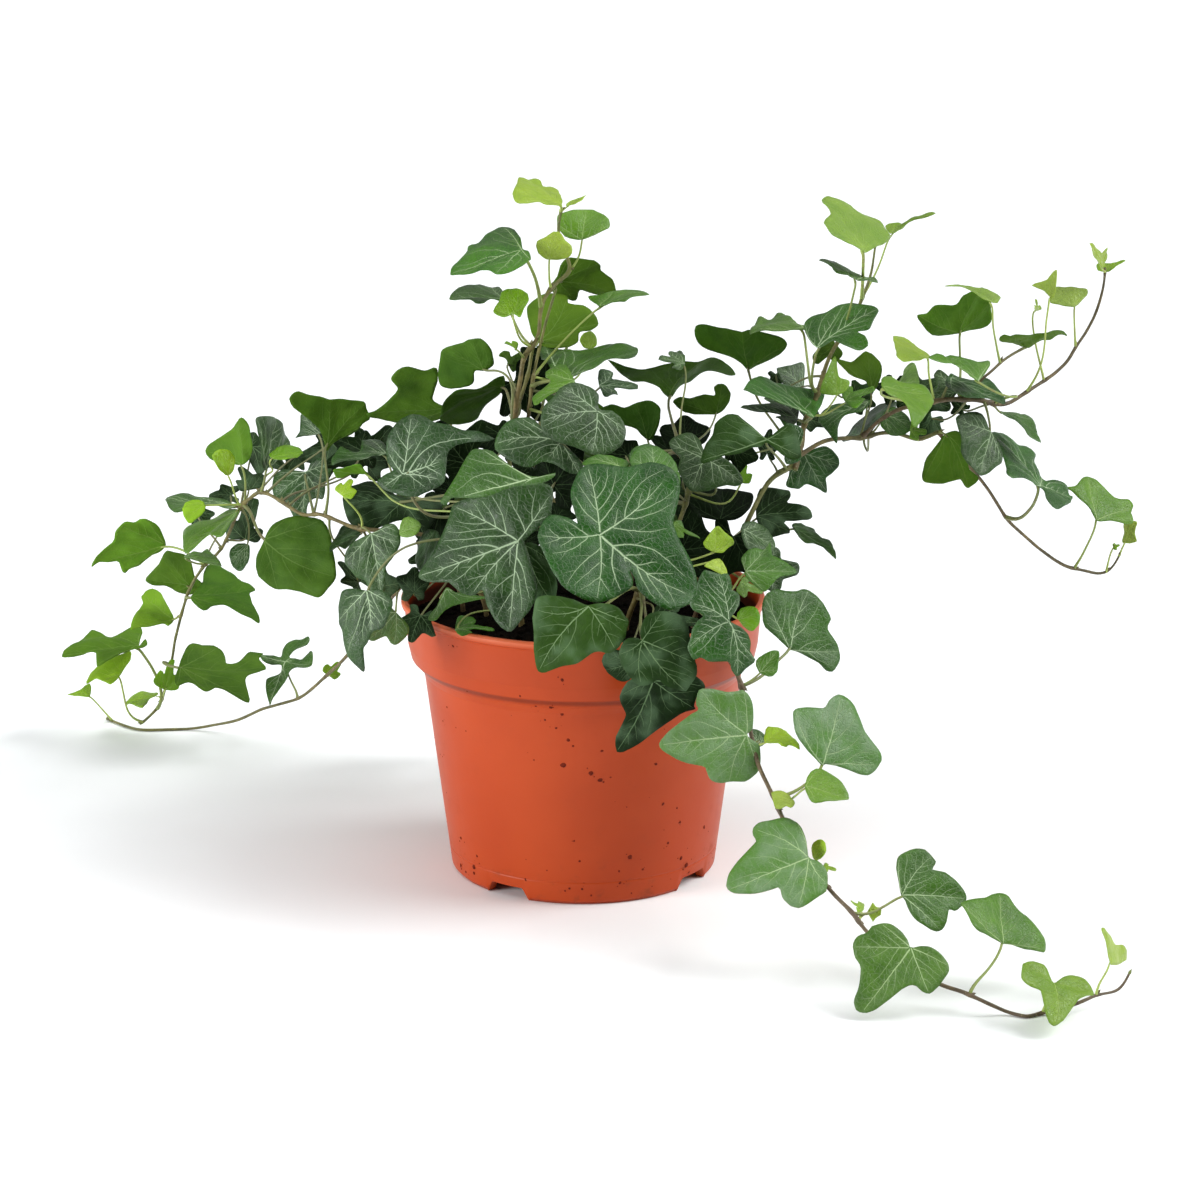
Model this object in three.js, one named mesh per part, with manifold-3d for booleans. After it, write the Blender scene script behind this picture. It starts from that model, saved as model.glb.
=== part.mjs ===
// Potted ivy: a moulded plastic nursery pot filled with compost, the ivy stems rooted in it, and their leaves.
// Millimetres, +Z up. The origin is the centre of the pot's foot, on the surface that the pot stands on.
import * as THREE from 'three';
import { mergeVertices } from 'three/addons/utils/BufferGeometryUtils.js';
import Module from 'manifold-3d';

// ---------- driving dimensions ----------
const POT_TOP_DIAMETER = 120;      // over the lip
const POT_HEIGHT = 93;             // foot to lip
const POT_WALL = 1.3;              // moulded wall
const POT_SEGMENTS = 44;
const FOOT_RADIUS = 43.2;          // outer radius of the foot ring at the surface
const FOOT_INNER_RADIUS = 40.4;
const BASE_UNDERSIDE = 5.0;        // recess under the base disc
const BASE_TOP = 6.4;
const BODY_RADIUS_AT_ZERO = 44.0;  // body cone, extrapolated to z = 0
const BODY_TAPER = 0.128;          // radius gained per millimetre of height
const SHOULDER_HEIGHT = 67.5;      // where the rim band starts
const SLOT_COUNT = 4;              // drainage slots through the foot ring
const SLOT_FIRST_ANGLE = -124.5;   // degrees from +X; the slots are evenly spaced
const SLOT_WIDTH = 15.7;
const SLOT_HEIGHT = 4.2;
const DRAIN_HOLE_RADIUS = 2.6;     // holes in the base disc, one behind each slot
const DRAIN_HOLE_CIRCLE = 35.0;
const SOIL_TOP = 84.0;
const SOIL_CROWN = 1.6;            // rise of the compost towards the middle
const GAP = 0.3;                   // clearance between pieces that touch
const HUB = 1.0;                   // thickness of a blade where its veins meet; it thins out to the margin
const FOLDED_BLADE = 0.7;          // thickness of the few blades that are seen folded
const SLIVER = 0.05;               // facets narrower than this, left by a union, are merged into their neighbours
const STEM_SIDES = 5;
const STALK_SIDES = 3;

// Stems: node, then x, y, z, radius of each point, from the root outwards.
const STEMS = [
  ['stem_left_upper', [-32,2,70,0.9,-32,2,86.6,0.9,-35.1,2.4,95.1,0.8,-42.3,5.2,104.7,0.8,-47.1,7.1,108.6,0.8,-50,8,110,0.8,-55.5,9.4,111.1,0.8,-71.3,13.1,111.3,0.8,-76.7,16.4,111.3,0.8,-79.7,22,111,0.7,-88.7,32,111.9,0.7,-95,38,110,0.7,-108.4,52,114.1,0.7,-111.7,56,113.3,0.7,-118.8,67.4,105.2,0.7,-127.7,86,85.6,0.6,-135.9,98,75.4,0.6,-143,110.1,62.3,0.6,-150,126,40.1,0.6,-152.5,131.9,28.8,0.6,-156.9,138,13.4,0.6,-158.8,138.9,9.8,0.6,-164.4,139,4.5,0.5]],
  ['stem_left_trailing', [-40,9,70,0.9,-40,9,86.6,0.9,-41.3,8,92.7,0.8,-42.4,7.6,95.4,0.8,-44,8,97,0.8,-47,9.5,97.2,0.8,-50.3,12.6,96.3,0.8,-57.7,21.6,94.6,0.7,-60.3,26.5,89.4,0.7,-75.2,60.3,62.6,0.7,-86,84.7,44.3,0.7,-97.7,106.6,28.1,0.6,-104.6,116.4,20.6,0.6,-119,128,13,0.6,-128.7,136,6.2,0.6,-135.8,140.1,3.4,0.6,-141.3,141.9,1.8,0.6,-148.1,142.5,0.6,0.6,-164,141.3,0.6,0.6,-167.3,142.2,0.6,0.5,-171.7,146.1,0.6,0.5,-179.6,155.2,0.5,0.5]],
  ['stem_centre', [-22.5,2,151.3,0.9,-19.1,2,172.6,0.8,-14.6,4,178.1,0.7,-13.6,8,187.6,0.7,-12.7,9.3,189.8,0.7,-10,12,193.4,0.7,-3.9,16,198.3,0.7,-4.5,16.3,201.1,0.7,-6.1,16,204.2,0.6,-8.1,15,211.7,0.6,-7.1,15,217.9,0.5]],
  ['stem_centre', [-23,-4,142.6,0.7,-18,4.8,150.4,0.7,-16.6,8,162,0.6,-13.6,12.9,175.6,0.6,-9.1,15,191.2,0.5]],
  ['stem_right', [69.2,-4,135.9,0.9,72.5,8,148.5,0.9,76.2,10.9,155.6,0.8,80.5,15,168.5,0.8,83.9,18,173.9,0.7,86.7,18,178.9,0.7,89.5,16,183.3,0.7,92.9,12,194.4,0.5,94.1,12,199,0.5,94.8,10,206.6,0.4]],
  ['stem_right', [67.7,0,137.7,0.9,73,8,139.1,0.9,79.6,14,141.4,0.8,86.7,18,141.5,0.8,92.7,22,140.5,0.8,98.6,22,142.2,0.8,104.4,20,142.7,0.8,111.1,20,140.3,0.7,117.9,22,142.6,0.8]],
  ['stem_right', [92.7,22,140.9,0.7,98.2,18,147.6,0.7,102.2,15,151,0.8,107.1,13.6,153,0.8,112.6,14,153.9,0.8,119.7,17.2,154.8,0.8,124.4,20,154.2,0.8,133.4,24,152.7,0.8,138.8,28,150.4,0.8,142.4,30,150.6,0.8,156.7,40,157.3,0.7,162.7,44,161.6,0.7,171.7,52.1,173.8,0.6,174.8,55,181.6,0.5,175.8,56,185.9,0.5,176,56,190,0.4]],
  ['stem_right', [126.8,22,154.8,0.5,132.3,22,160.9,0.5,138.7,27,165.2,0.5,146.2,33,168.4,0.5]],
  ['stem_right', [117.9,22,142.6,0.8,133.8,32.3,123.4,0.6,145.6,43.5,105.3,0.6,162,55.2,89.7,0.7,166.2,58,86.6,0.7,178.5,64,82.1,0.6,182.1,65,82.6,0.5,184.6,66,85.2,0.4,185.8,66,88.1,0.4]],
  ['stem_front_trailing', [36,-14,70,1,36,-14,86.6,1,37.2,-16.8,92.1,0.9,38,-19,94.2,0.9,39,-22,95,0.9,40.7,-28.2,93.9,0.9,44.4,-42.4,94.7,0.8,45.1,-46.2,90.5,0.8,45.8,-50.1,87.8,0.8,48.3,-60.9,85.1,0.8,50,-64,81.4,0.8,51.6,-66,72.8,0.8,53.4,-69,65.1,0.8,54.4,-72,60.5,0.8,56.1,-75.8,56.4,0.8,64.5,-92.1,42.1,0.7,74.5,-108.1,31,0.7,82.5,-117,24.8,0.8,86.3,-121,20.5,0.7,92,-125.8,16.1,0.7,98.9,-130.4,12,0.7,108.5,-135,8.1,0.7,114.4,-137,7,0.7,122,-140,4.3,0.7,129.1,-139.1,0.7,0.7,133.9,-142.3,0.7,0.7,138.5,-139,0.7,0.6,146.4,-139.2,2.9,0.6,151.3,-138,4.2,0.6,155.4,-135,4.9,0.5,163,-130,4.5,0.5,166.2,-128,8.9,0.4]],
  ['stem_centre', [-20,-13,70,1.1,-20,-13,86.6,1.1,-24.7,-14.3,110.9,1,-25.9,-14.2,117.4,1,-26.4,-13.3,123.5,1,-23,-4,142.6,0.9,-22.5,2,151.3,0.9]],
  ['stem_front', [14,-16,70,1.1,14,-16,86.6,1.1,18.6,-22,100.4,1,21.7,-21.8,106.2,0.9,25,-20,111.6,0.9,31.6,-14,121.7,0.9,34.7,-7.6,131,0.9,34.6,-4,135.3,0.9,31.8,2,141.2,0.8]],
  ['stem_right', [30,2,70,1.1,30,2,86.6,1.1,31.6,0,91,1,36,-4,98,1,49.6,-10,112.2,0.9,52.5,-12.2,118.2,0.9,53.7,-12,121.2,0.9,55,-10.9,123.4,0.9,61.1,-4,132.6,0.9,63.7,-2.9,134.6,0.9,69.3,-2,137.1,0.9]],
  ['stem_back_upright', [-2,26,70,1,-2,26,86.6,1,-6,38,102,0.9,-12.7,47.6,119.1,0.8,-14.8,52.7,129.9,0.7,-14.8,56,138.5,0.7,-13.3,58.9,146.7,0.7,-6,63,162,0.6]],
  ['stem_back_trailing', [16,34,70,1,16,34,86.6,1,17.3,42.8,94.8,0.9,18.2,49.6,97.9,0.9,19.4,57.5,99.5,0.8,20,61,98.9,0.8,20.5,64.1,97.3,0.8,21.6,69.2,92.2,0.8,22,71,88,0.8,23.8,80,56.9,0.7,25.6,89.4,33,0.7,27,96,20,0.7,28.4,101.9,11.7,0.7,30,108,5.8,0.7,31.7,114.7,1.8,0.7,33.1,120.2,1,0.6,38,140,1,0.6,36,147,1,0.5]],
  ['stem_back_left', [-18,30,70,0.9,-18,30,86.6,0.9,-21.7,34.4,91.6,0.9,-26,39.4,95.9,0.8,-32.3,46.2,99,0.8,-37.8,51.9,98.9,0.8,-43.3,57.9,95,0.8,-47.6,63.9,81.6,0.7,-50.5,68.8,67.1,0.7,-52.3,73,52.4,0.6,-52,76,38,0.5]],
  ['stem_centre', [-23.9,-6.5,138.1,0.8,-23.9,-4.3,139.8,0.8,-22.1,2.5,151.5,0.8,-19.9,7,158.8,0.7,-18.3,8.6,163.6,0.7,-17.1,8.8,169.8,0.6,-16.6,8,173.3,0.6,-15.8,6.4,176,0.6,-14.6,4,178.1,0.6]],
];

// Leaves: name, stem that carries it, 1 when the leaf is a piece of its own, age (0 old and dark, 3 young and
// yellow), joint of blade and leafstalk, normal of the upper side, direction of the middle lobe, outline in the
// blade's own plane (across, along), leafstalk points, leafstalk radius.
const LEAVES = [
  ['leaflet_front_01', 'stem_front', 0, 0.8, [5.6,-76.53,133.14], [0.1191,-0.7943,0.5957], [0.828,-0.2517,-0.5012], [1.2,-7.6,3.7,-15.8,12.1,-15.3,18.5,-6.1,21.7,4,19.5,11,14.7,15.2,8.1,17.5,4,13.4,8.6,20.2,9.2,28.5,7.1,32.5,1.3,35,-6.6,31.6,-15.6,16.9,-27.7,11.6,-31.2,6,-29.6,-0.1,-23.9,-5.5,-16.8,-16.7,-6.6,-15.4], [5.9,-76.6,132.9,13.9,-33.3,105.9,18.4,-21.9,100.1], 0.85],
  ['leaf_front_01', 'stem_centre', 1, 0.3, [-20.02,-59.64,126.75], [-0.2457,-0.8355,0.4915], [-0.9358,0.0722,-0.3451], [-0.3,34,19.1,16.6,17.5,-7.4,13.7,-14.8,4.1,-12.1,-0.4,-1.9,-19.5,-1.2,-27.3,9.2,-22.4,13.6,-11.1,14.9,-12,19.7,-6,24.5], [-20.4,-59.6,126.6,-20.4,-32.9,111.8,-21.8,-16.4,100.4], 0.85],
  ['leaf_right_01', 'stem_right', 1, 0.8, [152.55,23.82,123.63], [0.639,-0.1505,0.7543], [-0.5999,0.5162,0.6112], [0,25.3,12.2,26.9,13.9,25.4,13.8,19.9,20.7,18.1,20.7,15.5,13.8,11.4,7.8,3.1,22.8,1.8,18.1,-3.5,19.5,-5.3,7.2,-9.2,-5,-10.5,-6.7,-8.1,-0.8,-0.5,-12.9,2.7,-24,2.7], [152.3,24,123.9,150,31.8,112.6,147.1,37.3,108.6,144.7,40.3,108.1], 0.85],
  ['leaf_trailing_left_01', 'stem_left_upper', 1, 0.5, [-147.3,117.91,31.98], [0.1696,-0.1784,0.9692], [0.85,-0.4712,-0.2355], [-3.5,-2.7,-16.2,-6.9,-24.1,-0.4,-17.2,9.8,-20.7,11.7,-28.6,10.1,-31.2,14.8,-26.3,16.5,-21.8,22.6,-9.5,22.3,0.3,31.1,2.9,28.4,2.2,19.7,9.7,18.6,8.1,10.6,12.5,7.3], [-147,117.7,31.9,-154.8,125.8,31.5,-153.9,130.5,29.9], 0.85],
  ['leaf_right_02', 'stem_right', 1, 2.1, [89.45,-16.05,210.14], [0.62,-0.181,0.7634], [-0.3997,0.7644,0.5059], [-6.1,21.8,0.4,28.7,7,31.1,14,30.1,14.8,26.9,24,27.1,26.2,25.4,22.4,15.2,1.6,0.4,-3.2,-1.5,-17,-0.2,-17.6,5,-8.7,13.5,-5.7,19.5], [88.7,-15.8,210.8,92.5,-12.8,205.9,93.6,-7.6,198.6,89.6,2.6,192.1,90.7,12.1,189.8], 0.85],
  ['leaf_trailing_right_01', 'stem_back_trailing', 1, 0.2, [30.1,106.94,29.12], [0.2658,0.9375,0.2245], [0.5868,0.0274,-0.8092], [0,0,-7,-8.8,-14.4,-7,-12.9,2.1,-18.7,13.4,-16.5,15.9,-7.9,17.2,-3.3,25.3,0,27.2,3.3,25.3,6.5,16.5,13.7,16.6,16,14.5,11.9,1.9,12.4,-7.8,5.5,-8.7], [30.8,107,28.1,30.1,106.9,29.1,27.2,96.4,23.5], 0.85],
  ['leaf_top_01', 'stem_centre', 1, 0.9, [-5.37,-7.72,167.42], [-0.2376,-0.0951,0.9667], [0.8914,0.374,0.2559], [-42.2,8.5,-24.4,13.6,-22.6,22.1,-18.7,25.6,-1.3,26.8,4.2,22.8,3.7,19.8,-1.4,15.8,0.6,12.1,1,-0.4,-29.9,3.4], [-4.7,-7.4,167.6,-15.5,6.4,162.2], 0.85],
  ['leaf_top_02', 'stem_centre', 1, 1.1, [-19.46,-4.53,208.63], [-0.2521,-0.1904,0.9488], [-0.9669,0.0089,-0.2552], [0.1,24.4,13.4,18.2,18.5,17.6,19.1,14.5,26.5,11.2,29.8,5.9,21.5,2.1,2,-0.2,-4.7,-2.6,-14.6,-1.2,-16.3,2.6,-15.4,7.9,-5.8,13.8,-4.3,20.2], [-19.8,-4.5,208.5,-16.2,-0.2,201.2,-13.9,7.3,190], 0.85],
  ['leaf_middle_01', 'stem_front', 1, 0.2, [11.13,-7.29,126.99], [-0.6852,0.5071,0.5228], [-0.2417,0.5188,-0.82], [0,0,-6.8,-6.4,-12.2,-4.4,-10.4,2.3,-18.7,12.6,-16.5,15.2,-7.7,16.4,-3.4,26.2,0,28.1,3.4,26.2,7.8,16.8,16.7,15.7,18.9,13.1,12,2.4,14.6,-3.9,13.8,-5.8,7.4,-7.8], [10.8,-6.7,126,21.6,-6.9,126.8,31.6,-9.9,126.4], 0.85],
  ['leaf_trailing_left_02', 'stem_back_left', 1, 0, [-45.31,102.13,46.07], [0.2331,0.9107,0.3409], [0.2601,0.2794,-0.9243], [0,0,-7.1,-7.9,-13.3,-5.9,-14.2,-4,-11.9,2.6,-17.5,13.4,-15.4,15.8,-7.4,17,-3.2,25.5,0,27.3,3.2,25.5,7.5,16.1,15.5,14.4,17.3,11.8,12.2,3.2,15.1,-3.3,11.6,-6.4,8.4,-7], [-45,102.5,45,-45.3,102.1,46.1,-46.5,97.3,42.2,-51.6,77.1,41.4], 0.85],
  ['leaflet_trailing_left_01', 'stem_left_upper', 0, 1.2, [-164.11,131.02,36.31], [-0.0597,-0.0583,0.9965], [-0.9853,-0.1568,-0.0682], [-0.2,-0.2,23,-1.6,23.7,0.1,18,5.6,16.8,9.6,25.2,16.6,3.5,27.2,-0.9,27.9,-0.8,16.6,-15.3,15.1,-12.3,9.8,-3.3,3.2,-4.2,-2,4.8,-3], [-165.3,130.8,36.2,-160,132.4,28.8,-156.4,132.6,18.7,-157.2,135.5,12.7,-158.8,138.9,9.8], 0.85],
  ['leaf_back_01', 'stem_back_upright', 1, 0, [2.7,59.67,132.92], [0.4509,0.4164,0.7895], [0.203,0.8135,-0.545], [0,0,-7.7,-7.6,-14.9,-5.4,-11.8,2.3,-19.5,13.7,-16.1,16.4,-7.5,15.7,-3.4,24.3,0.8,26,3.4,24.3,7.6,14,16.4,13.5,19.2,10.7,10.5,1.3,13.1,-3.7,12.3,-5.7,6.3,-7.1], [2.9,60.6,132.3,2.7,59.7,132.9,0.4,58.9,131,-13,55.6,135.9], 0.84],
  ['leaf_back_02', 'stem_back_upright', 1, 0.8, [-14.53,57.27,108.72], [-0.32,0.7316,0.602], [-0.5798,0.3514,-0.7351], [0,0,-6.5,-8.4,-13.4,-6.7,-12.3,2.6,-15.4,13.9,-13.9,15.8,-6.5,16.5,-3.3,25.2,0,27,3.3,25.2,7.2,16.7,15.4,15.1,16.9,13.1,11,1.9,11.9,-5.9,5.8,-7.4], [-15.2,57.7,107.8,-13.9,55.4,107.8,-12.3,48.1,115.8], 0.83],
  ['leaf_front_02', 'stem_front_trailing', 1, 0.6, [52,-62.32,64.02], [0.3461,-0.89,0.2967], [-0.9323,-0.3618,0.0023], [0.3,-0.2,5.9,-2.8,13.1,-1.4,16.1,13.9,12.2,16.5,9.6,15.5,3.7,26.3,0,29.4,-5.1,24,-8.2,15.7,-13.4,13.1,-14.5,2.9,-9.8,-3.4,-4,-3.7], [50.9,-62.9,63.5,52.7,-63.2,63.3,53.9,-68.4,62], 0.82],
  ['leaf_left_01', 'stem_left_upper', 1, 0.4, [-108.72,41.78,100.23], [-0.3995,-0.799,0.4494], [0.7956,-0.5458,-0.263], [0,0,-5.5,0.3,-9.8,3.7,-15.1,16.9,-12.1,22.2,-4.3,28.6,3,31.4,9,29,13,10.6,9.6,2.7], [-107.8,41.1,99.9,-111.2,46.7,102,-116.3,63.5,106.1], 0.82],
  ['leaf_left_02', 'stem_left_upper', 1, 0.5, [-140.29,96.57,64.81], [0.0911,-0.1408,0.9858], [0.8667,-0.4763,-0.1481], [0.1,-0.1,-11.9,-3.3,-24.3,-10.3,-26.7,-10.7,-28.1,-9,-27.5,-1.6,-22.1,6.3,-20.2,13.7,-15.4,14.7,1,30.1,-0.5,13.4,6.9,9.9], [-139,96.5,64.7,-140.3,96.6,64.8,-142.8,108.7,61.1], 0.81],
  ['leaf_middle_02', 'stem_right', 1, 0.2, [39.31,3.69,106.81], [-0.023,0.7146,0.6992], [-0.0765,0.6961,-0.7139], [0,0,-5.3,-7.6,-11.6,-6.3,-10.2,2.3,-14.9,15.7,-12.3,17.6,-5.7,16.5,-3.2,24.7,0.8,26.5,3.2,24.7,6.7,14.9,14.4,14.2,16.2,11.8,11.7,3,14.8,-2.5,14.2,-4.5,8,-7.1], [39.2,4.5,106,39.3,3.7,106.8,39.3,2.1,104.7,39.3,-3.8,102.8], 0.8],
  ['leaf_middle_03', 'stem_front', 1, 0.8, [11.26,-15.43,121.31], [-0.7918,0.3623,0.4917], [-0.1655,0.6477,-0.7437], [0,0,-7.3,-7.2,-13.1,-4.9,-13.9,-3,-10.7,2.7,-15.3,11.6,-13.5,13.9,-6.1,14.1,-3.2,25.4,-0.8,27.2,3.2,25.4,7,15,15.4,14.1,17.2,11.6,10.9,1.7,13.5,-4.6,12.5,-6.4,6.5,-8], [11.1,-14.7,120.4,11.3,-15.4,121.3,14,-16.3,118.3,25,-18.5,115.2], 0.8],
  ['leaflet_right_01', 'stem_right', 0, 0.9, [74.65,-6.1,154.14], [0.4299,-0.0577,0.901], [-0.9008,-0.0943,0.4238], [0,24.8,11.3,21,21,15.1,19,11.7,19.7,8.9,29.1,-6.3,15.1,-4.5,-2.3,0.9,-0.3,5.5,-0.8,11.2,-8.1,22.7,-5.7,24.9], [73.9,-5.6,154.5,72.8,8.2,149], 0.8],
  ['leaf_middle_04', 'stem_centre', 1, 0.2, [-57.52,-24.82,139.73], [-0.3424,-0.7337,0.5869], [0.9124,-0.1104,0.3942], [-6.4,-4.3,-14.7,-1.4,-17.6,2.5,-18.6,7.4,0,32.2,-2.5,18.3,-0.5,15.7,8.5,13,10,3.1,7.5,-2.1,0.8,-8.8,-1.3,-8.5,-2.8,-2.9], [-57.2,-24.9,139.9,-53.9,-24.3,129.9,-51.1,-23.1,126.2,-42,-18.7,123.9,-28.3,-13.7,123.8], 0.78],
  ['leaf_trailing_right_02', 'stem_front_trailing', 1, 0.7, [69.85,-104.49,37.84], [-0.0537,-0.7087,0.7035], [-0.9392,-0.2035,-0.2767], [13.9,13.1,16.4,12.1,17.2,9.5,15.7,1.8,13.1,-1.1,7.8,-1.7,0,0,-6.5,-3.4,-13,0,-14.1,9.1,-10.7,12.2,-6.2,12,-4.5,20.3,-0.3,26.7,4.3,25,11.3,13.1], [68.7,-104.7,37.5,69.9,-104.5,37.8,70.9,-105.3,34.9], 0.77],
  ['leaf_trailing_left_03', 'stem_back_left', 1, 0.2, [-39.95,77.95,59.01], [0.8429,0.4165,0.3407], [0.4061,-0.077,-0.9106], [0,0,-7.4,-6.8,-13.5,-4.7,-14.3,-3,-10.8,2.5,-15.8,11.5,-13.1,13.8,-6.1,13.2,-3.2,22.9,0.8,24.6,3.2,22.9,6.1,12.4,13.1,12.6,15.3,11,12,1.8,14.9,-5.8,10.5,-8.3,7.1,-8.2], [-39.5,77.9,57.9,-40,78,59,-42.1,76.8,57.4,-50.1,72.2,58.7], 0.77],
  ['leaf_middle_05', 'stem_centre', 1, 0, [-14.48,5.99,136.26], [0.3377,0.5007,0.797], [0.1452,0.809,-0.5697], [0,0,-6.5,-6.1,-12.5,-4.4,-10.8,2.2,-14.4,10.3,-12.6,12.1,-6,12.6,-3.4,22.7,-0.9,24.3,3.4,22.7,7.2,13.9,15.1,12.7,17,10.7,12.2,1.1,12.6,-7.1,5.6,-7.9], [-14.3,7,135.6,-15.8,4.4,134.7,-21.7,-2.5,141.8], 0.77],
  ['leaf_back_03', 'stem_back_left', 1, 0.5, [-27.38,83.54,78.81], [0.8146,0.5682,0.1164], [-0.1772,0.4349,-0.8829], [0,0,-6.1,-6.8,-11.3,-4.9,-11.9,-3.2,-9.6,2.3,-15,12,-13.2,14.2,-6.1,14.8,-3,24.5,0.7,26.3,3,24.5,6.4,13.7,13.6,12.2,14.9,10.6,11.4,1.7,13.5,-6,6.6,-8.4], [-27.6,84.1,77.8,-31.3,75.9,80.7,-46.2,70.8,78.6,-48.6,67.6,76.6], 0.77],
  ['leaf_back_04', 'stem_back_left', 1, 0.2, [-58.49,70.35,109.03], [-0.4266,0.3606,0.8295], [-0.7925,0.2929,-0.5349], [0,0,-6,-8.4,-12.3,-6.7,-10.6,1.9,-15.2,12.5,-13.3,14.8,-6.1,15,-2.9,24.5,0.8,26.3,2.9,24.5,4.8,14.1,9.8,15.2,12.2,14,10.2,3,12.6,-5.4,6.3,-7.8], [-59.4,70.7,108.4,-58.5,70.4,109,-54.3,66.9,102.3,-44.5,58.9,96.3], 0.77],
  ['leaf_back_05', 'stem_back_left', 1, 0.5, [-26.65,77.51,115.78], [0.4283,0.7542,0.4977], [0.2958,0.4035,-0.8659], [0,0,-5.2,-8,-11.6,-7.2,-10.4,0.9,-16.4,10.7,-14,13.1,-6.5,13.3,-2.9,21.8,0,23.4,2.9,21.8,5.9,13.8,12.7,14.7,15.4,12.3,10.2,2.9,13.8,-2,13.1,-3.8,7.5,-6.2], [-26.3,78,114.7,-28.9,76.2,110,-33.1,70.6,105.5,-38.4,55,99.2], 0.76],
  ['leaf_back_06', 'stem_back_trailing', 1, 0.5, [34.06,77.21,118.19], [0.258,0.3952,0.8816], [0.3785,0.7983,-0.4686], [0,0,-6.8,-7.2,-12.9,-5.6,-13.8,-3.8,-11.5,1.6,-16.1,9.2,-14.6,11.3,-6.9,12.8,-3,21.9,-0.7,23.5,3,21.9,6.4,13.9,13.7,13.6,15.7,11.5,10.8,2.9,13.8,-1.8,13.2,-3.6,7.6,-6], [34.5,78.2,117.6,34.1,77.2,118.2,30.5,73.3,109.2,21.4,64.6,99.2], 0.75],
  ['leaflet_left_01', 'stem_centre', 0, 0, [-61,31.02,116.29], [-0.0249,-0.529,0.8483], [-0.9971,0.0743,0.0171], [4.6,20.6,7.4,18.9,10.2,11.7,2,-0.3,2.2,-5.9,5.3,-13.1,-2.2,-13.5,-15.5,-8.8,-16.4,-7.2,-10.7,-3.5,-8.9,-0.4,-12.5,9.2,-11.4,14.3,-5.5,18.6], [-61.4,31.1,116.3,-25.3,-10,130.7], 0.75],
  ['leaf_back_07', 'stem_back_trailing', 1, 0.5, [6.38,85.1,80.75], [-0.8515,0.4874,0.1936], [-0.253,-0.0584,-0.9657], [0,0,-7.1,-6.1,-12.6,-4,-13.3,-2.3,-10,2.7,-15.1,11.9,-12.4,14.1,-5.8,13.4,-3.2,23.5,-0.8,25.2,3.2,23.5,6.4,13.7,13.5,14,16.3,11.7,9.4,1.8,11.5,-4.6,5.9,-6.3], [6.1,85,79.6,6.4,85.1,80.8,9.4,83.2,78.4,21,75.2,78.7], 0.74],
  ['leaf_right_03', 'stem_front_trailing', 1, 0.6, [75.12,-81.24,60.25], [0.5323,-0.7384,0.4141], [0.2554,0.6064,0.753], [-14.5,8.5,-14.4,13.1,-5.2,17.3,-3,22.2,1.1,24.7,5.6,22.9,10.8,16.5,18.1,12.4,19.7,9.6,16.3,3.3,4.6,1.7,-0.3,-0.5,-11.1,3.8], [74.9,-80.7,61.5,70.5,-82.3,54.6,61.6,-82.5,50.4], 0.74],
  ['leaf_back_08', 'stem_back_upright', 1, 0.8, [-26.56,56.18,118.24], [-0.5396,0.4048,0.7382], [-0.6152,0.4091,-0.674], [0,0,-5.7,-6.9,-11,-5,-9.5,2.3,-13.8,12.3,-12,14.4,-5.7,14.8,-2.8,24,0,25.7,2.8,24,6.4,15.3,13.5,14.2,15.3,11.8,9.3,2.5,11.6,-2.2,11,-4,6.2,-6.2], [-27.3,56.7,117.4,-23.1,54.2,117.2,-15.6,50.6,123], 0.74],
  ['leaf_left_03', 'stem_left_upper', 1, 1.6, [-119.82,63.67,104.44], [-0.4666,-0.063,0.8822], [-0.7807,-0.4394,-0.4443], [-1.2,23.5,21.4,12.6,16.5,9.4,8,-0.2,1.1,-1.1,-3.2,0,-14.7,10.7,-14.2,13.4,-6.7,15.1,-4.3,21.8], [-120.1,63.5,104.3,-119.3,65.6,104.8], 0.74],
  ['leaf_back_09', 'stem_back_upright', 1, 0.2, [-3.26,67.54,143.11], [0.4584,0.5904,0.6643], [0.5333,0.4151,-0.737], [0,0,-4.8,-6.7,-10.2,-5.6,-9.8,1.3,-14.6,10.3,-13.4,12,-6.4,13.7,-3,22.9,-0.7,24.5,3,22.9,7.1,14.3,14.9,11.9,16.1,9.8,9.4,2.5,11.6,-1.4,9,-4.1,6.6,-4.7], [-2.6,68,142.2,-5.9,65.1,142.4,-11.2,60.6,148.1], 0.73],
  ['leaflet_front_02', 'stem_front', 0, 0.5, [2.16,-94.36,115.34], [-0.1148,-0.9566,0.2678], [-0.6179,-0.1424,-0.7733], [-0.1,25.3,11.3,13.5,13.8,7.3,9,3.1,0.6,0.1,-4.6,-4.7,-8,-5.5,-12.1,-4.5,-14.8,0.1,-14.4,6.4,-10.2,9.5,-8,16.1], [2.1,-94.6,114.4,7.1,-76.5,110.7,15.1,-37.2,105.1,18.4,-21.9,100.1], 0.73],
  ['leaf_back_10', 'stem_front', 1, 0.2, [29.29,66.31,144.51], [-0.0771,0.6478,0.7579], [0.3608,-0.6905,0.6269], [29.3,17.4,20.2,14.3,14.6,14.3,5.9,24.3,-5,29,-11,26,-17.1,18.6,-7.9,19.5,-6,18.2,-3.8,9.8,-1.2,7,-0.6,-0.6,8.3,5.5,17.2,6], [29.3,65,145.6,28.9,54.4,143.4,30,20.7,144.7,31.6,4,141.7], 0.73],
  ['leaflet_back_01', 'stem_back_trailing', 0, 0, [32.23,92.29,70.06], [0.4967,0.8621,0.1003], [0.6036,-0.2601,-0.7536], [0,0,-5.4,-7.1,-10.8,-5.5,-9,1.8,-14.7,12.3,-12.2,14.7,-5.7,14.2,-2.8,23.4,0.7,25.1,2.8,23.4,6.2,13.6,13.2,12.9,15.5,10.3,8.1,1.7,10.5,-2.7,7.7,-5.4,5.5,-5.7], [33,92,69.2,32.2,92.3,70.1,30.6,89.5,68,23.2,77.1,66.8], 0.72],
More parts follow.
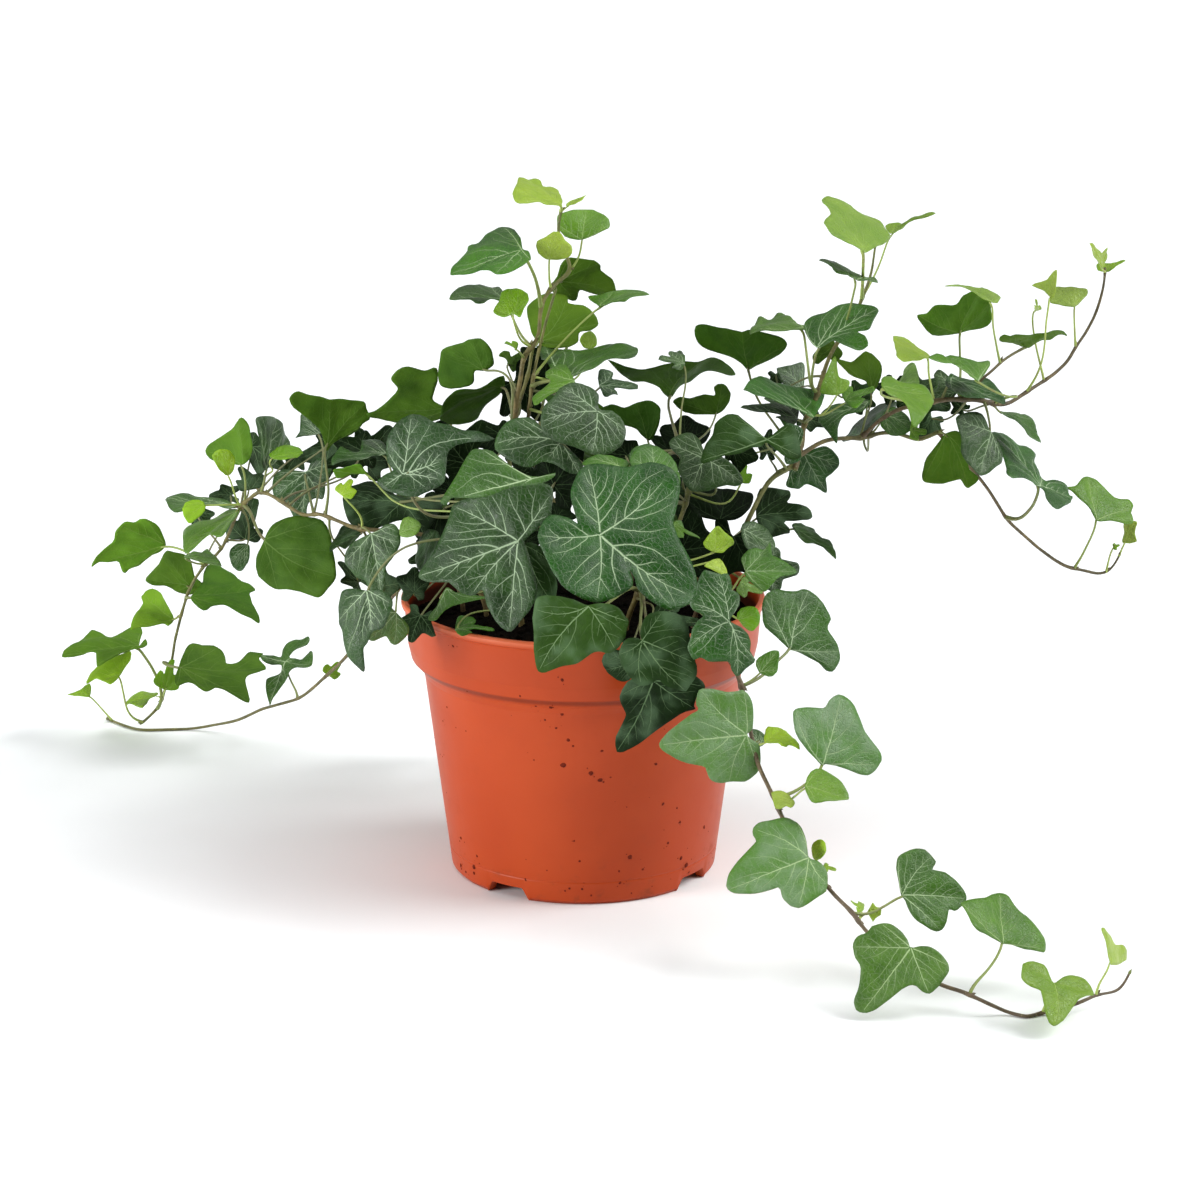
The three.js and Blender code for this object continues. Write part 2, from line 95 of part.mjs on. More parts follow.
  ['leaf_top_03', 'stem_centre', 1, 3, [-6.69,9.59,220.79], [0.4124,-0.0554,0.9093], [-0.8123,-0.4742,0.3395], [0,18.8,19.8,7,27.5,-4.4,19.6,-2.9,21.2,-6.5,16,-6.3,-2.7,1.8,-5.5,6.1,-4.7,11,-8.1,19.8,-6.6,20.8], [-7.9,9.5,221.3,-6.7,9.6,220.8,-7,13.7,218.7], 0.72],
  ['leaf_back_11', 'stem_back_left', 1, 0.8, [-31.75,76.34,77.79], [0.8502,0.4582,0.2593], [0.065,0.3975,-0.9153], [0,0,-6.2,-6.3,-11.3,-4.4,-11.9,-2.7,-9.4,2.4,-13.2,10.5,-11.6,12.5,-5.3,12.6,-2.7,21.5,-0.7,23,2.7,21.5,6.3,13.6,13.6,12.7,15.2,10.5,10.1,1.6,12.3,-4.3,11.4,-6,5.9,-7.4], [-31.7,76.8,76.7,-31.7,76.3,77.8,-36.9,73.3,75.2,-47.4,66.9,76.3], 0.72],
  ['leaf_trailing_right_03', 'stem_front_trailing', 1, 1.2, [99.13,-135.67,20.29], [-0.1583,-0.8309,0.5334], [-0.6153,-0.3395,-0.7115], [14,10.4,15,7.6,13.3,1.9,9.5,-2.1,5,-2.3,0,0,-3.7,-3.4,-7.9,-4,-13.6,-1,-13.3,7.2,-6.8,9.4,-2.8,21.5,0.4,24.8,3.7,23.5,8.1,14.2], [98.4,-136.1,19.4,99.1,-135.7,20.3,102.7,-133.1,12], 0.71],
  ['leaf_right_04', 'stem_front_trailing', 1, 0.6, [66.21,-45.34,87], [0.4494,-0.799,0.3995], [0.2974,0.5555,0.7765], [-14.2,13.4,-11.4,16.5,-1.1,21.2,3.1,20.7,9.1,16.4,10,11.9,16.2,7.2,17.3,4.1,16.3,-0.3,13.9,-1.6,10,0.1,0,0,-11.2,2.9,-14.2,7.8], [66.6,-44.7,87.9,58.7,-55.1,82.8,51.8,-63.1,81], 0.71],
  ['leaf_back_12', 'stem_back_upright', 1, 0, [-0.51,55.13,121.42], [0.2063,0.5209,0.8283], [0.2997,0.7722,-0.5602], [0,0,-5.6,-5.4,-10.1,-3.7,-10.5,-1.8,-8,2,-15.9,11.8,-13.2,14.2,-6.1,13.9,-2.8,22.4,0.7,24,2.8,22.4,5.9,13.1,12.8,13.3,15.2,10.9,7.9,1.6,10.3,-2.8,9.7,-4.2,5.2,-5.6], [-0.2,56.1,120.7,-2.2,54,119.4,-11.7,49.9,122.3], 0.71],
  ['leaf_back_13', 'stem_centre', 1, 0.9, [-14.5,40.35,169.19], [-0.3262,-0.4837,0.8122], [0.9338,-0.0313,0.3565], [-17.9,-1.4,-21.2,4,-20.3,8.1,-17.3,12.3,-13.4,12.5,-6.6,19.1,0.5,20.4,3.1,17.5,2.8,13.9,8.3,12.4,6.4,4.8,2.4,0.3,-5.2,-2.1], [-14.2,40.9,169.6,-15.8,13,173.6], 0.7],
  ['leaflet_back_02', 'stem_back_trailing', 0, 0.2, [29.18,100.56,72.4], [0.2239,0.8945,0.3871], [-0.6937,0.4252,-0.5814], [0,0,-5.2,-5.6,-9.5,-3.9,-8.4,2.3,-13.8,11.9,-12.5,13.8,-5.9,15,-2.6,21.9,0,23.5,2.6,21.9,5.9,14.2,12.5,12.5,13.5,10.7,9.2,1.9,9.9,-5,5.2,-6.5], [28.3,101.1,71.7,28.8,91.5,72,23.2,77.1,66.8], 0.7],
  ['leaf_front_03', 'stem_front', 1, 0.2, [4.65,-35.55,162.87], [0.0995,-0.796,0.597], [-0.105,-0.605,-0.7892], [17.4,4,12.5,-6.2,5.8,-8.9,0.4,-6,-0.6,-0.8,-4.7,-0.7,-7.5,1.1,-9.7,4.8,-9.8,8.2,-6.2,13.7,1.3,14.4,14.7,10.9,17,8.1], [4.6,-35.8,162.6,6.6,-30.4,149.6,7.3,-25.9,143.5,9.6,-20.3,139.7,19.7,-7.5,138.9,30.1,0.9,140.8], 0.69],
  ['leaf_back_14', 'stem_back_upright', 1, 0, [-3.94,62.16,126.99], [0.3244,0.5399,0.7767], [0.5039,0.5963,-0.625], [0,0,-6.1,-5.7,-11.1,-4,-11.8,-2.5,-9.1,1.8,-13.9,8.7,-11.9,10.8,-5.6,11,-2.9,21.3,-0.7,22.9,2.9,21.3,5.2,12.4,11,13.5,13.6,11.5,10,2.6,12.9,-4.2,6.8,-6.4], [-3.3,62.9,126.2,-6.8,59.5,125.7,-13.5,54,130.1], 0.69],
  ['leaf_left_04', 'stem_centre', 1, 0.4, [-44.06,36.68,147.39], [0.0737,0.8252,0.5599], [-0.8307,-0.2598,0.4923], [0.2,23.9,-6.9,23.3,-9.5,16.9,-12.8,14.3,-8.7,10.9,0.7,7.4,2.4,0.9,8.9,0.5,16.6,8.4,20.2,17.8,20.2,21.4,13.8,18.9,6.1,18.7,2.9,19.5], [-47.4,37.7,146.4,-44.7,32.5,142.4,-40.3,23,139.5,-35.4,14,141.5,-24.2,1.7,148], 0.69],
  ['leaf_middle_06', 'stem_centre', 1, 0.2, [-25.57,11.19,160.92], [-0.3391,0.6046,0.7208], [-0.9238,-0.069,-0.3767], [-4.8,-1,5.4,3,11.2,9.3,18.2,12.9,19.4,15.3,16.8,19.9,11.1,23.8,6.3,24.6,-1.4,22.8,-4.5,20.6,-8.7,13.3,-5,7.8], [-26.8,10.6,160.8,-25.6,11.2,160.9,-23.3,4.7,154.5], 0.69],
  ['leaf_back_15', 'stem_back_trailing', 1, 0.5, [18.83,76.65,96.92], [-0.2522,0.9674,0.0227], [0.4001,0.1256,-0.9078], [0,0,-4.3,-5.7,-8.7,-4.8,-7.7,0.6,-15.1,8,-13.1,10.4,-6.2,11.6,-2.7,20.8,-0.7,22.3,2.7,20.8,5.4,11.7,11.6,11.7,13.7,9.5,9.2,1.5,11.1,-5.2,5.5,-6.7], [19.3,76.8,95.8,18.8,76.7,96.9,21,70.4,93.5], 0.68],
  ['leaf_middle_07', 'stem_right', 1, 0.1, [70.42,5.53,150.79], [0.306,-0.0436,0.951], [-0.9399,-0.1731,0.2945], [0,0,-14.7,7.1,-5.2,9.2,-2.4,6.3,-2.7,19,-1.6,20.3,1.9,18.6,7.3,8.8,18.7,7.7,29.9,-2.7,29.6,-4.5,24.5,-4.5], [69.2,5.9,151.2,71.6,6.9,149.9], 0.68],
  ['leaflet_right_02', 'stem_right', 0, 0.4, [121.49,19.55,161.44], [0.3102,-0.0795,0.9473], [0.8729,-0.3709,-0.317], [-4.2,-1.7,-6.5,5.5,-15.1,7.7,-1.8,19.5,2.3,19.2,19.1,10.1,15.4,4.3,11.2,1.5], [121.8,19.4,161.3,118.3,16.4,154.8], 0.67],
  ['leaflet_front_03', 'stem_front', 0, 0.3, [18.37,-101.07,106.53], [0.1164,-0.97,0.2134], [0.6479,-0.0887,-0.7565], [0,-0.2,2.7,-3.4,5.9,-3.1,9,-0.2,10.2,5.1,9.6,10,3.7,12.2,3.3,15.9,-0.4,20.9,-7.6,17.1,-14.1,2.6,-11.7,-1.5,-7,-4.8,-2.9,-3.8], [19.3,-101,106.3,18.1,-79.7,103.2,18.4,-21.9,100.1], 0.67],
  ['leaf_front_04', 'stem_front', 1, 0, [22.19,-69.71,84.26], [0.0795,-0.9937,0.0795], [-0.4361,-0.1064,-0.8936], [0,25.7,2.6,21.3,2.7,13.8,7.3,9.1,7.2,3.6,1.1,-1.7,-9.7,-6.8,-14.1,-6.5,-15.8,-5.1,-14.5,-1.4,-16.2,2.6,-12.4,5.9,-4,21.7], [22,-69.8,83.9,21.5,-63.7,92.2,20.4,-53.4,98.1,19.6,-39.4,101.8,19.9,-24.2,103.3], 0.67],
  ['leaf_back_16', 'stem_right', 1, 1.4, [73.06,32.03,175.68], [-0.1078,-0.0316,0.9937], [-0.9555,0.2794,-0.0948], [-1.4,17.9,16.5,19.4,17.4,18.3,15.5,15.1,22,13.1,4.1,1,8.1,-4.6,5,-7.2,-2.4,-7.7,-4.1,-6.1,-3.8,10.8], [72.7,32.1,175.6,75.8,13.1,158.6], 0.67],
  ['leaflet_front_04', 'stem_front', 0, 0.5, [44.81,-98.32,111.77], [0.2447,-0.93,0.2741], [0.1666,-0.2382,-0.9568], [4.6,-16.7,-2.2,-14.6,-2.5,-9.2,-4.8,-7.1,-4.1,-4.2,-0.1,0,-5.2,4.9,-6.6,13.1,-0.3,17.1,1.7,12.3,8.1,11.1,10.7,9.1,12.7,9.8,14,6.5,11.8,0.1,7.6,-2.9,10.6,-5.5,11,-8], [44.4,-98.8,110.6,37.7,-81.7,108.9,28.4,-51.1,110.9,25.1,-30,111.9,25,-20,111.6], 0.67],
  ['leaf_right_05', 'stem_right', 1, 1.9, [95.13,-32.27,169.89], [0.5428,-0.1271,0.8302], [0.4784,-0.7657,-0.43], [-1.7,-3.8,-9.3,-8.2,-12.5,-6.7,-23.7,-7.4,-25,-6.4,-23.9,-1.3,-20.7,3.5,0,20.3,-2.4,6.2,1.7,3.8], [95.7,-32.2,169.5,94.9,-26.4,167.1,96.9,-14.7,162.9,111.5,12.1,154.5], 0.67],
  ['leaf_trailing_right_04', 'stem_front_trailing', 1, 1.4, [127.88,-125.83,17.81], [0.5552,-0.4769,0.6814], [0.0212,0.8271,0.5616], [-14.8,9.8,1.4,19.4,6.7,15,11.3,13.4,16.2,8.3,17.1,4.8,15,3.1,0,0,-9.5,0.4,-12.1,2.4], [127.9,-124.8,18.5,125.6,-128.7,14.1,117.4,-136.9,7.6], 0.66],
  ['leaf_right_06', 'stem_right', 1, 0.9, [76.21,4.54,174.71], [-0.4342,-0.484,0.7598], [0.8193,0.1384,0.5564], [-12.8,1.3,-13.8,5,-11.9,15.3,-1.7,23.4,1,23.3,7,17.4,4.9,13.4,8.8,14.6,13.3,13.5,11.5,9.2,2.7,5.8,0,0], [77,5.2,175.6,75.1,7,167.7,75.8,10.9,158.9], 0.66],
  ['leaf_trailing_right_05', 'stem_back_trailing', 1, 0.8, [30.33,111.03,43.27], [0.209,0.9717,0.1097], [-0.2026,0.1528,-0.9673], [0,0,-6.5,-5.6,-11.5,-3.6,-11.9,-1.6,-9,2.2,-14.2,9.9,-11.9,12,-5.5,11.8,-2.6,19.4,0.7,20.9,2.6,19.4,4.6,11.1,9.9,12.1,12.2,10.3,8.3,1.9,10.3,-4.4,5.2,-5.8], [30.1,111.2,42.1,27.6,104.7,39.7,25.8,91.1,33.7], 0.66],
  ['leaf_left_05', 'stem_left_upper', 1, 1.5, [-149.37,102.43,82.17], [-0.1442,0.8381,0.5261], [-0.9628,0.004,-0.2703], [-0.2,-0.1,-9.1,-0.8,-14.8,1,-16.2,2.5,-15,6.7,-16.8,10.2,-15,13.4,-8.2,17.5,-4.1,24.7,0,28.1,-0.8,25,1.8,18.6,7.1,18.1,2.7,3.1], [-150.7,102.1,82.3,-143.6,100.6,81.3,-136.3,97,77.7], 0.66],
  ['leaflet_left_02', 'stem_left_upper', 0, 1, [-124.03,102.98,96.18], [0,-0.0499,0.9988], [-0.8944,0.4467,0.0223], [0,29.9,3.4,30,5.9,26.5,7,18,4.7,7.8,-0.7,-1.3,-3.2,1,-5.2,7.6,-14.5,15.3,-11.4,20.1], [-124.7,102.6,96.2,-118.8,67.4,105.2], 0.66],
  ['leaflet_back_03', 'stem_back_upright', 0, 0, [-26.7,54.79,132.45], [-0.6186,0.3171,0.7189], [-0.5706,0.4477,-0.6885], [0,0,-6.3,-5.6,-11.9,-2.8,-9.4,2.6,-11.3,10.1,-4.6,11.1,-2.5,18.6,-0.6,19.9,2.5,18.6,6.2,11.3,14.1,8.1,9.8,2,12.3,-2.3,9.3,-4.9,6.8,-5.4], [-27.4,55.3,131.6,-24.9,54.4,130.9,-15,54,133.2], 0.65],
  ['leaflet_back_04', 'stem_right', 0, 0.4, [55.67,50.38,157.78], [0.1787,0.864,0.4707], [-0.1475,-0.4495,0.881], [16.9,13.6,15.9,17.9,12.3,19.7,2.8,16.4,-2.1,17,-9.9,14.8,-14.6,10.4,-11.7,5.7,0.1,-0.4,4.4,4.2,15.3,9.4], [56.1,49.7,158.9,55.7,50.4,157.8,57.9,39.1,151.3,66.8,9.1,143,69.3,-2,137.1], 0.65],
  ['leaflet_back_05', 'stem_back_trailing', 0, 0.8, [25.93,99.48,92.03], [0.1243,0.9011,0.4153], [0.4142,0.3332,-0.847], [0,0,-5,-5.4,-9.3,-4,-10,-2.7,-7.7,1.6,-12.7,9.1,-10.7,11.1,-5,11,-2.4,18.5,-0.6,19.9,2.4,18.5,4.6,11.6,9.9,12.5,12.1,10.6,8.9,2.1,11.1,-4.7,5.7,-6.4], [26.4,99.9,91,33.2,84.7,89.7,33.5,74.7,90.2,31.6,71.4,90.1,27.8,70,89.5,22,71,88], 0.64],
  ['leaflet_trailing_right_01', 'stem_front_trailing', 0, 0.6, [98.21,-110.31,27.89], [0.1495,-0.8001,0.581], [0.9888,0.1187,-0.0909], [-8.5,-1.7,-13.1,0.2,-14.7,7.6,-11.2,10.9,-8.4,9.7,-5.6,16.8,-2.1,20.1,0.7,20.5,4.1,17.1,3.8,14.7,10.6,12.2,10.8,8.7,5.5,2.2,0.3,-0.3], [99,-109.9,28.3,88.7,-115.3,23.9,82.7,-117.2,24.6], 0.64],
  ['leaflet_left_03', 'stem_left_upper', 0, 0.6, [-107.05,37.36,125.82], [0.9351,-0.3397,0.1007], [0.3126,0.9249,0.2166], [-18.7,1.2,-12,15.1,-1.1,23.3,1.3,23.5,2.7,19.8,-0.7,-1.4,-5.3,-3.3,-8.8,0.3,-14.9,-1.7], [-107.2,37.5,127.4,-107.3,38.7,124.5,-110.4,54.4,113.9], 0.64],
  ['leaflet_right_03', 'stem_right', 0, 0.2, [94.94,53.93,132.98], [-0.6396,0.4807,0.5998], [0.5921,-0.1896,0.7833], [14.8,-0.6,16,2.2,15.4,7.7,12.3,16.6,5.6,18.3,-0.2,17.9,-5.8,13.9,-6.5,11.3,-3.7,7.9,-3.7,0.8,1.4,-0.6], [95.4,53.8,133.6,96,52.2,130,96.4,49.3,129.4,95.5,31.5,138.4,95,22.3,141.1], 0.63],
  ['leaflet_right_04', 'stem_right', 0, 1.2, [125.83,41.1,172.11], [-0.4032,0.8397,0.3639], [0.3607,-0.2196,0.9064], [19.9,4.5,15.8,5.4,13.8,8.8,6.9,10.1,6,14.2,0.2,18.5,-6.4,13.9,-10.8,5.4,-8.3,2.6,7.6,-2.3,13.3,-0.8], [126.3,40.8,173.2,125.9,39.1,169.7,124.6,22.5,157.7,124.7,20.2,154.2], 0.63],
  ['leaflet_back_06', 'stem_back_upright', 0, 0.2, [-17.32,86.8,152.99], [-0.0767,0.6663,0.7418], [0.4981,0.6701,-0.5504], [0,0,-4.8,-5.2,-8.8,-3.7,-9.2,-2,-7,1.3,-12.2,7.9,-10.6,10,-4.8,10.4,-2.3,19.2,-0.6,20.6,2.3,19.2,4.9,11.3,10.8,11.4,12.7,9.2,8,1.4,10.2,-3,9.6,-4.9,5,-6.3], [-16.7,87.6,152.3,-17.3,86.8,153,-16.4,82.7,149.1,-10,60.9,154.1], 0.63],
  ['leaflet_middle_01', 'stem_centre', 0, 0.8, [-25.66,9.31,112.09], [-0.1028,0.768,0.6322], [-0.1851,0.6097,-0.7707], [0,0,-5.2,-5.7,-9.7,-4.3,-10.3,-2.5,-8.2,1,-14.1,8.1,-12.3,9.8,-5.8,10.8,-2.3,18,0.6,19.3,2.3,18,4.4,9.8,9.5,10,11.3,8.2,7.7,1.1,9,-5,4.3,-6], [-25.9,10,111.2,-25.7,9.3,112.1,-25.3,5.4,108.5,-24.6,-14.3,110.4], 0.63],
  ['leaflet_top_01', 'stem_centre', 0, 1, [-25.44,6.16,190.26], [0.092,-0.0312,0.9953], [-0.9955,0.0201,0.0927], [0,17.9,13.1,14,13.5,11.5,18.9,8.5,20.3,5.1,11.2,1.4,-1.7,0,-2.5,1.7,-1.4,4.2,-10.1,7.5,-5.3,11,-4.6,15], [-26.6,6.2,190.4,-16.6,2.9,175.5], 0.62],
  ['leaflet_middle_02', 'stem_right', 0, 0.8, [18.58,5.49,108.41], [-0.7689,0.4062,0.4937], [-0.4145,0.2712,-0.8687], [0,0,-4.1,-4.2,-7.6,-3.1,-6.5,1.3,-12.2,8.4,-10.7,10.1,-5,10.8,-2.3,18.1,0.6,19.4,5.5,10.1,12.6,7,9.5,0.7,11.1,-4.1,10.3,-5.6,5.2,-6.7], [18.1,5.8,107.4,18.6,5.5,108.4,21.5,4,104.1,34,-2.5,95.1], 0.62],
  ['leaflet_back_07', 'stem_back_upright', 0, 0, [-6.23,76.8,144.29], [0.2643,0.6385,0.7228], [-0.2049,0.7695,-0.6049], [0,0,-5,-6,-9.8,-4.3,-8,1.8,-11.9,9.7,-10.5,11.5,-4.7,11.5,-2.2,18.1,0.5,19.4,4.9,10.2,10.8,9,11.9,7.2,7.3,1.3,9.3,-2.6,6.8,-4.9,4.8,-5.1], [-6.5,77.7,143.6,-7,71.2,146.5,-11.3,60.2,151.4], 0.62],
  ['leaflet_middle_03', 'stem_left_upper', 0, 0, [-48.83,-4.69,114.97], [-0.8851,-0.1922,0.4239], [-0.3917,-0.1843,-0.9014], [-1.4,13.4,11.8,10,14.7,7.3,14.8,3.5,9.8,0.5,-2.7,-1.2,-9.3,-0.5,-13.5,2,-14.8,4.5,-13.2,7.3,-7.2,11.6], [-49,-4.8,114.6,-50.3,8.1,110.1], 0.62],
  ['leaflet_left_04', 'stem_centre', 0, 0.5, [-67.96,-52.99,109], [-0.4423,-0.8847,0.1474], [-0.0347,-0.1474,-0.9885], [8.9,1.8,10.3,11.9,6,21.6,0,26.2,0,18.4,-2.9,12.8,-7.1,10.8,-9.2,2.4,-4,-0.8,6.4,0], [-68,-53.2,107.4,-64.6,-48.6,113.9,-56.6,-37.6,119,-38.7,-21.5,118.2,-25.9,-14.2,117.8], 0.61],
  ['leaflet_back_08', 'stem_back_left', 0, 0, [-47.37,74.03,104.44], [-0.1773,0.7041,0.6876], [0.1807,0.7101,-0.6805], [0,0,-3.4,-6.3,-7.5,-5.4,-6.9,1,-10.4,9.1,-9.3,10.9,-4.4,11.7,-1.9,18.6,0,19.9,1.9,18.6,4.4,11.6,9.3,10.6,10.4,8.8,7.3,1.4,8,-5.1,4.1,-6.3], [-47.2,74.9,103.6,-47.4,74,104.4,-46.7,71.3,100.7,-43.3,57.9,95], 0.61],
  ['leaflet_front_05', 'stem_front', 0, 0.4, [-6.76,-35.02,153], [-0.0995,-0.796,0.597], [-0.995,0.0862,-0.0509], [0,21.4,7.1,17.1,8.7,10.3,-5,-4.8,-10.2,-7.5,-11.4,-3.6,-7.1,4.7,-8.7,9.1,-8.2,12.9,-3.8,19.5], [-8.4,-35.8,151.7,6.5,-34.1,141.4,21,-26.7,130.4,24.9,-21.7,119.6,25,-20,111.6], 0.61],
  ['leaflet_front_06', 'stem_centre', 0, 0.1, [-9.18,-31.54,137.73], [0.2985,0.9335,-0.1987], [0.5156,0.0175,0.8567], [0,0,-3.9,-5.1,-8.5,-4.2,-8.5,1,-11.4,6.8,-5.3,9.8,-0.5,16.8,5.5,11.7,12.6,8.8,8.4,1.6,9.3,-3.6,5.1,-4.8], [-8.6,-31.5,138.8,-11.5,-31.2,134.9,-25.3,-10,130.7], 0.61],
  ['leaflet_middle_04', 'stem_right', 0, 0.3, [59.07,-23.6,150.77], [0.1005,-0.7035,0.7035], [-0.9222,-0.3313,-0.1995], [0.8,-0.2,11.5,5.3,12.4,8.9,10.8,13.8,-0.1,23.2,-1.4,20.8,-1.8,10.3,-0.9,0.4,-8.9,-3.8,-9.6,-7.5,-0.9,-10.3,2.4,-9.4,3,-6.7], [57.4,-23.8,150.9,66.5,-2.4,135.9], 0.61],
  ['leaflet_left_05', 'stem_left_upper', 0, 0.3, [-95.98,65.77,118.09], [-0.4179,-0.7586,0.5], [-0.1029,-0.5072,-0.8556], [0,-0.2,10.9,-0.8,12.6,5.3,10.2,10.1,6.4,10.8,2.5,16.4,0,17.3,-2.3,16.5,-3.3,10.5,-8.4,9.7,-10.3,-2,-8.5,-4.5,-4.8,-4.9], [-96.1,65.2,117.1,-96,65.8,118.1,-91,34.2,111.3], 0.61],
  ['leaflet_right_05', 'stem_right', 0, 0.4, [134.52,13,144.68], [0.6086,-0.6677,0.4287], [-0.2417,-0.6707,-0.7013], [15.6,3.9,11.2,-1.3,5.9,-3.6,-4.6,2.5,-7.2,7.7,-2,15.6,2.2,17.1,9.4,14.4], [134.2,12.2,143.8,132.9,23.8,152.8], 0.61],
  ['leaflet_left_06', 'stem_left_upper', 0, 0.8, [-86.82,45.86,132.17], [-0.2616,0.9474,0.1844], [0.0845,-0.1679,0.9822], [14.2,17.8,11.2,20.5,0.5,17.4,-10.9,16.5,-14.1,10.3,-8.3,4.2,-2.1,1.1,-0.3,-2.3,3.2,6.3,12.4,14.4], [-86.7,45.7,133.3,-86.8,30,111.8], 0.61],
  ['leaflet_top_02', 'stem_centre', 0, 0.5, [-32.53,14.87,164.81], [0.4053,0.847,0.3441], [-0.3065,-0.2288,0.924], [16.5,3.9,14,8.3,11.4,9.5,-0.2,12.4,-3,12,-5.2,9.6,-4.1,1.6,3.9,-0.1,8.1,-5.6,15.4,-6.3,19.3,-5.2,19,-0.6], [-33.4,14.9,165.8,-28.1,9.1,166.4,-23.3,2.7,164.1,-22.8,-2.5,145], 0.6],
  ['leaflet_front_07', 'stem_centre', 0, 0.9, [-15.37,-69.21,149.07], [-0.2519,-0.7557,0.6046], [-0.9591,0.1117,-0.26], [-0.5,29.6,12,19.6,14.1,16,12.3,11.1,0.9,0.1,0.1,-7.7,-2.7,-2.2,-1.3,5.4,-2.6,15.4,0,25.9,-2.3,27.8], [-15.7,-69.5,148.5,-18.5,-61.6,148.8,-22.5,-44.9,143.7,-24.7,-29.4,134.2,-26.1,-14.1,119.3], 0.6],
  ['leaflet_right_06', 'stem_right', 0, 2, [175.62,50.39,105.02], [0.4277,-0.6103,0.6668], [-0.064,0.7153,0.6959], [-11.2,11.4,-7,12.2,0.4,18.6,9.2,11.7,15.3,12,16.9,9.5,14.7,1.7,-0.1,-0.4,-2.3,3.5], [176.1,51.2,105.4,174.7,52,100,169.5,59.7,85.2], 0.6],
  ['leaflet_right_07', 'stem_right', 0, 0.1, [56.59,-5.04,120.4], [-0.1222,-0.4244,0.8972], [0.9923,-0.0342,0.1189], [0,0,-10.9,1,-14.3,3.7,-12.8,11.4,-5,10.8,-2.9,17,0.8,18.4,2.9,17,3.7,9.4,9.5,10.4,11.5,4.1,9.1,1.5], [57.8,-5.1,120.5,49.4,-9.9,112], 0.6],
  ['leaflet_back_09', 'stem_centre', 0, 0.8, [-8.62,59.27,186.28], [-0.0364,0.8516,0.5229], [0.9656,0.1647,-0.2011], [2.1,-0.9,6.8,-1,10.9,0.7,12.1,9.8,7.7,13,5.4,17.5,-0.4,20.8,-3.1,17.3,-2.8,8.4,-7,8.2,-7.3,5.6,-4.6,-1.5], [-8.2,59.3,186.2,-10.4,11.7,193], 0.6],
  ['leaflet_trailing_right_02', 'stem_front_trailing', 0, 2.2, [141.28,-145.2,12.8], [0.4171,-0.4461,0.7918], [-0.0295,-0.8774,-0.4788], [11.4,2.3,10.2,-3.9,6.9,-5.4,3.4,-5.3,0,0,-8.3,-6.1,-11.4,-5.5,-14.1,-1.8,-8,3.6,-2.6,13.2,1.1,16.2,3.4,14.2,5.1,5.3], [141.2,-146.3,12.2,139,-138.9,0.8], 0.6],
  ['leaflet_left_07', 'stem_left_upper', 0, 0.7, [-142.89,117.29,63], [0.3614,0.8325,0.42], [-0.9298,0.3553,0.0958], [-14.5,7.4,2.1,17.8,3.8,16.1,2.4,10.8,5.2,1.6,-2.2,-5.3,-5.1,-2.3,-13.3,-0.8], [-143.3,117.4,63,-142.8,109.8,62.7], 0.6],
  ['leaflet_trailing_right_03', 'stem_back_trailing', 0, 0.8, [37.51,126.62,16.49], [-0.2788,0.126,0.952], [0.2994,0.9533,-0.0384], [0,0,-4.5,-4.1,-8.1,-2.8,-6.7,1.4,-12.1,8,-10.7,9.6,-4.9,10.1,-0.6,18,2.3,16.7,4.8,10.6,10.6,10.6,12.2,9,6.6,0.8,7.2,-4.4,3.2,-4.9], [37.9,127.8,16.4,37.7,127.9,6.4,35,128,1.1], 0.59],
  ['leaflet_middle_05', 'stem_front', 0, 0.6, [39.57,-12.07,141.59], [-0.0995,-0.796,0.597], [0.8135,-0.4106,-0.4118], [1.4,-13.3,-2.3,-12.2,-5.2,-8.3,-1.9,-0.9,-3.5,3.5,-3.2,9.6,0.2,14.8,8.9,7.3,11.6,2.1,8.8,-4,4.1,-7], [39.9,-12.2,141.4,43.7,-11.7,130,40.5,-9.9,128.8,34.6,-8,130.4], 0.59],
  ['leaflet_top_03', 'stem_centre', 0, 1.6, [5.6,23.89,184.74], [-0.2705,-0.0406,0.9619], [0.9622,-0.0457,0.2686], [1.4,0,-17.8,-4.4,-14,-0.5,-14.3,5.7,-11.9,11.8,-7.9,14.7,-2,16.5,0.9,16.4,1.6,11.6,5,8.7,1.6,4.2,2.6,1.1], [6.4,23.9,185,-4.3,15.9,176.9,-16.3,8.8,164.2], 0.59],
  ['leaflet_right_08', 'stem_right', 0, 1, [87.74,-10.9,200.13], [0.4494,-0.0729,0.8903], [-0.7775,0.459,0.43], [0,14.5,11.7,14.2,10.3,4.7,23.4,2.9,16.1,-1.3,-1.2,-0.6,-1.8,2,-7.8,4.7,-3.6,8.3], [87.7,-10.2,200.2,90.9,-8.3,194.7,96.5,-2.1,190.9,97.9,2.2,188.7,97.1,7.1,185.8,93.2,12.6,181.8,85.3,18.3,176.4], 0.59],
  ['leaflet_left_08', 'stem_left_upper', 0, 0.4, [-69.83,6.64,111.74], [-0.3015,-0.9045,0.3015], [0.1416,-0.3552,-0.924], [0.1,-0.2,7.8,2.5,10.9,7.8,7.6,13.6,4.5,15.1,3,19.1,-0.1,21.1,-3.4,11.8,-8.1,7.4,-10,2.2,-7.5,-2.1], [-69.7,6.2,110.6,-73.2,11.7,113.1,-73.5,14,111.4], 0.59],
  ['leaflet_right_09', 'stem_right', 0, 1.1, [120.3,19.48,142.82], [0.62,0.7695,0.1533], [0.4131,-0.154,-0.8976], [-15.7,9.2,-12.1,5.6,-1.8,0.6,3.7,0.4,4.8,1.8,2.8,13.6,5.1,18,-0.7,19.8,-2.5,16.2,-14.5,14.6,-17.4,12.6], [121.2,18.9,142,117.9,22,142.6], 0.59],
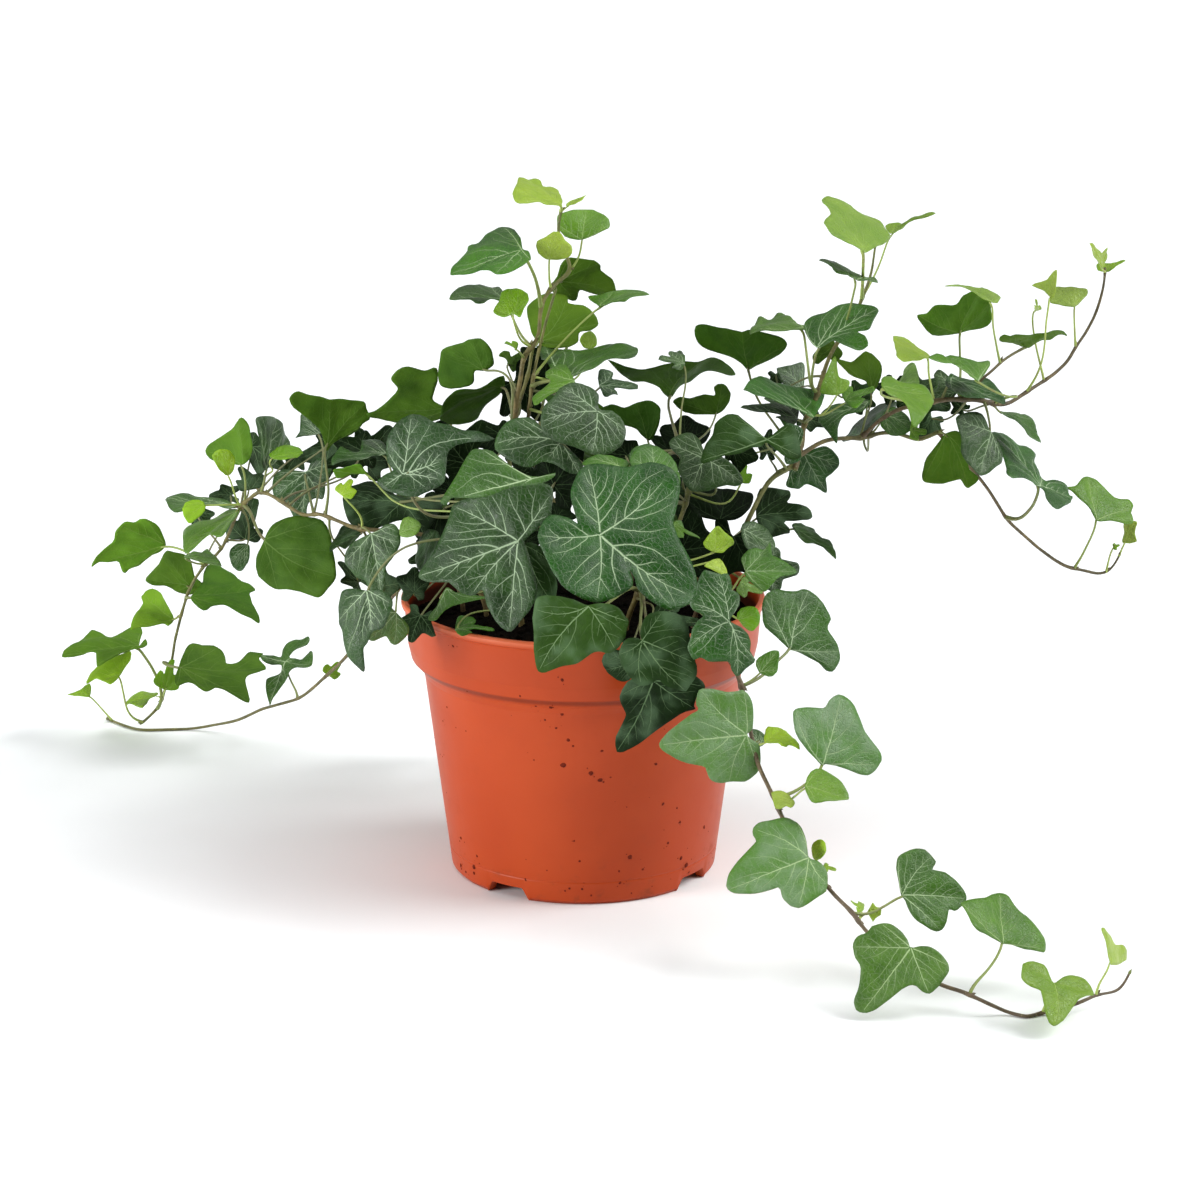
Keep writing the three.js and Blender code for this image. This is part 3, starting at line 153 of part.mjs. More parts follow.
  ['leaflet_trailing_left_02', 'stem_left_upper', 0, 1.8, [-149.47,118.76,49.69], [0.1408,-0.192,0.9712], [-0.8546,-0.5188,0.0214], [0.1,-0.4,17.4,-3.1,20.8,-2.6,22.2,-0.9,19.2,4.2,13.8,6,0,16.9,-1.9,4.4,-4.1,3.7], [-150.5,118.8,49.9,-146.4,117.4,52.1], 0.58],
  ['leaflet_back_10', 'stem_right', 0, 0, [46.12,34.11,109.24], [-0.024,-0.6154,0.7878], [0.0683,0.7852,0.6154], [-12.8,10.9,1.6,14.2,9.9,12.8,10.9,10.8,9.9,5.6,7.2,1.6,0,-0.4,-9.3,2.4,-11.8,6.1], [46.2,34.7,109.7,47.2,28.5,99,44.2,18.3,92.6,40.1,6.4,92.1,38.3,0.6,94.8,37.3,-4.7,99.6], 0.58],
  ['leaflet_back_11', 'stem_front', 0, 0.3, [39.18,49.08,113.76], [-0.1489,-0.6525,0.743], [-0.9568,-0.0948,-0.275], [0,0,3.8,-5.1,7.5,-4.4,7,0.6,12.3,7.2,11,9,5.2,10.5,2,16.1,-0.5,17.3,-4.4,9.7,-9.3,9,-10.4,7.6,-6.2,1.1,-6.9,-3.3,-3.4,-4.3], [38,49,113.4,33.7,44.1,118.1,34.9,20.5,132.2,31.8,2,141.2], 0.58],
  ['leaflet_trailing_left_03', 'stem_left_trailing', 0, 0.9, [-110.43,133.59,29.38], [-0.4206,-0.4732,0.774], [-0.268,-0.7503,-0.6044], [-0.1,19.6,5.4,8.3,0.6,5,1,1.6,8,0.4,13.9,-4.4,2.9,-2.6,1.6,-9.3,-6.1,-11.2,-8,-9.4,-7.7,-6.8,-2,-4.6,-0.9,-2.2,-6.7,-0.4,-10.3,-4.2,-12.6,1.9,-4.6,4.1,-3.9,10.3], [-110.5,133.3,29.1,-109,129.9,25,-104.6,116.4,20.6], 0.58],
  ['leaflet_middle_06', 'stem_centre', 0, 0.3, [-37.77,-15.97,141.12], [0,-0.9625,0.2713], [-0.5917,0.2187,0.7759], [0,0,3.6,-3.6,6.8,-2.7,5.5,0.7,13.2,6.8,11.4,8.7,5.1,9,2.2,15.4,-0.6,16.5,-2.2,15.4,-4.3,9,-9.6,9.7,-11.6,8.1,-6.9,1,-8.4,-4.1,-4,-5], [-38.5,-15.7,142,-36.3,-13.8,138.8,-24.3,-7.5,136], 0.58],
  ['leaflet_right_10', 'stem_right', 0, 2.8, [115.42,34.81,165.25], [0.4798,-0.0651,0.875], [-0.7957,0.3878,0.4652], [0,14.3,3.5,14.1,5.3,11.7,1.3,-0.1,-11.3,0,-24.1,2.7], [114.8,35.1,165.6,115.7,15,154.5], 0.58],
  ['leaflet_trailing_right_04', 'stem_back_trailing', 0, 0, [18.18,119.54,19.28], [-0.0671,-0.0584,0.996], [-0.6337,0.7736,0.0027], [0,0,-4.6,-4,-7.9,-2.5,-6.9,2,-9.6,7.8,-4.1,10,-1.9,15.3,0,16.4,4.9,9.9,10.7,6.5,7.8,0.3,7.7,-5.4,3.3,-5.9], [17.4,120.5,19.3,22.6,111.8,8.8,29.6,106.5,7.1], 0.58],
  ['leaflet_top_04', 'stem_centre', 0, 1.5, [-2.41,-16.51,168.36], [-0.3144,-0.165,0.9348], [-0.8996,-0.2627,-0.349], [0,0,-9.5,2.6,-11.7,4.6,-8.7,8,-3.4,6.3,-3.6,14.7,-2,15.6,3.6,13.6,6.5,6.6,16.7,5.1,17.9,1.1,16.4,-1.4], [-3.7,-16.3,168,-2.4,-16.5,168.4,-6.4,-10,159.2,-9.2,-3.3,154.3,-17.6,5.8,154.1], 0.58],
  ['leaflet_right_11', 'stem_right', 0, 0.8, [69.57,4.71,114.47], [0.5046,-0.0691,0.8606], [0.829,-0.2395,-0.5054], [-0.7,-1,-10,0.9,-15.2,4.3,-7.6,8.6,-11,10.9,-10.7,12.4,0,17.4,3.1,15.3,4.4,9.3,8.5,4.7], [70.1,5.2,114.2,60.9,-4.6,113.3,52.5,-12.2,118.2], 0.58],
  ['leaflet_middle_07', 'stem_right', 0, 0.1, [48.73,-19.06,117.69], [0,-0.9625,0.2713], [-0.4226,-0.2459,-0.8723], [0,0,3.8,-3.8,5.4,-3.7,7.3,-2.5,6.5,0.9,9.1,4.9,4.2,7.7,2.1,15.3,0.5,16.4,-2.1,15.3,-5.5,10.3,-12.1,6.8,-8.2,0.5,-8.3,-4.8,-3.8,-5.5], [48.2,-19.4,116.6,52.5,-12.2,118.2], 0.57],
  ['leaflet_trailing_right_05', 'stem_back_trailing', 0, 0.2, [28.75,129.42,8.32], [-0.1394,0.0193,0.99], [0.0335,0.9993,-0.0148], [0,0,-4.8,-4.8,-9.2,-3.5,-7.6,1.5,-11,7.8,-9.7,9.3,-4.4,9.4,-2,14.6,0.5,15.6,4.2,8.8,9.2,8.7,10.5,7.3,7,1.2,8.2,-3.6,4.1,-4.6], [28.8,130.6,8.3,29.5,129.3,5.9,35,128,1.1], 0.57],
  ['leaflet_trailing_left_04', 'stem_left_upper', 0, 2.4, [-171.32,130.24,25.55], [-0.4488,-0.1846,0.8743], [-0.8186,0.4773,-0.3195], [14.9,3.4,8.5,-0.5,-6,-0.3,0.9,11.7,-0.5,16.4,4.9,18.9,6.7,18.9,10.3,15.1], [-172,130.6,25.3,-169.7,135.3,10.1,-164.4,139,4.5], 0.57],
  ['leaflet_middle_08', 'stem_front', 0, 0, [31.55,-29.17,115.51], [-0.0022,-0.9505,0.3108], [0.9963,0.0248,0.0828], [0,0,3.3,-4.2,7.1,-3.5,6.5,0.9,10.6,7.2,4.4,9.1,0.5,16.3,-2.2,15.2,-5.5,9.2,-12.5,6.3,-6.2,0.4,-6.5,-3.4,-3.2,-4], [32.7,-29.1,115.6,31,-27.2,114,26.7,-18.8,114.1], 0.57],
  ['leaflet_left_09', 'stem_centre', 0, 0.5, [-66.03,29.26,133.49], [-0.0069,-0.0591,0.9982], [-0.8367,-0.5463,-0.0382], [-0.4,21,7,16.3,12.6,10.5,5.1,7.4,15.2,-0.1,16.9,-2.7,16.3,-4.2,8.2,-4.1,-1.8,0.5,0.4,3.6,-0.7,8.3,0.6,15.4], [-66.7,29.5,133.5,-63.9,24.3,127.5,-60.9,18.6,124.2,-56.6,12.6,122.8,-38.4,-4.5,125.2,-26,-12.1,126.6], 0.56],
  ['leaflet_left_10', 'stem_left_upper', 0, 2, [-117.3,63.48,121.19], [0.6169,0.7781,0.1185], [-0.784,0.5943,0.179], [-17.8,1.1,-15.5,-2,-11.7,-3.6,-6.2,-3.5,-1.6,-1.6,0.9,2.4,2.8,15.3,-0.1,16.5,-3.1,15.2,-11.5,5.9], [-117.5,63.4,122.7,-117.1,64.2,107.6], 0.56],
  ['leaflet_right_12', 'stem_right', 0, 1.4, [128.55,1.13,164.48], [0.4681,-0.1133,0.8764], [-0.8801,-0.1489,0.4509], [-1,19.2,10.1,10.6,15.1,-1.8,21.6,-7,21.4,-7.9,8.6,-3.9,-2.7,1.7,2.5,4.1,4.6,6.7,-2.4,14.9,-2.8,18], [127.5,1,165,137.2,3.1,159.2,142.3,9.4,157.3,142.1,17.7,155.8,136.5,26.1,151.4], 0.56],
  ['leaflet_middle_09', 'stem_centre', 0, 0.1, [-22.83,21.2,160.12], [0,-0.9625,0.2713], [0.5796,-0.2211,-0.7843], [0,0,4.5,-3.8,6.1,-3.4,8.1,-1.2,5.7,1.4,10.4,6.4,9,8.2,4,8.3,0.4,16,-1.8,14.9,-4.2,8.7,-9.3,8.6,-10.8,6.7,-6.2,1.2,-8.5,-2.1,-6.3,-4.2,-4.5,-4.5], [-22.1,20.9,159.2,-22.8,-2.5,145], 0.55],
  ['leaflet_middle_10', 'stem_centre', 0, 0.1, [-47.41,32.1,113.77], [-0.4575,-0.7958,0.3966], [-0.3113,-0.2744,-0.9098], [0,0,4.4,-4.4,8.2,-3,7,1.7,9.1,7.6,7.9,8.9,3.8,9.2,1.8,14,0,15,-1.8,14,-4.5,9.2,-9.3,7.9,-10.3,6.5,-5.8,0.9,-6.3,-3,-3.3,-3.8], [-47.8,31.8,112.7,-25.3,-10,130.7], 0.55],
  ['leaflet_right_13', 'stem_right', 0, 0.5, [73.18,19.41,135.76], [0.2702,-0.7775,0.5679], [0.5195,-0.3789,-0.7659], [0,-0.3,-8.1,1.1,-9.9,6.8,-8.4,9.4,-2,11,0.1,15.2,5.1,9.6,9.1,9.8,12.1,6.9,7.7,2.6,6.5,-1.4], [73.1,18.8,135,71.2,2.3,142.3], 0.55],
  ['leaflet_back_12', 'stem_left_upper', 0, 0, [-74.87,63.4,122.2], [-0.1704,0.9719,-0.1624], [0.5673,0.2315,0.7903], [0,0,-3.7,-4.2,-7.1,-3.3,-6.1,0.9,-10.3,6.4,-9.2,7.8,-4.2,8.3,-0.5,15.2,1.9,14.2,3.7,8.5,7.9,8.8,9.5,7.4,6.1,1.1,7.2,-3.5,3.5,-4.4], [-74.2,63.7,123.1,-83,60.1,117,-98.7,49.5,114.8,-102.7,46,112.5], 0.55],
  ['leaflet_left_11', 'stem_left_upper', 0, 0.2, [-73.64,17.05,109.16], [-0.538,-0.0751,0.8396], [-0.8116,0.3153,-0.4919], [-0.2,14.3,12.1,14.3,14.5,12.1,8.6,5.9,0,0,-3.6,-0.5,-8.7,1.4,-9.4,3.1,-2.2,9.3], [-74.8,16.9,108.4,-73.5,17,108.8,-73.5,14,111.4], 0.54],
  ['leaflet_front_08', 'stem_front', 0, 0.8, [21.91,-50.39,144.09], [0.1005,-0.7035,0.7035], [0.0067,0.7076,0.7066], [-7.3,7.6,-4.7,12.4,-0.8,13.7,1.6,13,7.8,6.4,7.6,0.5,3.8,-2.7,-3.8,-3.2,-5.9,0], [21.9,-50.1,144.4,22.6,-44.4,136.4,22.7,-25.4,119.5,26.7,-18.8,114.1], 0.54],
  ['leaflet_right_14', 'stem_right', 0, 1, [138.67,28.9,148.14], [0.5352,-0.0745,0.8414], [0.7955,-0.2907,-0.5317], [0,0,-15.8,6,-17.1,7.9,-1.1,17.4,3.7,16.4,6.1,14.1,1.1,8.9], [140.1,29,147.2,136.5,26.1,151.4], 0.54],
  ['leaflet_middle_11', 'stem_front', 0, 0.1, [21.56,22.13,139.47], [0.3924,0.8962,0.2069], [-0.2328,-0.1209,0.965], [14.7,12.3,9.7,14.5,5.3,12.7,-3.5,14.7,-6.5,13.5,-7.5,10.9,-5.5,5.5,-0.7,0,4.6,5,12.8,8.1], [21.7,21.7,141.1,21.6,22.1,139.5,21.9,20.1,138.3,23.7,14.5,137.8,31.8,2,141.2], 0.54],
  ['leaflet_left_12', 'stem_left_upper', 0, 0.1, [-87.51,72.13,126.91], [-0.1984,-0.916,0.3487], [-0.1932,-0.3123,-0.9302], [0,0,3.1,-3.3,5.7,-2.5,4.7,0.7,10.9,6.4,9.3,8.1,4.3,8.6,1.7,13.3,-0.4,14.3,-3.9,8,-8.3,7.8,-9.7,6.3,-5.5,1.1,-6.8,-2.6,-3.7,-3.7], [-87.7,71.8,125.8,-99.1,60.7,120.9,-108.4,52,114.1], 0.53],
  ['leaflet_right_15', 'stem_right', 0, 1.3, [148.79,41.35,166.93], [-0.164,0.5437,0.8231], [-0.5978,-0.7185,0.3555], [0.5,17.4,-2.7,20.1,-3.1,16.2,-5.6,15.2,-9.1,5.6,-15.1,2.8,-12.9,-5.5,-11.8,-2,-7.4,-2.8,-5.5,0.6,-0.2,-0.3], [149.5,40.1,167.9,148.8,41.4,166.9,146.2,33,168.4], 0.53],
  ['leaflet_right_16', 'stem_right', 0, 2.2, [134.3,16.26,187.26], [0.3644,-0.0727,0.9284], [-0.9301,0.021,0.3667], [0,17,10.9,8.7,12.5,4,18.2,-3.5,11,-3.4,1.1,-1.2,0.3,4.1,4.1,9.7], [134,17.8,187.5,134.3,16.3,187.3,134.3,16.9,184.6,138.3,26.7,165], 0.53],
  ['leaflet_front_09', 'stem_right', 0, 1.1, [51.28,-59.15,116.72], [-0.1097,-0.6112,0.7838], [0.9928,-0.1061,0.0563], [-0.2,-0.2,-6.5,-1.1,-9,2.2,-9.1,5.5,-12.3,7.3,-6.2,8.1,0,16,3,10.3,7.8,6,3.8,1.1], [52.5,-59.3,116.8,49.4,-55.2,113.4,48.2,-49.5,109.3,45.8,-34.4,102.3,42.8,-17.7,100.6,39.3,-5.7,101.7], 0.53],
  ['leaflet_left_13', 'stem_left_upper', 0, 0.2, [-118.8,82.6,89.42], [-0.6733,-0.706,0.2194], [0.151,0.1592,0.9756], [0,0,-8.4,-0.8,-11,4.2,-9.2,5.9,-4.5,6.4,-3.1,14.2,2.1,15.1,3.8,14,3.5,5.3,7.1,5.3,8.5,4.1,6.3,0.2], [-118.6,82.8,90.6,-119.2,83,88.6,-125.8,82.3,89.5], 0.53],
  ['leaflet_back_13', 'stem_centre', 0, 0.3, [-10.25,42.4,162.98], [-0.0557,-0.9235,0.3795], [-0.8348,-0.1655,-0.5252], [0,0,4,-3.6,7.2,-2.6,7.6,-1.4,5.6,1.2,9.3,6.8,7.6,8.1,3.4,7.4,1.9,13.2,-0.5,14.2,-1.9,13.2,-3.7,7.3,-8.3,7.7,-9.9,6.3,-5.2,0.8,-6.5,-2.9,-3.2,-3.7], [-11.3,42.2,162.4,-13.9,12.4,151.7,-22.8,-2.5,145], 0.53],
  ['leaflet_front_10', 'stem_front', 0, 1, [22.88,-57.39,147.61], [0.1036,-0.6213,0.7767], [-0.0853,0.7724,0.6293], [-7.5,5,-4,11.1,1.8,11.4,6.6,4.5,7.6,-0.9,6.9,-5.4,3.8,-5.4,-0.1,-1.3,-5.1,0], [22.8,-57.1,147.9,22.7,-54.6,141.2,23,-50.7,136.6,26.5,-28.9,125.2,28.3,-17.6,116.3], 0.53],
  ['leaflet_right_17', 'stem_right', 0, 0.3, [110.35,33.62,153.17], [0.0615,-0.8086,0.5852], [0.9315,-0.164,-0.3246], [0,0,3.1,-4.3,6.7,-3.6,6.3,0.8,9,6.1,3.9,7.9,1.7,12.6,0,13.5,-1.7,12.6,-3.7,7.6,-8.8,5.7,-5.7,1.4,-7.1,-1.2,-5.4,-2.7,-3.9,-3], [111.5,33.4,152.8,114.7,18.8,152.7,115.3,14.8,154.5], 0.53],
  ['leaflet_middle_12', 'stem_centre', 0, 0.2, [5.27,26.21,157.26], [-0.0054,-0.1558,0.9878], [0.9984,0.0546,0.0141], [0,0,-11.2,0.5,-14.4,4.4,-5.8,5.1,-2.7,12.2,1.5,12.9,2.7,11.9,2.8,5.2,7,5.9,10.4,2.2,8.6,0.7], [6.5,26.3,157.3,1.9,21.5,154.7,-0.9,18.8,155.1,-16.9,7.4,159.9], 0.52],
  ['leaflet_left_14', 'stem_left_upper', 0, 0.3, [-115.78,81.8,123.11], [0.3283,-0.6573,0.6784], [0.8395,-0.1261,-0.5285], [0,0,3.5,-3.5,6.2,-2.2,5.2,1.5,8.7,7,7.7,8.3,3.6,8.7,0,14.1,-3.6,8,-7.8,7,-8.7,5.6,-4.8,0.7,-5.7,-2.8,-3.1,-3.7], [-114.8,81.6,122.5,-115.8,81.8,123.1,-116.7,81.4,117.9,-118.8,67.4,105.2], 0.52],
  ['leaflet_top_05', 'stem_centre', 0, 1.6, [-0.27,17.67,207.88], [-0.103,-0.7267,0.6792], [0.107,0.6708,0.7339], [-8.9,5.4,-8.5,9.9,0,12.5,6.2,10.2,8.6,6.4,6.9,3.8,-1.1,-0.2,-5.9,1.1], [-0.7,18.6,208.8,-1,16.6,202.4,-4.2,15.8,197.9], 0.52],
  ['leaflet_left_15', 'stem_left_upper', 0, 0.1, [-76.17,59.66,127.11], [-0.109,0.9928,-0.0493], [-0.9254,-0.1195,-0.3597], [0,0,-2.5,-4.7,-5.9,-4.5,-5.3,0.4,-8.6,6.8,-7.2,8.2,-3.2,7.6,-1.6,12.4,0.4,13.3,3.3,6.8,7.2,6.8,8.4,5.3,5.4,1.2,7.3,-1.5,5.5,-3.4,3.9,-3.6], [-77.3,59.5,126.7,-76.2,59.7,127.1,-76.6,57.5,124.5,-78.4,55.4,122.6,-92.9,47.6,116.6,-100.3,43.5,111.7], 0.52],
  ['leaflet_right_18', 'stem_right', 0, 0.7, [94.48,22.79,152.59], [-0.3441,-0.3952,0.8517], [-0.5795,-0.6244,-0.5238], [12.9,12,13.5,7.2,11.2,3.8,1.5,-0.9,-0.9,-0.2,-0.6,4.5,3.2,7.1,4.2,9.5,-0.3,19.8], [93.8,22.9,152.4,92.1,21.7,140.6], 0.52],
  ['leaflet_back_14', 'stem_front', 0, 0.1, [33.32,42.54,128.43], [0.3554,-0.714,0.6032], [-0.7977,0.1047,0.5939], [0,0,3.1,-3.8,5.9,-3.1,5.3,0.7,8.8,5.8,7.8,7.1,3.7,7.8,1.5,11.7,-0.4,12.6,-3.5,7.4,-8.2,5.6,-5.1,0.5,-5.3,-3.4,-2.3,-3.9], [32.4,42.7,129.1,30.4,12.7,138.3,31.8,2,141.2], 0.51],
  ['leaflet_middle_13', 'stem_front', 0, 0, [34.37,30.12,137.92], [0.0457,-0.6306,0.7748], [-0.048,0.7733,0.6322], [0,0,-5.8,-2.3,-8.8,4.1,-7.4,6.4,-3.6,7.3,0,11,7.5,6.1,8.6,4,5.2,-2], [34.3,31.1,138.7,34.2,30.2,134.9,34,28.5,134,31.8,2,141.2], 0.51],
  ['leaflet_left_16', 'stem_left_upper', 0, 2, [-104.99,30.52,131.63], [-0.1657,-0.0339,0.9856], [0.9853,-0.0487,0.164], [-2.8,-0.7,-9.1,1.2,-10.8,3.2,-10.5,5.6,-1.3,11.1,6,9,7.1,6.9,6.1,4.5], [-103.4,31,131.9,-105,30.5,131.6,-105.6,32.4,129.7,-104.1,37.7,125.5,-107.7,42.5,122.8,-110.4,54.4,113.9], 0.51],
  ['leaflet_trailing_right_06', 'stem_front_trailing', 0, 2.9, [159.56,-135.14,14.63], [0.9069,-0.3096,0.2858], [-0.2208,0.2285,0.9482], [-1.3,11.1,2.4,11,8.1,4.5,16,2.6,18.7,0.4,18.9,-1.3,10,-1.8,0,0,-1.3,1.3], [159.5,-134.3,15.7,155.4,-135,4.9], 0.51],
  ['leaflet_middle_14', 'stem_centre', 0, 0.3, [-25.93,-5.56,147.78], [-0.1267,-0.6594,0.741], [-0.9712,-0.0695,-0.2279], [0,0,3.4,-2.9,5.9,-1.9,4.5,1.2,8.3,6.1,6.9,7.4,3,6.8,1.6,12.4,0.4,13.3,-1.6,12.4,-3.4,7,-7.6,7.3,-9,5.9,-4.7,0.9,-6.1,-2.4,-3.3,-3.3], [-27.1,-5.6,147.5,-22.8,-2.5,145], 0.51],
  ['leaflet_front_11', 'stem_centre', 0, 0.4, [-17.71,-50.69,122.75], [0.0967,-0.8701,0.4834], [0.4168,-0.4056,-0.8135], [0.4,-0.5,-1.9,-0.4,-4.1,1.8,-4.7,11.2,-2,18.6,1.8,20.3,3.8,19.1,4.4,17.2], [-17,-50.7,122.6,-16.9,-27.4,104.6,-17.8,-22,101.5,-22.1,-14,98.5], 0.5],
  ['leaflet_middle_15', 'stem_front', 0, 0.1, [44.27,27.94,147.33], [-0.0706,0.9568,0.2819], [0.1521,-0.269,0.9511], [15.1,2.9,13.1,5.4,1.5,6.7,2.4,10.1,0,11.8,-3.8,7.7,-2.7,2.2,0.6,-0.3,10.4,-0.8], [44.4,27.6,148.5,43.5,25.4,145.7,41.3,18.5,143.5,31.8,2,141.2], 0.5],
  ['leaflet_left_17', 'stem_left_trailing', 0, 1.2, [-59.19,-47.05,100.09], [0.4364,-0.8729,-0.2182], [-0.6946,-0.1727,-0.6984], [0,0,-8.1,1.1,-9.3,5.5,-8.8,8.2,-3.6,8,-2.2,11.5,0,12.4,2.2,11.3,2.7,5.6,6,5.7,6.8,4.3,5.9,0.2], [-60,-47.3,99.3,-59.2,-47,100.1,-59.6,-40.3,99.1,-62.8,32,85.3], 0.5],
  ['leaflet_trailing_right_07', 'stem_front_trailing', 0, 1.7, [69.28,-92.34,57.08], [0.1301,-0.5192,0.8447], [0.9749,-0.088,-0.2043], [-0.3,-0.4,-5.8,0.6,-8.3,3.9,-4.2,10.9,0,13.9,6.2,3.9,5.1,1.6], [70.5,-92.4,56.8,60.9,-85.5,47.7], 0.5],
  ['leaflet_trailing_left_05', 'stem_left_upper', 0, 2.4, [-158.13,137.55,15.21], [-0.2427,-0.0895,0.966], [-0.9675,0.0954,-0.2343], [2.3,0.4,7.4,7.3,4.6,12,2.3,13.4,-0.5,13.1,-11.4,4.1,-2.7,3], [-160,138.3,14.8,-158.1,137.5,15.2,-156.9,138,13.4], 0.5],
  ['leaflet_right_19', 'stem_right', 0, 0.5, [96.59,29.88,154.4], [0.6652,0.7454,-0.0429], [-0.6233,0.586,0.5179], [0,18,-2.1,13.2,-9.5,10.1,-10.1,3.6,-8.5,1.1,0,0,-0.9,4.7,1.9,11.7], [96.5,30.1,156.3,95.9,28.6,149.7,92.1,21.7,140.6], 0.5],
  ['leaflet_middle_16', 'stem_front', 0, 0.8, [34.01,35.92,162.63], [0.3088,-0.0583,0.9494], [-0.9392,-0.1763,0.2946], [0,0,-10.5,4.2,-8.6,6.1,-3.3,4.4,-1.2,9.6,2.2,8.1,3.2,4.7,8.4,4.5,14.3,-1.5], [32.8,36.3,163,34.3,32.7,159.7,31.9,9.3,146.8,31.8,2,141.2], 0.5],
  ['leaflet_top_06', 'stem_centre', 0, 2.2, [-22.61,-10.66,188.37], [-0.5019,-0.5085,0.6996], [0.352,0.6188,0.7023], [-8.3,1.7,-8.6,9.3,-7,10.9,-0.5,10.4,4.5,6.2,4.1,-0.8,0,0.8,-3.4,-0.7], [-21.9,-9.4,189.8,-22.6,-10.7,188.4,-20.9,-4.2,180.7,-19.4,-0.1,177.3,-16.6,2.9,175.5], 0.5],
  ['leaflet_front_12', 'stem_centre', 0, 1.2, [-40.55,-46.15,93.88], [-0.1049,-0.0315,0.994], [0.9916,-0.0792,0.1021], [0,0,-10.9,-0.1,-13.1,1.4,-7.9,5.9,-3.1,5.4,-1.6,11.5,0.9,12.7,1.6,4.2,3.5,5.9,8.9,3.2], [-39.3,-45.6,94,-37.2,-39.9,97,-25,-25.1,94.9,-21.3,-13.8,94.4], 0.5],
  ['leaflet_right_20', 'stem_right', 0, 1.6, [85.89,8.31,155.86], [-0.3782,-0.147,0.914], [0.8794,0.2513,0.4044], [0,0,-8.9,2.3,-9.6,5.9,-3.7,5,-2.2,10.6,0.6,10.8,2.2,9.7,2.8,5,7,5.1,10.4,0.7,8.5,-0.5], [86.9,8.6,156.3,78.9,8.4,151.1,74.1,9.3,151.5], 0.5],
  ['leaflet_left_18', 'stem_left_upper', 0, 0.1, [-71.44,17.04,89.78], [0,0.9625,-0.2713], [0.9832,0.0495,0.1758], [0,0,-2.5,-2.4,-4.7,-1.8,-4.4,0.7,-7.9,4.5,-3.6,6.6,0,11.3,3.7,7.2,8.3,5.3,4.6,0.9,5.1,-1.7,2.8,-2.5], [-70.3,17.1,90,-71.5,15.9,89.2,-71.7,15.1,90.5,-72.2,14.5,96.9,-71.8,17.6,107.2,-73.5,14,111.4], 0.5],
  ['leaflet_left_19', 'stem_left_upper', 0, 1.2, [-140.55,81.17,83.74], [0.1057,-0.0316,0.9939], [0.9769,-0.1834,-0.1098], [0.4,0,-7.2,1,-8.2,4,-15,4,0.3,14,1.9,4.3], [-139.3,81.5,83.6,-140.5,81.2,83.7,-140.8,82.6,82.7,-134.8,96.4,76.8], 0.5],
  ['leaflet_right_21', 'stem_front_trailing', 0, 2.9, [57.37,-72.01,65.13], [0.1707,-0.0652,0.9832], [0.98,-0.0926,-0.1763], [-2.4,-0.5,-10.6,0,-12.6,4.7,-6.7,9.4,0,11.2,-1.7,7.9,1.7,6.5,-0.5,4.1,2.4,0.5], [58.5,-72.1,64.9,53.9,-70.4,62.8], 0.5],
  ['leaflet_front_13', 'stem_right', 0, 0.5, [51.54,-34.88,123.82], [0.2836,-0.6061,0.7431], [0.8945,-0.112,-0.4327], [-1.5,-1.3,-5.1,2.1,-4.9,6.8,-0.4,11.3,3.7,10.9,6.4,8,6.9,4.3,3.3,0.4], [51.9,-34.9,123.6,55.8,-28.7,121.8,57.8,-18.9,114,53.1,-12.5,110.4,48.1,-9.4,110.5], 0.5],
  ['leaflet_right_22', 'stem_right', 0, 0.2, [58.88,-24.01,108.29], [0.0393,-0.923,0.3828], [0.9989,0.0272,-0.037], [0,0,-4.7,-0.9,-6.9,3.1,-6.1,4.6,-3,5.4,-2.1,10.4,-0.6,11.3,2.1,10.3,3.5,6.1,8,3.6,5.4,-1.3], [60.1,-24,108.2,56.6,-25,106.6,50.1,-17.5,99.6,46.2,-11.7,100.9,42.3,-7,104.7], 0.5],
  ['leaflet_right_23', 'stem_right', 0, 1, [99.87,22.72,148.19], [0.2202,-0.5568,0.8009], [0.9158,-0.1647,-0.3663], [-1.3,-0.4,-5.1,2.4,-3.7,7.4,-0.6,10.3,4.7,9,7.6,5.8,7.3,2.2,4,-0.2], [100.6,22.6,147.9,95,22.3,141.1], 0.5],
  ['leaflet_right_24', 'stem_right', 0, 3, [174.19,50.51,192.4], [0.8711,-0.2073,0.4453], [-0.4538,0.0073,0.8911], [0,9.5,8.2,2.9,17.6,1.9,6.7,-0.5,0,0.1,-5.7,6.2,-3.3,8.7], [173.8,51.1,193.5,176,56,190], 0.5],
  ['leaflet_right_25', 'stem_right', 0, 1.4, [102.23,4.98,161.3], [-0.7579,-0.2111,0.6173], [0.5231,0.3688,0.7683], [-0.7,0,-0.7,5.1,-2.6,9.4,-0.6,10.5,8.8,5.4,12.8,0.5,7.3,-0.9], [102.9,4.7,162,105.7,7.9,158,112.6,14,153.9], 0.5],
  ['leaflet_right_26', 'stem_right', 0, 0.5, [124.37,24.13,155.68], [0.2219,-0.5876,0.7781], [-0.7012,0.4584,0.5461], [0,0,-7.7,-1.6,-10.1,3.3,1.2,10.7,2.2,10,1.9,3.9,4.4,4.2,4.7,2.9,3.9,0.8], [123.5,24.7,156.3,124.7,20.2,154.2], 0.5],
  ['leaflet_front_14', 'stem_front', 0, 0, [21.9,-62.31,102.49], [0.0995,-0.796,0.597], [0.9938,0.0491,-0.1002], [0,0,-4.8,1.5,-5.9,3.6,-4.4,8.5,-1.7,7.4,-1.4,14.1,-0.4,15.2,1.4,14,1.9,7.9,4.9,8.9,6.4,3.5,5.2,1.3], [23.1,-62.3,102.4,21.9,-62.3,102.5,21.9,-41.4,101,17.3,-21,97.4], 0.5],
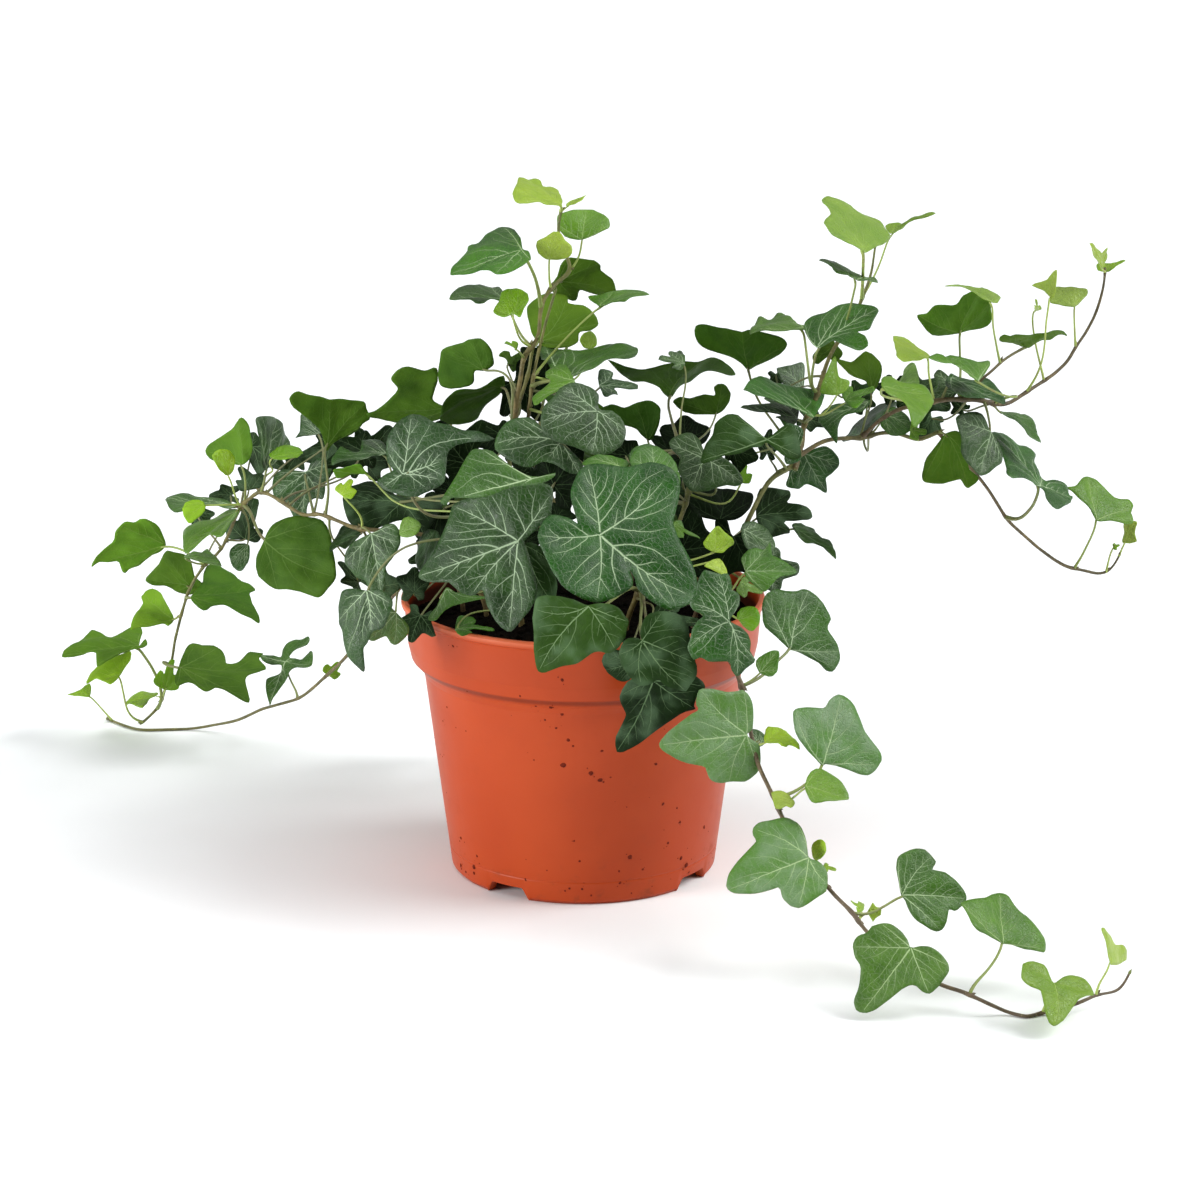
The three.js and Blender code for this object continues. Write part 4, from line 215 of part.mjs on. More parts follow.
  ['leaflet_right_27', 'stem_right', 0, 2.3, [100.23,18.01,209.8], [-0.3944,-0.0531,0.9174], [0.9167,0.0467,0.3968], [-9.5,0,-10.1,1.7,-8.6,3.8,-4.3,6,-6.7,8.8,-4.3,11.6,-5.5,14.3,0,16.3,0.5,13.4,-1.3,7.3,2.8,0.6], [101.3,18.7,210.3,91.2,14,189.4], 0.5],
  ['leaflet_right_28', 'stem_right', 0, 2.6, [164.34,43.54,180.82], [0.061,-0.5036,0.8618], [0.5062,0.7597,0.4081], [-9.6,1.4,-8.8,5.2,0,11,1.3,7.6,0.2,-0.5,-6.9,-3], [164.2,44.4,181.3,165.8,47.2,165.9], 0.5],
  ['leaflet_front_15', 'stem_front', 0, 0.3, [14.38,-35.05,148.31], [0.0935,0.9745,0.2041], [-0.9849,0.0605,0.1624], [0,0,-2.9,-3.1,-5.4,-2.2,-6.1,4.2,-2.8,6,0,10.6,2.7,6.4,6.1,4.9,4.9,-3,2.3,-3.5], [13.2,-35,148.5,14.8,-36.2,144.8,16.2,-35.2,142,27.7,-19,133.4,33.6,-10.6,126.8], 0.5],
  ['leaflet_left_20', 'stem_centre', 0, 1.6, [-71.38,14.83,130.08], [0.0569,0.5489,0.834], [-0.9628,-0.191,0.1913], [-0.7,11.8,-2.2,8.5,-8.1,4.6,0.2,-0.6,3.2,4.2,8.4,8.4], [-72.1,14.7,130.2,-63.1,7.4,122.8,-57.8,3.3,121.4,-39,-8.1,122.9,-26.3,-13.2,123.8], 0.5],
  ['leaflet_trailing_left_06', 'stem_left_upper', 0, 2.2, [-154.3,126.66,20.72], [-0.7679,0.6402,0.0224], [0.2234,0.2348,0.946], [0,0,5.1,1.4,6.3,3.2,4.6,7,1.8,6,1.4,10.9,0.4,11.7,-1.4,10.8,-2.7,6.3,-6.8,6.4,-7.7,1.9,-5.9,0.3], [-154,126.9,21.9,-154.6,127.6,20,-156.9,138,13.4], 0.5],
  ['leaflet_back_15', 'stem_right', 0, 0.4, [74.03,44.15,152.59], [0.4246,-0.6518,0.6284], [-0.7542,0.1294,0.6438], [-0.9,11.1,7.9,6,8.1,4.5,1.1,0.2,-3.5,1.4,-4.7,3.3,-4.5,7.1], [73.1,44.3,153.4,75.1,21.5,158.2,77.2,12,158.4], 0.5],
  ['leaflet_right_29', 'stem_right', 0, 0.4, [69.93,-17.94,147.31], [0.116,-0.9045,0.4105], [-0.9922,-0.0863,0.0904], [0,0,-4.4,-0.4,-6.2,3.4,-5.3,4.7,-2.6,5.2,-1.8,8.7,0,9.4,3.1,6,6.2,5.4,7.3,3.7,5.3,-0.8], [68.7,-18,147.4,69.9,-17.9,147.3,71.8,4.3,144.4], 0.5],
  ['leaflet_middle_17', 'stem_right', 0, 0.3, [48.61,-9.05,144.01], [0.251,0.934,-0.2543], [0.9123,-0.3161,-0.2604], [0,0,-3.4,-1.7,-4.5,-0.8,-3.8,0.8,-7.1,4.1,0,9.2,6.7,3.5,4.7,0.8,5.4,-1.5,4,-2.4], [49.7,-9.4,143.7,48.6,-9,144,48.9,-9.9,142.6,50.5,-9.6,142,71.2,2.3,142.3], 0.5],
  ['leaflet_top_07', 'stem_centre', 0, 3, [-10.86,2.52,204.42], [-0.2739,-0.8625,0.4256], [0.2373,0.3682,0.8989], [-5.8,5.1,0.8,9.6,6.2,5.8,7.1,3.3,5.3,0.9,-0.9,-0.3,-4,1.2], [-10.6,3,205.5,-10.9,3.2,203.1,-10.4,11.7,193], 0.5],
  ['leaflet_right_30', 'stem_right', 0, 2, [83.01,-0.18,160.11], [-0.6999,-0.6872,0.195], [-0.0951,0.3602,0.928], [-7.5,2.3,0,12.9,1.3,6.2,5.8,2.9,4.4,0.9,0,0], [82.9,0.2,161.2,82,0.4,158.6,78.5,5.3,152,74.1,9.3,151.5], 0.5],
  ['leaflet_middle_18', 'stem_centre', 0, 0.1, [-49.47,23.25,101.05], [-0.0666,-0.916,0.3955], [-0.9361,-0.0799,-0.3425], [0,0,2.7,-3,5,-2.2,3.9,0.7,6.3,4.2,5.4,5.3,2.3,5,0.3,9.9,-1.1,9.2,-2.6,5.3,-6,5.3,-6.9,4.1,-3.3,0.4,-4.1,-2.2,-2.1,-2.7], [-50.6,23.2,100.6,-49.5,23.3,101.1,-48.6,24.3,97.2,-46.5,22.4,95.9,-31.2,-1.8,103.3,-23.3,-14.2,104.5], 0.5],
  ['leaflet_front_16', 'stem_front', 0, 1.6, [28.37,-44.64,128.34], [0.4552,-0.0613,0.8883], [0.8897,-0.0077,-0.4564], [0,0,-7.7,2.6,-2.6,4.6,-1.2,3.3,-0.7,10.1,1.2,9.1,2.9,4.1,7.4,4.3,11.3,0.9,9.3,-0.2], [29.4,-44.6,127.8,28.4,-44.6,128.3,26.2,-26.4,110.5,23.6,-20.9,109.2], 0.5],
  ['leaflet_front_17', 'stem_centre', 0, 1, [-43.56,-39.31,105.19], [-0.2039,-0.6116,0.7645], [0.9227,-0.381,-0.0587], [-0.7,-0.3,0,14,5.6,4.3,12,1.4,12.5,-0.3,10.9,-1.8], [-43,-40,104.8,-45.7,-37.8,102.4,-45.9,-35.2,100.5,-43.5,-31.6,99.8,-31.1,-19.7,99.4,-22.4,-14.1,100], 0.5],
  ['leaflet_front_18', 'stem_front', 0, 1.3, [12.17,-52.95,148.92], [0,-0.507,0.8619], [-0.9305,0.3158,0.1858], [-3,11.8,0.6,11.5,3.3,6.7,3.6,1.5,2,-2.3,-0.9,-1.1,-3,2.7,-3.9,7.7], [11.8,-52.8,149,13.9,-47.2,137.4,23.4,-27.7,125.5,28.3,-17.6,116.3], 0.5],
  ['leaflet_front_19', 'stem_left_upper', 0, 0.1, [-51.79,-38.16,96.4], [0,-0.9625,0.2713], [-0.3617,-0.2529,-0.8974], [0,0,2,-2.6,4.3,-2.2,3.6,0.4,6.2,3.8,2.4,4.6,0.3,9.3,-1.2,8.6,-2.6,5.1,-6.9,4.2,-3.9,0.6,-4.7,-2.2,-2.4,-2.7], [-52.2,-38.5,95.3,-45.6,-11.9,98.6,-40.4,4.3,102.4], 0.5],
  ['leaflet_left_21', 'stem_left_upper', 0, 0.3, [-76.23,35.65,87.06], [0.4676,-0.6529,0.5958], [-0.6813,0.1633,0.7136], [0,0,2,-2.9,4.1,-2.3,3.4,0.6,6,4.7,2.3,5.6,1.1,9.3,-0.3,9.9,-2.3,5,-5.7,3.9,-3.6,0.4,-4.2,-2.6,-2.1,-3], [-77,35.8,87.9,-78.6,33.3,93.8,-85.1,30.2,104.8,-85.2,28.2,111.7], 0.5],
  ['leaflet_left_22', 'stem_left_upper', 0, 0, [-55,-16.4,97.69], [0.3916,-0.8698,0.3], [0.0384,0.3413,0.9392], [0,0,1.6,-2.3,3.5,-1.9,5.5,3.8,2.5,5.1,0.3,8.8,-6.5,4.5,-4.1,0.5,-4.2,-2.4,-2,-2.8], [-54.9,-16,98.8,-55.1,-14.3,95.8,-54.1,-11.9,95.4,-40.4,4.3,102.4], 0.5],
  ['leaflet_right_31', 'stem_right', 0, 0.3, [91.69,35.26,149.58], [-0.3541,-0.8457,0.3993], [0.6618,0.0751,0.746], [0,0,2,-2.8,4,-2.3,3.6,0.3,5.9,3.1,2.5,4.7,0.3,9.4,-2.7,5.6,-6.8,4.1,-3.3,0.5,-4.2,-1.3,-3.1,-2.3], [92.5,35.3,150.5,91.8,35.9,147.4,91,34.7,147.3,87.6,30,153.3,86.9,28.2,152.2,77.9,12.7,160.7], 0.5],
  ['leaflet_left_23', 'stem_left_upper', 0, 2.6, [-130.78,63.42,107], [-0.1174,-0.4455,0.8876], [-0.9908,0.1126,-0.0745], [-1,8,1.9,7.5,3.3,5.9,2.8,2.6,0.8,0.3,-3.2,-0.5,-8.8,3.2,-7.9,5.3], [-132,63,106.6,-117.8,65.5,106.7], 0.5],
  ['leaflet_left_24', 'stem_left_upper', 0, 0.6, [-116.51,65.64,92.11], [-0.4223,-0.6278,0.6538], [-0.7506,-0.1622,-0.6406], [-0.3,-0.3,-6.3,3.8,-7,6.9,-5.9,8.2,-0.1,8.5,4,5.6,3.7,2.5], [-117.4,65.4,91.3,-116.1,66.7,99.2,-118.8,67.4,105.2], 0.5],
  ['leaflet_right_32', 'stem_right', 0, 0.5, [84,30.14,170.65], [-0.2754,0.9324,0.2342], [-0.8027,-0.0889,-0.5897], [0,0,4.4,-0.1,5.6,3.4,2.3,4.4,1.9,8.7,0.5,9.5,-1.9,8.7,-2.7,5.2,-6.6,4.1,-5.2,0], [83,30,169.9,84,30.1,170.7,83.9,18,173.9], 0.5],
  ['leaflet_left_25', 'stem_left_upper', 0, 3, [-121.31,54.46,119.51], [0.7283,-0.5541,0.4031], [-0.5484,-0.1187,0.8277], [-0.1,9.3,4.2,8.8,7.3,6.2,7.9,4.3,6.2,1.6,1.9,0,-1,1.2,-2.1,5.8], [-121.9,54.8,121.1,-121,55.4,117.9,-118.8,67.4,105.2], 0.5],
  ['leaflet_front_20', 'stem_front', 0, 0, [14.48,-66.24,89.03], [-0.099,-0.9901,0.099], [-0.9467,0.0631,-0.3157], [3,7.9,5.3,5.4,4.7,1.5,-0.5,-0.6,-4.7,0.3,-5.5,2.8,-4.4,5,-1.1,7.3], [13.7,-66.2,88.8,15.4,-62.3,92.9,17.7,-53.4,96.6,18.8,-36.3,97.6,18.6,-22,100.4], 0.5],
  ['leaflet_right_33', 'stem_right', 0, 0.1, [104.36,39.6,155.42], [0,-0.9625,0.2713], [-0.2903,-0.2596,-0.921], [0,0,1.4,-2.1,3.1,-1.9,3.1,0,6.2,2.8,2.8,4.6,0,7.9,-2.6,4.9,-6.1,3.6,-3.4,-3,-1.1,-2.9], [104,39.3,154.3,99.8,16.8,149], 0.5],
  ['leaflet_right_34', 'stem_right', 0, 0.3, [117.63,42.76,142.77], [0.1651,-0.9093,0.3819], [-0.5205,-0.4093,-0.7494], [0,0,1.8,-2.3,3.7,-2,3.6,0.3,5.7,3,2.5,4.4,0.2,8,-6.2,3,-3.5,0.4,-4.2,-1.3,-3.1,-2.1], [117,42.3,141.9,122.6,32.7,144.7,127.3,21.3,153.8], 0.5],
  ['leaflet_left_26', 'stem_left_upper', 0, 0.3, [-115.41,66.55,111.55], [0.491,-0.7279,0.4786], [-0.3881,0.309,0.8683], [0,0,-4.3,1.4,-3.8,4.7,-1.5,4.5,-1.2,8.3,0.3,9.1,3.1,5,6.3,4.4,7.1,3.1,4.8,-0.6], [-115.9,66.9,112.6,-117.1,64.2,107.6], 0.5],
  ['leaflet_middle_19', 'stem_centre', 0, 0, [-8.53,-18.53,123.22], [-0.3285,-0.7873,0.5218], [0.551,0.289,0.7829], [0,0,3.3,-2.2,4.4,-1.1,3.4,0.6,5.8,3.5,2.4,4.9,-0.3,8.7,-1.9,4.4,-4.8,3.6,-3.4,0.8,-4.1,-1.6,-2.2,-2.3], [-7.9,-18.2,124.2,-9.9,-17,120.3,-26.1,-14.1,119.3], 0.5],
  ['leaflet_left_27', 'stem_left_upper', 0, 0.1, [-127.14,120.99,96.01], [-0.0295,0.9412,0.3366], [-0.9995,-0.0254,-0.0165], [0,0,-1.7,-2.8,-3.7,-2.6,-3.4,0.2,-5.1,3.3,-2.1,4.6,0.2,8.4,2.1,4.8,5.1,3.9,3.2,0.5,3.5,-1.9,1.7,-2.4], [-128.3,121,96,-127.1,121,96,-128.1,116.3,90,-136.1,98.4,75], 0.5],
  ['leaflet_back_16', 'stem_centre', 0, 0, [-45.49,54.71,114.26], [0.1256,0.9921,-0.0066], [-0.9438,0.1216,0.3073], [0,0,-2,-1.9,-3.8,-1.4,-3.2,0.8,-5,4.4,-2,5,0,8.1,2.6,5,5.9,3.7,3.6,0.7,4,-1.4,2.2,-2], [-46.6,54.9,114.6,-41,37.5,124.2,-32.4,15.5,133.7,-22.8,-2.5,145], 0.5],
  ['leaflet_left_28', 'stem_left_upper', 0, 0.3, [-136.53,91.27,97.37], [0.2924,0.9552,0.0468], [0.6182,-0.1515,-0.7713], [0,0,-2.7,-2.3,-3.8,-1.4,-3.1,0.2,-5.8,3,-2.5,4.7,0,8.1,2,4.8,5.1,3.9,3.2,0.8,3.9,-1.5,2.2,-2.2], [-135.8,91.1,96.4,-136.5,91.3,97.4,-136,89.6,94.6,-127.8,86.2,85.4], 0.5],
  ['leaflet_front_21', 'stem_front_trailing', 0, 1.2, [56.26,-62.8,84.95], [-0.4737,-0.5898,0.6541], [0.588,0.3411,0.7334], [-4.2,2.3,-3,5.7,0.3,8.8,4.7,4,5.3,1.1,3.9,-0.2,-0.4,-0.5], [56.7,-62.5,85.5,50.1,-64.2,80.8], 0.5],
  ['leaflet_right_35', 'stem_right', 0, 2.8, [176.59,60.56,189.81], [-0.5051,-0.0692,0.8603], [0.8631,-0.0444,0.5031], [2,-0.3,-2.9,-2.3,-9,-1.4,-2.7,3.3,0,7.6,3.5,3.1,3.6,0.8], [176.9,60.5,190,176,56,190], 0.5],
  ['leaflet_front_22', 'stem_front', 0, 3, [42.18,-40.25,118], [0.3533,-0.8357,0.4204], [0.8219,0.492,0.2872], [-4,-2.5,-7,5,-0.1,7.9,1.3,2,-1,-1.4], [42.9,-39.5,118.9,34.9,-37.5,114.5,29.2,-34.2,113.4,25.5,-29,112.5,23.4,-21,108.9], 0.5],
  ['leaflet_middle_20', 'stem_right', 0, 0, [60.55,8.57,138.34], [-0.6238,-0.7331,0.271], [0.0918,0.2755,0.9569], [0,0,1.6,-2.2,3.2,-1.9,2.9,0.2,5.5,3.2,2.3,4.7,-0.2,8.4,-2.2,4.8,-5.3,3.9,-2.6,0.2,-2.7,-1.9,-1.1,-2.1], [60.7,8.9,139.5,61.5,8,136.5,63.7,-2.9,134.6], 0.5],
  ['leaflet_right_36', 'stem_right', 0, 0.1, [74.38,35.17,144.1], [0.139,-0.6757,0.7239], [0.956,-0.0992,-0.2762], [0,0,1.8,-2.5,3.6,-2.2,4.8,2.9,0,7.9,-4.8,3,-3.6,-2,-1.8,-2.4], [75.5,35.1,143.8,73.8,9.1,151], 0.5],
  ['leaflet_left_29', 'stem_left_upper', 0, 0.1, [-99.44,76.23,121.75], [-0.0663,-0.9394,0.3363], [-0.5723,-0.2403,-0.784], [0,0,1.7,-1.8,3.2,-1.4,2.8,0.5,5.3,3.3,2.1,4.2,-0.2,7.7,-2.2,3.9,-5.2,2.8,-3,0.5,-3.8,-0.9,-2.8,-1.8], [-100.1,75.9,120.8,-105.1,68.8,118.8,-112.9,57.7,112.2], 0.5],
  ['leaflet_front_23', 'stem_front', 0, 1.9, [49.21,-53.51,99.31], [-0.2683,-0.7198,0.6403], [0.9226,-0.0008,0.3858], [-0.8,-0.1,-3.3,2.3,-2.4,6.3,1.3,7.1,4.3,5.4,5.5,3.6,4.9,2.1], [50.3,-53.5,99.8,41.9,-43.7,100.6,18.4,-21.9,100.1], 0.5],
  ['leaflet_left_30', 'stem_left_upper', 0, 0.3, [-91.25,69.76,131.09], [0.4368,-0.7388,0.5132], [-0.8362,-0.5438,-0.071], [7.8,4.4,2.4,6.8,0,9.6,-0.7,-0.7,4.4,0.7], [-91.8,69.8,131.6,-89.7,65.8,125.9,-91,34.2,111.3], 0.5],
  ['leaflet_top_08', 'stem_centre', 0, 0.4, [-23.72,31.7,162.86], [0.689,0.6971,0.1984], [-0.6909,0.5491,0.4703], [0.4,6.3,-3.2,4.6,-4.2,2.7,-3,1.4,-7.2,-1.3,-6.7,-2.8,-2.3,-2.9,1.8,-1.3,-0.3,3], [-24,31.9,163,-25.4,29.2,164.2,-25.4,26,163.7,-20.4,10.1,154.1,-22.5,2,151.3], 0.5],
  ['leaflet_left_31', 'stem_left_upper', 0, 1.6, [-59.99,0.19,113.69], [-0.3953,-0.754,0.5246], [0.8874,-0.1658,0.4302], [0.8,-0.4,-2.7,0.6,-4.7,2.8,-3.4,5.4,0,7.6,3.1,4.2], [-59.3,0.1,114,-59.6,1.8,112.1,-58.8,10.1,111.4], 0.5],
  ['leaflet_front_24', 'stem_right', 0, 1.6, [49.8,-51.28,111.15], [0.3615,-0.46,0.811], [0.9126,-0.0036,-0.4089], [0,0,-3.2,1.2,-3,2.9,-1.2,2.6,-0.9,8.1,1.5,7.2,2.5,3.4,6.1,2.1,4.7,-0.6], [50.9,-51.3,110.7,52.4,-40.4,108.5,50.3,-21.6,104.6,46.7,-11.3,104.9,44.4,-7.8,106.7], 0.5],
  ['leaflet_right_37', 'stem_right', 0, 2.8, [155.38,36.59,184.57], [-0.5655,-0.6917,0.4491], [-0.6004,0.7186,0.3508], [0,9,4.7,5.1,9.1,4.5,0.6,-1], [156,37,185.9,153.1,30.7,166.7,148.2,34.3,153.4], 0.5],
  ['leaflet_trailing_right_08', 'stem_front_trailing', 0, 3, [65.37,-91.43,52.53], [-0.0014,-0.4941,0.8694], [-0.9981,-0.0533,-0.0319], [3.3,6.5,4,4.3,3,2.2,-0.9,-0.3,-3.1,0.1,-3.4,5.6], [64.2,-92,52.2,65.4,-91.4,52.5,60.9,-85.5,47.7], 0.5],
  ['leaflet_right_38', 'stem_right', 0, 3, [187.52,64.6,93.83], [-0.6682,-0.6512,0.3598], [0.4653,0.0116,0.8851], [-4,4.7,-0.2,7.9,4.6,2.2,-0.3,-1], [187.7,64.6,94.2,185.8,66,88.1], 0.5],
  ['leaflet_left_32', 'stem_left_upper', 0, 3, [-79.77,7.05,124.76], [-0.4957,-0.6106,0.6176], [0.5575,0.3215,0.7654], [0,0,-3,0.3,-4.2,1.8,-3.9,3.5,-1.6,3.4,-0.3,6.4,1.9,3.9,4.7,3.7,4.9,1.7,4.5,0.3], [-79.1,7.4,125.7,-79.8,7.1,124.8,-73.2,12.9,115,-73.5,14,111.4], 0.5],
  ['leaflet_top_09', 'stem_centre', 0, 3, [-5.12,15.31,219.48], [-0.4823,-0.0655,0.8736], [0.8287,0.2893,0.4792], [-0.8,-0.1,-4,2.5,0,7.4,4.4,2.3], [-4.1,15.7,220.1,-7.1,15,217.9], 0.5],
  ['leaflet_trailing_left_07', 'stem_left_trailing', 0, 2.6, [-183.67,136.65,15.49], [-0.2058,-0.3964,0.8947], [-0.9081,0.418,-0.0236], [6.2,2.9,-0.8,-0.2,0,10,2.4,5.3,5.1,4.6], [-184.5,137.6,15.7,-177.8,153,0.8], 0.5],
  ['leaflet_top_10', 'stem_centre', 0, 2.8, [2.28,27.73,169.47], [0.6481,-0.6865,0.3297], [-0.1641,0.297,0.9407], [-3.7,3.3,1,6,2.9,5.3,3.7,3.4,2.9,0.8,-0.4,0,-2.9,0.8], [2.1,28.1,170.6,0,22.6,163.9,-3.8,16.6,160.8,-16.3,8.8,164.2], 0.5],
  ['leaflet_trailing_right_09', 'stem_front_trailing', 0, 2.8, [72.34,-99.18,35.28], [-0.7607,-0.5396,0.3608], [0.192,0.3439,0.9192], [-3.3,3.4,-2.9,5.3,0,6.6,2.6,5.6,3.7,3.2,2.2,0.6,0.2,-0.1], [72.6,-98.8,36.4,73.4,-104,32,73,-106,32.4], 0.5],
  ['leaflet_front_25', 'stem_centre', 0, 0.1, [-17.38,-43.98,122.65], [-0.3004,-0.6326,0.7138], [0.8853,0.0936,0.4555], [0,0,1.8,-1.9,3.2,-1.3,3.8,2.7,1.6,3.6,0.2,6.5,-1.6,3.6,-3.8,2.7,-2.2,0.5,-2.7,-1.2,-1.5,-1.6], [-16.3,-43.9,123.2,-17.1,-42.1,119.2,-17.6,-39.3,117.6,-23.2,-22.7,120,-26.1,-14.1,119.3], 0.5],
  ['leaflet_middle_21', 'stem_front', 0, 2, [51.58,-4.8,131.78], [-0.6689,0.7431,-0.0163], [0.2037,0.2044,0.9575], [0,0,2.8,0.3,3.8,1.6,3.5,3.2,1.4,3,0.3,6.3,-1.2,5.8,-1.8,3.5,-4.2,3.5,-4.6,2.3,-4.1,0.3], [51.8,-4.6,132.9,47.4,-7.7,125.5,34.3,-8.9,129.2], 0.5],
  ['leaflet_trailing_left_08', 'stem_left_trailing', 0, 1.8, [-93.22,117.45,28.9], [-0.4507,0.881,0.144], [0.6184,0.1918,0.7621], [0,0,3.3,0.1,4.2,2.7,1.7,3.3,0.3,6.5,-1.2,5.9,-1.5,3.2,-3.9,2.7,-3.3,0.1], [-92.5,117.7,29.8,-93.2,117.4,28.9,-93.1,98.4,34.5], 0.5],
  ['leaflet_middle_22', 'stem_centre', 0, 0, [-16.99,-22.68,142.3], [-0.0195,-0.866,0.4996], [-0.9957,0.0622,0.0689], [0,0,1.6,-1.4,3,-1,3.5,2.9,1.5,3.4,0.2,5.9,-4.5,2.6,-2.4,0.4,-2.7,-1], [-18.2,-22.6,142.4,-17,-22.7,142.3,-17.7,-19.8,139.4,-24.3,-7.5,136], 0.5],
  ['leaflet_right_39', 'stem_right', 0, 0, [127.32,34.74,147.25], [0.1883,0.965,-0.1825], [-0.7416,0.2615,0.6178], [0,0,-1.4,-1.4,-2.6,-1,-2,0.4,-4,2.7,-1.5,3.3,0.2,5.7,1.6,3,4,2.1,2,0.1,2.3,-1.4], [126.4,35.1,148,128.1,32.8,146.7,136.5,26.1,151.4], 0.5],
  ['leaflet_front_26', 'stem_front', 0, 3, [42.33,-46.23,116.98], [0.3714,-0.6226,0.6888], [0.6372,-0.3686,-0.6768], [5.3,-0.5,-1.5,0.4,0,5.9,2.5,4.5], [42.4,-46.9,116.3,35.7,-39.3,113.3,25,-30.9,106.7,20,-22.2,103.4], 0.5],
  ['leaflet_back_17', 'stem_right', 0, 0, [64.93,47.32,156.74], [0.3499,-0.844,0.4064], [0.2479,-0.3349,-0.9091], [0,0,1.6,-1.5,2.9,-1,2.3,0.6,3.7,3,1.4,3.2,0.2,5.8,-1.4,3.1,-3.8,2.6,-2.1,0.7,-2.4,-1], [65.2,46.9,155.7,65.4,42,154,67.4,33.2,154.9,73.5,21.3,161,78.8,13.4,163.4], 0.5],
  ['leaflet_right_40', 'stem_right', 0, 2.8, [151.28,37.41,180.34], [0.95,-0.2652,0.1651], [-0.0779,0.3108,0.9473], [0,0,-6.9,0.2,-1.8,1.6,-1.7,3.6,0.5,4.1,1.7,3.9,1.8,1.9,6.7,1.5], [151.2,37.8,181.5,150.4,41.5,179.5,150.4,43,176.1,154.5,38.6,156.2], 0.5],
  ['leaflet_right_41', 'stem_right', 0, 1.8, [107.54,10.03,146.05], [0.1506,-0.5856,0.7965], [0.9883,0.0708,-0.1348], [0,0,-2.7,0.4,-3.2,1.9,-1.3,2.6,-0.6,5.8,1.2,5.1,1.7,3,4.3,2.1,3.5,-0.3], [108.7,10.1,145.9,111.1,20,140.3], 0.5],
  ['leaflet_front_27', 'stem_front_trailing', 0, 0.7, [56.48,-57.07,58.97], [0.1642,-0.8455,0.5081], [-0.6134,0.3159,0.7238], [0.2,5.9,3.1,3.1,2.1,-0.6,-0.5,-0.4,-1.9,1.5], [56,-56.8,59.5,56,-62.9,62.5,53.9,-70.4,62.8], 0.5],
  ['leaflet_trailing_right_10', 'stem_front_trailing', 0, 2.6, [86.34,-110.46,22.73], [0.6786,-0.1069,0.7266], [-0.7275,0.038,0.685], [0,0,-4,1.9,-1.8,2.9,-0.8,2.1,-0.4,5.2,1.6,2.4,4,2.3,6.2,-0.1], [85.5,-109.8,23.6,86.3,-110.5,22.7,84.2,-118.9,22.8], 0.5],
  ['leaflet_top_11', 'stem_centre', 0, 1.4, [-21.16,-6.4,176.69], [0.5902,0.5045,0.6302], [-0.7998,0.4715,0.3715], [0,0,2.2,1.5,0.9,1.2,1,5.3,-4.9,-0.9], [-22.2,-6.3,177.5,-20.9,-5.7,176.2,-19.2,2,172.1], 0.5],
  ['leaflet_trailing_right_11', 'stem_front_trailing', 0, 2.8, [87.74,-112.28,23.08], [0,-0.9625,0.2713], [0.9975,0.0193,0.0686], [0,-0.3,-2.9,1.7,-0.5,4.2,1.2,3.9,3.2,1.3], [88.9,-112.3,23.2,84.2,-118.9,22.8], 0.5],
  ['leaflet_trailing_right_12', 'stem_front_trailing', 0, 2.6, [74.5,-99.7,33.51], [0.3123,-0.1227,0.942], [0.9497,0.0143,-0.313], [0,0,-2.7,1.1,-0.8,1.6,-0.5,4.4,3.7,0.5], [75.6,-99.7,33.1,74.5,-99.7,33.5,74.6,-108.4,30.8], 0.5],
  ['leaflet_right_42', 'stem_right', 0, 2.6, [182.98,61.32,92.55], [-0.1329,-0.667,0.7331], [0.9615,0.0928,0.2588], [0,0,-1.4,0.9,-0.3,2.5,1.7,0.7], [183.8,61.4,92.8,181.4,64.8,82.5], 0.5],
];

const wasm = await Module();
wasm.setup();
const { Manifold, Mesh } = wasm;

// Closed three.js geometry to a solid that can be joined and cut.
function toSolid(geometry) {
  const plain = new THREE.BufferGeometry().setAttribute('position', geometry.getAttribute('position')).setIndex(geometry.index);
  const merged = mergeVertices(plain, 1e-4);
  const { array } = merged.index, kept = [];
  for (let i = 0; i < array.length; i += 3) {
    if (array[i] !== array[i + 1] && array[i + 1] !== array[i + 2] && array[i] !== array[i + 2]) kept.push(array[i], array[i + 1], array[i + 2]);
  }
  return new Manifold(new Mesh({ numProp: 3, vertProperties: merged.attributes.position.array, triVerts: new Uint32Array(kept) }));
}

function toGeometry(solid) {
  // Where two thin plates graze each other the union leaves crumbs under a cubic millimetre: they are dropped.
  const whole = solid.simplify(SLIVER).decompose().filter((p) => p.volume() > 1);
  const mesh = (whole.length === 1 ? whole[0] : solid).getMesh();
  const geometry = new THREE.BufferGeometry();
  geometry.setAttribute('position', new THREE.BufferAttribute(new Float32Array(mesh.vertProperties), mesh.numProp));
  geometry.setIndex(new THREE.BufferAttribute(new Uint32Array(mesh.triVerts), 1));
  geometry.computeVertexNormals();
  return geometry;
}

function indexed(positions, faces) {
  const g = new THREE.BufferGeometry();
  g.setAttribute('position', new THREE.BufferAttribute(new Float32Array(positions), 3));
  g.setIndex(faces);
  return g;
}

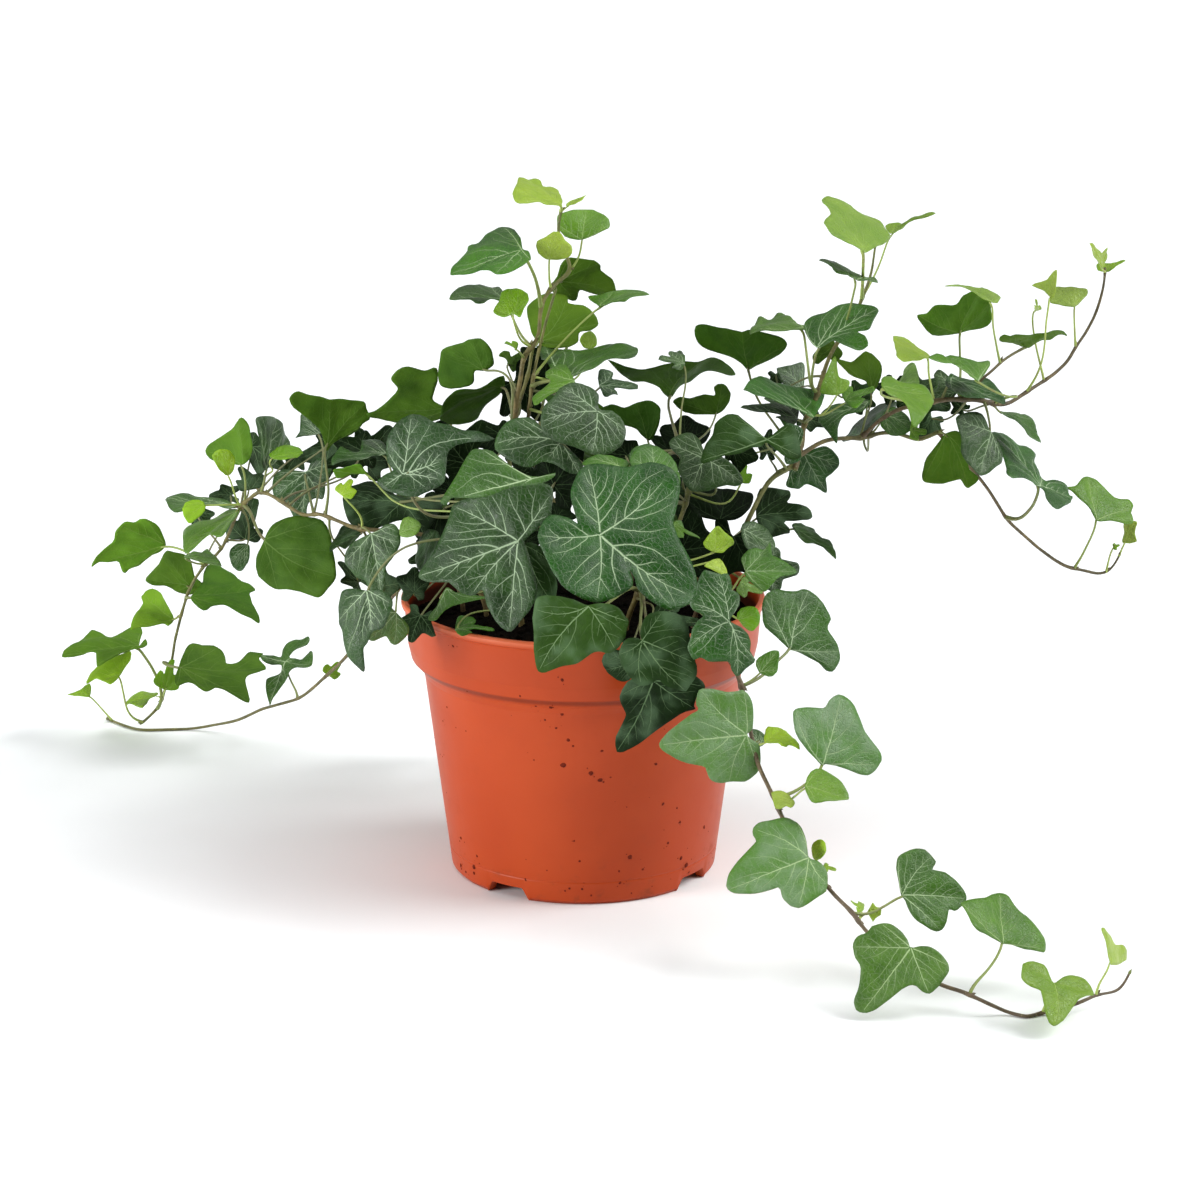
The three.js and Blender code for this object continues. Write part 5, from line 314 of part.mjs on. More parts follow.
// Closed tube round a polyline, with its own radius at each point.
function taperedTube(points, radii, sides) {
  const n = points.length;
  const pos = [], faces = [];
  let up = null, before = null;
  for (let i = 0; i < n; i++) {
    const t = points[Math.min(n - 1, i + 1)].clone().sub(points[Math.max(0, i - 1)]).normalize();
    if (!up) up = Math.abs(t.z) < 0.8 ? new THREE.Vector3(0, 0, 1) : new THREE.Vector3(1, 0, 0);
    else up.applyQuaternion(new THREE.Quaternion().setFromUnitVectors(before, t));
    up.addScaledVector(t, -up.dot(t)).normalize();
    before = t;
    const side = new THREE.Vector3().crossVectors(t, up);
    for (let k = 0; k < sides; k++) {
      const w = (2 * Math.PI * k) / sides;
      const v = points[i].clone().addScaledVector(up, Math.cos(w) * radii[i]).addScaledVector(side, Math.sin(w) * radii[i]);
      pos.push(v.x, v.y, v.z);
    }
  }
  for (let i = 0; i < n - 1; i++) for (let k = 0; k < sides; k++) {
    const a = i * sides + k, b = i * sides + ((k + 1) % sides);
    faces.push(a, b, b + sides, a, b + sides, a + sides);
  }
  const last = (n - 1) * sides;
  for (let k = 1; k < sides - 1; k++) faces.push(0, k + 1, k, last, last + k, last + k + 1);
  return indexed(pos, faces);
}

// Leaf blade in its own plane: x across, y along the middle lobe, z the normal of the upper side.
function blade(outline) {
  const pts = [];
  for (let i = 0; i < outline.length; i += 2) pts.push(new THREE.Vector2(outline[i], outline[i + 1]));
  if (THREE.ShapeUtils.isClockWise(pts)) pts.reverse();
  const n = pts.length;
  // A point of the midrib that sees the whole outline: both faces fan out from it.
  const top = Math.max(...pts.map((p) => p.y));
  let hub = null, best = 0.15;
  for (let f = 0.04; f < 0.62; f += 0.02) for (const s of [0, -0.06, 0.06, -0.12, 0.12]) {
    const x = s * top, y = f * top;
    let least = Infinity;
    for (let i = 0; i < n; i++) {
      const a = pts[i], b = pts[(i + 1) % n];
      least = Math.min(least, ((a.x - x) * (b.y - y) - (b.x - x) * (a.y - y)) / a.distanceTo(b));
    }
    if (least > best) { best = least; hub = [x, y]; }
  }
  const pos = [], faces = [];
  if (hub) {
    for (const p of pts) pos.push(p.x, p.y, 0);
    pos.push(...hub, -HUB / 2, ...hub, HUB / 2);
    for (let i = 0; i < n; i++) { const j = (i + 1) % n; faces.push(j, i, n, i, j, n + 1); }
    return indexed(pos, faces);
  }
  return new THREE.ExtrudeGeometry(new THREE.Shape(pts), { depth: FOLDED_BLADE, bevelEnabled: false }).translate(0, 0, -FOLDED_BLADE / 2);
}

// Profile of (radius, height) pairs turned about +Z.
const turned = (profile) => {
  const pts = profile.map(([r, z]) => new THREE.Vector2(r, z));
  return new THREE.LatheGeometry(pts, POT_SEGMENTS).rotateX(Math.PI / 2);
};

const bodyRadius = (z) => BODY_RADIUS_AT_ZERO + BODY_TAPER * z;
const lip = POT_TOP_DIAMETER / 2;
const W = POT_WALL;
const rad = THREE.MathUtils.degToRad;

// ---------- pot ----------
function makePot() {
  const profile = [
    [0, BASE_UNDERSIDE], [FOOT_INNER_RADIUS, BASE_UNDERSIDE], [FOOT_INNER_RADIUS + 0.2, 0],
    [FOOT_RADIUS, 0], [44.2, 1.6], [bodyRadius(SHOULDER_HEIGHT), SHOULDER_HEIGHT],
    [54.0, 70.0], [56.9, 73.4], [57.9, 78.0], [59.0, 90.0], [lip, 91.0], [lip, 92.4], [lip - 0.5, POT_HEIGHT],
    [58.2, POT_HEIGHT], [57.3, 83.0], [56.5, 77.6], [55.3, 74.0], [bodyRadius(67.4) - W, 69.0],
    [42.6, BASE_TOP], [0, BASE_TOP],
  ];
  let pot = toSolid(turned(profile));
  const h = SLOT_HEIGHT, w = SLOT_WIDTH / 2;
  const section = new THREE.Shape([
    [-w - 0.8, -1], [w + 0.8, -1], [w - 1.4, h - 0.8], [w - 2.6, h], [-w + 2.6, h], [-w + 1.4, h - 0.8],
  ].map(([x, y]) => new THREE.Vector2(x, y)));
  for (let i = 0; i < SLOT_COUNT; i++) {
    const a = rad(SLOT_FIRST_ANGLE + (360 / SLOT_COUNT) * i);
    // Section upright in the (tangent, z) plane, pushed outwards through the foot ring.
    const slot = new THREE.ExtrudeGeometry(section, { depth: 12, bevelEnabled: false })
      .rotateX(Math.PI / 2).rotateZ(Math.PI / 2).translate(36, 0, 0).rotateZ(a);
    pot = pot.subtract(toSolid(slot));
    const hole = new THREE.CylinderGeometry(DRAIN_HOLE_RADIUS, DRAIN_HOLE_RADIUS, 6, 14)
      .rotateX(Math.PI / 2).translate(DRAIN_HOLE_CIRCLE, 0, (BASE_UNDERSIDE + BASE_TOP) / 2).rotateZ(a);
    pot = pot.subtract(toSolid(hole));
  }
  return pot;
}

// ---------- stems ----------
const stems = STEMS.map(([node, flat]) => {
  const points = [], radii = [];
  for (let i = 0; i < flat.length; i += 4) { points.push(new THREE.Vector3(flat[i], flat[i + 1], flat[i + 2])); radii.push(flat[i + 3]); }
  return { node, points, radii };
});

// ---------- compost, with a socket for each stem that is rooted in it ----------
function makeSoil() {
  const g = GAP, top = SOIL_TOP;
  let soil = toSolid(turned([
    [0, BASE_TOP + g + 0.1], [41.9, BASE_TOP + g + 0.1], [bodyRadius(68.6) - W - 2.2 * g, 69.6],
    [53.0, 74.1], [55.4, 77.6], [56.7, 81.6], [56.9, top - 1.0], [56.0, top],
    [30, top + 0.7 * SOIL_CROWN], [0, top + SOIL_CROWN],
  ]));
  for (const { points: [root], radii } of stems) {
    if (root.z > SOIL_TOP - 5) continue;
    const r = radii[0] + g + 0.15;
    const socket = new THREE.CylinderGeometry(r, r, 40, 10).rotateX(Math.PI / 2).translate(root.x, root.y, root.z - g + 20);
    soil = soil.subtract(toSolid(socket));
  }
  return soil;
}

// ---------- leaves ----------
const leaves = LEAVES.map(([name, stem, own, age, joint, normal, along, outline, stalk, radius]) => {
  const N = new THREE.Vector3(...normal).normalize();
  const Y = new THREE.Vector3(...along); Y.addScaledVector(N, -Y.dot(N)).normalize();
  const X = new THREE.Vector3().crossVectors(Y, N);
  const place = new THREE.Matrix4().makeBasis(X, Y, N).setPosition(...joint);
  const back = place.clone().invert();
  const points = [];
  for (let i = 0; i < stalk.length; i += 3) points.push(new THREE.Vector3(stalk[i], stalk[i + 1], stalk[i + 2]).applyMatrix4(back));
  const radii = points.map((_, i) => radius * (i === 0 ? 0.8 : 1));
  const solid = toSolid(blade(outline)).add(toSolid(taperedTube(points, radii, STALK_SIDES)));
  return { name, stem, own, age, place, solid };
});

// ---------- scene graph ----------
const LEAF_COLOURS = [0x3c5c3e, 0x4d7440, 0x75a045, 0xa8c850];
const ivy = new THREE.Group(); ivy.name = 'potted_ivy';
const holder = new THREE.Group(), vines = new THREE.Group(), foliage = new THREE.Group();
ivy.add(holder, vines, foliage);

const part = (name, geometry, color, roughness, parent) => {
  const mesh = new THREE.Mesh(geometry, new THREE.MeshStandardMaterial({ color, roughness, metalness: 0 }));
  mesh.name = name;
  parent.add(mesh);
  return mesh;
};

part('pot', toGeometry(makePot()), 0xc05431, 0.42, holder);
part('soil', toGeometry(makeSoil()), 0x1d1611, 0.95, holder);

// Each vine is one piece: its stems and the small leaves that grew with them.
for (const node of new Set(stems.map((s) => s.node))) {
  let vine = null;
  const join = (solid) => { vine = vine ? vine.add(solid) : solid; };
  for (const s of stems) if (s.node === node) join(toSolid(taperedTube(s.points, s.radii, STEM_SIDES)));
  for (const l of leaves) if (!l.own && l.stem === node) join(toSolid(toGeometry(l.solid).applyMatrix4(l.place)));
  part(node, toGeometry(vine), 0x6f6a4a, 0.7, vines);
}

// The large leaves are pieces of their own, each placed at the joint of its blade and leafstalk.
for (const l of leaves) {
  if (!l.own) continue;
  const mesh = part(l.name, toGeometry(l.solid), LEAF_COLOURS[Math.min(3, Math.round(l.age))], 0.5, foliage);
  l.place.decompose(mesh.position, mesh.quaternion, mesh.scale);
}

export default ivy;
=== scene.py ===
# Potted ivy: the looks. Lengths in the tables are millimetres in the part's own frame; objects are in metres.
import math

import bpy
import numpy as np
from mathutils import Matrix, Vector, geometry, noise


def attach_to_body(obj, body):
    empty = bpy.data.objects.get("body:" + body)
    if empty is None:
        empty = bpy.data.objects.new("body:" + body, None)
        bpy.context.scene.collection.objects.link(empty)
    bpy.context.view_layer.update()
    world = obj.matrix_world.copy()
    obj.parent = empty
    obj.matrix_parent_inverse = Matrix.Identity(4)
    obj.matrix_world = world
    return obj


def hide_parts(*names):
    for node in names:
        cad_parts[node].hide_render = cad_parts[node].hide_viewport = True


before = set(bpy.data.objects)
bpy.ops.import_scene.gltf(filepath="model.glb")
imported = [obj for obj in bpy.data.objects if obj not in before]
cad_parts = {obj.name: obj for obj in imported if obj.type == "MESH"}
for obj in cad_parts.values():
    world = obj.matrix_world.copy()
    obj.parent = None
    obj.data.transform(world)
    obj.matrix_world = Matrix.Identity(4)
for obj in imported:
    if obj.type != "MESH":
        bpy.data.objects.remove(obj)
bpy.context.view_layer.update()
scene = bpy.context.scene
MM = 0.001

# ---------------------------------------------------------------- camera
cam_data = bpy.data.cameras.new("camera")
cam = bpy.data.objects.new("camera", cam_data)
scene.collection.objects.link(cam)
cam.location = (0.0056, -1.2, 0.429)
cam.rotation_euler = (math.radians(90 - 15.74), 0, 0)
cam_data.sensor_width = 36
cam_data.sensor_fit = "HORIZONTAL"
cam_data.lens = 113.25
cam_data.clip_end = 30
scene.camera = cam

# ---------------------------------------------------------------- tables
# Leaves: key, piece, vine, own piece, age (0 old and dark, 3 young and yellow), side seen from the front and finish
# (T upper, U under, P pale matt, W waxy with a painted sheen, D dark matt with painted shade, I darkest painted shade,
# inside the crown), joint of blade and leafstalk, normal of the upper side, direction of the middle lobe, outline in
# the blade's plane (across, along), lobe tips (the middle one first), leafstalk points, leafstalk radius.
LEAVES = [
    ('C1', 'leaflet_front_01', 'stem_front', 0, 0.5, 'T', (5.6,-76.53,133.14), (0.119,-0.794,0.596), (0.828,-0.252,-0.501), (1.2,-7.6,1.3,-10.6,1.6,-12,2.8,-14.7,3.7,-15.8,5.4,-16.4,7.8,-16.5,9.7,-16.2,12.1,-15.3,14.2,-13.2,18.5,-6.1,21.2,-0.6,21.6,1.5,21.7,4,21.2,7.4,19.5,11,17.8,13,14.7,15.2,10.2,17.2,8.1,17.5,6.7,16.7,4,13.4,5.8,16.7,8,18.8,8.6,20.2,9.2,23.5,9.2,28.5,8.5,30.8,7.1,32.5,4,34.3,1.3,35,-0.8,34.8,-2.8,34.2,-4.8,33.1,-6.6,31.6,-8.1,29.9,-10.2,27,-13.6,19.9,-15.6,16.9,-17.1,15.9,-23.8,13.5,-27.7,11.6,-29.1,10.3,-30.4,8.6,-31.2,6,-30.8,3.1,-29.6,-0.1,-28.5,-1.5,-23.9,-5.5,-19.5,-13.9,-17.9,-16,-16.8,-16.7,-14.6,-17,-12.4,-16.9,-8.9,-16.2,-6.6,-15.4,-4.8,-14.2,-3.3,-12.7), (0,32.9,-26.4,6.3,18.6,11.2,-17.3,-16.1,11.9,-14.8), (5.9,-76.6,132.9,5.6,-76.5,133.1,6.8,-72.2,129.4,8,-65.8,125,13.9,-33.3,105.9,16,-26.7,102.3,18.4,-21.9,100.1), 0.85),
    ('C2', 'leaf_front_01', 'stem_centre', 1, 0.3, 'T', (-20.02,-59.64,126.75), (-0.246,-0.836,0.491), (-0.936,0.072,-0.345), (-0.3,34,0.2,34,1.3,33.4,5.5,28,13.6,20.6,15.7,19.2,17.9,18.1,18.7,17.5,19.1,16.6,19,13.5,18.2,6.3,18,-3.4,17.5,-7.4,16.8,-9.8,15.5,-12.6,14.6,-13.9,13.7,-14.8,12.8,-15,11.7,-14.8,5.2,-12.7,4.1,-12.1,3.5,-11.3,2.5,-8.2,-0.4,-1.9,-2.2,-1.8,-6.9,-2.2,-13.4,-2.4,-17.2,-2.1,-19.5,-1.2,-21.6,0.4,-23.4,2.3,-27.3,9.2,-27.3,10.2,-26.8,11,-24.9,12.5,-22.4,13.6,-16.8,14.9,-11.1,14.9,-12.4,18,-12,19.7,-10.4,21.8,-6,24.5,-3.2,31.2,-1.5,33.3), (0,33.9,18.4,17.4,-12.1,18.9,11.4,-14,-27,10.1), (-20.4,-59.6,126.6,-20.4,-32.9,111.8,-21.3,-20,103.2,-22.1,-14,98.5), 0.85),
    ('G10', 'leaf_right_01', 'stem_right', 1, 0.8, 'T', (152.55,23.82,123.63), (0.639,-0.151,0.754), (-0.6,0.516,0.611), (0,25.3,3,26.3,6.5,26.8,12.2,26.9,13.5,26.4,13.9,25.4,14,22.3,13.5,20.6,13.8,19.9,15,19.5,18.7,19.2,20,18.8,20.7,18.1,21.2,17.3,21.2,16.4,20.7,15.5,19.5,14.6,15.5,12.5,13.8,11.4,11.2,8.4,7.8,3.1,8,2.7,8.9,2.5,13.8,2.9,18.9,2.7,21.4,2.4,22.8,1.8,22.4,0.7,18.1,-3.5,18.3,-4.2,19.8,-4.9,19.5,-5.3,13.4,-7.7,7.2,-9.2,-0.4,-10.6,-3.2,-10.8,-5,-10.5,-6.1,-9.9,-6.6,-9.1,-6.7,-8.1,-6,-6.9,-0.9,-1.5,-0.6,-1,-0.8,-0.5,-1.8,0,-6.9,1.1,-11,2.4,-12.9,2.7,-22.3,2.5,-24,2.7,-23.8,3.4,-18.4,6.6,-17.4,7.5,-7.7,17.3,-2.3,23.7), (0,25.3,19.8,15,-24,2.7,18.6,-5.4), (152.3,24,123.9,152.6,23.8,123.6,152.1,24.9,121,151.6,26.8,118.1,151,29.1,115.3,148.6,34.6,110.3,147.1,37.3,108.6,145.2,39.7,108,143.2,41.7,108.4), 0.85),
    ('LB3', 'leaf_trailing_left_01', 'stem_left_upper', 1, 0.5, 'P', (-147.3,117.91,31.98), (0.17,-0.178,0.969), (0.85,-0.471,-0.235), (-3.5,-2.7,-11.6,-6.3,-14.2,-7,-16.2,-6.9,-16.9,-6.4,-18.7,-3.9,-23.4,-1.8,-24.1,-0.4,-23.8,1.3,-22.2,3.6,-20.2,5.9,-17.2,8.3,-16.8,9,-17.2,9.8,-18.1,10.6,-19.3,11.3,-20.7,11.7,-22.6,11.5,-27,10.3,-28.6,10.1,-29.5,10.6,-30.2,13.1,-31.2,14.8,-31,15.3,-27.5,15.9,-26.3,16.5,-25.5,17.8,-24.1,21,-23.1,22.2,-21.8,22.6,-16.7,22.6,-11.1,22.1,-9.5,22.3,-8.3,23,-7.3,24,-1.6,30.2,0.3,31.1,1.5,30.6,2.1,30,2.9,28.4,2.9,26.4,1.9,21.2,2.2,19.7,3.2,18.8,4,18.5,8.6,18.8,9.7,18.6,10.1,18,10.1,17.1,9.1,14.2,8.1,12.2,7.9,11.3,8.1,10.6,9.6,9.1,12.3,7.9,12.5,7.3,10.5,5.1,7.4,2.8), (0,31,-22.9,22,9.6,18.5,-24.1,-0.3,12.2,7.2), (-147,117.7,31.9,-152.4,122.1,31.4,-154.8,125.8,31.5,-155,127.4,31.3,-154.7,129,30.9,-153.9,130.5,29.9,-152.5,132.1,28.4), 0.85),
    ('R1', 'leaf_right_02', 'stem_right', 1, 2.1, 'T', (89.45,-16.05,210.14), (0.62,-0.181,0.763), (-0.4,0.764,0.506), (-6.1,21.8,-2.7,25.8,0.4,28.7,2.5,29.9,7,31.1,11.6,30.9,14,30.1,14.4,29.4,14.3,27.5,14.8,26.9,16.1,26.8,21.4,27.3,24,27.1,25.1,26.9,25.9,26.3,26.2,25.4,25.9,22.9,25,19.1,23.6,16.6,22.4,15.2,19.2,12.2,15.5,9.3,1.6,0.4,-0.5,-0.7,-3.2,-1.5,-11.3,-1.5,-14.5,-1.1,-17,-0.2,-17.7,0.5,-18.1,1.4,-18.2,2.5,-17.6,5,-16.8,6.2,-14.4,8.8,-8.7,13.5,-6.9,16.6,-5.7,19.5,-5.6,20.3,-6.2,21.1), (0,27.7,-16.4,6,24.2,17.3), (89.4,-16,210.1,90.3,-1,198.6,91.2,14,189.4), 0.85),
    ('BK21', 'leaf_trailing_right_01', 'stem_back_trailing', 1, 0.2, 'T', (30.1,106.94,29.12), (0.266,0.938,0.224), (0.587,0.027,-0.809), (0,0,-1.7,-1.2,-5.3,-6.9,-7,-8.8,-8.7,-9.2,-10.4,-8.8,-14.4,-7,-14.9,-6.2,-15,-5.4,-14.6,-4,-12.9,0.2,-12.9,2.1,-13.9,4.4,-18.3,12.1,-18.7,13.4,-18.5,14.2,-18.1,14.8,-16.5,15.9,-14.6,16.4,-9.5,16.5,-7.9,17.2,-6.6,18.9,-3.3,25.3,-1.6,26.9,0,27.2,1.7,26.9,2.5,26.4,3.3,25.3,5.6,18.2,6.5,16.5,7.8,15.9,11.9,16.7,13.7,16.6,15.4,15.6,15.8,15.2,16,14.5,15.9,13.1,12.6,4.6,11.9,1.9,11.8,-0.3,13.1,-6.5,12.4,-7.8,8.6,-9.1,7,-9.2,5.5,-8.7,4.2,-6.8,1.5,-1.2), (0,27.2,14.9,16,-17.7,15.3,12.9,-7.1,-14.9,-6.2), (30.8,107,28.1,30.1,106.9,29.1,29.4,104.6,26.8,27.6,98.1,24.3,26.7,94.7,22.2), 0.85),
    ('T10', 'leaf_top_01', 'stem_centre', 1, 0.9, 'T', (-5.37,-7.72,167.42), (-0.238,-0.095,0.967), (0.891,0.374,0.256), (-42.2,8.5,-41.4,9.5,-38.9,10.3,-30.6,12.2,-25.9,12.9,-24.4,13.6,-23.7,14.7,-24,17.5,-23.8,18.9,-22.6,22.1,-21.7,23.7,-20.5,24.9,-18.7,25.6,-14.3,26.4,-9.3,26.9,-3.6,27,-1.3,26.8,0.4,26.2,1.9,25.5,3.8,23.8,4.2,22.8,4.2,20.8,3.7,19.8,2.6,18.8,-0.5,16.8,-1.4,15.8,-1.4,14.9,0.1,13.1,0.6,12.1,0,6.9,1.7,0.8,1,-0.4,-1.1,-0.7,-4.2,-0.3,-11.8,1,-25.6,2.6,-29.9,3.4,-37.8,5.9,-40.8,7.3), (0,26.5,-40.7,9.4,0.6,12.1), (-4.7,-7.4,167.6,-13.5,4,163.5,-16.7,7.8,161.4), 0.85),
    ('T4', 'leaf_top_02', 'stem_centre', 1, 1.1, 'T', (-19.46,-4.53,208.63), (-0.252,-0.19,0.949), (-0.967,0.009,-0.255), (0.1,24.4,2.8,24,5.7,22.9,10.3,19.7,13.4,18.2,17.5,17.9,18.5,17.6,18.8,17,18.6,15.3,19.1,14.5,25.6,11.9,26.5,11.2,27.9,9.2,29.7,7.7,30,7.1,29.8,5.9,28.6,4.6,27.3,3.9,21.5,2.1,11.9,0.2,2,-0.2,0.7,-0.6,-1.9,-2,-4.7,-2.6,-7.8,-2.8,-11,-2.4,-13.8,-1.7,-14.6,-1.2,-15.7,0.1,-16.3,2.6,-16.1,6.2,-15.4,7.9,-13.6,9.4,-5.8,13.8,-5.4,14.5,-5.4,16.3,-5,18.6,-4.3,20.2,-1.5,23.7,-0.8,24.2), (0,24.3,29.2,6.1,-14.5,8.9,-9.3,-2.6), (-19.8,-4.5,208.5,-19.5,-4.5,208.6,-18.5,-3.7,206.1,-17.2,-2.2,203.7,-15.3,1.8,198.5,-14.2,5.8,193,-13.9,7.2,190.2,-13.6,8,187.6), 0.85),
    ('BC1', 'leaf_middle_01', 'stem_front', 1, 0.2, 'D', (11.13,-7.29,126.99), (-0.685,0.507,0.523), (-0.242,0.519,-0.82), (0,0,-1.8,-0.8,-5.2,-5.1,-6.8,-6.4,-8.2,-6.6,-9.5,-6.1,-12.2,-4.4,-12.8,-3.8,-12.9,-2.6,-12.4,-1.6,-10.9,-0.1,-10.2,0.9,-10.4,2.3,-11.8,4.3,-18.2,11.4,-18.7,12.6,-18.5,13.4,-18.1,14,-16.5,15.2,-14.6,15.7,-9.4,15.6,-7.7,16.4,-6.5,18.4,-3.4,26.2,-2.5,27.3,-1.7,27.9,0,28.1,1.6,27.9,2.5,27.3,3.4,26.2,6.5,18.8,7.8,16.8,9.5,16.1,14.8,16.2,16.7,15.7,18.3,14.5,18.8,13.9,18.9,13.1,18.5,11.8,13.2,4.5,12,2.4,12,0.7,14.2,-2.6,14.6,-3.9,14.5,-5.1,13.8,-5.8,10.6,-7.6,9,-8.1,7.4,-7.8,5.7,-6.2,1.8,-1.2), (0,28.1,17.9,15,-17.6,14.5,14.6,-4.7,-12.9,-3.4), (10.8,-6.7,126,18.5,-6.6,126.8,24.6,-7.4,126.8,30.7,-9.3,126.5,33.4,-10.9,126.3), 0.85),
    ('BK36', 'leaf_trailing_left_02', 'stem_back_left', 1, 0, 'T', (-45.31,102.13,46.07), (0.233,0.911,0.341), (0.26,0.279,-0.924), (0,0,-1.9,-1.1,-5.5,-6.2,-7.1,-7.9,-8.7,-8.1,-10.2,-7.6,-13.3,-5.9,-14,-5.2,-14.2,-4,-13.8,-2.7,-11.9,0.9,-11.9,2.6,-12.9,4.8,-17.2,12.1,-17.5,13.4,-17.3,14.2,-17,14.7,-15.4,15.8,-13.6,16.2,-8.9,16.3,-7.4,17,-6.2,18.7,-3.2,25.5,-1.6,27.1,0,27.3,1.6,27.1,2.4,26.6,3.2,25.5,6.2,18.1,7.5,16.1,9,15.2,13.8,14.9,15.5,14.4,16.1,14.1,16.9,13.2,17.3,11.8,17,10.7,13.1,4.9,12.2,3.2,12.4,1.9,14.5,-0.8,15.1,-2,15.1,-3.3,14.5,-4.1,11.6,-6.4,10.1,-7.1,8.4,-7,6.5,-5.6,2.1,-0.9), (0,27.3,16.5,13.7,-16.5,15.2,15.2,-2.9,-14.2,-4.8), (-45,102.5,45,-45.3,102.1,46.1,-45.8,100,43.5,-46.5,97.3,42.2,-47.3,94.1,41.8,-50.2,82.9,42.4,-51.1,79,42.1,-52.1,75.4,40.9), 0.85),
    ('LB2', 'leaflet_trailing_left_01', 'stem_left_upper', 0, 1.2, 'P', (-164.11,131.02,36.31), (-0.06,-0.058,0.997), (-0.985,-0.157,-0.068), (-0.2,-0.2,8.7,-1.4,18.1,-2.3,20.5,-2.3,22.1,-2,23,-1.6,23.8,-0.5,23.7,0.1,22,2.1,18,5.6,16.9,7.6,16.7,8.6,16.8,9.6,18.2,11.2,24.6,15.2,25.3,15.9,25.2,16.6,20.8,19.1,3.5,27.2,0.1,28.2,-0.9,27.9,-1.4,27.1,-1.8,25.1,-1.7,24.1,-0.6,21.2,0,18.6,0,17.9,-0.8,16.6,-2.4,15.8,-3.8,15.6,-14,15.9,-15,15.7,-15.3,15.1,-15.2,14.3,-14.4,12.4,-12.3,9.8,-10.5,8.3,-4,3.9,-3.3,3.2,-3.1,2.6,-3.2,1.9,-4.7,-0.7,-4.8,-1.1,-4.2,-2,-2.8,-2.8,-0.4,-3.3,2,-3.5,4.8,-3,4.9,-2.7), (0,28,25,15.9,-14.5,15.7,20.6,-2.1,1,-3.1), (-165.3,130.8,36.2,-162.4,132,32.4,-160,132.4,28.8,-157,132.3,21.9,-156.4,132.6,18.7,-156.5,133.5,15.6,-157.2,135.5,12.7,-158.8,138.9,9.8), 0.85),
    ('BK11', 'leaf_back_01', 'stem_back_upright', 1, 0, 'T', (2.7,59.67,132.92), (0.451,0.416,0.79), (0.203,0.813,-0.545), (0,0,-1.9,-1.1,-5.9,-6,-7.7,-7.6,-9.4,-7.9,-11.1,-7.4,-14.9,-5.4,-15.4,-4.3,-15.2,-3.4,-14.9,-2.7,-12.9,-0.7,-11.9,0.7,-11.8,2.3,-13.1,4.7,-19.1,12.4,-19.5,13.7,-19.3,14.5,-18.3,15.5,-17,16.2,-16.1,16.4,-15,16.5,-9.2,15.3,-7.5,15.7,-6.2,17.4,-3.4,24.3,-2.5,25.3,-1.7,25.8,0.8,26,1.7,25.9,2.5,25.4,3.4,24.3,6.3,16.1,7.6,14,9.4,13.3,15.3,13.7,16.4,13.5,17.8,12.9,18.7,12,19.1,11.5,19.2,10.7,18.6,9.6,12,3.2,10.5,1.3,10.4,-0.2,11.2,-1.3,12.9,-3,13.1,-3.7,13.1,-4.9,12.3,-5.7,9.2,-7,7.8,-7.4,6.3,-7.1,4.8,-5.5,1.7,-0.9), (0,26,18.2,12.5,-18.3,15.5,13.1,-4.9,-15.3,-4.7), (2.9,60.6,132.3,2.7,59.7,132.9,1.8,59.2,131,0.4,58.9,131,-1.5,58.7,131.9,-4.4,57.5,132.1,-9.8,56.3,134.9,-12.5,55.7,135.8,-15,55.1,136), 0.84),
    ('BK14', 'leaf_back_02', 'stem_back_upright', 1, 0.8, 'D', (-14.53,57.27,108.72), (-0.32,0.732,0.602), (-0.58,0.351,-0.735), (0,0,-1.6,-1.2,-4.9,-6.6,-6.5,-8.4,-8.1,-8.8,-9.6,-8.5,-13.4,-6.7,-13.8,-6,-13.9,-5.3,-12.4,0.6,-12.3,2.6,-12.9,5,-15.3,12.6,-15.4,13.9,-15.2,14.6,-13.9,15.8,-11.5,16.1,-7.7,15.8,-6.5,16.5,-5.5,18.2,-3.3,25.2,-2.4,26.2,-1.6,26.7,0,27,1.6,26.7,3.3,25.2,6.1,18.4,7.2,16.7,8.6,15.9,13,15.7,15.4,15.1,16.7,13.8,16.9,13.1,16.6,11.8,12.1,4.2,11,1.9,10.8,0.2,12.4,-4.6,12.3,-5.3,11.9,-5.9,8.6,-7.4,7.2,-7.8,5.8,-7.4,4.4,-5.8,1.5,-0.9), (0,27,15.9,14.7,-14.4,15.4,12.3,-5.3,-13.8,-6), (-15.2,57.7,107.8,-14.5,57.3,108.7,-14.2,56.5,107.6,-13.9,55.4,107.8,-13.6,54.1,108.8,-12.3,48,116,-11.9,46.5,117), 0.83),
    ('E1', 'leaf_front_02', 'stem_front_trailing', 1, 1.1, 'W', (51.64,-71.17,66.86), (0.346,-0.89,0.297), (-0.932,-0.362,0.002), (0.3,-0.2,1.2,-1.6,1.7,-2.1,5.9,-2.8,8.7,-2.9,10.4,-2.6,11.9,-2.1,13.1,-1.4,14.3,0.1,14,1.7,14.1,5.7,15.6,10,16.1,13.9,15.6,15,12.2,16.5,11.1,16.4,9.6,15.5,8.5,18.5,3.7,26.3,1.3,28.7,0,29.4,-1.3,28.8,-2.5,27.7,-5.1,24,-6.6,20.9,-8.2,15.7,-8.7,15.3,-10.4,15,-12.4,14.3,-13.4,13.1,-14.1,10.4,-13.9,6.9,-14.5,2.9,-14,1.2,-12.4,-1.7,-11.5,-2.7,-9.8,-3.4,-7.5,-3.7,-4,-3.7,-3,-3.2,-0.4,-0.1,-0.1,0.1), (0,29.3,15.9,14.5,14.2,-0.3,-14.1,7.9,-11,-2.8), (50.6,-71.8,66.3,51.7,-70.3,66.6,52.9,-70.4,65,54,-71.9,62.2,54.4,-72,60.5), 0.82),
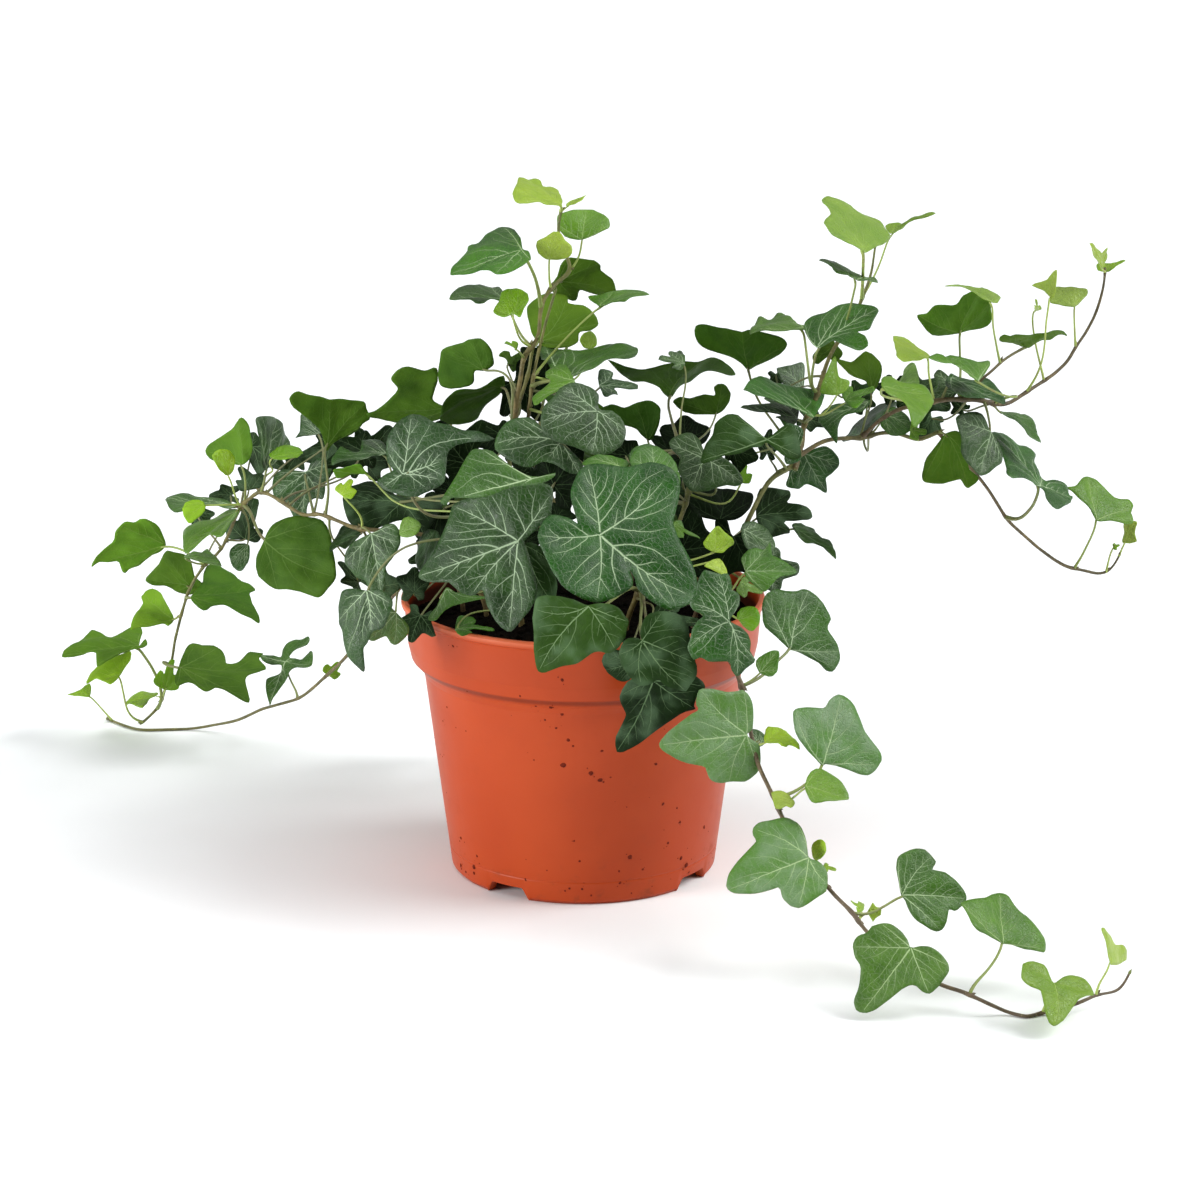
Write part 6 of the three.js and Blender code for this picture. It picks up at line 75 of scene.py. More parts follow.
    ('LBig', 'leaf_left_01', 'stem_left_upper', 1, 0.1, 'P', (-108.72,41.78,100.23), (-0.4,-0.799,0.449), (0.796,-0.546,-0.263), (0,0,-2.8,-0.2,-5.5,0.3,-6.9,1.1,-9.8,3.7,-11,5,-12.6,8,-14.7,14,-15.1,16.9,-13.9,19.7,-12.1,22.2,-11.1,23,-8,25,-4.3,28.6,-0.3,31,1.2,31.4,3,31.4,6.9,30.6,8.3,29.9,9,29,9.9,22.1,11.2,17.5,12.7,13.9,13,12.8,13,10.6,11.9,5.5,11.3,4.6,9.6,2.7,7.1,1.2,5.5,0.7), (0,30.7,-15.1,16.9,12.8,14,-11,5), (-107.8,41.1,99.9,-108.7,41.8,100.2,-110,43.8,101.2,-111.2,46.7,102,-115,60.7,105.4,-116.3,63.5,106.1,-117.8,65.5,106.7), 0.82),
    ('LL5', 'leaf_left_02', 'stem_left_upper', 1, 0.5, 'P', (-140.29,96.57,64.81), (0.091,-0.141,0.986), (0.867,-0.476,-0.148), (0.1,-0.1,-4.4,-1.7,-10.3,-2.8,-11.9,-3.3,-18.6,-7.7,-24.3,-10.3,-25.7,-10.7,-26.7,-10.7,-27.4,-10.3,-28.1,-9,-28.3,-7.2,-27.5,-1.6,-25.8,1.3,-22.1,6.3,-21.7,7.4,-21.7,9.9,-20.2,13.7,-19.6,14.5,-19,14.6,-17.5,13.9,-16.6,14,-15.4,14.7,-10.3,19.3,-4.3,26.5,-1.4,28.8,1,30.1,1,29.6,-0.3,25.8,1.1,22.2,-0.5,15.3,-0.5,13.4,-0.1,12.7,1.2,11.7,3.2,11.1,5.8,11,6.6,10.6,6.9,9.9,6.4,7.9,4.8,5,1.9,1.4), (0,29.3,-19.7,14.2,6.3,10.4,-26.5,-9.9), (-139,96.5,64.7,-140.3,96.6,64.8,-140,97.7,64,-143.7,111.5,60.3), 0.81),
    ('BD2', 'leaf_middle_02', 'stem_right', 1, 0.2, 'D', (39.31,3.69,106.81), (-0.023,0.715,0.699), (-0.076,0.696,-0.714), (0,0,-1.5,-1.1,-4,-6,-5.3,-7.6,-6.6,-8.1,-8,-7.9,-10.9,-6.8,-11.6,-6.3,-11.9,-5.6,-11.9,-4.9,-10.2,0.2,-10.2,2.3,-11.1,5.1,-14.8,14.3,-14.9,15.7,-14.6,16.5,-13,17.5,-12.3,17.6,-10.6,17.6,-6.8,16.1,-5.7,16.5,-4.9,18,-3.2,24.7,-2.5,25.7,-1.7,26.3,0.8,26.5,1.6,26.4,2.4,25.8,3.2,24.7,5.7,16.9,6.7,14.9,8.1,14.1,12.7,14.5,14.4,14.2,15.8,13.1,16.2,11.8,16,10.7,12.4,4.8,11.7,3,11.9,1.7,14.3,-1.3,14.8,-2.5,14.8,-3.7,14.2,-4.5,11.2,-6.5,9.7,-7.2,8,-7.1,6.1,-5.6,1.9,-1), (0,26.5,15.4,13.5,-13.6,17.1,14.9,-3.3,-11.8,-5.9), (39.2,4.5,106,39.3,3.7,106.8,39.3,2.1,104.7,39.3,-3,103.1,39.3,-5.7,101.7), 0.8),
    ('BC2', 'leaf_middle_03', 'stem_front', 1, 0.8, 'D', (11.26,-15.43,121.31), (-0.792,0.362,0.492), (-0.165,0.648,-0.744), (0,0,-1.8,-0.9,-5.6,-5.7,-7.3,-7.2,-8.8,-7.4,-10.3,-6.8,-13.1,-4.9,-13.7,-4.2,-13.9,-3,-13.4,-1.8,-11,1.2,-10.7,2.7,-11.4,4.5,-15,10.5,-15.3,11.6,-14.9,12.8,-13.5,13.9,-11.9,14.2,-7.4,13.4,-6.1,14.1,-5.2,16.3,-3.2,25.4,-2.4,26.6,-1.6,27.1,-0.8,27.2,1.5,27.1,2.3,26.5,3.2,25.4,5.8,17.1,7,15,8.6,14.2,13.7,14.6,15.4,14.1,16.8,12.9,17.1,12.3,17.2,11.6,16.8,10.4,12,3.7,10.9,1.7,10.9,0.1,13.1,-3.3,13.5,-4.6,13.2,-5.8,12.5,-6.4,9.5,-7.9,8,-8.3,6.5,-8,5,-6.3,1.7,-1.1), (0,27.2,16.3,13.4,-14.5,13.3,13.4,-5.4,-13.9,-3.8), (11.1,-14.7,120.4,11.3,-15.4,121.3,12.4,-15.9,119.5,14,-16.3,118.3,15.8,-16.7,117.6,22.4,-18,116.2,26.7,-18.8,114.1), 0.8),
    ('R9', 'leaflet_right_01', 'stem_right', 0, 0.9, 'T', (74.65,-6.1,154.14), (0.43,-0.058,0.901), (-0.901,-0.094,0.424), (0,24.8,5.4,23.3,11.3,21,17,18,19.4,16.5,21,15.1,21.3,14.1,19.5,12.6,19,11.7,19.7,8.9,21.8,4.4,23.5,1.4,24.5,-0.1,29.3,-5.3,29.1,-6.3,27,-6.5,23.4,-6.1,15.1,-4.5,1.7,-0.9,-1.2,0.2,-2.3,0.9,-0.7,3,-0.3,5.5,-0.2,8.4,-0.8,11.2,-2.2,14.1,-6.8,18.8,-7.8,20.2,-8.2,21.5,-8.1,22.7,-7.7,23.7,-6.9,24.4,-5.7,24.9,-2.2,25.1), (0,24.8,21,15.1,-3.4,14.3), (73.9,-5.6,154.5,74.6,-6.1,154.1,72.8,8.2,149), 0.8),
    ('LC2', 'leaf_middle_04', 'stem_centre', 1, 0.2, 'T', (-57.52,-24.82,139.73), (-0.342,-0.734,0.587), (0.912,-0.11,0.394), (-6.4,-4.3,-8.5,-4.2,-10.7,-3.7,-12.7,-2.7,-14.7,-1.4,-16.3,0.4,-17.6,2.5,-18.4,4.9,-18.6,7.4,-18.3,8.5,-17.1,10.6,-15.6,12.3,-12.9,14.3,-10.2,19,-7.1,22.5,-4.6,27.6,-2.1,30.4,0,32.2,0.3,31.9,0,29.9,-2.4,23.3,-2.7,19.5,-2.5,18.3,-1.8,16.9,-0.5,15.7,5.7,14.2,8.5,13,8.9,12.3,9.3,10.7,10,3.1,9.3,1,7.5,-2.1,3.2,-7,0.8,-8.8,-0.1,-9.1,-0.8,-9.1,-1.3,-8.5,-2.3,-5.5,-2.5,-3.3,-2.8,-2.9), (0,32.2,-18,7.9,8.7,13.6,-9.7,-3.2,1.9,-7.2), (-57.2,-24.9,139.9,-57.5,-24.8,139.7,-55.8,-24.9,134.7,-53.9,-24.3,129.9,-51.1,-23.1,126.2,-47,-21.1,124.4,-42,-18.7,123.9,-31.6,-14.6,123.7,-26.3,-13.2,123.8), 0.78),
    ('F1', 'leaf_trailing_right_02', 'stem_front_trailing', 1, 1.2, 'W', (69.85,-104.49,37.84), (-0.054,-0.709,0.703), (-0.939,-0.204,-0.277), (13.9,13.1,15.3,12.8,16.4,12.1,17,10.9,17.2,9.5,16.4,6.5,15.7,1.8,14.8,0.3,13.1,-1.1,11,-1.7,7.8,-1.7,5.6,-1.4,0.6,0,0,0,-2.3,-2.1,-3,-2.5,-4.8,-3.2,-6.5,-3.4,-8.2,-3,-10.9,-1.8,-12.6,-0.7,-13,0,-14.3,5.9,-14.4,7.6,-14.1,9.1,-12.7,11.1,-10.7,12.2,-9.2,12.5,-6.2,12,-6,12.3,-5.9,14.5,-5.5,17.2,-4.5,20.3,-2.1,25.2,-0.3,26.7,1.1,26.9,1.8,26.6,4.3,25,5.5,23.5,7.3,20.8,11.3,13.1,11.9,12.8), (0,27,15.6,11.8,-14.1,9.1,13.1,-1.1,-10.5,-1.8), (68.7,-104.7,37.5,69.9,-104.5,37.8,70.9,-105.3,34.9,73,-106,32.4), 0.77),
    ('BK35', 'leaf_trailing_left_03', 'stem_back_left', 1, 0.2, 'T', (-39.95,77.95,59.01), (0.843,0.416,0.341), (0.406,-0.077,-0.911), (0,0,-1.9,-0.8,-5.7,-5.3,-7.4,-6.8,-9,-6.9,-10.5,-6.4,-13.5,-4.7,-14.1,-4.1,-14.3,-3,-13.8,-1.8,-11.1,1.1,-10.8,2.5,-11.6,4.4,-15.5,10.5,-15.8,11.5,-15.6,12.2,-14.8,13.1,-13.1,13.8,-12.1,13.9,-7.4,12.6,-6.1,13.2,-5.1,15.1,-3.2,22.9,-2.4,24,-1.6,24.5,0.8,24.6,1.6,24.5,2.4,24,3.2,22.9,5.1,14.5,6.1,12.4,7.5,11.7,12.2,12.7,13.1,12.6,14.3,12.1,15.3,11,15.2,9.3,12.5,3.6,12,1.8,12.3,0.2,14.7,-3.7,15.1,-5,14.9,-5.8,13.9,-6.8,10.5,-8.3,8.8,-8.6,7.1,-8.2,5.4,-6.5,1.8,-1.2), (0,24.6,14.7,11.8,-14.8,13.1,14.9,-5.8,-14.3,-3.7), (-39.5,77.9,57.9,-40,78,59,-40.9,77.5,57.8,-42.1,76.8,57.4,-48.4,73.2,58.6,-51.7,71.3,58.4), 0.77),
    ('BB1', 'leaf_middle_05', 'stem_centre', 1, 0, 'D', (-14.48,5.99,136.26), (0.338,0.501,0.797), (0.145,0.809,-0.57), (0,0,-1.6,-0.7,-5,-4.8,-6.5,-6.1,-7.9,-6.3,-9.3,-6,-12.5,-4.4,-12.9,-3.8,-12.9,-3.1,-10.9,0.8,-10.8,2.2,-11.4,3.9,-14.3,9.4,-14.4,10.3,-14,11.3,-12.6,12.1,-11.1,12.3,-7.2,11.8,-6,12.6,-5.2,14.6,-3.4,22.7,-2.6,23.7,-1.7,24.2,-0.9,24.3,1.6,24.1,2.5,23.7,3.4,22.7,6.1,15.7,7.2,13.9,8.7,13.1,13.3,13.1,15.1,12.7,16.5,11.8,17,10.7,16.7,9.6,13.1,3.1,12.2,1.1,12.1,-0.6,13.3,-5.8,13.1,-6.5,12.6,-7.1,8.7,-8.2,7.1,-8.4,5.6,-7.9,4.2,-6.2,1.5,-1.2), (0,24.3,16.1,12.2,-13.6,11.6,13.1,-6.5,-12.9,-3.8), (-14.3,7,135.6,-14.5,6,136.3,-15,5.3,134.8,-15.8,4.4,134.7,-16.8,3.2,135.5,-21.9,-2.6,141.9,-23,-4,142.6), 0.77),
    ('BK32', 'leaf_back_03', 'stem_back_left', 1, 0.5, 'T', (-27.38,83.54,78.81), (0.815,0.568,0.116), (-0.177,0.435,-0.883), (0,0,-1.6,-0.8,-4.7,-5.3,-6.1,-6.8,-7.4,-7,-8.7,-6.5,-11.3,-4.9,-11.8,-4.3,-11.9,-3.2,-11.6,-2.1,-9.6,0.8,-9.6,2.3,-10.5,4.3,-14.7,10.8,-15,12,-14.6,13.2,-13.2,14.2,-11.7,14.6,-7.4,14.1,-6.1,14.8,-5.2,16.7,-3,24.5,-2.2,25.6,-1.5,26.1,0.7,26.3,1.4,26.2,2.2,25.7,3,24.5,5.3,15.9,6.4,13.7,7.7,12.8,12.2,12.7,13.6,12.2,14.4,11.5,14.9,10.6,14.8,8.8,12,3.4,11.4,1.7,11.6,0.2,13.6,-4.2,13.7,-5.2,13.5,-6,12.8,-6.7,9.7,-8.3,8.2,-8.8,6.6,-8.4,5.1,-6.6,1.7,-1.3), (0,26.3,14.4,11.5,-14.2,13.6,13.6,-5.6,-11.9,-3.9), (-27.6,84.1,77.8,-28.7,79.1,79.7,-31.3,75.9,80.7,-34.9,73.9,81,-38.9,72.8,80.6,-42.9,71.9,79.8,-46.2,70.8,78.6,-48.4,69,77.2,-48.9,66,75.9), 0.77),
    ('BK31', 'leaf_back_04', 'stem_back_left', 1, 0.2, 'T', (-58.49,70.35,109.03), (-0.427,0.361,0.829), (-0.793,0.293,-0.535), (0,0,-1.5,-1.2,-4.5,-6.5,-6,-8.4,-7.4,-8.8,-8.8,-8.4,-12.3,-6.7,-12.8,-5.3,-12.5,-3.9,-10.7,0.1,-10.6,1.9,-11.4,4.2,-14.9,11.3,-15.2,12.5,-14.7,13.8,-13.3,14.8,-11.8,15.1,-7.4,14.4,-6.1,15,-5.1,16.9,-2.9,24.5,-2.2,25.5,-1.4,26.1,0.8,26.3,1.5,26.1,2.3,25.6,2.9,24.5,4.2,16.1,4.8,14.1,5.7,13.6,9.1,15.2,9.8,15.2,11,15,12.2,14,12.3,12.2,10.5,5.2,10.2,3,10.5,1.2,12.7,-3.8,12.9,-4.6,12.6,-5.4,12,-6,9.1,-7.6,7.8,-8.1,6.3,-7.8,4.8,-6.1,1.6,-1), (0,26.3,11.5,14.7,-14.3,14.2,12.8,-5,-12.7,-6), (-59.4,70.7,108.4,-58.5,70.4,109,-57.5,69.5,106,-56.1,68.4,103.8,-54.3,66.9,102.3,-47.7,61.5,98.9,-45.4,59.6,97.3,-43.3,57.9,95), 0.77),
    ('BK37', 'leaf_back_05', 'stem_back_left', 1, 0.5, 'D', (-26.65,77.51,115.78), (0.428,0.754,0.498), (0.296,0.403,-0.866), (0,0,-1.5,-1.2,-3.9,-6.3,-5.2,-8,-6.6,-8.5,-8,-8.4,-11.6,-7.2,-12.2,-6.3,-12.2,-5.4,-10.3,-0.8,-10.4,0.9,-11.4,3,-16.1,9.5,-16.4,10.7,-16.3,11.4,-15.6,12.2,-14,13.1,-13,13.3,-8,12.7,-6.5,13.3,-5.4,15,-2.9,21.8,-1.4,23.3,0,23.4,1.5,23.2,2.2,22.8,2.9,21.8,5,15.3,5.9,13.8,7.2,13.4,11.7,14.7,12.7,14.7,13.4,14.5,14.4,13.9,15.3,13,15.4,12.3,15.2,11.2,11,4.8,10.2,2.9,10.4,1.6,13.2,-0.9,13.8,-2,13.7,-3.2,13.1,-3.8,10.4,-5.7,9,-6.3,7.5,-6.2,5.8,-4.9,1.8,-0.8), (0,23.4,14.4,13.9,-15.6,12.2,13.8,-2.8,-12.1,-6.6), (-26.3,78,114.7,-27.3,77.6,112.3,-28.9,76.2,110,-30.9,73.8,107.7,-33.1,70.6,105.5,-35.2,66.8,103.5,-36.9,62.4,101.6,-38.2,57.7,100,-38.6,52.8,98.6), 0.76),
    ('BK23', 'leaf_back_06', 'stem_back_trailing', 1, 0.5, 'D', (34.06,77.21,118.19), (0.258,0.395,0.882), (0.378,0.798,-0.469), (0,0,-1.8,-1.1,-5.2,-5.7,-6.8,-7.2,-8.4,-7.4,-9.9,-7.1,-12.9,-5.6,-13.6,-5,-13.8,-3.8,-13.4,-2.7,-11.6,0.3,-11.5,1.6,-12.3,3.2,-15.8,8.2,-16.1,9.2,-15.8,10.3,-14.6,11.3,-13,11.7,-8.3,12,-6.9,12.8,-5.7,14.7,-3,21.9,-2.2,22.9,-0.7,23.5,1.5,23.3,3,21.9,5.4,15.5,6.4,13.9,7.7,13.4,12.1,13.8,13.7,13.6,15.2,12.6,15.7,11.5,15.4,10.5,11.6,4.7,10.8,2.9,11,1.7,13.3,-0.8,13.8,-1.8,13.8,-2.9,13.2,-3.6,10.5,-5.4,9.1,-6,7.6,-6,5.9,-4.7,1.9,-0.8), (0,23.5,14.8,13,-15.4,10.7,13.9,-2.6,-13.8,-4.6), (34.5,78.2,117.6,34.1,77.2,118.2,33.3,76.2,114.4,32.1,74.9,111.5,30.5,73.3,109.2,24.4,67.5,103.3,22.4,65.5,100.8,20.5,63.6,97.6), 0.75),
    ('X1', 'leaflet_left_01', 'stem_centre', 0, 0, 'D', (-61,31.02,116.29), (-0.025,-0.529,0.848), (-0.997,0.074,0.017), (4.6,20.6,6.3,20.1,7.4,18.9,10,13.2,10.2,11.7,9.9,10,8.5,8,4.3,3.7,2.7,1.7,2,-0.3,1.8,-2.2,2.2,-5.9,2.9,-7.9,5.2,-11.7,5.3,-13.1,4.3,-13.7,2.4,-13.9,-2.2,-13.5,-7.6,-12,-15.5,-8.8,-16.3,-8,-16.4,-7.2,-15.2,-6.1,-10.7,-3.5,-9.2,-2,-8.9,-0.4,-9.3,1.2,-10.5,4.6,-12.5,9.2,-12.6,10.8,-12.2,12.5,-11.4,14.3,-10.1,16,-8.3,17.4,-5.5,18.6,-1.8,19.7,1.8,20.5), (0,19.4,9.8,11.3,4.4,-12.5,-12.1,8.8,-14.9,-9.4), (-61.4,31.1,116.3,-40,6.1,125.8,-25.3,-10,130.7), 0.75),
    ('BK29', 'leaf_back_07', 'stem_back_trailing', 1, 0.5, 'T', (6.38,85.1,80.75), (-0.851,0.487,0.194), (-0.253,-0.058,-0.966), (0,0,-1.7,-0.8,-5.5,-4.9,-7.1,-6.1,-8.6,-6.2,-9.9,-5.7,-12.6,-4,-13.2,-3.4,-13.3,-2.3,-12.8,-1.2,-10.2,1.4,-10,2.7,-10.8,4.6,-14.9,10.8,-15.1,11.9,-15,12.6,-14.1,13.4,-12.4,14.1,-11.5,14.2,-7.1,12.9,-5.8,13.4,-5,15.3,-3.2,23.5,-2.4,24.6,-1.6,25,-0.8,25.2,1.6,25,2.4,24.5,3.2,23.5,5.4,15.6,6.4,13.7,7.8,13.1,12.6,14.1,13.5,14,15.3,13.2,16.2,12.3,16.3,11.7,15.9,10.5,10.6,3.8,9.4,1.8,9.4,0.4,11.6,-2.4,11.8,-3,12,-3.7,11.5,-4.6,8.5,-6.2,7.2,-6.6,5.9,-6.3,4.5,-5,1.6,-0.9), (0,25.2,15.3,13.2,-14.1,13.4,11.9,-4.1,-13.3,-3), (6.1,85,79.6,6.4,85.1,80.8,7.7,84.3,79.1,9.4,83.2,78.4,11.4,81.9,78.2,18.1,77.2,79,20.4,75.6,78.9,22.6,74.1,78.2), 0.74),
    ('E3', 'leaf_right_03', 'stem_front_trailing', 1, 1.2, 'W', (75.12,-81.24,60.25), (0.532,-0.738,0.414), (0.255,0.606,0.753), (-14.5,8.5,-15,11.7,-14.4,13.1,-13.3,14,-10.6,15.4,-5.2,17.3,-4.6,18.1,-4.1,20.5,-3,22.2,-1.2,24,-0.4,24.4,1.1,24.7,3.5,24.2,5.6,22.9,10.8,16.5,18.1,12.4,19.2,11.1,19.7,9.6,19.4,7.8,18.7,6,17.7,4.5,16.3,3.3,13.7,2.5,4.6,1.7,0.6,0.6,0.1,0.3,0,-0.4,-0.3,-0.5,-3.5,0.9,-7.3,2,-11.1,3.8,-13.2,5.6), (0,24.3,-14.5,12.6,19.3,8.1), (74.9,-80.7,61.5,75.1,-81.2,60.2,74,-81.7,58.1,72.4,-82,56.3,68.4,-82.5,53.1,64.1,-82.7,50.7,61.8,-82.5,50.4,59.5,-82.3,50.6), 0.74),
    ('BK12', 'leaf_back_08', 'stem_back_upright', 1, 0.8, 'T', (-26.56,56.18,118.24), (-0.54,0.405,0.738), (-0.615,0.409,-0.674), (0,0,-1.5,-1,-4.4,-5.4,-5.7,-6.9,-6.9,-7.1,-8.2,-6.7,-11,-5,-11.4,-3.6,-9.5,0.8,-9.5,2.3,-10.2,4.4,-13.5,11.1,-13.8,12.3,-13.3,13.4,-12,14.4,-10.5,14.6,-6.8,14.1,-5.7,14.8,-4.8,16.6,-2.8,24,-2.1,25,-1.4,25.5,0,25.7,1.4,25.5,2.8,24,5.4,17.1,6.4,15.3,7.7,14.6,12,14.6,13.5,14.2,14.8,13.1,15.3,11.8,14.9,10.7,10.4,4.4,9.3,2.5,9.3,1.2,11.2,-1.2,11.6,-2.2,11.5,-3.3,11,-4,8.7,-5.7,7.5,-6.2,6.2,-6.2,4.8,-4.9,1.6,-0.8), (0,25.7,14.4,13.6,-12.9,13.8,11.6,-3,-11.4,-4.3), (-27.3,56.7,117.4,-26.6,56.2,118.2,-25.8,55.7,116.7,-24.6,55,116.5,-23.1,54.2,117.2,-15.6,50.6,123,-13.9,49.8,123.5), 0.74),
    ('LL3', 'leaf_left_03', 'stem_left_upper', 1, 1.6, 'T', (-119.82,63.67,104.44), (-0.467,-0.063,0.882), (-0.781,-0.439,-0.444), (-1.2,23.5,1.4,22.9,4.6,21.6,17.3,15.4,19.9,13.9,21.4,12.6,21.2,11.7,16.5,9.4,10.8,1.8,9.6,0.6,8,-0.2,3.6,-1.1,1.1,-1.1,-1.2,-0.8,-3.2,0,-5.2,1.2,-10.3,5.3,-13.2,8.3,-14.7,10.7,-15,11.7,-14.8,12.6,-14.2,13.4,-12.7,13.9,-8.3,14.6,-6.7,15.1,-6.1,15.9,-6.2,17.9,-5.9,19,-4.3,21.8,-3,23.1), (0,23.1,22.6,12.1,-14.9,13.3), (-120.1,63.5,104.3,-119.8,63.7,104.4,-118.8,67.4,105.2), 0.74),
    ('BK17', 'leaf_back_09', 'stem_back_upright', 1, 0.2, 'T', (-3.26,67.54,143.11), (0.458,0.59,0.664), (0.533,0.415,-0.737), (0,0,-1.3,-1,-3.7,-5.2,-4.8,-6.7,-6,-7,-7.3,-6.8,-10.2,-5.6,-10.7,-4.5,-9.6,-0.2,-9.8,1.3,-10.6,3.1,-14.3,9.2,-14.6,10.3,-14.5,10.9,-13.4,12,-11.5,12.6,-7.6,12.8,-6.4,13.7,-5.4,15.6,-3,22.9,-2.2,23.9,-0.7,24.5,1.4,24.3,3,22.9,6,16.1,7.1,14.3,8.5,13.3,12.8,12.6,14.9,11.9,16,10.5,16.1,9.8,15.7,8.9,14.4,7.4,10.6,3.9,9.4,2.5,9.3,1.6,11,0.1,11.6,-1.4,11.1,-2.3,9,-4.1,7.9,-4.7,6.6,-4.7,5.1,-3.7,1.6,-0.5), (0,24.5,15.3,11.5,-13.8,11.7,11.6,-1.4,-10.6,-5.1), (-2.6,68,142.2,-3.3,67.5,143.1,-3.9,66.9,141.8,-4.8,66.1,141.7,-5.9,65.1,142.4,-9.9,61.7,146.9,-12.5,59.5,148.7), 0.73),
    ('C7', 'leaflet_front_02', 'stem_front', 0, 0.8, 'D', (2.16,-94.36,115.34), (-0.115,-0.957,0.268), (-0.618,-0.142,-0.773), (-0.1,25.3,0.7,25,1.8,24.1,5.2,20.7,8.2,16.8,11.3,13.5,13.6,9.5,14,8,13.8,7.3,12.5,5.5,9,3.1,4.8,1.1,0.6,0.1,-1.7,-2.7,-4.6,-4.7,-6.3,-5.3,-8,-5.5,-10.4,-4.7,-12.1,-4.5,-12.8,-3.7,-13.5,-1.8,-14.8,0.1,-15,4,-14.4,6.4,-13.4,7.7,-11.6,8.3,-10.2,9.5,-9.6,10.9,-8.5,14.9,-8,16.1,-4.9,19.4,-1.9,24.4,-1,25.1), (0,25.2,-14.6,5.1,12.6,11.3,-12.5,-4), (2.1,-94.6,114.4,4.7,-86,112.3,7.1,-76.5,110.7,13.3,-46.5,106.8,15.1,-37.2,105.1,16.8,-28.9,103,18.4,-21.9,100.1), 0.73),
    ('M1', 'leaf_back_10', 'stem_front', 1, 0.2, 'U', (29.29,66.31,144.51), (-0.077,0.648,0.758), (0.361,-0.691,0.627), (29.3,17.4,28.5,17.3,22.1,14.7,20.2,14.3,16.3,13.9,14.6,14.3,13.2,15.3,11.8,16.7,6.9,23.3,5.9,24.3,-2.7,28.4,-3.8,28.9,-5,29,-8,28,-11,26,-14.4,22.6,-16.8,19.4,-17.1,18.6,-16.8,18.3,-15.1,18.2,-9.5,19.5,-7.9,19.5,-6.8,19,-6,18.2,-5,15.9,-3.8,9.8,-3.2,8.9,-1.8,7.9,-1.2,7,-1.1,0.5,-0.6,-0.6,0.4,-0.2,5,4,8.3,5.5,11.4,6.3,12.6,6.1,14.6,5.1,15.8,5.2,17.2,6,26.6,14.4), (0,27.8,28.8,16.1,-15.6,21.3), (29.3,65,145.6,29,60.5,143.9,28.9,54.4,143.4,29.5,30,144.8,30,20.7,144.7,30.8,11.3,143.7,31.8,2,141.2), 0.73),
    ('BK22', 'leaflet_back_01', 'stem_back_trailing', 0, 0, 'T', (32.23,92.29,70.06), (0.497,0.862,0.1), (0.604,-0.26,-0.754), (0,0,-1.4,-1.1,-4.1,-5.6,-5.4,-7.1,-6.6,-7.4,-7.9,-7.1,-10.8,-5.5,-11.2,-4.5,-11.1,-3.7,-9,0.2,-9,1.8,-9.9,4,-14.4,11.1,-14.7,12.3,-14.6,13,-13.8,13.9,-12.8,14.5,-12.2,14.7,-11.3,14.7,-7,13.7,-5.7,14.2,-4.8,16,-2.8,23.4,-2.1,24.5,-1.4,25,0.7,25.1,2.1,24.5,2.8,23.4,5.2,15.6,6.2,13.6,7.6,12.8,12.3,13.1,13.2,12.9,14.6,12,15.4,11,15.5,10.3,15,9.2,9.3,3.4,8.1,1.7,8,0.6,10.1,-1.4,10.5,-2.7,10.2,-3.6,7.7,-5.4,6.7,-5.8,5.5,-5.7,4.2,-4.5,1.4,-0.7), (0,25.1,14.6,12,-13.8,13.9,10.5,-3,-11.1,-4.9), (33,92,69.2,32.2,92.3,70.1,31.5,91,68.7,30.6,89.5,68,25.7,81.3,67.9,24.4,79.1,67.6,23.2,77.1,66.8), 0.72),
    ('T1', 'leaf_top_03', 'stem_centre', 1, 3, 'T', (-6.69,9.59,220.79), (0.412,-0.055,0.909), (-0.812,-0.474,0.34), (0,18.8,2.3,17.6,9.8,13,17.5,8.7,19.8,7,22,4.7,25.9,-0.6,27.1,-2.5,27.6,-3.7,27.5,-4.4,26.1,-4.9,19.6,-2.9,19.6,-3.5,21.1,-5.7,21.2,-6.5,20.4,-6.7,19.1,-6.8,16,-6.3,10.4,-4.5,3.3,-1.7,-1.2,0.6,-2.7,1.8,-4.6,4.2,-5.5,6.1,-5.4,8.1,-4.7,11,-6.1,15.5,-8.1,19.8,-7.8,20.6,-6.6,20.8,-4.6,20.4), (0,18.8,25.9,-0.7,-5.3,9.3), (-7.9,9.5,221.3,-6.7,9.6,220.8,-7.1,15,217.9), 0.72),
    ('BK33', 'leaf_back_11', 'stem_back_left', 1, 0.8, 'T', (-31.75,76.34,77.79), (0.85,0.458,0.259), (0.065,0.397,-0.915), (0,0,-1.6,-0.8,-4.8,-5,-6.2,-6.3,-7.5,-6.5,-8.8,-6,-11.3,-4.4,-11.8,-3.8,-11.9,-2.7,-11.5,-1.7,-9.5,1.1,-9.4,2.4,-10,4,-13,9.5,-13.2,10.5,-12.8,11.5,-11.6,12.5,-10.2,12.7,-6.4,12,-5.3,12.6,-4.5,14.3,-2.7,21.5,-2,22.4,-0.7,23,1.3,22.8,2.7,21.5,5.2,15.2,6.3,13.6,7.6,13,12.1,13.1,13.6,12.7,14.9,11.7,15.2,10.5,14.9,9.4,11,3.4,10.1,1.6,10.1,0.1,11.9,-3.2,12.3,-4.3,12,-5.4,11.4,-6,8.6,-7.4,7.2,-7.7,5.9,-7.4,4.5,-5.8,1.5,-1.1), (0,23,14.5,12.1,-12.4,11.9,12.2,-5.1,-11.9,-3.4), (-31.7,76.8,76.7,-31.7,76.3,77.8,-33.1,75.6,76.1,-34.9,74.5,75.3,-36.9,73.3,75.2,-44.1,68.9,76.5,-46.5,67.4,76.5,-48.9,66,75.9), 0.72),
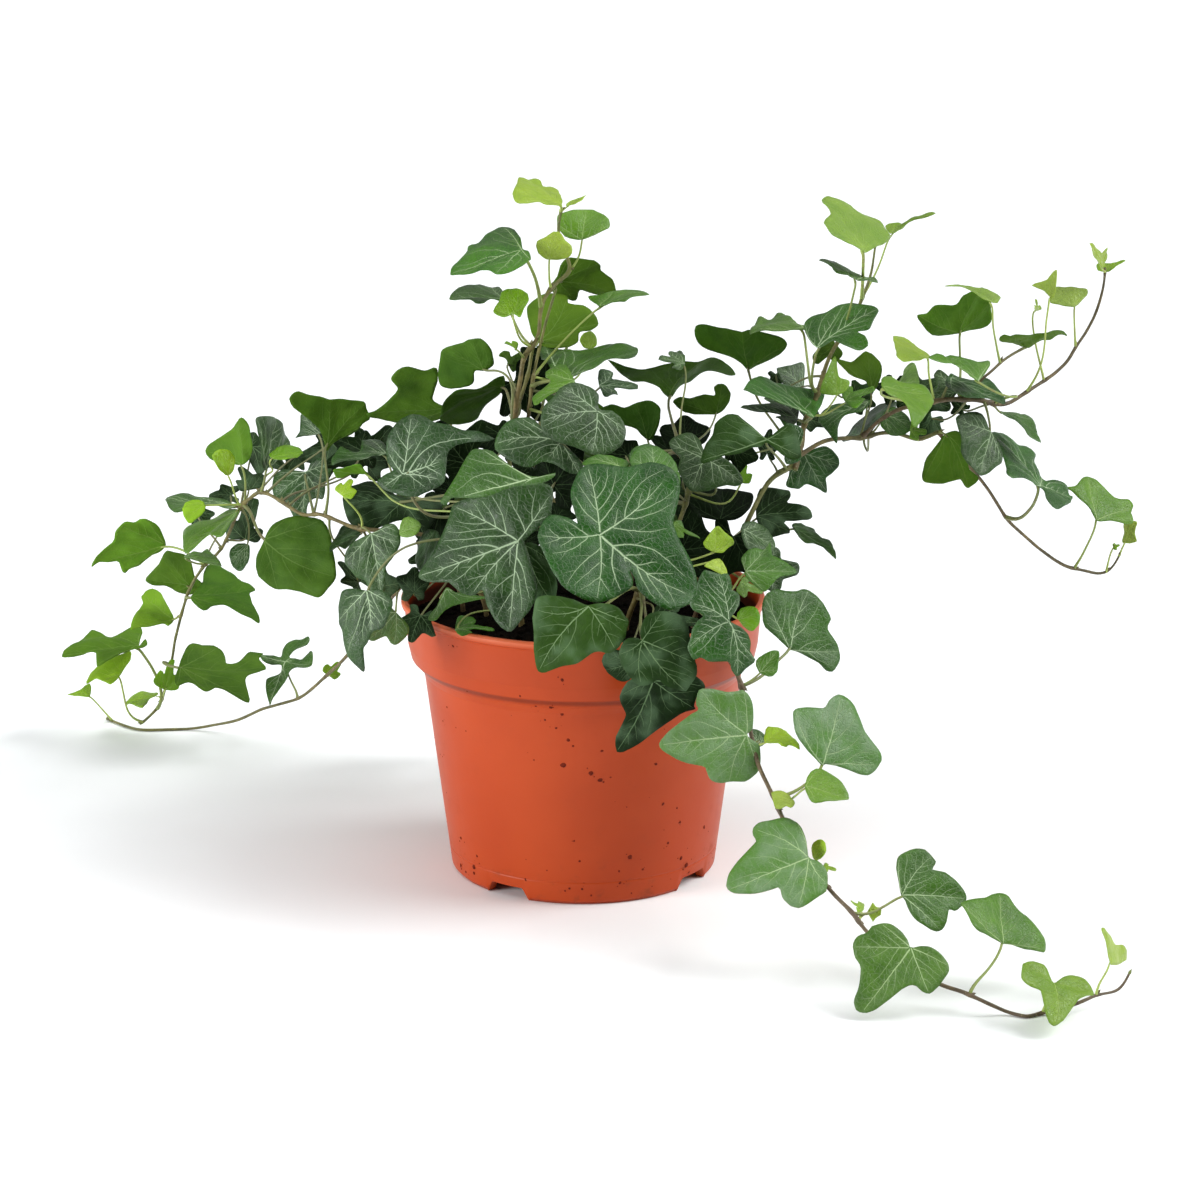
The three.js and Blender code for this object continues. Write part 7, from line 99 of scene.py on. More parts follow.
    ('F3', 'leaf_trailing_right_03', 'stem_front_trailing', 1, 1.2, 'T', (99.13,-135.67,20.29), (-0.158,-0.831,0.533), (-0.615,-0.339,-0.711), (14,10.4,14.7,9.3,15,7.6,14.6,6.3,13.2,4.5,13.3,1.9,11.9,-0.3,10.9,-1.3,9.5,-2.1,7.8,-2.4,5,-2.3,2.2,-1.4,0.5,-0.1,0,0,-1.8,-2.1,-3.7,-3.4,-5.2,-3.9,-7.9,-4,-9.9,-3.6,-11.7,-3,-12.8,-2.1,-13.6,-1,-13.9,4.2,-13.3,7.2,-13,7.8,-12,8.4,-10.7,8.7,-8.6,8.4,-7.6,8.7,-6.8,9.4,-5.7,11.8,-4.5,16.4,-2.8,21.5,-1.4,23.6,0.4,24.8,1.8,24.9,2.5,24.6,3.7,23.5,4.4,22.2,5,19.7,6,17.6,8.1,14.2,9.2,13.3,11.7,12.5), (0,24.3,14,10.4,-12.8,7.9,11.7,-0.5,-12.2,-2.3), (98.4,-136.1,19.4,99.1,-135.7,20.3,103.5,-132.7,10), 0.71),
    ('D2', 'leaf_right_04', 'stem_front_trailing', 1, 0.8, 'T', (66.21,-45.34,87), (0.449,-0.799,0.4), (0.297,0.556,0.777), (-14.2,13.4,-13,15.1,-11.4,16.5,-7.9,17.4,-5.7,18.3,-3.8,19.2,-2.4,20.6,-1.1,21.2,0.4,21.5,3.1,20.7,5.9,19,9.1,16.4,10,15.1,9.8,12.7,10,11.9,10.6,11.3,15,8.4,16.2,7.2,17,5.7,17.3,4.1,17.1,2.5,16.3,-0.3,15.6,-1.2,13.9,-1.6,12.8,-1.3,10.9,-0.1,10,0.1,2.9,0.6,0,0,-11.2,2.9,-12.7,4.4,-14.2,7.8,-14.6,9.6,-14.6,11.8), (0,21.7,-14.6,12.2,16.4,6.6,15.5,-0.9), (66.6,-44.7,87.9,66.2,-45.3,87,62.3,-49.4,84.8,56.8,-58,82,52.4,-62.7,81,50.1,-64.2,80.8), 0.71),
    ('BK13', 'leaf_back_12', 'stem_back_upright', 1, 0, 'T', (-0.51,55.13,121.42), (0.206,0.521,0.828), (0.3,0.772,-0.56), (0,0,-1.4,-0.7,-4.3,-4.3,-5.6,-5.4,-6.8,-5.5,-7.9,-5.1,-10.1,-3.7,-10.7,-2.8,-10.5,-1.8,-10.3,-1.3,-8.7,-0.1,-8,0.7,-8,2,-9.4,3.9,-15.5,10.6,-15.9,11.8,-15.8,12.5,-14.5,13.8,-13.2,14.2,-12.3,14.3,-7.5,13.4,-6.1,13.9,-5.1,15.5,-2.8,22.4,-1.4,23.8,0.7,24,2.1,23.4,2.8,22.4,4.9,15,5.9,13.1,7.3,12.6,11.9,13.4,12.8,13.3,13.9,12.9,14.7,12.1,15.1,11.6,15.2,10.9,14.8,9.8,9.2,3.5,7.9,1.6,7.9,0.4,10,-1.9,10.3,-2.8,10.2,-3.7,9.7,-4.2,7.4,-5.5,6.3,-5.8,5.2,-5.6,4,-4.4,1.4,-0.8), (0,24,14.3,12.5,-14.9,13.4,10.3,-3.4,-10.7,-2.8), (-0.2,56.1,120.7,-0.5,55.1,121.4,-1.1,54.6,119.9,-2.2,54,119.4,-3.7,53.2,119.5,-9.7,50.8,121.8,-11.7,49.9,122.3,-13.6,49.1,122.2), 0.71),
    ('T9', 'leaf_back_13', 'stem_centre', 1, 0.9, 'P', (-14.5,40.35,169.19), (-0.326,-0.484,0.812), (0.934,-0.031,0.356), (-17.9,-1.4,-18.9,-0.5,-19.7,0.6,-21.2,4,-21.3,5.7,-20.3,8.1,-18.3,11.3,-17.3,12.3,-16.5,12.6,-14.2,12.2,-13.4,12.5,-11.4,14.3,-9.8,16.7,-9.1,17.5,-6.6,19.1,-2.6,20.6,-0.4,20.6,0.5,20.4,2.1,19.1,3.1,17.5,3.1,16.6,2.5,14.7,2.8,13.9,3.9,13.5,7.3,13,8.3,12.4,8.5,11.1,8.2,9.5,6.4,4.8,4.9,2.3,2.4,0.3,-1.1,-1.2,-5.2,-2.1,-13.6,-2.2,-16.6,-1.9), (0,20.4,-16.7,12.6,8.8,12.3), (-14.2,40.9,169.6,-14.5,40.4,169.2,-14.7,37.2,169.6,-15.3,32.5,171.7,-15.2,27.3,171.3,-15.6,15.8,173.1,-16.6,2.9,175.5), 0.7),
    ('BK25', 'leaflet_back_02', 'stem_back_trailing', 0, 0.2, 'T', (29.18,100.56,72.4), (0.224,0.894,0.387), (-0.694,0.425,-0.581), (0,0,-1.3,-0.7,-4,-4.4,-5.2,-5.6,-6.3,-5.7,-7.4,-5.3,-9.5,-3.9,-10,-2.7,-9.6,-1.5,-8.3,1,-8.4,2.3,-9.4,4.2,-13.5,10.8,-13.8,11.9,-13.6,12.6,-12.5,13.8,-10.5,14.3,-7,14.4,-5.9,15,-4.9,16.4,-2.6,21.9,-1.2,23.2,0,23.5,1.2,23.2,2.6,21.9,5,15.8,5.9,14.2,7,13.5,10.6,13.1,12.5,12.5,13.5,11.3,13.5,10.7,13.3,9.6,9.9,3.7,9.2,1.9,9.1,0.5,10.6,-3.8,10.4,-4.5,9.9,-5,7.5,-6.4,6.4,-6.7,5.2,-6.5,4,-5.1,1.3,-0.9), (0,23.5,12.8,12.2,-12.9,13.4,10.5,-4.2,-10,-3), (28.3,101.1,71.7,28.8,97.4,72.5,29,94.3,72.5,28.8,91.5,72,28.2,88.9,71.1,26.3,83.6,68.8,23.2,77.1,66.8), 0.7),
    ('C5', 'leaf_front_03', 'stem_front', 1, 0.2, 'T', (4.65,-35.55,162.87), (0.1,-0.796,0.597), (-0.105,-0.605,-0.789), (17.4,4,17.2,2.1,16.5,0.4,14.3,-2.4,12.5,-6.2,11.1,-7.5,9.5,-8.4,7.7,-8.9,5.8,-8.9,3.2,-8.1,1.7,-7.2,0.4,-6,-0.1,-5.3,-0.2,-1.6,-0.6,-0.8,-1.4,-0.5,-4.7,-0.7,-7.5,1.1,-8.8,2.8,-9.7,4.8,-9.9,5.8,-9.8,8.2,-9.1,10.5,-8.5,11.4,-6.2,13.7,-4.4,14.3,-2.5,14.6,1.3,14.4,5.6,13,10.4,12.7,12.7,12,14.7,10.9,16.1,9.7,17,8.1,17.4,6.1), (0,14.9,17.2,6.4,-9.9,5.8,11.6,-7), (4.6,-35.8,162.6,4.7,-35.6,162.9,5.9,-33.7,156.3,6.6,-30.4,149.6,7.3,-25.9,143.5,9.6,-20.3,139.7,14,-13.9,138.5,19.7,-7.5,138.9,25.7,-2,139.9,31.8,2,141.2), 0.69),
    ('BK18', 'leaf_back_14', 'stem_back_upright', 1, 0, 'T', (-3.94,62.16,126.99), (0.324,0.54,0.777), (0.504,0.596,-0.625), (0,0,-1.6,-0.7,-4.7,-4.5,-6.1,-5.7,-7.4,-5.8,-8.7,-5.4,-11.1,-4,-11.7,-3.4,-11.8,-2.5,-11.4,-1.5,-9.2,0.7,-9.1,1.8,-9.8,3.2,-13.6,7.8,-13.9,8.7,-13.8,9.3,-13.2,10,-11.9,10.8,-11,10.9,-6.8,10.3,-5.6,11,-4.7,13.1,-2.9,21.3,-2.2,22.4,-1.5,22.9,-0.7,22.9,1.5,22.8,2.2,22.3,2.9,21.3,4.4,14.1,5.2,12.4,6.3,12,10.2,13.5,11,13.5,12.7,12.9,13.4,12.1,13.6,11.5,13.5,10.5,10.5,4.5,10,2.6,10.3,1.2,13.1,-2.5,13.3,-3.2,12.9,-4.2,9.7,-6.1,8.3,-6.6,6.8,-6.4,5.2,-5.1,1.7,-0.9), (0,22.9,12.7,12.9,-13.2,10,13.2,-3.6,-11.8,-3.1), (-3.3,62.9,126.2,-3.9,62.2,127,-4.5,61.5,125.5,-5.5,60.6,125.2,-6.8,59.5,125.7,-11.7,55.5,129.2,-13.3,54.1,130.1,-14.8,52.9,130.4), 0.69),
    ('LC5', 'leaf_left_04', 'stem_centre', 1, 0.4, 'U', (-44.06,36.68,147.39), (0.074,0.825,0.56), (-0.831,-0.26,0.492), (0.2,23.9,-1,24.3,-3.9,24.3,-6.1,23.7,-6.9,23.3,-8.1,21.9,-9.5,16.9,-10.4,16.1,-12.5,14.9,-12.8,14.3,-12.4,13.4,-11.3,12.6,-8.7,10.9,0.7,7.4,1.5,6.6,1.6,5.5,1,2.7,1.3,1.6,2.4,0.9,5.9,0,7.6,0.1,8.9,0.5,11.5,2.3,13.8,4.5,16.6,8.4,18.1,13.5,20.2,17.8,20.4,20.3,20.2,21.4,19.7,22,18.9,21.7,16.4,19.9,13.8,18.9,11.1,18.6,6.1,18.7,2.9,19.5,2,20.5,1,23), (0,23.6,-7.2,22.2,18.5,20.4,19.1,14.8), (-47.4,37.7,146.4,-44.7,32.5,142.4,-42.5,27.6,140.2,-40.3,23,139.5,-38.1,18.5,140,-35.4,14,141.5,-32.1,9.6,143.7,-27.9,5,146.2,-22.6,0.2,148.8), 0.69),
    ('LC7', 'leaf_middle_06', 'stem_centre', 1, 0.2, 'U', (-25.57,11.19,160.92), (-0.339,0.605,0.721), (-0.924,-0.069,-0.377), (-4.8,-1,-2.7,-0.9,0.2,0.2,5.4,3,6.6,3.9,8,6.4,11.2,9.3,12.6,10.3,18.2,12.9,19.2,13.9,19.4,15.3,18.9,16.8,16.8,19.9,13.3,22.7,11.1,23.8,8.8,24.5,6.3,24.6,3.6,24.2,-1.4,22.8,-3.1,21.8,-4.5,20.6,-8.3,15.7,-8.7,14.5,-8.7,13.3,-8.1,12,-5.8,9.4,-5,7.8,-4.9,5.5,-5.4,0.3), (0,23.1,-9.3,15.6,19.8,13.3), (-26.8,10.6,160.8,-25.6,11.2,160.9,-25.1,10.3,159.7,-23.1,4,153.8,-22.5,2,151.3), 0.69),
    ('BK27', 'leaf_back_15', 'stem_back_trailing', 1, 0.5, 'D', (18.83,76.65,96.92), (-0.252,0.967,0.023), (0.4,0.126,-0.908), (0,0,-1.2,-0.7,-3.3,-4.5,-4.3,-5.7,-5.4,-6,-8.7,-4.8,-9.2,-4.4,-9.4,-3.6,-9.2,-2.7,-7.5,-0.5,-7.7,0.6,-9,2.1,-14.6,7.1,-15.1,8,-15.1,8.7,-14.1,9.9,-13.1,10.4,-12.3,10.7,-7.6,10.8,-6.2,11.6,-5.1,13.5,-2.7,20.8,-2,21.7,-0.7,22.3,1.3,22.2,2,21.7,2.7,20.8,4.6,13.5,5.4,11.7,6.7,11.1,10.8,11.8,11.6,11.7,13,10.9,13.6,10.1,13.7,9.5,13.5,8.6,9.9,3.2,9.2,1.5,9.3,0.1,11.4,-3.5,11.5,-4.2,11.1,-5.2,8.1,-6.7,6.8,-7,5.5,-6.7,4.2,-5.3,1.3,-1), (0,22.3,13,10.9,-14.4,9.5,11.4,-4.6,-9.3,-4.2), (19.3,76.8,95.8,18.8,76.7,96.9,19.3,75.1,95.6,20.8,71.1,93.9,21.5,69,92.5), 0.68),
    ('R9b', 'leaf_middle_07', 'stem_right', 1, 0.1, 'T', (70.42,5.53,150.79), (0.306,-0.044,0.951), (-0.94,-0.173,0.294), (0,0,-5.3,1.7,-9.8,3.7,-13.1,5.7,-14.7,7.1,-14,7.9,-5.9,8.8,-5.2,9,-5.2,9.2,-3.8,8.3,-2.4,6.3,-2.1,6.9,-2.7,19,-2.3,20.1,-1.6,20.3,0.6,19.5,1.9,18.6,3.7,15.6,6,10.5,7.3,8.8,8.7,8.1,13.2,8.6,17,8.2,18.7,7.7,20.3,6,27,0.4,29.9,-2.7,29.6,-4.5,24.5,-4.5,16.2,-3.3,7.2,-1.7), (0,19.7,18.1,7.9,-5.2,9.2), (69.2,5.9,151.2,70.4,5.5,150.8,72.8,8.2,149), 0.68),
    ('G16', 'leaflet_right_02', 'stem_right', 0, 0.4, 'T', (121.49,19.55,161.44), (0.31,-0.079,0.947), (0.873,-0.371,-0.317), (-4.2,-1.7,-5.3,-1.4,-4.7,0.7,-4.6,1.8,-5.6,4.2,-6.5,5.5,-7.6,6.4,-9.4,6.9,-14,7.2,-15.1,7.7,-14.9,8.7,-12.3,11.4,-7.5,15.4,-1.8,19.5,-0.7,20,0.7,20,2.3,19.2,8.4,15.1,16.6,12.1,18.4,11.1,19.1,10.1,19.1,9.3,18.5,8.3,15.4,4.3,13.6,2.8,11.2,1.5,7.6,0.3,3.2,-0.7), (0,19.4,-15.1,7.7,19.6,8.9), (121.8,19.4,161.3,121.5,19.5,161.4,120.6,18.9,159.8,118.3,16.4,154.8), 0.67),
    ('C8', 'leaflet_front_03', 'stem_front', 0, 0.3, 'D', (18.37,-101.07,106.53), (0.116,-0.97,0.213), (0.648,-0.089,-0.757), (0,-0.2,0.6,-1.8,2.7,-3.4,4.3,-3.7,5.9,-3.1,7.7,-1.9,9,-0.2,9.8,1.9,10.2,5.1,10,9.1,9.6,10,8.5,11,7,11.7,3.7,12.2,3.9,14.2,3.3,15.9,0.9,19.9,0,20.8,-0.4,20.9,-2.1,20.2,-5.1,19.5,-6.2,18.7,-7.6,17.1,-10.1,11.5,-13.7,5.7,-14.1,3.6,-14.1,2.6,-13.3,0.6,-11.7,-1.5,-9.2,-3.7,-7,-4.8,-5.1,-4.8,-2.9,-3.8,-0.9,-2.1), (0,20.7,9.2,10.2,-10.5,-2.5,-7.8,16.3,8,-1.3), (19.3,-101,106.3,18.4,-90.4,104.5,18.1,-79.7,103.2,18.4,-58.8,101.7,19,-39.2,100.9,19,-30.2,100.5,18.4,-21.9,100.1), 0.67),
    ('C9', 'leaf_front_04', 'stem_front', 1, 0, 'D', (22.19,-69.71,84.26), (0.079,-0.994,0.079), (-0.436,-0.106,-0.894), (0,25.7,1.6,23.7,2.6,21.3,2.7,13.8,3.3,12.9,6.4,10.5,7.3,9.1,7.6,6.7,7.2,3.6,5.9,1.6,4.5,0.3,1.1,-1.7,-5.3,-4.3,-9.7,-6.8,-11.7,-7.1,-14.1,-6.5,-15.5,-5.6,-15.8,-5.1,-15.7,-4.5,-14.6,-2.5,-14.5,-1.4,-15.1,1.7,-16.1,2.4,-16.2,2.6,-13.7,4.5,-12.4,5.9,-7.3,15,-5.1,19.9,-4,21.7,-1.9,24.8,-0.8,25.6), (0,25.6,7.2,8.8,-16,2.5,-15.3,-5.3), (22,-69.8,83.9,21.9,-67.3,88.4,21.5,-63.7,92.2,21,-59,95.4,20.4,-53.4,98.1,19.9,-46.8,100.2,19.6,-39.4,101.8,19.6,-31.1,102.8,20,-22.2,103.4), 0.67),
    ('R5', 'leaf_back_16', 'stem_right', 1, 1.4, 'T', (73.06,32.03,175.68), (-0.108,-0.032,0.994), (-0.955,0.279,-0.095), (-1.4,17.9,1.1,18.8,4.4,19.1,16.5,19.4,17.4,19,17.4,18.3,15.6,16,15.5,15.1,16.8,14.5,21,13.8,22,13.1,21.5,12.2,20,11,15.8,8.2,6.1,2.5,4.1,1,4,-0.1,6.6,-1.6,7.6,-2.4,8.1,-4.6,7.8,-5.8,6.9,-6.6,5,-7.2,-0.4,-7.9,-2.4,-7.7,-3.5,-7.1,-4.1,-6.1,-4.4,-3.4,-4.3,-1.8,-3.4,3.6,-4,7.1,-3.8,10.8,-3.5,13.5,-2.8,16), (0,18.2,21.9,12.8,5.6,-6.6), (72.7,32.1,175.6,73.1,32,175.7,73.8,27.4,170.3,74.8,15.6,160.3,75.6,13.3,158.7,77.1,11.9,158), 0.67),
    ('D1', 'leaflet_front_04', 'stem_front', 0, 0.5, 'T', (44.81,-98.32,111.77), (0.245,-0.93,0.274), (0.167,-0.238,-0.957), (4.6,-16.7,-0.4,-14.4,-2.2,-14.6,-2.7,-13.5,-2.9,-12.1,-2.5,-9.2,-2.8,-8.9,-4.1,-8.5,-4.8,-7.1,-4.8,-6,-4.1,-4.2,-0.3,-0.6,-0.1,0,-3.6,2.6,-5.2,4.9,-5.8,7.3,-5.2,10.1,-6.6,13.1,-6,13.8,-2.9,15.2,-1.5,16.4,-0.3,17.1,0.3,16.9,1.3,15.4,1.7,14.2,1.7,12.3,2.6,11.9,8.1,11.1,8.7,10.9,10.7,9.1,12.7,9.8,13.4,9,14,6.5,14,5.3,12.8,3.3,11.8,0.1,9.7,-2,7.6,-2.9,8.2,-3.8,9.9,-4.7,10.6,-5.5,11.1,-7.2,11,-8,8.6,-10,7.9,-12.6,7.2,-13.8,5.6,-16.1), (0,17,13.9,5.8,-6.5,13.1,0.5,-14.8,10.8,-7.6,-4.6,-6.3), (44.4,-98.8,110.6,41.2,-90.7,109.2,37.7,-81.7,108.9,34.3,-71.9,109.2,31.1,-61.6,110,28.4,-51.1,110.9,26.3,-40.5,111.6,25.1,-30,111.9,25,-20,111.6), 0.67),
    ('G17', 'leaf_right_05', 'stem_right', 1, 1.9, 'T', (95.13,-32.27,169.89), (0.543,-0.127,0.83), (0.478,-0.766,-0.43), (-1.7,-3.8,-3.4,-5.3,-5.5,-6.6,-9.3,-8.2,-10.3,-8.2,-11.6,-7.1,-12.5,-6.7,-19.3,-6.9,-23.7,-7.4,-24.6,-7.2,-25,-6.4,-24.8,-4.1,-23.9,-1.3,-22.1,1.8,-20.7,3.5,-16.5,7.4,-5,16.8,-2,19.1,0,20.3,0.7,19.8,0.5,18.3,-2.3,7.8,-2.4,6.2,-1.6,5.3,1,4.6,1.7,3.8,1.4,2.2,0.7,0.1,-0.4,-2), (0,20.3,-23.8,-1.4,-1.7,6.4), (95.7,-32.2,169.5,94.9,-26.4,167.1,95.4,-20.6,164.9,96.9,-14.7,162.9,99.3,-8.8,161,102.3,-3,159.3,112.6,14,153.9), 0.67),
    ('F4', 'leaf_trailing_right_04', 'stem_front_trailing', 1, 1.4, 'T', (127.88,-125.83,17.81), (0.555,-0.477,0.681), (0.021,0.827,0.562), (-14.8,9.8,-12.8,11.2,-6.1,14.6,-3.2,17.3,-0.8,19,0,19.4,1.4,19.4,2.7,19,4.5,16.7,6.7,15,8.3,14.4,9.9,14.2,11.3,13.4,16.2,8.3,16.9,6.9,17.1,4.8,16.5,3.7,15,3.1,8.6,1.6,3.5,1.1,0,0,-9.5,0.4,-10.7,0.8,-11.5,1.5,-12.1,2.4,-13.8,7.7,-15,9.3), (0,19.4,-14.8,9.8,16.6,4.5), (127.9,-124.8,18.5,127.9,-125.8,17.8,125.6,-128.7,14.1,122.4,-132.2,11.3,118.7,-135.5,8.9,117.4,-136.9,7.6,116.8,-138.1,6.2), 0.66),
    ('R6', 'leaf_right_06', 'stem_right', 1, 0.9, 'T', (76.21,4.54,174.71), (-0.434,-0.484,0.76), (0.819,0.138,0.556), (-12.8,1.3,-13.5,2,-13.8,3,-13.8,5,-12.1,9.4,-12.3,13.9,-11.9,15.3,-10.9,16.7,-9.4,18,-3.1,22.6,-1.7,23.4,-0.3,23.7,1,23.3,2.3,22.3,7,17.4,7.2,16.6,6.8,15.7,4.9,13.4,8.8,14.6,11.3,14.3,13.3,13.5,13.5,12.7,13.1,10.8,12.5,9.9,11.5,9.2,7.6,7.3,2.7,5.8,1.6,4.3,0.6,0.5,0,0,-3,-0.4,-6.7,-0.2,-10.1,0.3), (0,24,-11,16.1,14,13.5,-13,1.8), (77,5.2,175.6,76.2,4.5,174.7,75.1,7,167.7,74.8,8.8,163,74.9,9.7,160.7,75.7,10.8,159.1,77.1,11.9,158), 0.66),
    ('BK28', 'leaf_trailing_right_05', 'stem_back_trailing', 1, 0.8, 'T', (30.33,111.03,43.27), (0.209,0.972,0.11), (-0.203,0.153,-0.967), (0,0,-1.6,-0.8,-5,-4.5,-6.5,-5.6,-7.8,-5.7,-9.1,-5.2,-11.5,-3.6,-12.1,-2.7,-11.9,-1.6,-9.2,1.1,-9,2.2,-9.9,3.7,-13.9,8.9,-14.2,9.9,-14.1,10.5,-13.4,11.3,-11.9,12,-11.1,12.1,-6.8,11.4,-5.5,11.8,-4.6,13.3,-2.6,19.4,-1.3,20.7,0.7,20.9,2,20.3,2.6,19.4,3.9,12.7,4.6,11.1,5.6,10.7,9.1,12.1,9.9,12.1,11.3,11.5,12,10.9,12.2,10.3,12,9.4,8.9,3.6,8.3,1.9,8.4,0.5,10.6,-2.9,10.7,-3.5,10.3,-4.4,7.6,-5.8,6.4,-6.1,5.2,-5.8,4,-4.6,1.4,-0.8), (0,20.9,11.3,11.5,-13.4,11.3,10.6,-3.8,-12.1,-2.7), (30.1,111.2,42.1,28.8,108.7,41.5,27.6,104.7,39.7,26.5,98.5,36.9,25.6,89.4,33), 0.66),
    ('LL1', 'leaf_left_05', 'stem_left_upper', 1, 1.5, 'P', (-149.37,102.43,82.17), (-0.144,0.838,0.526), (-0.963,0.004,-0.27), (-0.2,-0.1,-2.1,-0.5,-9.1,-0.8,-12.3,-0.2,-14.8,1,-16,2,-16.2,2.5,-16.1,4.2,-15.1,6.1,-15,6.7,-16.4,8.8,-16.8,10.2,-16,12.2,-15,13.4,-13.6,14.5,-10.1,15.9,-8.2,17.5,-7.1,19.1,-4.1,24.7,-1.6,27.2,0,28.1,-0.8,25,1.4,19.2,1.8,18.6,2.4,18.4,6,18.5,7.1,18.1,7.1,17.6,6,15.5,5.8,12,2.8,6,2.9,3.9,2.7,3.1,1.5,1.4), (0,27.8,-16.7,12.3,7,18,-15.8,2), (-150.7,102.1,82.3,-149.4,102.4,82.2,-143.6,100.6,81.3,-138.3,97.9,78.8,-134.8,96.4,76.8), 0.66),
    ('LL2', 'leaflet_left_02', 'stem_left_upper', 0, 1, 'T', (-124.03,102.98,96.18), (0,-0.05,0.999), (-0.894,0.447,0.022), (0,29.9,2,30.5,3.4,30,5.9,26.5,6.7,23.3,7,18,6.5,14.1,4.7,7.8,1.6,1.5,0.4,-0.3,-0.7,-1.3,-1.6,-1.2,-3.2,1,-4.1,3.5,-4.5,6.3,-5.2,7.6,-6.5,8.8,-10,10.9,-13.9,14.1,-14.5,15.3,-13.9,17.1,-11.4,20.1,-7.5,23.9,-3.3,27.6), (0,29.9,8.2,24.5,-12.4,11.4), (-124.7,102.6,96.2,-124,103,96.2,-118.8,67.4,105.2), 0.66),
    ('BK15', 'leaflet_back_03', 'stem_back_upright', 0, 0, 'T', (-26.7,54.79,132.45), (-0.619,0.317,0.719), (-0.571,0.448,-0.688), (0,0,-1.7,-0.8,-4.9,-4.5,-6.3,-5.6,-7.6,-5.7,-8.8,-5.3,-11.3,-3.7,-11.9,-2.8,-11.7,-1.8,-9.7,1.5,-9.4,2.6,-9.6,4.1,-11.3,8.8,-11.3,10.1,-10.3,11,-9.3,11.3,-8.6,11.3,-5.5,10.6,-4.6,11.1,-3.9,12.6,-2.5,18.6,-1.9,19.4,-0.6,19.9,1.2,19.8,2.5,18.6,5.1,12.8,6.2,11.3,7.5,10.6,11.6,10,13,9.5,13.7,9,14.1,8.1,13.9,6.7,10.5,3.1,9.8,2,9.9,1.1,11.8,-0.7,12.3,-2.3,11.7,-3.2,9.3,-4.9,8.1,-5.5,6.8,-5.4,5.2,-4.3,1.7,-0.8), (0,19.9,13.7,9,-10.7,10.8,12.3,-2.3,-11.9,-2.8), (-27.4,55.3,131.6,-26.7,54.8,132.4,-26,54.6,131.3,-24.9,54.4,130.9,-23.5,54.3,131,-18.4,54.2,132.9,-15,54,133.2), 0.65),
    ('R4', 'leaflet_back_04', 'stem_right', 0, 0.4, 'U', (55.67,50.38,157.78), (0.179,0.864,0.471), (-0.147,-0.449,0.881), (16.9,13.6,16.7,15.9,15.9,17.9,14.3,19.2,12.3,19.7,11.2,19.5,7.4,17.9,2.8,16.4,0.4,16.3,-2.1,17,-6,15.7,-9.9,14.8,-11.9,14,-13.3,12.9,-14.2,11.7,-14.6,10.4,-14.5,9.7,-13.5,7.7,-11.7,5.7,-9,4.1,-2.5,0.9,-0.5,-0.4,0.1,-0.4,0.5,-0.1,1.8,2.2,4.4,4.2,12.2,7.5,15.3,9.4,16.4,10.9), (0,16.6,16.4,14.4,-14.6,10.1), (56.1,49.7,158.9,55.7,50.4,157.8,56.6,45.5,154.3,57.9,39.1,151.3,59.8,31.8,148.8,66.8,9.1,143,68.3,2.8,140.4,69.3,-2,137.1), 0.65),
    ('BK24', 'leaflet_back_05', 'stem_back_trailing', 0, 0.8, 'D', (25.93,99.48,92.03), (0.124,0.901,0.415), (0.414,0.333,-0.847), (0,0,-1.3,-0.7,-3.9,-4.2,-5,-5.4,-6.1,-5.6,-9.3,-4,-9.8,-3.6,-10,-2.7,-9.6,-1.8,-7.8,0.4,-7.7,1.6,-8.6,3.1,-12.4,8.2,-12.7,9.1,-12.6,9.7,-12,10.4,-10.7,11.1,-9.9,11.2,-6.1,10.5,-5,11,-4.2,12.5,-2.4,18.5,-1.8,19.4,-0.6,19.9,1.2,19.7,2.4,18.5,3.9,12.9,4.6,11.6,5.7,11.3,9.2,12.5,9.9,12.5,11.3,11.9,12,11.2,12.1,10.6,12,9.6,9.4,3.9,8.9,2.1,9.1,0.7,11.4,-3.1,11.5,-3.8,11.1,-4.7,8.2,-6.3,6.9,-6.7,5.7,-6.4,4.3,-5.1,1.4,-1), (0,19.9,11.3,11.9,-12,10.4,11.4,-4.1,-9.9,-3.3), (26.4,99.9,91,29.1,95.5,89.9,31.5,90.3,89.6,33.2,84.7,89.7,33.9,79.3,90,33.5,74.7,90.2,31.6,71.4,90.1,27.8,70,89.5,22,71,88), 0.64),
    ('F2', 'leaflet_trailing_right_01', 'stem_front_trailing', 0, 1, 'T', (98.21,-110.31,27.89), (0.149,-0.8,0.581), (0.989,0.119,-0.091), (-8.5,-1.7,-11.3,-1.3,-12.1,-1,-13.1,0.2,-14.5,3,-14.9,4.5,-15,6.1,-14.7,7.6,-13.2,9.6,-11.2,10.9,-10.7,11,-8.9,9.7,-8.4,9.7,-7.7,13.7,-5.6,16.8,-3.5,19,-2.1,20.1,-0.7,20.7,0.7,20.5,2.6,18.8,4.1,17.1,4.3,16.5,3.7,15,3.8,14.7,8.1,13.7,9.6,13,10.6,12.2,11.2,10.7,10.8,8.7,8.5,4.8,7,3.2,5.5,2.2,3.9,1.5,1.5,0.9,0.3,-0.3), (0,20.8,-13.2,9.8,10.9,11.9,-11.8,-0.7), (99,-109.9,28.3,94.5,-112.1,26,90.6,-114.6,24.6,88.7,-115.3,23.9,86.6,-116.3,23.6,84.6,-116.9,23.9,82.7,-117.2,24.6), 0.64),
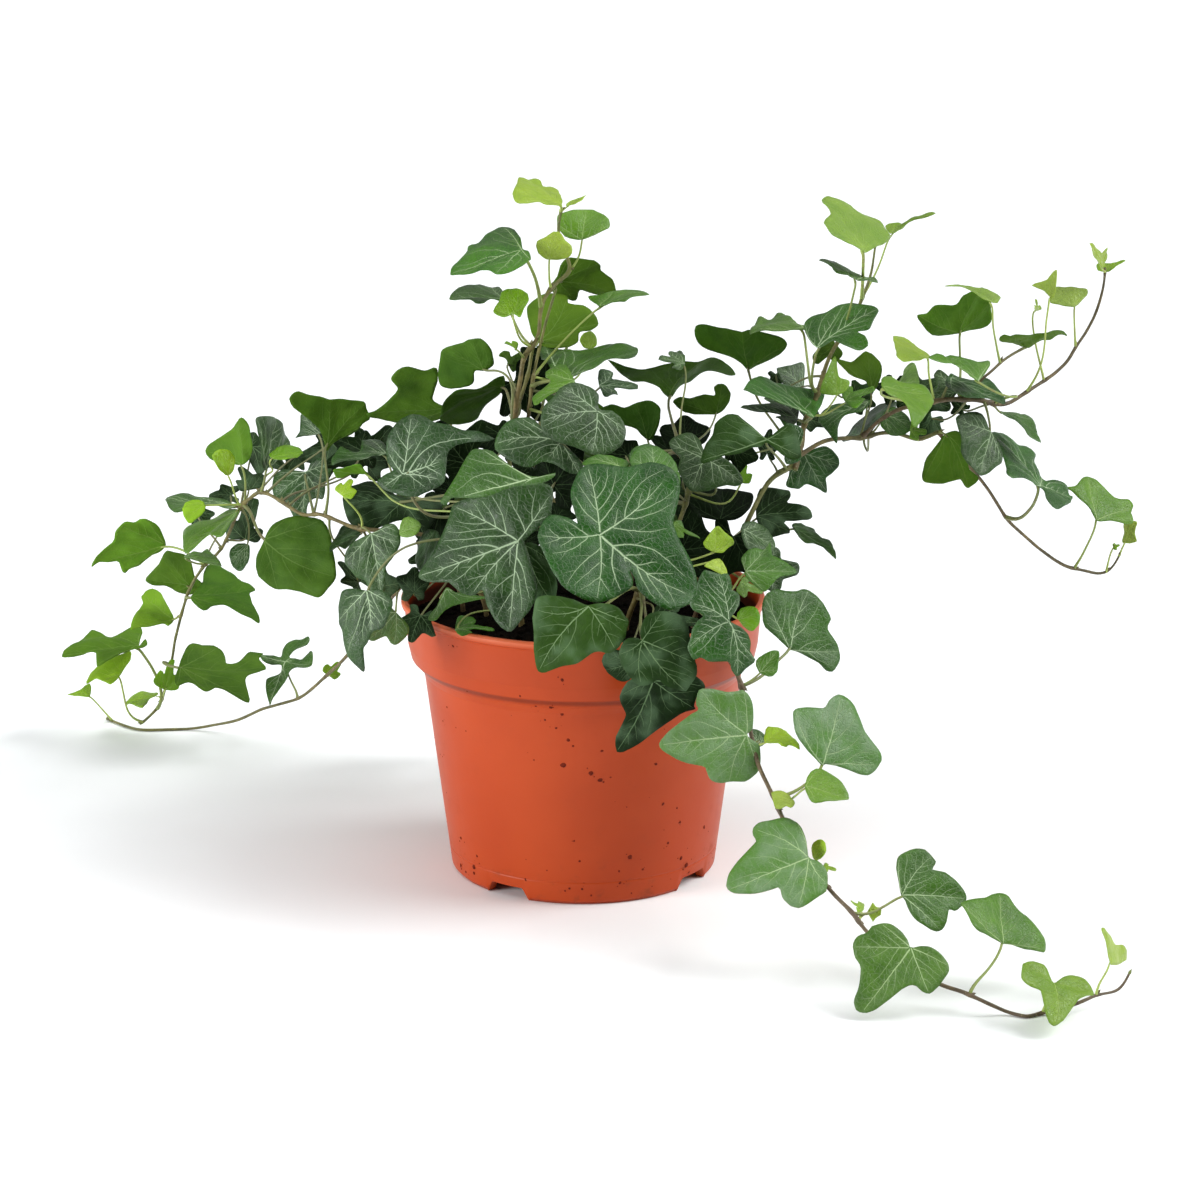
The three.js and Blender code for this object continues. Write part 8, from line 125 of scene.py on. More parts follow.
    ('LT2', 'leaflet_left_03', 'stem_left_upper', 0, 0.6, 'T', (-107.05,37.36,125.82), (0.935,-0.34,0.101), (0.313,0.925,0.217), (-18.7,1.2,-18.6,2.8,-17.9,4.6,-16.1,8.5,-14.2,12,-12,15.1,-9.5,17.4,-1.1,23.3,0.3,23.8,1.3,23.5,2,22.6,2.7,19.8,2.5,18.1,1.1,11.7,0.9,6.5,0.3,1.4,0,-0.2,-0.7,-1.4,-1.6,-2.3,-2.9,-3,-4.1,-3.3,-5.3,-3.3,-6.2,-2.6,-7.8,-0.3,-8.8,0.3,-10.2,0.1,-13.5,-1.4,-14.9,-1.7,-17.4,-0.8,-18.3,0.1), (0,23,-18.7,1.2,-12,14.2), (-107.2,37.5,127.4,-107,37.4,125.8,-107.3,38.7,124.5,-109.3,51,116.6,-110.4,54.4,113.9), 0.64),
    ('X5', 'leaflet_right_03', 'stem_right', 0, 0.2, 'D', (94.94,53.93,132.98), (-0.64,0.481,0.6), (0.592,-0.19,0.783), (14.8,-0.6,15.8,0.6,16,2.2,15.4,7.7,13,15.6,12.3,16.6,11,17.4,8.7,18,5.6,18.3,2.4,18.3,-0.2,17.9,-2.4,16.9,-4.3,15.5,-5.8,13.9,-6.7,12.5,-6.5,11.3,-4.5,9.2,-3.7,7.9,-3.7,6.1,-4.1,2.2,-3.7,0.8,-2.4,-0.1,1.4,-0.6,9.6,-1.2,12.7,-1.2), (0,17,16.5,2.7,-5.6,8.2), (95.4,53.8,133.6,94.9,53.9,133,96,52.2,130,96.4,49.3,129.4,96.5,45.6,130.5,95.5,31.5,138.4,95.1,26.7,140.4,95,22.3,141.1), 0.63),
    ('G1', 'leaflet_right_04', 'stem_right', 0, 1.2, 'U', (125.83,41.1,172.11), (-0.403,0.84,0.364), (0.361,-0.22,0.906), (19.9,4.5,19.4,4.8,16.9,5.1,15.8,5.4,15.3,6.1,14.6,8.1,13.8,8.8,12.2,9.2,8.3,9.7,6.9,10.1,6.3,11,6,14.2,4.6,15.5,0.9,18.2,0.2,18.5,-0.9,18.2,-4.2,15.9,-6.4,13.9,-10,8.2,-10.7,6.5,-10.8,5.4,-10.6,4.5,-10.1,3.8,-8.3,2.6,-4,1.3,3.6,-1.5,7.6,-2.3,10.3,-2.1,13.3,-0.8,18.6,2.9,19.6,3.8), (0,18.1,19.9,4.5,-7,12.8), (126.3,40.8,173.2,125.8,41.1,172.1,125.9,39.1,169.7,125.7,33.7,165.2,125.4,27.4,161.2,124.6,22.5,157.7,125,21.8,157.1,124.7,20.2,154.2), 0.63),
    ('BK19', 'leaflet_back_06', 'stem_back_upright', 0, 0.2, 'T', (-17.32,86.8,152.99), (-0.077,0.666,0.742), (0.498,0.67,-0.55), (0,0,-1.2,-0.6,-3.7,-4.1,-4.8,-5.2,-5.8,-5.4,-8.8,-3.7,-9.3,-3,-9.2,-2,-7.1,0.4,-7,1.3,-7.9,2.6,-11.9,7.1,-12.2,7.9,-12.2,8.4,-11.7,9.2,-10.6,10,-9.8,10.2,-6,9.7,-4.8,10.4,-4,12.1,-2.3,19.2,-1.7,20.2,-0.6,20.6,1.1,20.5,2.3,19.2,4.1,12.8,4.9,11.3,6.1,10.8,10.1,11.5,10.8,11.4,12.1,10.6,12.7,9.8,12.7,9.2,12.4,8.3,8.7,3,8,1.4,8.1,0.2,10.2,-3,10.2,-4.1,9.6,-4.9,7.3,-6.2,6.2,-6.5,5,-6.3,3.8,-5,1.3,-0.9), (0,20.6,12.1,10.6,-11.7,9.2,10.2,-4.1,-9.3,-3), (-16.7,87.6,152.3,-17.3,86.8,153,-17,85.1,150.1,-16.4,82.7,149.1,-15.5,79.6,149.4,-14.3,76.5,151,-13.4,72.2,152,-12.2,68.3,153.4,-11,64.5,154.3,-10,60.9,154.1), 0.63),
    ('BB2', 'leaflet_middle_01', 'stem_centre', 0, 0.8, 'D', (-25.66,9.31,112.09), (-0.103,0.768,0.632), (-0.185,0.61,-0.771), (0,0,-1.3,-0.8,-3.9,-4.5,-5.2,-5.7,-6.3,-5.9,-7.5,-5.5,-9.7,-4.3,-10.3,-3.5,-10.3,-2.5,-8.1,0.1,-8.2,1,-9.1,2.4,-13.7,6.7,-14.1,7.5,-14.1,8.1,-13.3,9.3,-12.3,9.8,-7.2,10.2,-5.8,10.8,-4.7,12.3,-2.3,18,-1.1,19.2,0.6,19.3,1.8,18.8,2.3,18,3.7,11.4,4.4,9.8,5.4,9.3,8.8,10,9.5,10,10.7,9.4,11.2,8.7,11.3,8.2,11.1,7.4,8.3,2.6,7.7,1.1,7.8,-0.2,9.4,-3.6,9.5,-4.3,9,-5,6.4,-6.1,5.3,-6.3,4.3,-6,3.2,-4.7,1.1,-0.8), (0,19.3,10.7,9.4,-13.5,8.9,9.4,-4.5,-10.3,-3.5), (-25.9,10,111.2,-25.7,9.3,112.1,-25.5,7.7,109.6,-25.3,5.4,108.5,-25.2,2.6,108.5,-24.8,-7.6,110.7,-24.7,-11.1,111,-24.6,-14.3,110.4), 0.63),
    ('T5', 'leaflet_top_01', 'stem_centre', 0, 1, 'T', (-25.44,6.16,190.26), (0.092,-0.031,0.995), (-0.995,0.02,0.093), (0,17.9,1.7,17.7,7.2,15.7,13.1,14,13.5,13.5,13.3,12.2,13.5,11.5,16.9,9.9,18.9,8.5,20.4,6.7,20.6,5.8,20.3,5.1,19.5,4.4,17.2,3.1,11.2,1.4,1.3,-0.2,-0.6,-0.2,-1.7,0,-2.2,0.5,-2.5,1.7,-1.1,3.6,-1.4,4.2,-9.3,6.3,-10,6.9,-10.1,7.5,-9.5,8.8,-5.3,11,-5.2,11.7,-5.7,13.1,-5.5,14,-4.6,15,-1.7,17.3), (0,17.8,20.1,5.8,-9,6.6), (-26.6,6.2,190.4,-25.4,6.2,190.3,-19.9,3.5,178.5,-16.6,2.9,175.5), 0.62),
    ('BD1', 'leaflet_middle_02', 'stem_right', 0, 0.8, 'D', (18.58,5.49,108.41), (-0.769,0.406,0.494), (-0.415,0.271,-0.869), (0,0,-1.1,-0.4,-4.1,-4.2,-5,-4.3,-7.6,-3.1,-7.9,-2.7,-8,-2,-7.8,-1.3,-6.4,0.4,-6.5,1.3,-11.8,7.6,-12.2,8.4,-12.1,9,-10.7,10.1,-9.5,10.4,-6.1,10.2,-5,10.8,-4.2,12.3,-2.3,18.1,-1.1,19.3,0.6,19.4,1.7,18.9,2.3,18.1,4.6,11.8,5.5,10.1,6.7,9.3,10.5,8.7,11.6,8.3,12.2,7.7,12.6,7,12.3,5.7,9.9,2,9.5,0.7,9.5,-0.4,11.1,-4.1,10.9,-5.1,10.3,-5.6,7.7,-6.8,6.4,-7,5.2,-6.7,3.9,-5.3,1.2,-1.1), (0,19.4,12.2,7.7,-11.4,9.6,11,-4.8,-8,-2.4), (18.1,5.8,107.4,18.6,5.5,108.4,19.9,4.8,106,21.5,4,104.1,29.7,-0.3,99,34,-2.5,95.1), 0.62),
    ('BK16', 'leaflet_back_07', 'stem_back_upright', 0, 0, 'T', (-6.23,76.8,144.29), (0.264,0.639,0.723), (-0.205,0.769,-0.605), (0,0,-1.3,-0.9,-3.8,-4.7,-5,-6,-6.1,-6.2,-7.2,-5.8,-9.8,-4.3,-10.1,-3.5,-10,-2.8,-8.1,0.5,-8,1.8,-8.6,3.4,-11.7,8.8,-11.9,9.7,-11.6,10.6,-10.5,11.5,-9.2,11.7,-5.8,11.1,-4.7,11.5,-3.9,12.8,-2.2,18.1,-1.1,19.2,0.5,19.4,1.6,18.9,2.2,18.1,4.1,11.8,4.9,10.2,6,9.5,9.7,9.4,10.8,9,11.6,8.1,11.9,7.2,11.6,6.4,8.1,2.5,7.3,1.3,7.3,0.4,9,-1.5,9.3,-2.6,9,-3.4,6.8,-4.9,5.8,-5.3,4.8,-5.1,3.7,-4,1.2,-0.7), (0,19.4,11.4,8.5,-11.2,11,9.3,-2.9,-10.1,-3.8), (-6.5,77.7,143.6,-6.2,75.5,144.3,-7,71.2,146.5,-9.8,64.8,150.1,-11.3,60.2,151.4), 0.62),
    ('LC10x', 'leaflet_middle_03', 'stem_left_upper', 0, 0, 'D', (-48.83,-4.69,114.97), (-0.885,-0.192,0.424), (-0.392,-0.184,-0.901), (-1.4,13.4,1.9,13.2,5.6,12.3,11.8,10,13.6,8.7,14.7,7.3,15.3,5.9,15.3,4.6,14.8,3.5,13.8,2.3,12.2,1.4,9.8,0.5,1.8,-0.8,-2.7,-1.2,-6.4,-1.1,-9.3,-0.5,-11.7,0.6,-13.5,2,-14.5,3.3,-14.8,4.5,-14.3,5.9,-13.2,7.3,-9.7,10,-7.2,11.6,-4.3,12.8), (0,12.7,7.5,5.2), (-49,-4.8,114.6,-48.8,-4.7,115,-48.6,-2.3,113.3,-49.7,4.6,111.5,-50.3,8.1,110.1), 0.62),
    ('LC4', 'leaflet_left_04', 'stem_centre', 0, 0.5, 'T', (-67.96,-52.99,109), (-0.442,-0.885,0.147), (-0.035,-0.147,-0.988), (8.9,1.8,10,6.2,10.5,10.8,10.3,11.9,8.8,13.8,6,21.6,4.5,23.1,1.2,25.8,0.5,26.2,0,26.2,-0.3,24.7,0,18.4,-1.5,16.5,-2.4,13.5,-2.9,12.8,-3.6,12.4,-5.9,12,-7.1,10.8,-8.8,6,-9.2,4,-9.2,2.4,-8.8,1.7,-7.6,0.8,-5.6,-0.4,-4,-0.8,0,0.2,4.1,-0.2,6.4,0,8.2,0.7), (0,25.8,10.4,10.8,-8.9,3.7), (-68,-53.2,107.4,-68,-53,109,-64.6,-48.6,113.9,-61,-43.3,117.2,-56.6,-37.6,119,-51.1,-31.9,119.3,-38.7,-21.5,118.2,-32.4,-17.2,117.9,-25.9,-14.2,117.8), 0.61),
    ('BK34', 'leaflet_back_08', 'stem_back_left', 0, 0, 'T', (-47.37,74.03,104.44), (-0.177,0.704,0.688), (0.181,0.71,-0.681), (0,0,-0.9,-0.9,-2.6,-4.9,-3.4,-6.3,-4.3,-6.7,-5.2,-6.5,-7.5,-5.4,-7.8,-4.4,-6.8,-0.4,-6.9,1,-10.2,8.1,-10.4,9.1,-10.2,10,-9.3,10.9,-8.2,11.2,-5.3,11.2,-4.4,11.7,-3.6,13.1,-1.9,18.6,-0.9,19.8,0,19.9,0.9,19.8,1.9,18.6,3.6,13,4.4,11.6,5.3,11,8.2,11,9.3,10.6,10.1,9.8,10.4,8.8,10.2,7.9,7.8,3,7.3,1.4,7.3,0.2,8.6,-3.7,8.5,-4.6,8,-5.1,6,-6.2,5.1,-6.5,4.1,-6.3,3.1,-4.9,1,-0.8), (0,19.9,9.9,10.1,-9.9,10.4,8.6,-4.3,-7.7,-4.9), (-47.2,74.9,103.6,-47.4,74,104.4,-47.1,72.9,102.2,-46.7,71.3,100.7,-46.2,69.4,99.7,-44.5,62.5,97.6,-43.9,60.1,96.6,-43.3,57.9,95), 0.61),
    ('C4', 'leaflet_front_05', 'stem_front', 0, 0.4, 'T', (-6.76,-35.02,153), (-0.1,-0.796,0.597), (-0.995,0.086,-0.051), (0,21.4,1.8,20.9,3.8,19.9,5.6,18.6,7.1,17.1,8.5,14.2,8.8,12.3,8.7,10.3,7.6,8.5,1.1,2.9,-3.2,-2.9,-5,-4.8,-7.7,-6.7,-9.5,-7.4,-10.2,-7.5,-10.7,-7.2,-11.4,-6,-11.4,-3.6,-10.7,-1.7,-8.2,1.8,-7.1,4.7,-7.1,5.6,-7.3,6.5,-8.7,9.1,-8.7,10.9,-8.2,12.9,-6.1,16.7,-3.8,19.5,-1.8,21.1), (0,21.4,8.7,13.2,-7.4,5,-11.5,-5.9), (-8.4,-35.8,151.7,-0.4,-35.5,145.9,6.5,-34.1,141.4,12.4,-32,137.7,17.3,-29.5,134.2,21,-26.7,130.4,23.6,-24,125.7,24.9,-21.7,119.6,25,-20,111.6), 0.61),
    ('X20', 'leaflet_front_06', 'stem_centre', 0, 0.1, 'I', (-9.18,-31.54,137.73), (0.298,0.933,-0.199), (0.516,0.018,0.857), (0,0,-1.1,-0.7,-3,-4,-3.9,-5.1,-4.9,-5.4,-6,-5.2,-8.5,-4.2,-8.9,-3.5,-8.3,0,-8.5,1,-11.4,6.8,-11.3,7.5,-10.8,8,-6.3,9.1,-5.3,9.8,-4.4,11.1,-2.2,15.8,-1.6,16.4,-0.5,16.8,0.5,16.7,1.6,16.1,5.5,11.7,6.5,11.2,11.4,10.3,12.4,9.3,12.6,8.8,12.4,7.9,11.6,6.6,9.1,3.1,8.4,1.6,8.3,0.6,9.8,-2.6,9.3,-3.6,6.2,-4.9,5.1,-4.8,3.9,-3.8,1.2,-0.6), (0,16.8,11.8,10,-11,7.8,9.8,-2.9,-8.8,-3.7), (-8.6,-31.5,138.8,-9.2,-31.5,137.7,-10.1,-32.3,135.9,-11.5,-31.2,134.9,-13.4,-28.8,134.3,-20.6,-17.2,133.2,-23,-13.3,132.3,-25.3,-10,130.7), 0.61),
    ('M5', 'leaflet_middle_04', 'stem_right', 0, 0.6, 'D', (59.07,-23.6,150.77), (0.101,-0.704,0.704), (-0.922,-0.331,-0.2), (0.8,-0.2,1.7,0.5,6,2.3,11.5,5.3,12.3,6.8,12.4,8.9,11.7,12,10.8,13.8,7.7,15.7,5.3,19.1,2.5,21.5,-0.1,23.2,-0.8,23.1,-1.1,22.5,-1.4,20.8,-0.7,15.3,-1.8,10.3,-0.9,5.6,-1.9,3.2,-0.9,1,-0.9,0.4,-1.4,-0.1,-6.8,-2.3,-8.9,-3.8,-9.7,-5,-9.8,-6.6,-9.6,-7.5,-9,-8.1,-8.1,-8.6,-4.2,-9.3,-0.9,-10.3,0.9,-10.2,2.4,-9.4,3.1,-8.3,3,-6.7,0.9,-1.5), (0,23,11.7,6.1,-9.1,-7.8,2.5,-8.9), (57.4,-23.8,150.9,58.8,-19.3,148,61.2,-13.8,144.5,64,-8,140.4,66.5,-2.4,135.9), 0.61),
    ('LT3', 'leaflet_left_05', 'stem_left_upper', 0, 0.3, 'T', (-95.98,65.77,118.09), (-0.418,-0.759,0.5), (-0.103,-0.507,-0.856), (0,-0.2,8.2,-1.3,9.3,-1.3,10.9,-0.8,11.9,0,12.2,0.6,12.6,5.3,11.9,7.9,10.2,10.1,8.1,11.3,6.8,10.7,6.4,10.8,4.7,12.8,2.5,16.4,1.3,17.1,0,17.3,-1.4,17.1,-2.3,16.5,-2,13.1,-2.4,11.6,-3.3,10.5,-5.6,9.5,-7.6,10.1,-8.1,10.1,-8.4,9.7,-8.9,7.4,-8.5,4.6,-9.9,1.3,-10.3,-0.4,-10.3,-2,-9.6,-3.4,-8.5,-4.5,-6.7,-5,-4.8,-4.9,-3.2,-4.3,-2,-3.4,-0.7,-0.5), (0,17.1,11.5,8.9,-8.1,10,11.7,-0.5,-9.6,-3.1), (-96.1,65.2,117.1,-96,65.8,118.1,-96.2,63.1,117.6,-94.6,54.9,115.7,-92.3,40.8,113.4,-91.6,37,112.5,-91,34.2,111.3), 0.61),
    ('G9', 'leaflet_right_05', 'stem_right', 0, 0.4, 'T', (134.52,13,144.68), (0.609,-0.668,0.429), (-0.242,-0.671,-0.701), (15.6,3.9,15.3,2.6,14.4,1.5,11.2,-1.3,8.3,-3.1,5.9,-3.6,4.3,-2.9,1.6,-0.7,-2.6,0.9,-4.6,2.5,-6.8,5.1,-7.3,6.8,-7.2,7.7,-6.9,8.5,-4.9,11,-3.3,14,-2,15.6,-0.5,16.8,0.4,17.1,2.2,17.1,6.9,15.7,9.4,14.4,10.2,13.5,11.6,9.8,15.1,5.3), (0,16.8,15.2,3.7,-7,7), (134.2,12.2,143.8,134.5,13,144.7,134.3,15.3,146.8,133.8,21.5,150.7,132.9,23.8,152.8), 0.61),
    ('LU1', 'leaflet_left_06', 'stem_left_upper', 0, 0.8, 'U', (-86.82,45.86,132.17), (-0.262,0.947,0.184), (0.085,-0.168,0.982), (14.2,17.8,13.9,18.9,13.2,19.7,12.3,20.3,11.2,20.5,8,19.3,3.7,18.6,0.5,17.4,-3.7,17.4,-7.9,16.7,-10.9,16.5,-11.7,16.3,-12.1,15.8,-12.6,13.7,-14,11.1,-14.1,10.3,-13.8,9.7,-11.6,8.4,-10.1,5.9,-8.3,4.2,-6.9,3.4,-4.5,2.7,-2.1,1.1,-1,-0.3,-0.3,-2.3,0.3,-1.6,2,3.9,3.2,6.3,6.8,10,12.4,14.4,13.6,16.1), (0,17.3,13.6,18.6,-12.1,15.9,-13.9,10.2), (-86.7,45.7,133.3,-86.8,45.9,132.2,-87.8,44.9,132,-87.6,42.9,129.1,-85.9,35.9,120.5,-85.9,33.7,117.7,-86.8,30,111.8), 0.61),
    ('LC6', 'leaflet_top_02', 'stem_centre', 0, 0.5, 'U', (-32.53,14.87,164.81), (0.405,0.847,0.344), (-0.306,-0.229,0.924), (16.5,3.9,14.8,7.4,14,8.3,11.4,9.5,8.6,10.2,4.5,10.7,1.7,12,-0.2,12.4,-3,12,-4.3,11,-5.2,9.6,-5.4,7.5,-5,4.4,-4.6,2.4,-4.1,1.6,-2.2,0.6,0,0,3,0.2,3.9,-0.1,4.6,-1.1,5.6,-3.9,6.6,-4.9,8.1,-5.6,12,-6.3,15.4,-6.3,18.3,-5.8,19.3,-5.2,19.7,-4.3,19.6,-3.1,19,-0.6), (0,12.2,12.6,9.8,-5.7,6.9), (-33.4,14.9,165.8,-28.1,9.1,166.4,-24.9,5.2,165.8,-23.3,2.7,164.1,-22.8,1.3,161.5,-23.4,-1.1,149.7,-22.8,-2.5,145), 0.6),
    ('C3', 'leaflet_front_07', 'stem_centre', 0, 0.9, 'T', (-15.37,-69.21,149.07), (-0.252,-0.756,0.605), (-0.959,0.112,-0.26), (-0.5,29.6,12,19.6,13.9,17.4,14.1,16,13.3,12.8,12.3,11.1,7.9,7.7,4.4,4.6,2.4,2.3,0.9,0.1,0.2,-2.1,0.1,-7.7,-0.7,-7.4,-1.6,-6.2,-2.3,-4.5,-2.7,-2.2,-1.3,5.4,-1.6,8.9,-2.6,12.6,-2.6,15.4,-0.1,24.8,0,25.9,-0.5,26.7,-2.3,27.8,-1.8,29,-1.2,29.5), (0,29.4,15.4,16.1,-1.8,3.3,-0.3,-7.4), (-15.7,-69.5,148.5,-18.5,-61.6,148.8,-20.7,-53.2,147,-22.5,-44.9,143.7,-23.8,-36.8,139.3,-24.7,-29.4,134.2,-25.4,-22.9,128.9,-25.8,-17.7,123.8,-26.1,-14.1,119.3), 0.6),
    ('G12', 'leaflet_right_06', 'stem_right', 0, 1.6, 'T', (175.62,50.39,105.02), (0.428,-0.61,0.667), (-0.064,0.715,0.696), (-11.2,11.4,-8.2,11.8,-7,12.2,-6.1,13.1,-3.6,16.2,-2,17.6,-0.4,18.5,0.4,18.6,1.3,18.4,3.1,17.6,6.6,13.9,9.2,11.7,10.3,11.4,11.5,11.4,15.3,12,16.5,11,16.9,9.5,15.2,6.3,15.5,3.2,15.3,2.3,14.7,1.7,11.4,0.7,5.4,0.7,1,-0.5,-0.1,-0.4,-0.8,0.2,-2.3,3.5,-6.6,7.1,-8.6,9.9,-11,11.1), (0,18.6,-11.2,11.4,16.8,8.7), (176.1,51.2,105.4,175.6,50.4,105,174.7,52,100,171.7,58,89.8,169.5,59.7,85.2), 0.6),
    ('D6', 'leaflet_right_07', 'stem_right', 0, 0.1, 'D', (56.59,-5.04,120.4), (-0.122,-0.424,0.897), (0.992,-0.034,0.119), (0,0,-7.4,0.3,-10.9,1,-13.4,2,-14.3,3.7,-14.2,6,-12.8,11.4,-11.9,11.9,-10.5,12,-8.8,11.8,-5.8,10.6,-5,10.8,-4.3,12,-2.9,17,-1.5,18.1,0.8,18.4,2.3,17.9,2.9,17,3.7,9.4,4.3,9,6.6,10.4,7.9,10.7,9.5,10.4,11.2,6,11.5,4.1,11,2.5,9.1,1.5,6.4,0.7), (0,18.4,-11.9,11.9,8.9,10.6), (57.8,-5.1,120.5,56.6,-5,120.4,55.5,-5.5,119.4,53.6,-6.8,117.1,51.6,-9,113.3,50.6,-9.6,112.4,49.4,-9.9,112), 0.6),
    ('T7', 'leaflet_back_09', 'stem_centre', 0, 0.8, 'U', (-8.62,59.27,186.28), (-0.036,0.852,0.523), (0.966,0.165,-0.201), (2.1,-0.9,6.8,-1,9.1,-0.4,10.9,0.7,11.2,1.5,11.4,4.7,12.1,8.6,12.1,9.8,11.2,11.4,9.9,12.4,8.2,12.7,7.7,13,5.4,17.5,3.4,19,-0.4,20.8,-0.9,20.6,-2.1,19.3,-3.1,17.3,-3.4,14.7,-3.3,12.1,-2.6,9.1,-2.8,8.4,-3.5,8.2,-5.7,8.4,-7,8.2,-7.4,7.6,-7.3,5.6,-6.4,0.9,-5.3,-0.9,-4.6,-1.5,-3.7,-1.8,-2.4,-1.8), (0,20.4,11.6,11.6,-7.1,7.8,11,1.3), (-8.2,59.3,186.2,-8.6,59.3,186.3,-8.9,55.2,186.7,-10.4,11.7,193), 0.6),
    ('F5', 'leaflet_trailing_right_02', 'stem_front_trailing', 0, 2.2, 'T', (141.28,-145.2,12.8), (0.417,-0.446,0.792), (-0.03,-0.877,-0.479), (11.4,2.3,11.4,1.3,11,-1.4,10.2,-3.9,8.6,-5,6.9,-5.4,4.7,-5.6,3.4,-5.3,2.4,-4.1,0.5,-0.2,0,0,-0.6,-0.4,-2.9,-3,-4.7,-4.5,-6.5,-5.6,-8.3,-6.1,-10,-6.1,-11.4,-5.5,-13.2,-3.6,-14.1,-1.8,-14.1,-1,-13.5,-0.3,-10.5,1.5,-8,3.6,-2.6,13.2,-0.3,15.6,1.1,16.2,2.4,15.8,3.4,14.2,4.2,11.9,5.1,5.3,5.7,4.9,8.3,4.4,9.8,3.9,11,3), (0,15.7,10.4,-3.5,-13.5,-1.6), (141.2,-146.3,12.2,139,-138.9,0.8), 0.6),
    ('LL4', 'leaflet_left_07', 'stem_left_upper', 0, 0.7, 'P', (-142.89,117.29,63), (0.361,0.832,0.42), (-0.93,0.355,0.096), (-14.5,7.4,-12.8,8.9,-7.4,11.6,-0.8,17.1,0.9,17.8,2.1,17.8,3.1,17.2,3.8,16.1,3.6,14.3,2.4,10.8,2.5,9.8,4.8,4.7,5.2,1.6,4.4,0,1.9,-2.7,-0.8,-5,-1.6,-5.3,-2.2,-5.3,-3.4,-4.1,-4.5,-2.6,-5.1,-2.3,-10.1,-2.1,-12,-1.7,-13.3,-0.8,-13.9,0.5,-14.6,6.3), (0,17.5,-14.6,8.6,5.9,8.2), (-143.3,117.4,63,-142.9,117.3,63,-142.8,109.8,62.7), 0.6),
    ('BK26', 'leaflet_trailing_right_03', 'stem_back_trailing', 0, 0.8, 'T', (37.51,126.62,16.49), (-0.279,0.126,0.952), (0.299,0.953,-0.038), (0,0,-1.1,-0.5,-3.4,-3.2,-4.5,-4.1,-5.5,-4.2,-8.1,-2.8,-8.5,-2.4,-8.5,-1.7,-8.2,-1,-6.6,0.6,-6.7,1.4,-11.7,7.2,-12.1,8,-11.7,8.8,-10.7,9.6,-9.4,9.9,-5.9,9.6,-4.9,10.1,-4.1,11.4,-2.3,16.7,-1.7,17.5,-0.6,18,1.1,17.8,2.3,16.7,4,11.8,4.8,10.6,5.9,10.2,9.4,10.8,10.6,10.6,12.1,9.5,12.2,9,11.9,8.1,7.6,2.5,6.6,0.8,6.4,-0.5,7.6,-3.3,7.6,-3.8,7.2,-4.4,5,-5.1,4.1,-5.2,3.2,-4.9,2.4,-3.8,0.9,-0.7), (0,18,11.4,10.1,-11.4,9.2,7.5,-4,-8.6,-2.2), (37.9,127.8,16.4,38.1,127.5,10.4,37.7,127.9,6.4,36.6,128.2,3.5,35,128,1.1), 0.59),
    ('D10', 'leaflet_middle_05', 'stem_front', 0, 0.6, 'T', (39.57,-12.07,141.59), (-0.1,-0.796,0.597), (0.814,-0.411,-0.412), (1.4,-13.3,0.1,-13.4,-0.6,-13.2,-2.3,-12.2,-4.3,-10.3,-4.9,-9.3,-5.2,-8.3,-5.2,-7.3,-4.6,-5.2,-2.3,-2,-1.9,-0.9,-2.1,0.1,-3.5,3.5,-3.6,6.5,-3.2,9.6,-2.1,12.5,-1.3,13.7,-0.6,14.5,0.2,14.8,1,14.6,2.4,13.8,3.7,11.2,8.9,7.3,10.8,4.5,11.6,2.1,11.1,-0.1,8.8,-4,7.3,-5.6,4.8,-6.6,4.1,-7,3.7,-7.8,3.2,-10.8,2.4,-12.3), (0,14.9,11.5,2.8,-5.3,-8.8,1.7,-13.1), (39.9,-12.2,141.4,39.6,-12.1,141.6,42.4,-12.3,135.6,43.4,-12.2,132.5,43.7,-11.7,130,42.7,-11,128.8,40.5,-9.9,128.8,34.6,-8,130.4), 0.59),
    ('T8', 'leaflet_top_03', 'stem_centre', 0, 1.6, 'T', (5.6,23.89,184.74), (-0.27,-0.041,0.962), (0.962,-0.046,0.269), (1.4,0,-2.4,-1.3,-13.5,-4.2,-17.1,-4.8,-17.8,-4.4,-15.1,-1.9,-14,-0.5,-14,0.9,-14.5,4,-14.3,5.7,-13,9.8,-11.9,11.8,-10.3,13.4,-7.9,14.7,-2,16.5,0,16.8,0.9,16.4,0.8,13.7,1.6,11.6,2.1,11,4.7,9.4,5,8.7,4.5,7.7,1.6,4.2,1.8,3.1,2.4,2.1,2.6,1.1), (0,16.8,-15.7,5.7,4.6,7), (6.4,23.9,185,0.9,19.6,181.3,-4.3,15.9,176.9,-9.9,12.4,171.4,-16.3,8.8,164.2), 0.59),
    ('R3', 'leaflet_right_08', 'stem_right', 0, 1, 'T', (87.74,-10.9,200.13), (0.449,-0.073,0.89), (-0.777,0.459,0.43), (0,14.5,1.9,15.1,4.1,15.2,9.7,14.8,11.7,14.2,12.2,13.5,12.1,12.4,10.5,7.8,10.2,5.6,10.3,4.7,11,4,12.5,3.7,22.1,3.5,23.2,3.4,23.4,2.9,20.5,0.7,16.1,-1.3,14.4,-1.5,9,-1,0.7,-0.8,-1.2,-0.6,-1.9,-0.1,-1.5,1.3,-1.8,2,-6.9,3.9,-7.8,4.7,-7.5,5.5,-3.6,8.3,-1.2,13.3), (0,14.5,24.6,3.5,-0.6,2.5), (87.7,-10.9,200.1,86.5,3.7,187.1,85.3,18.3,176.4), 0.59),
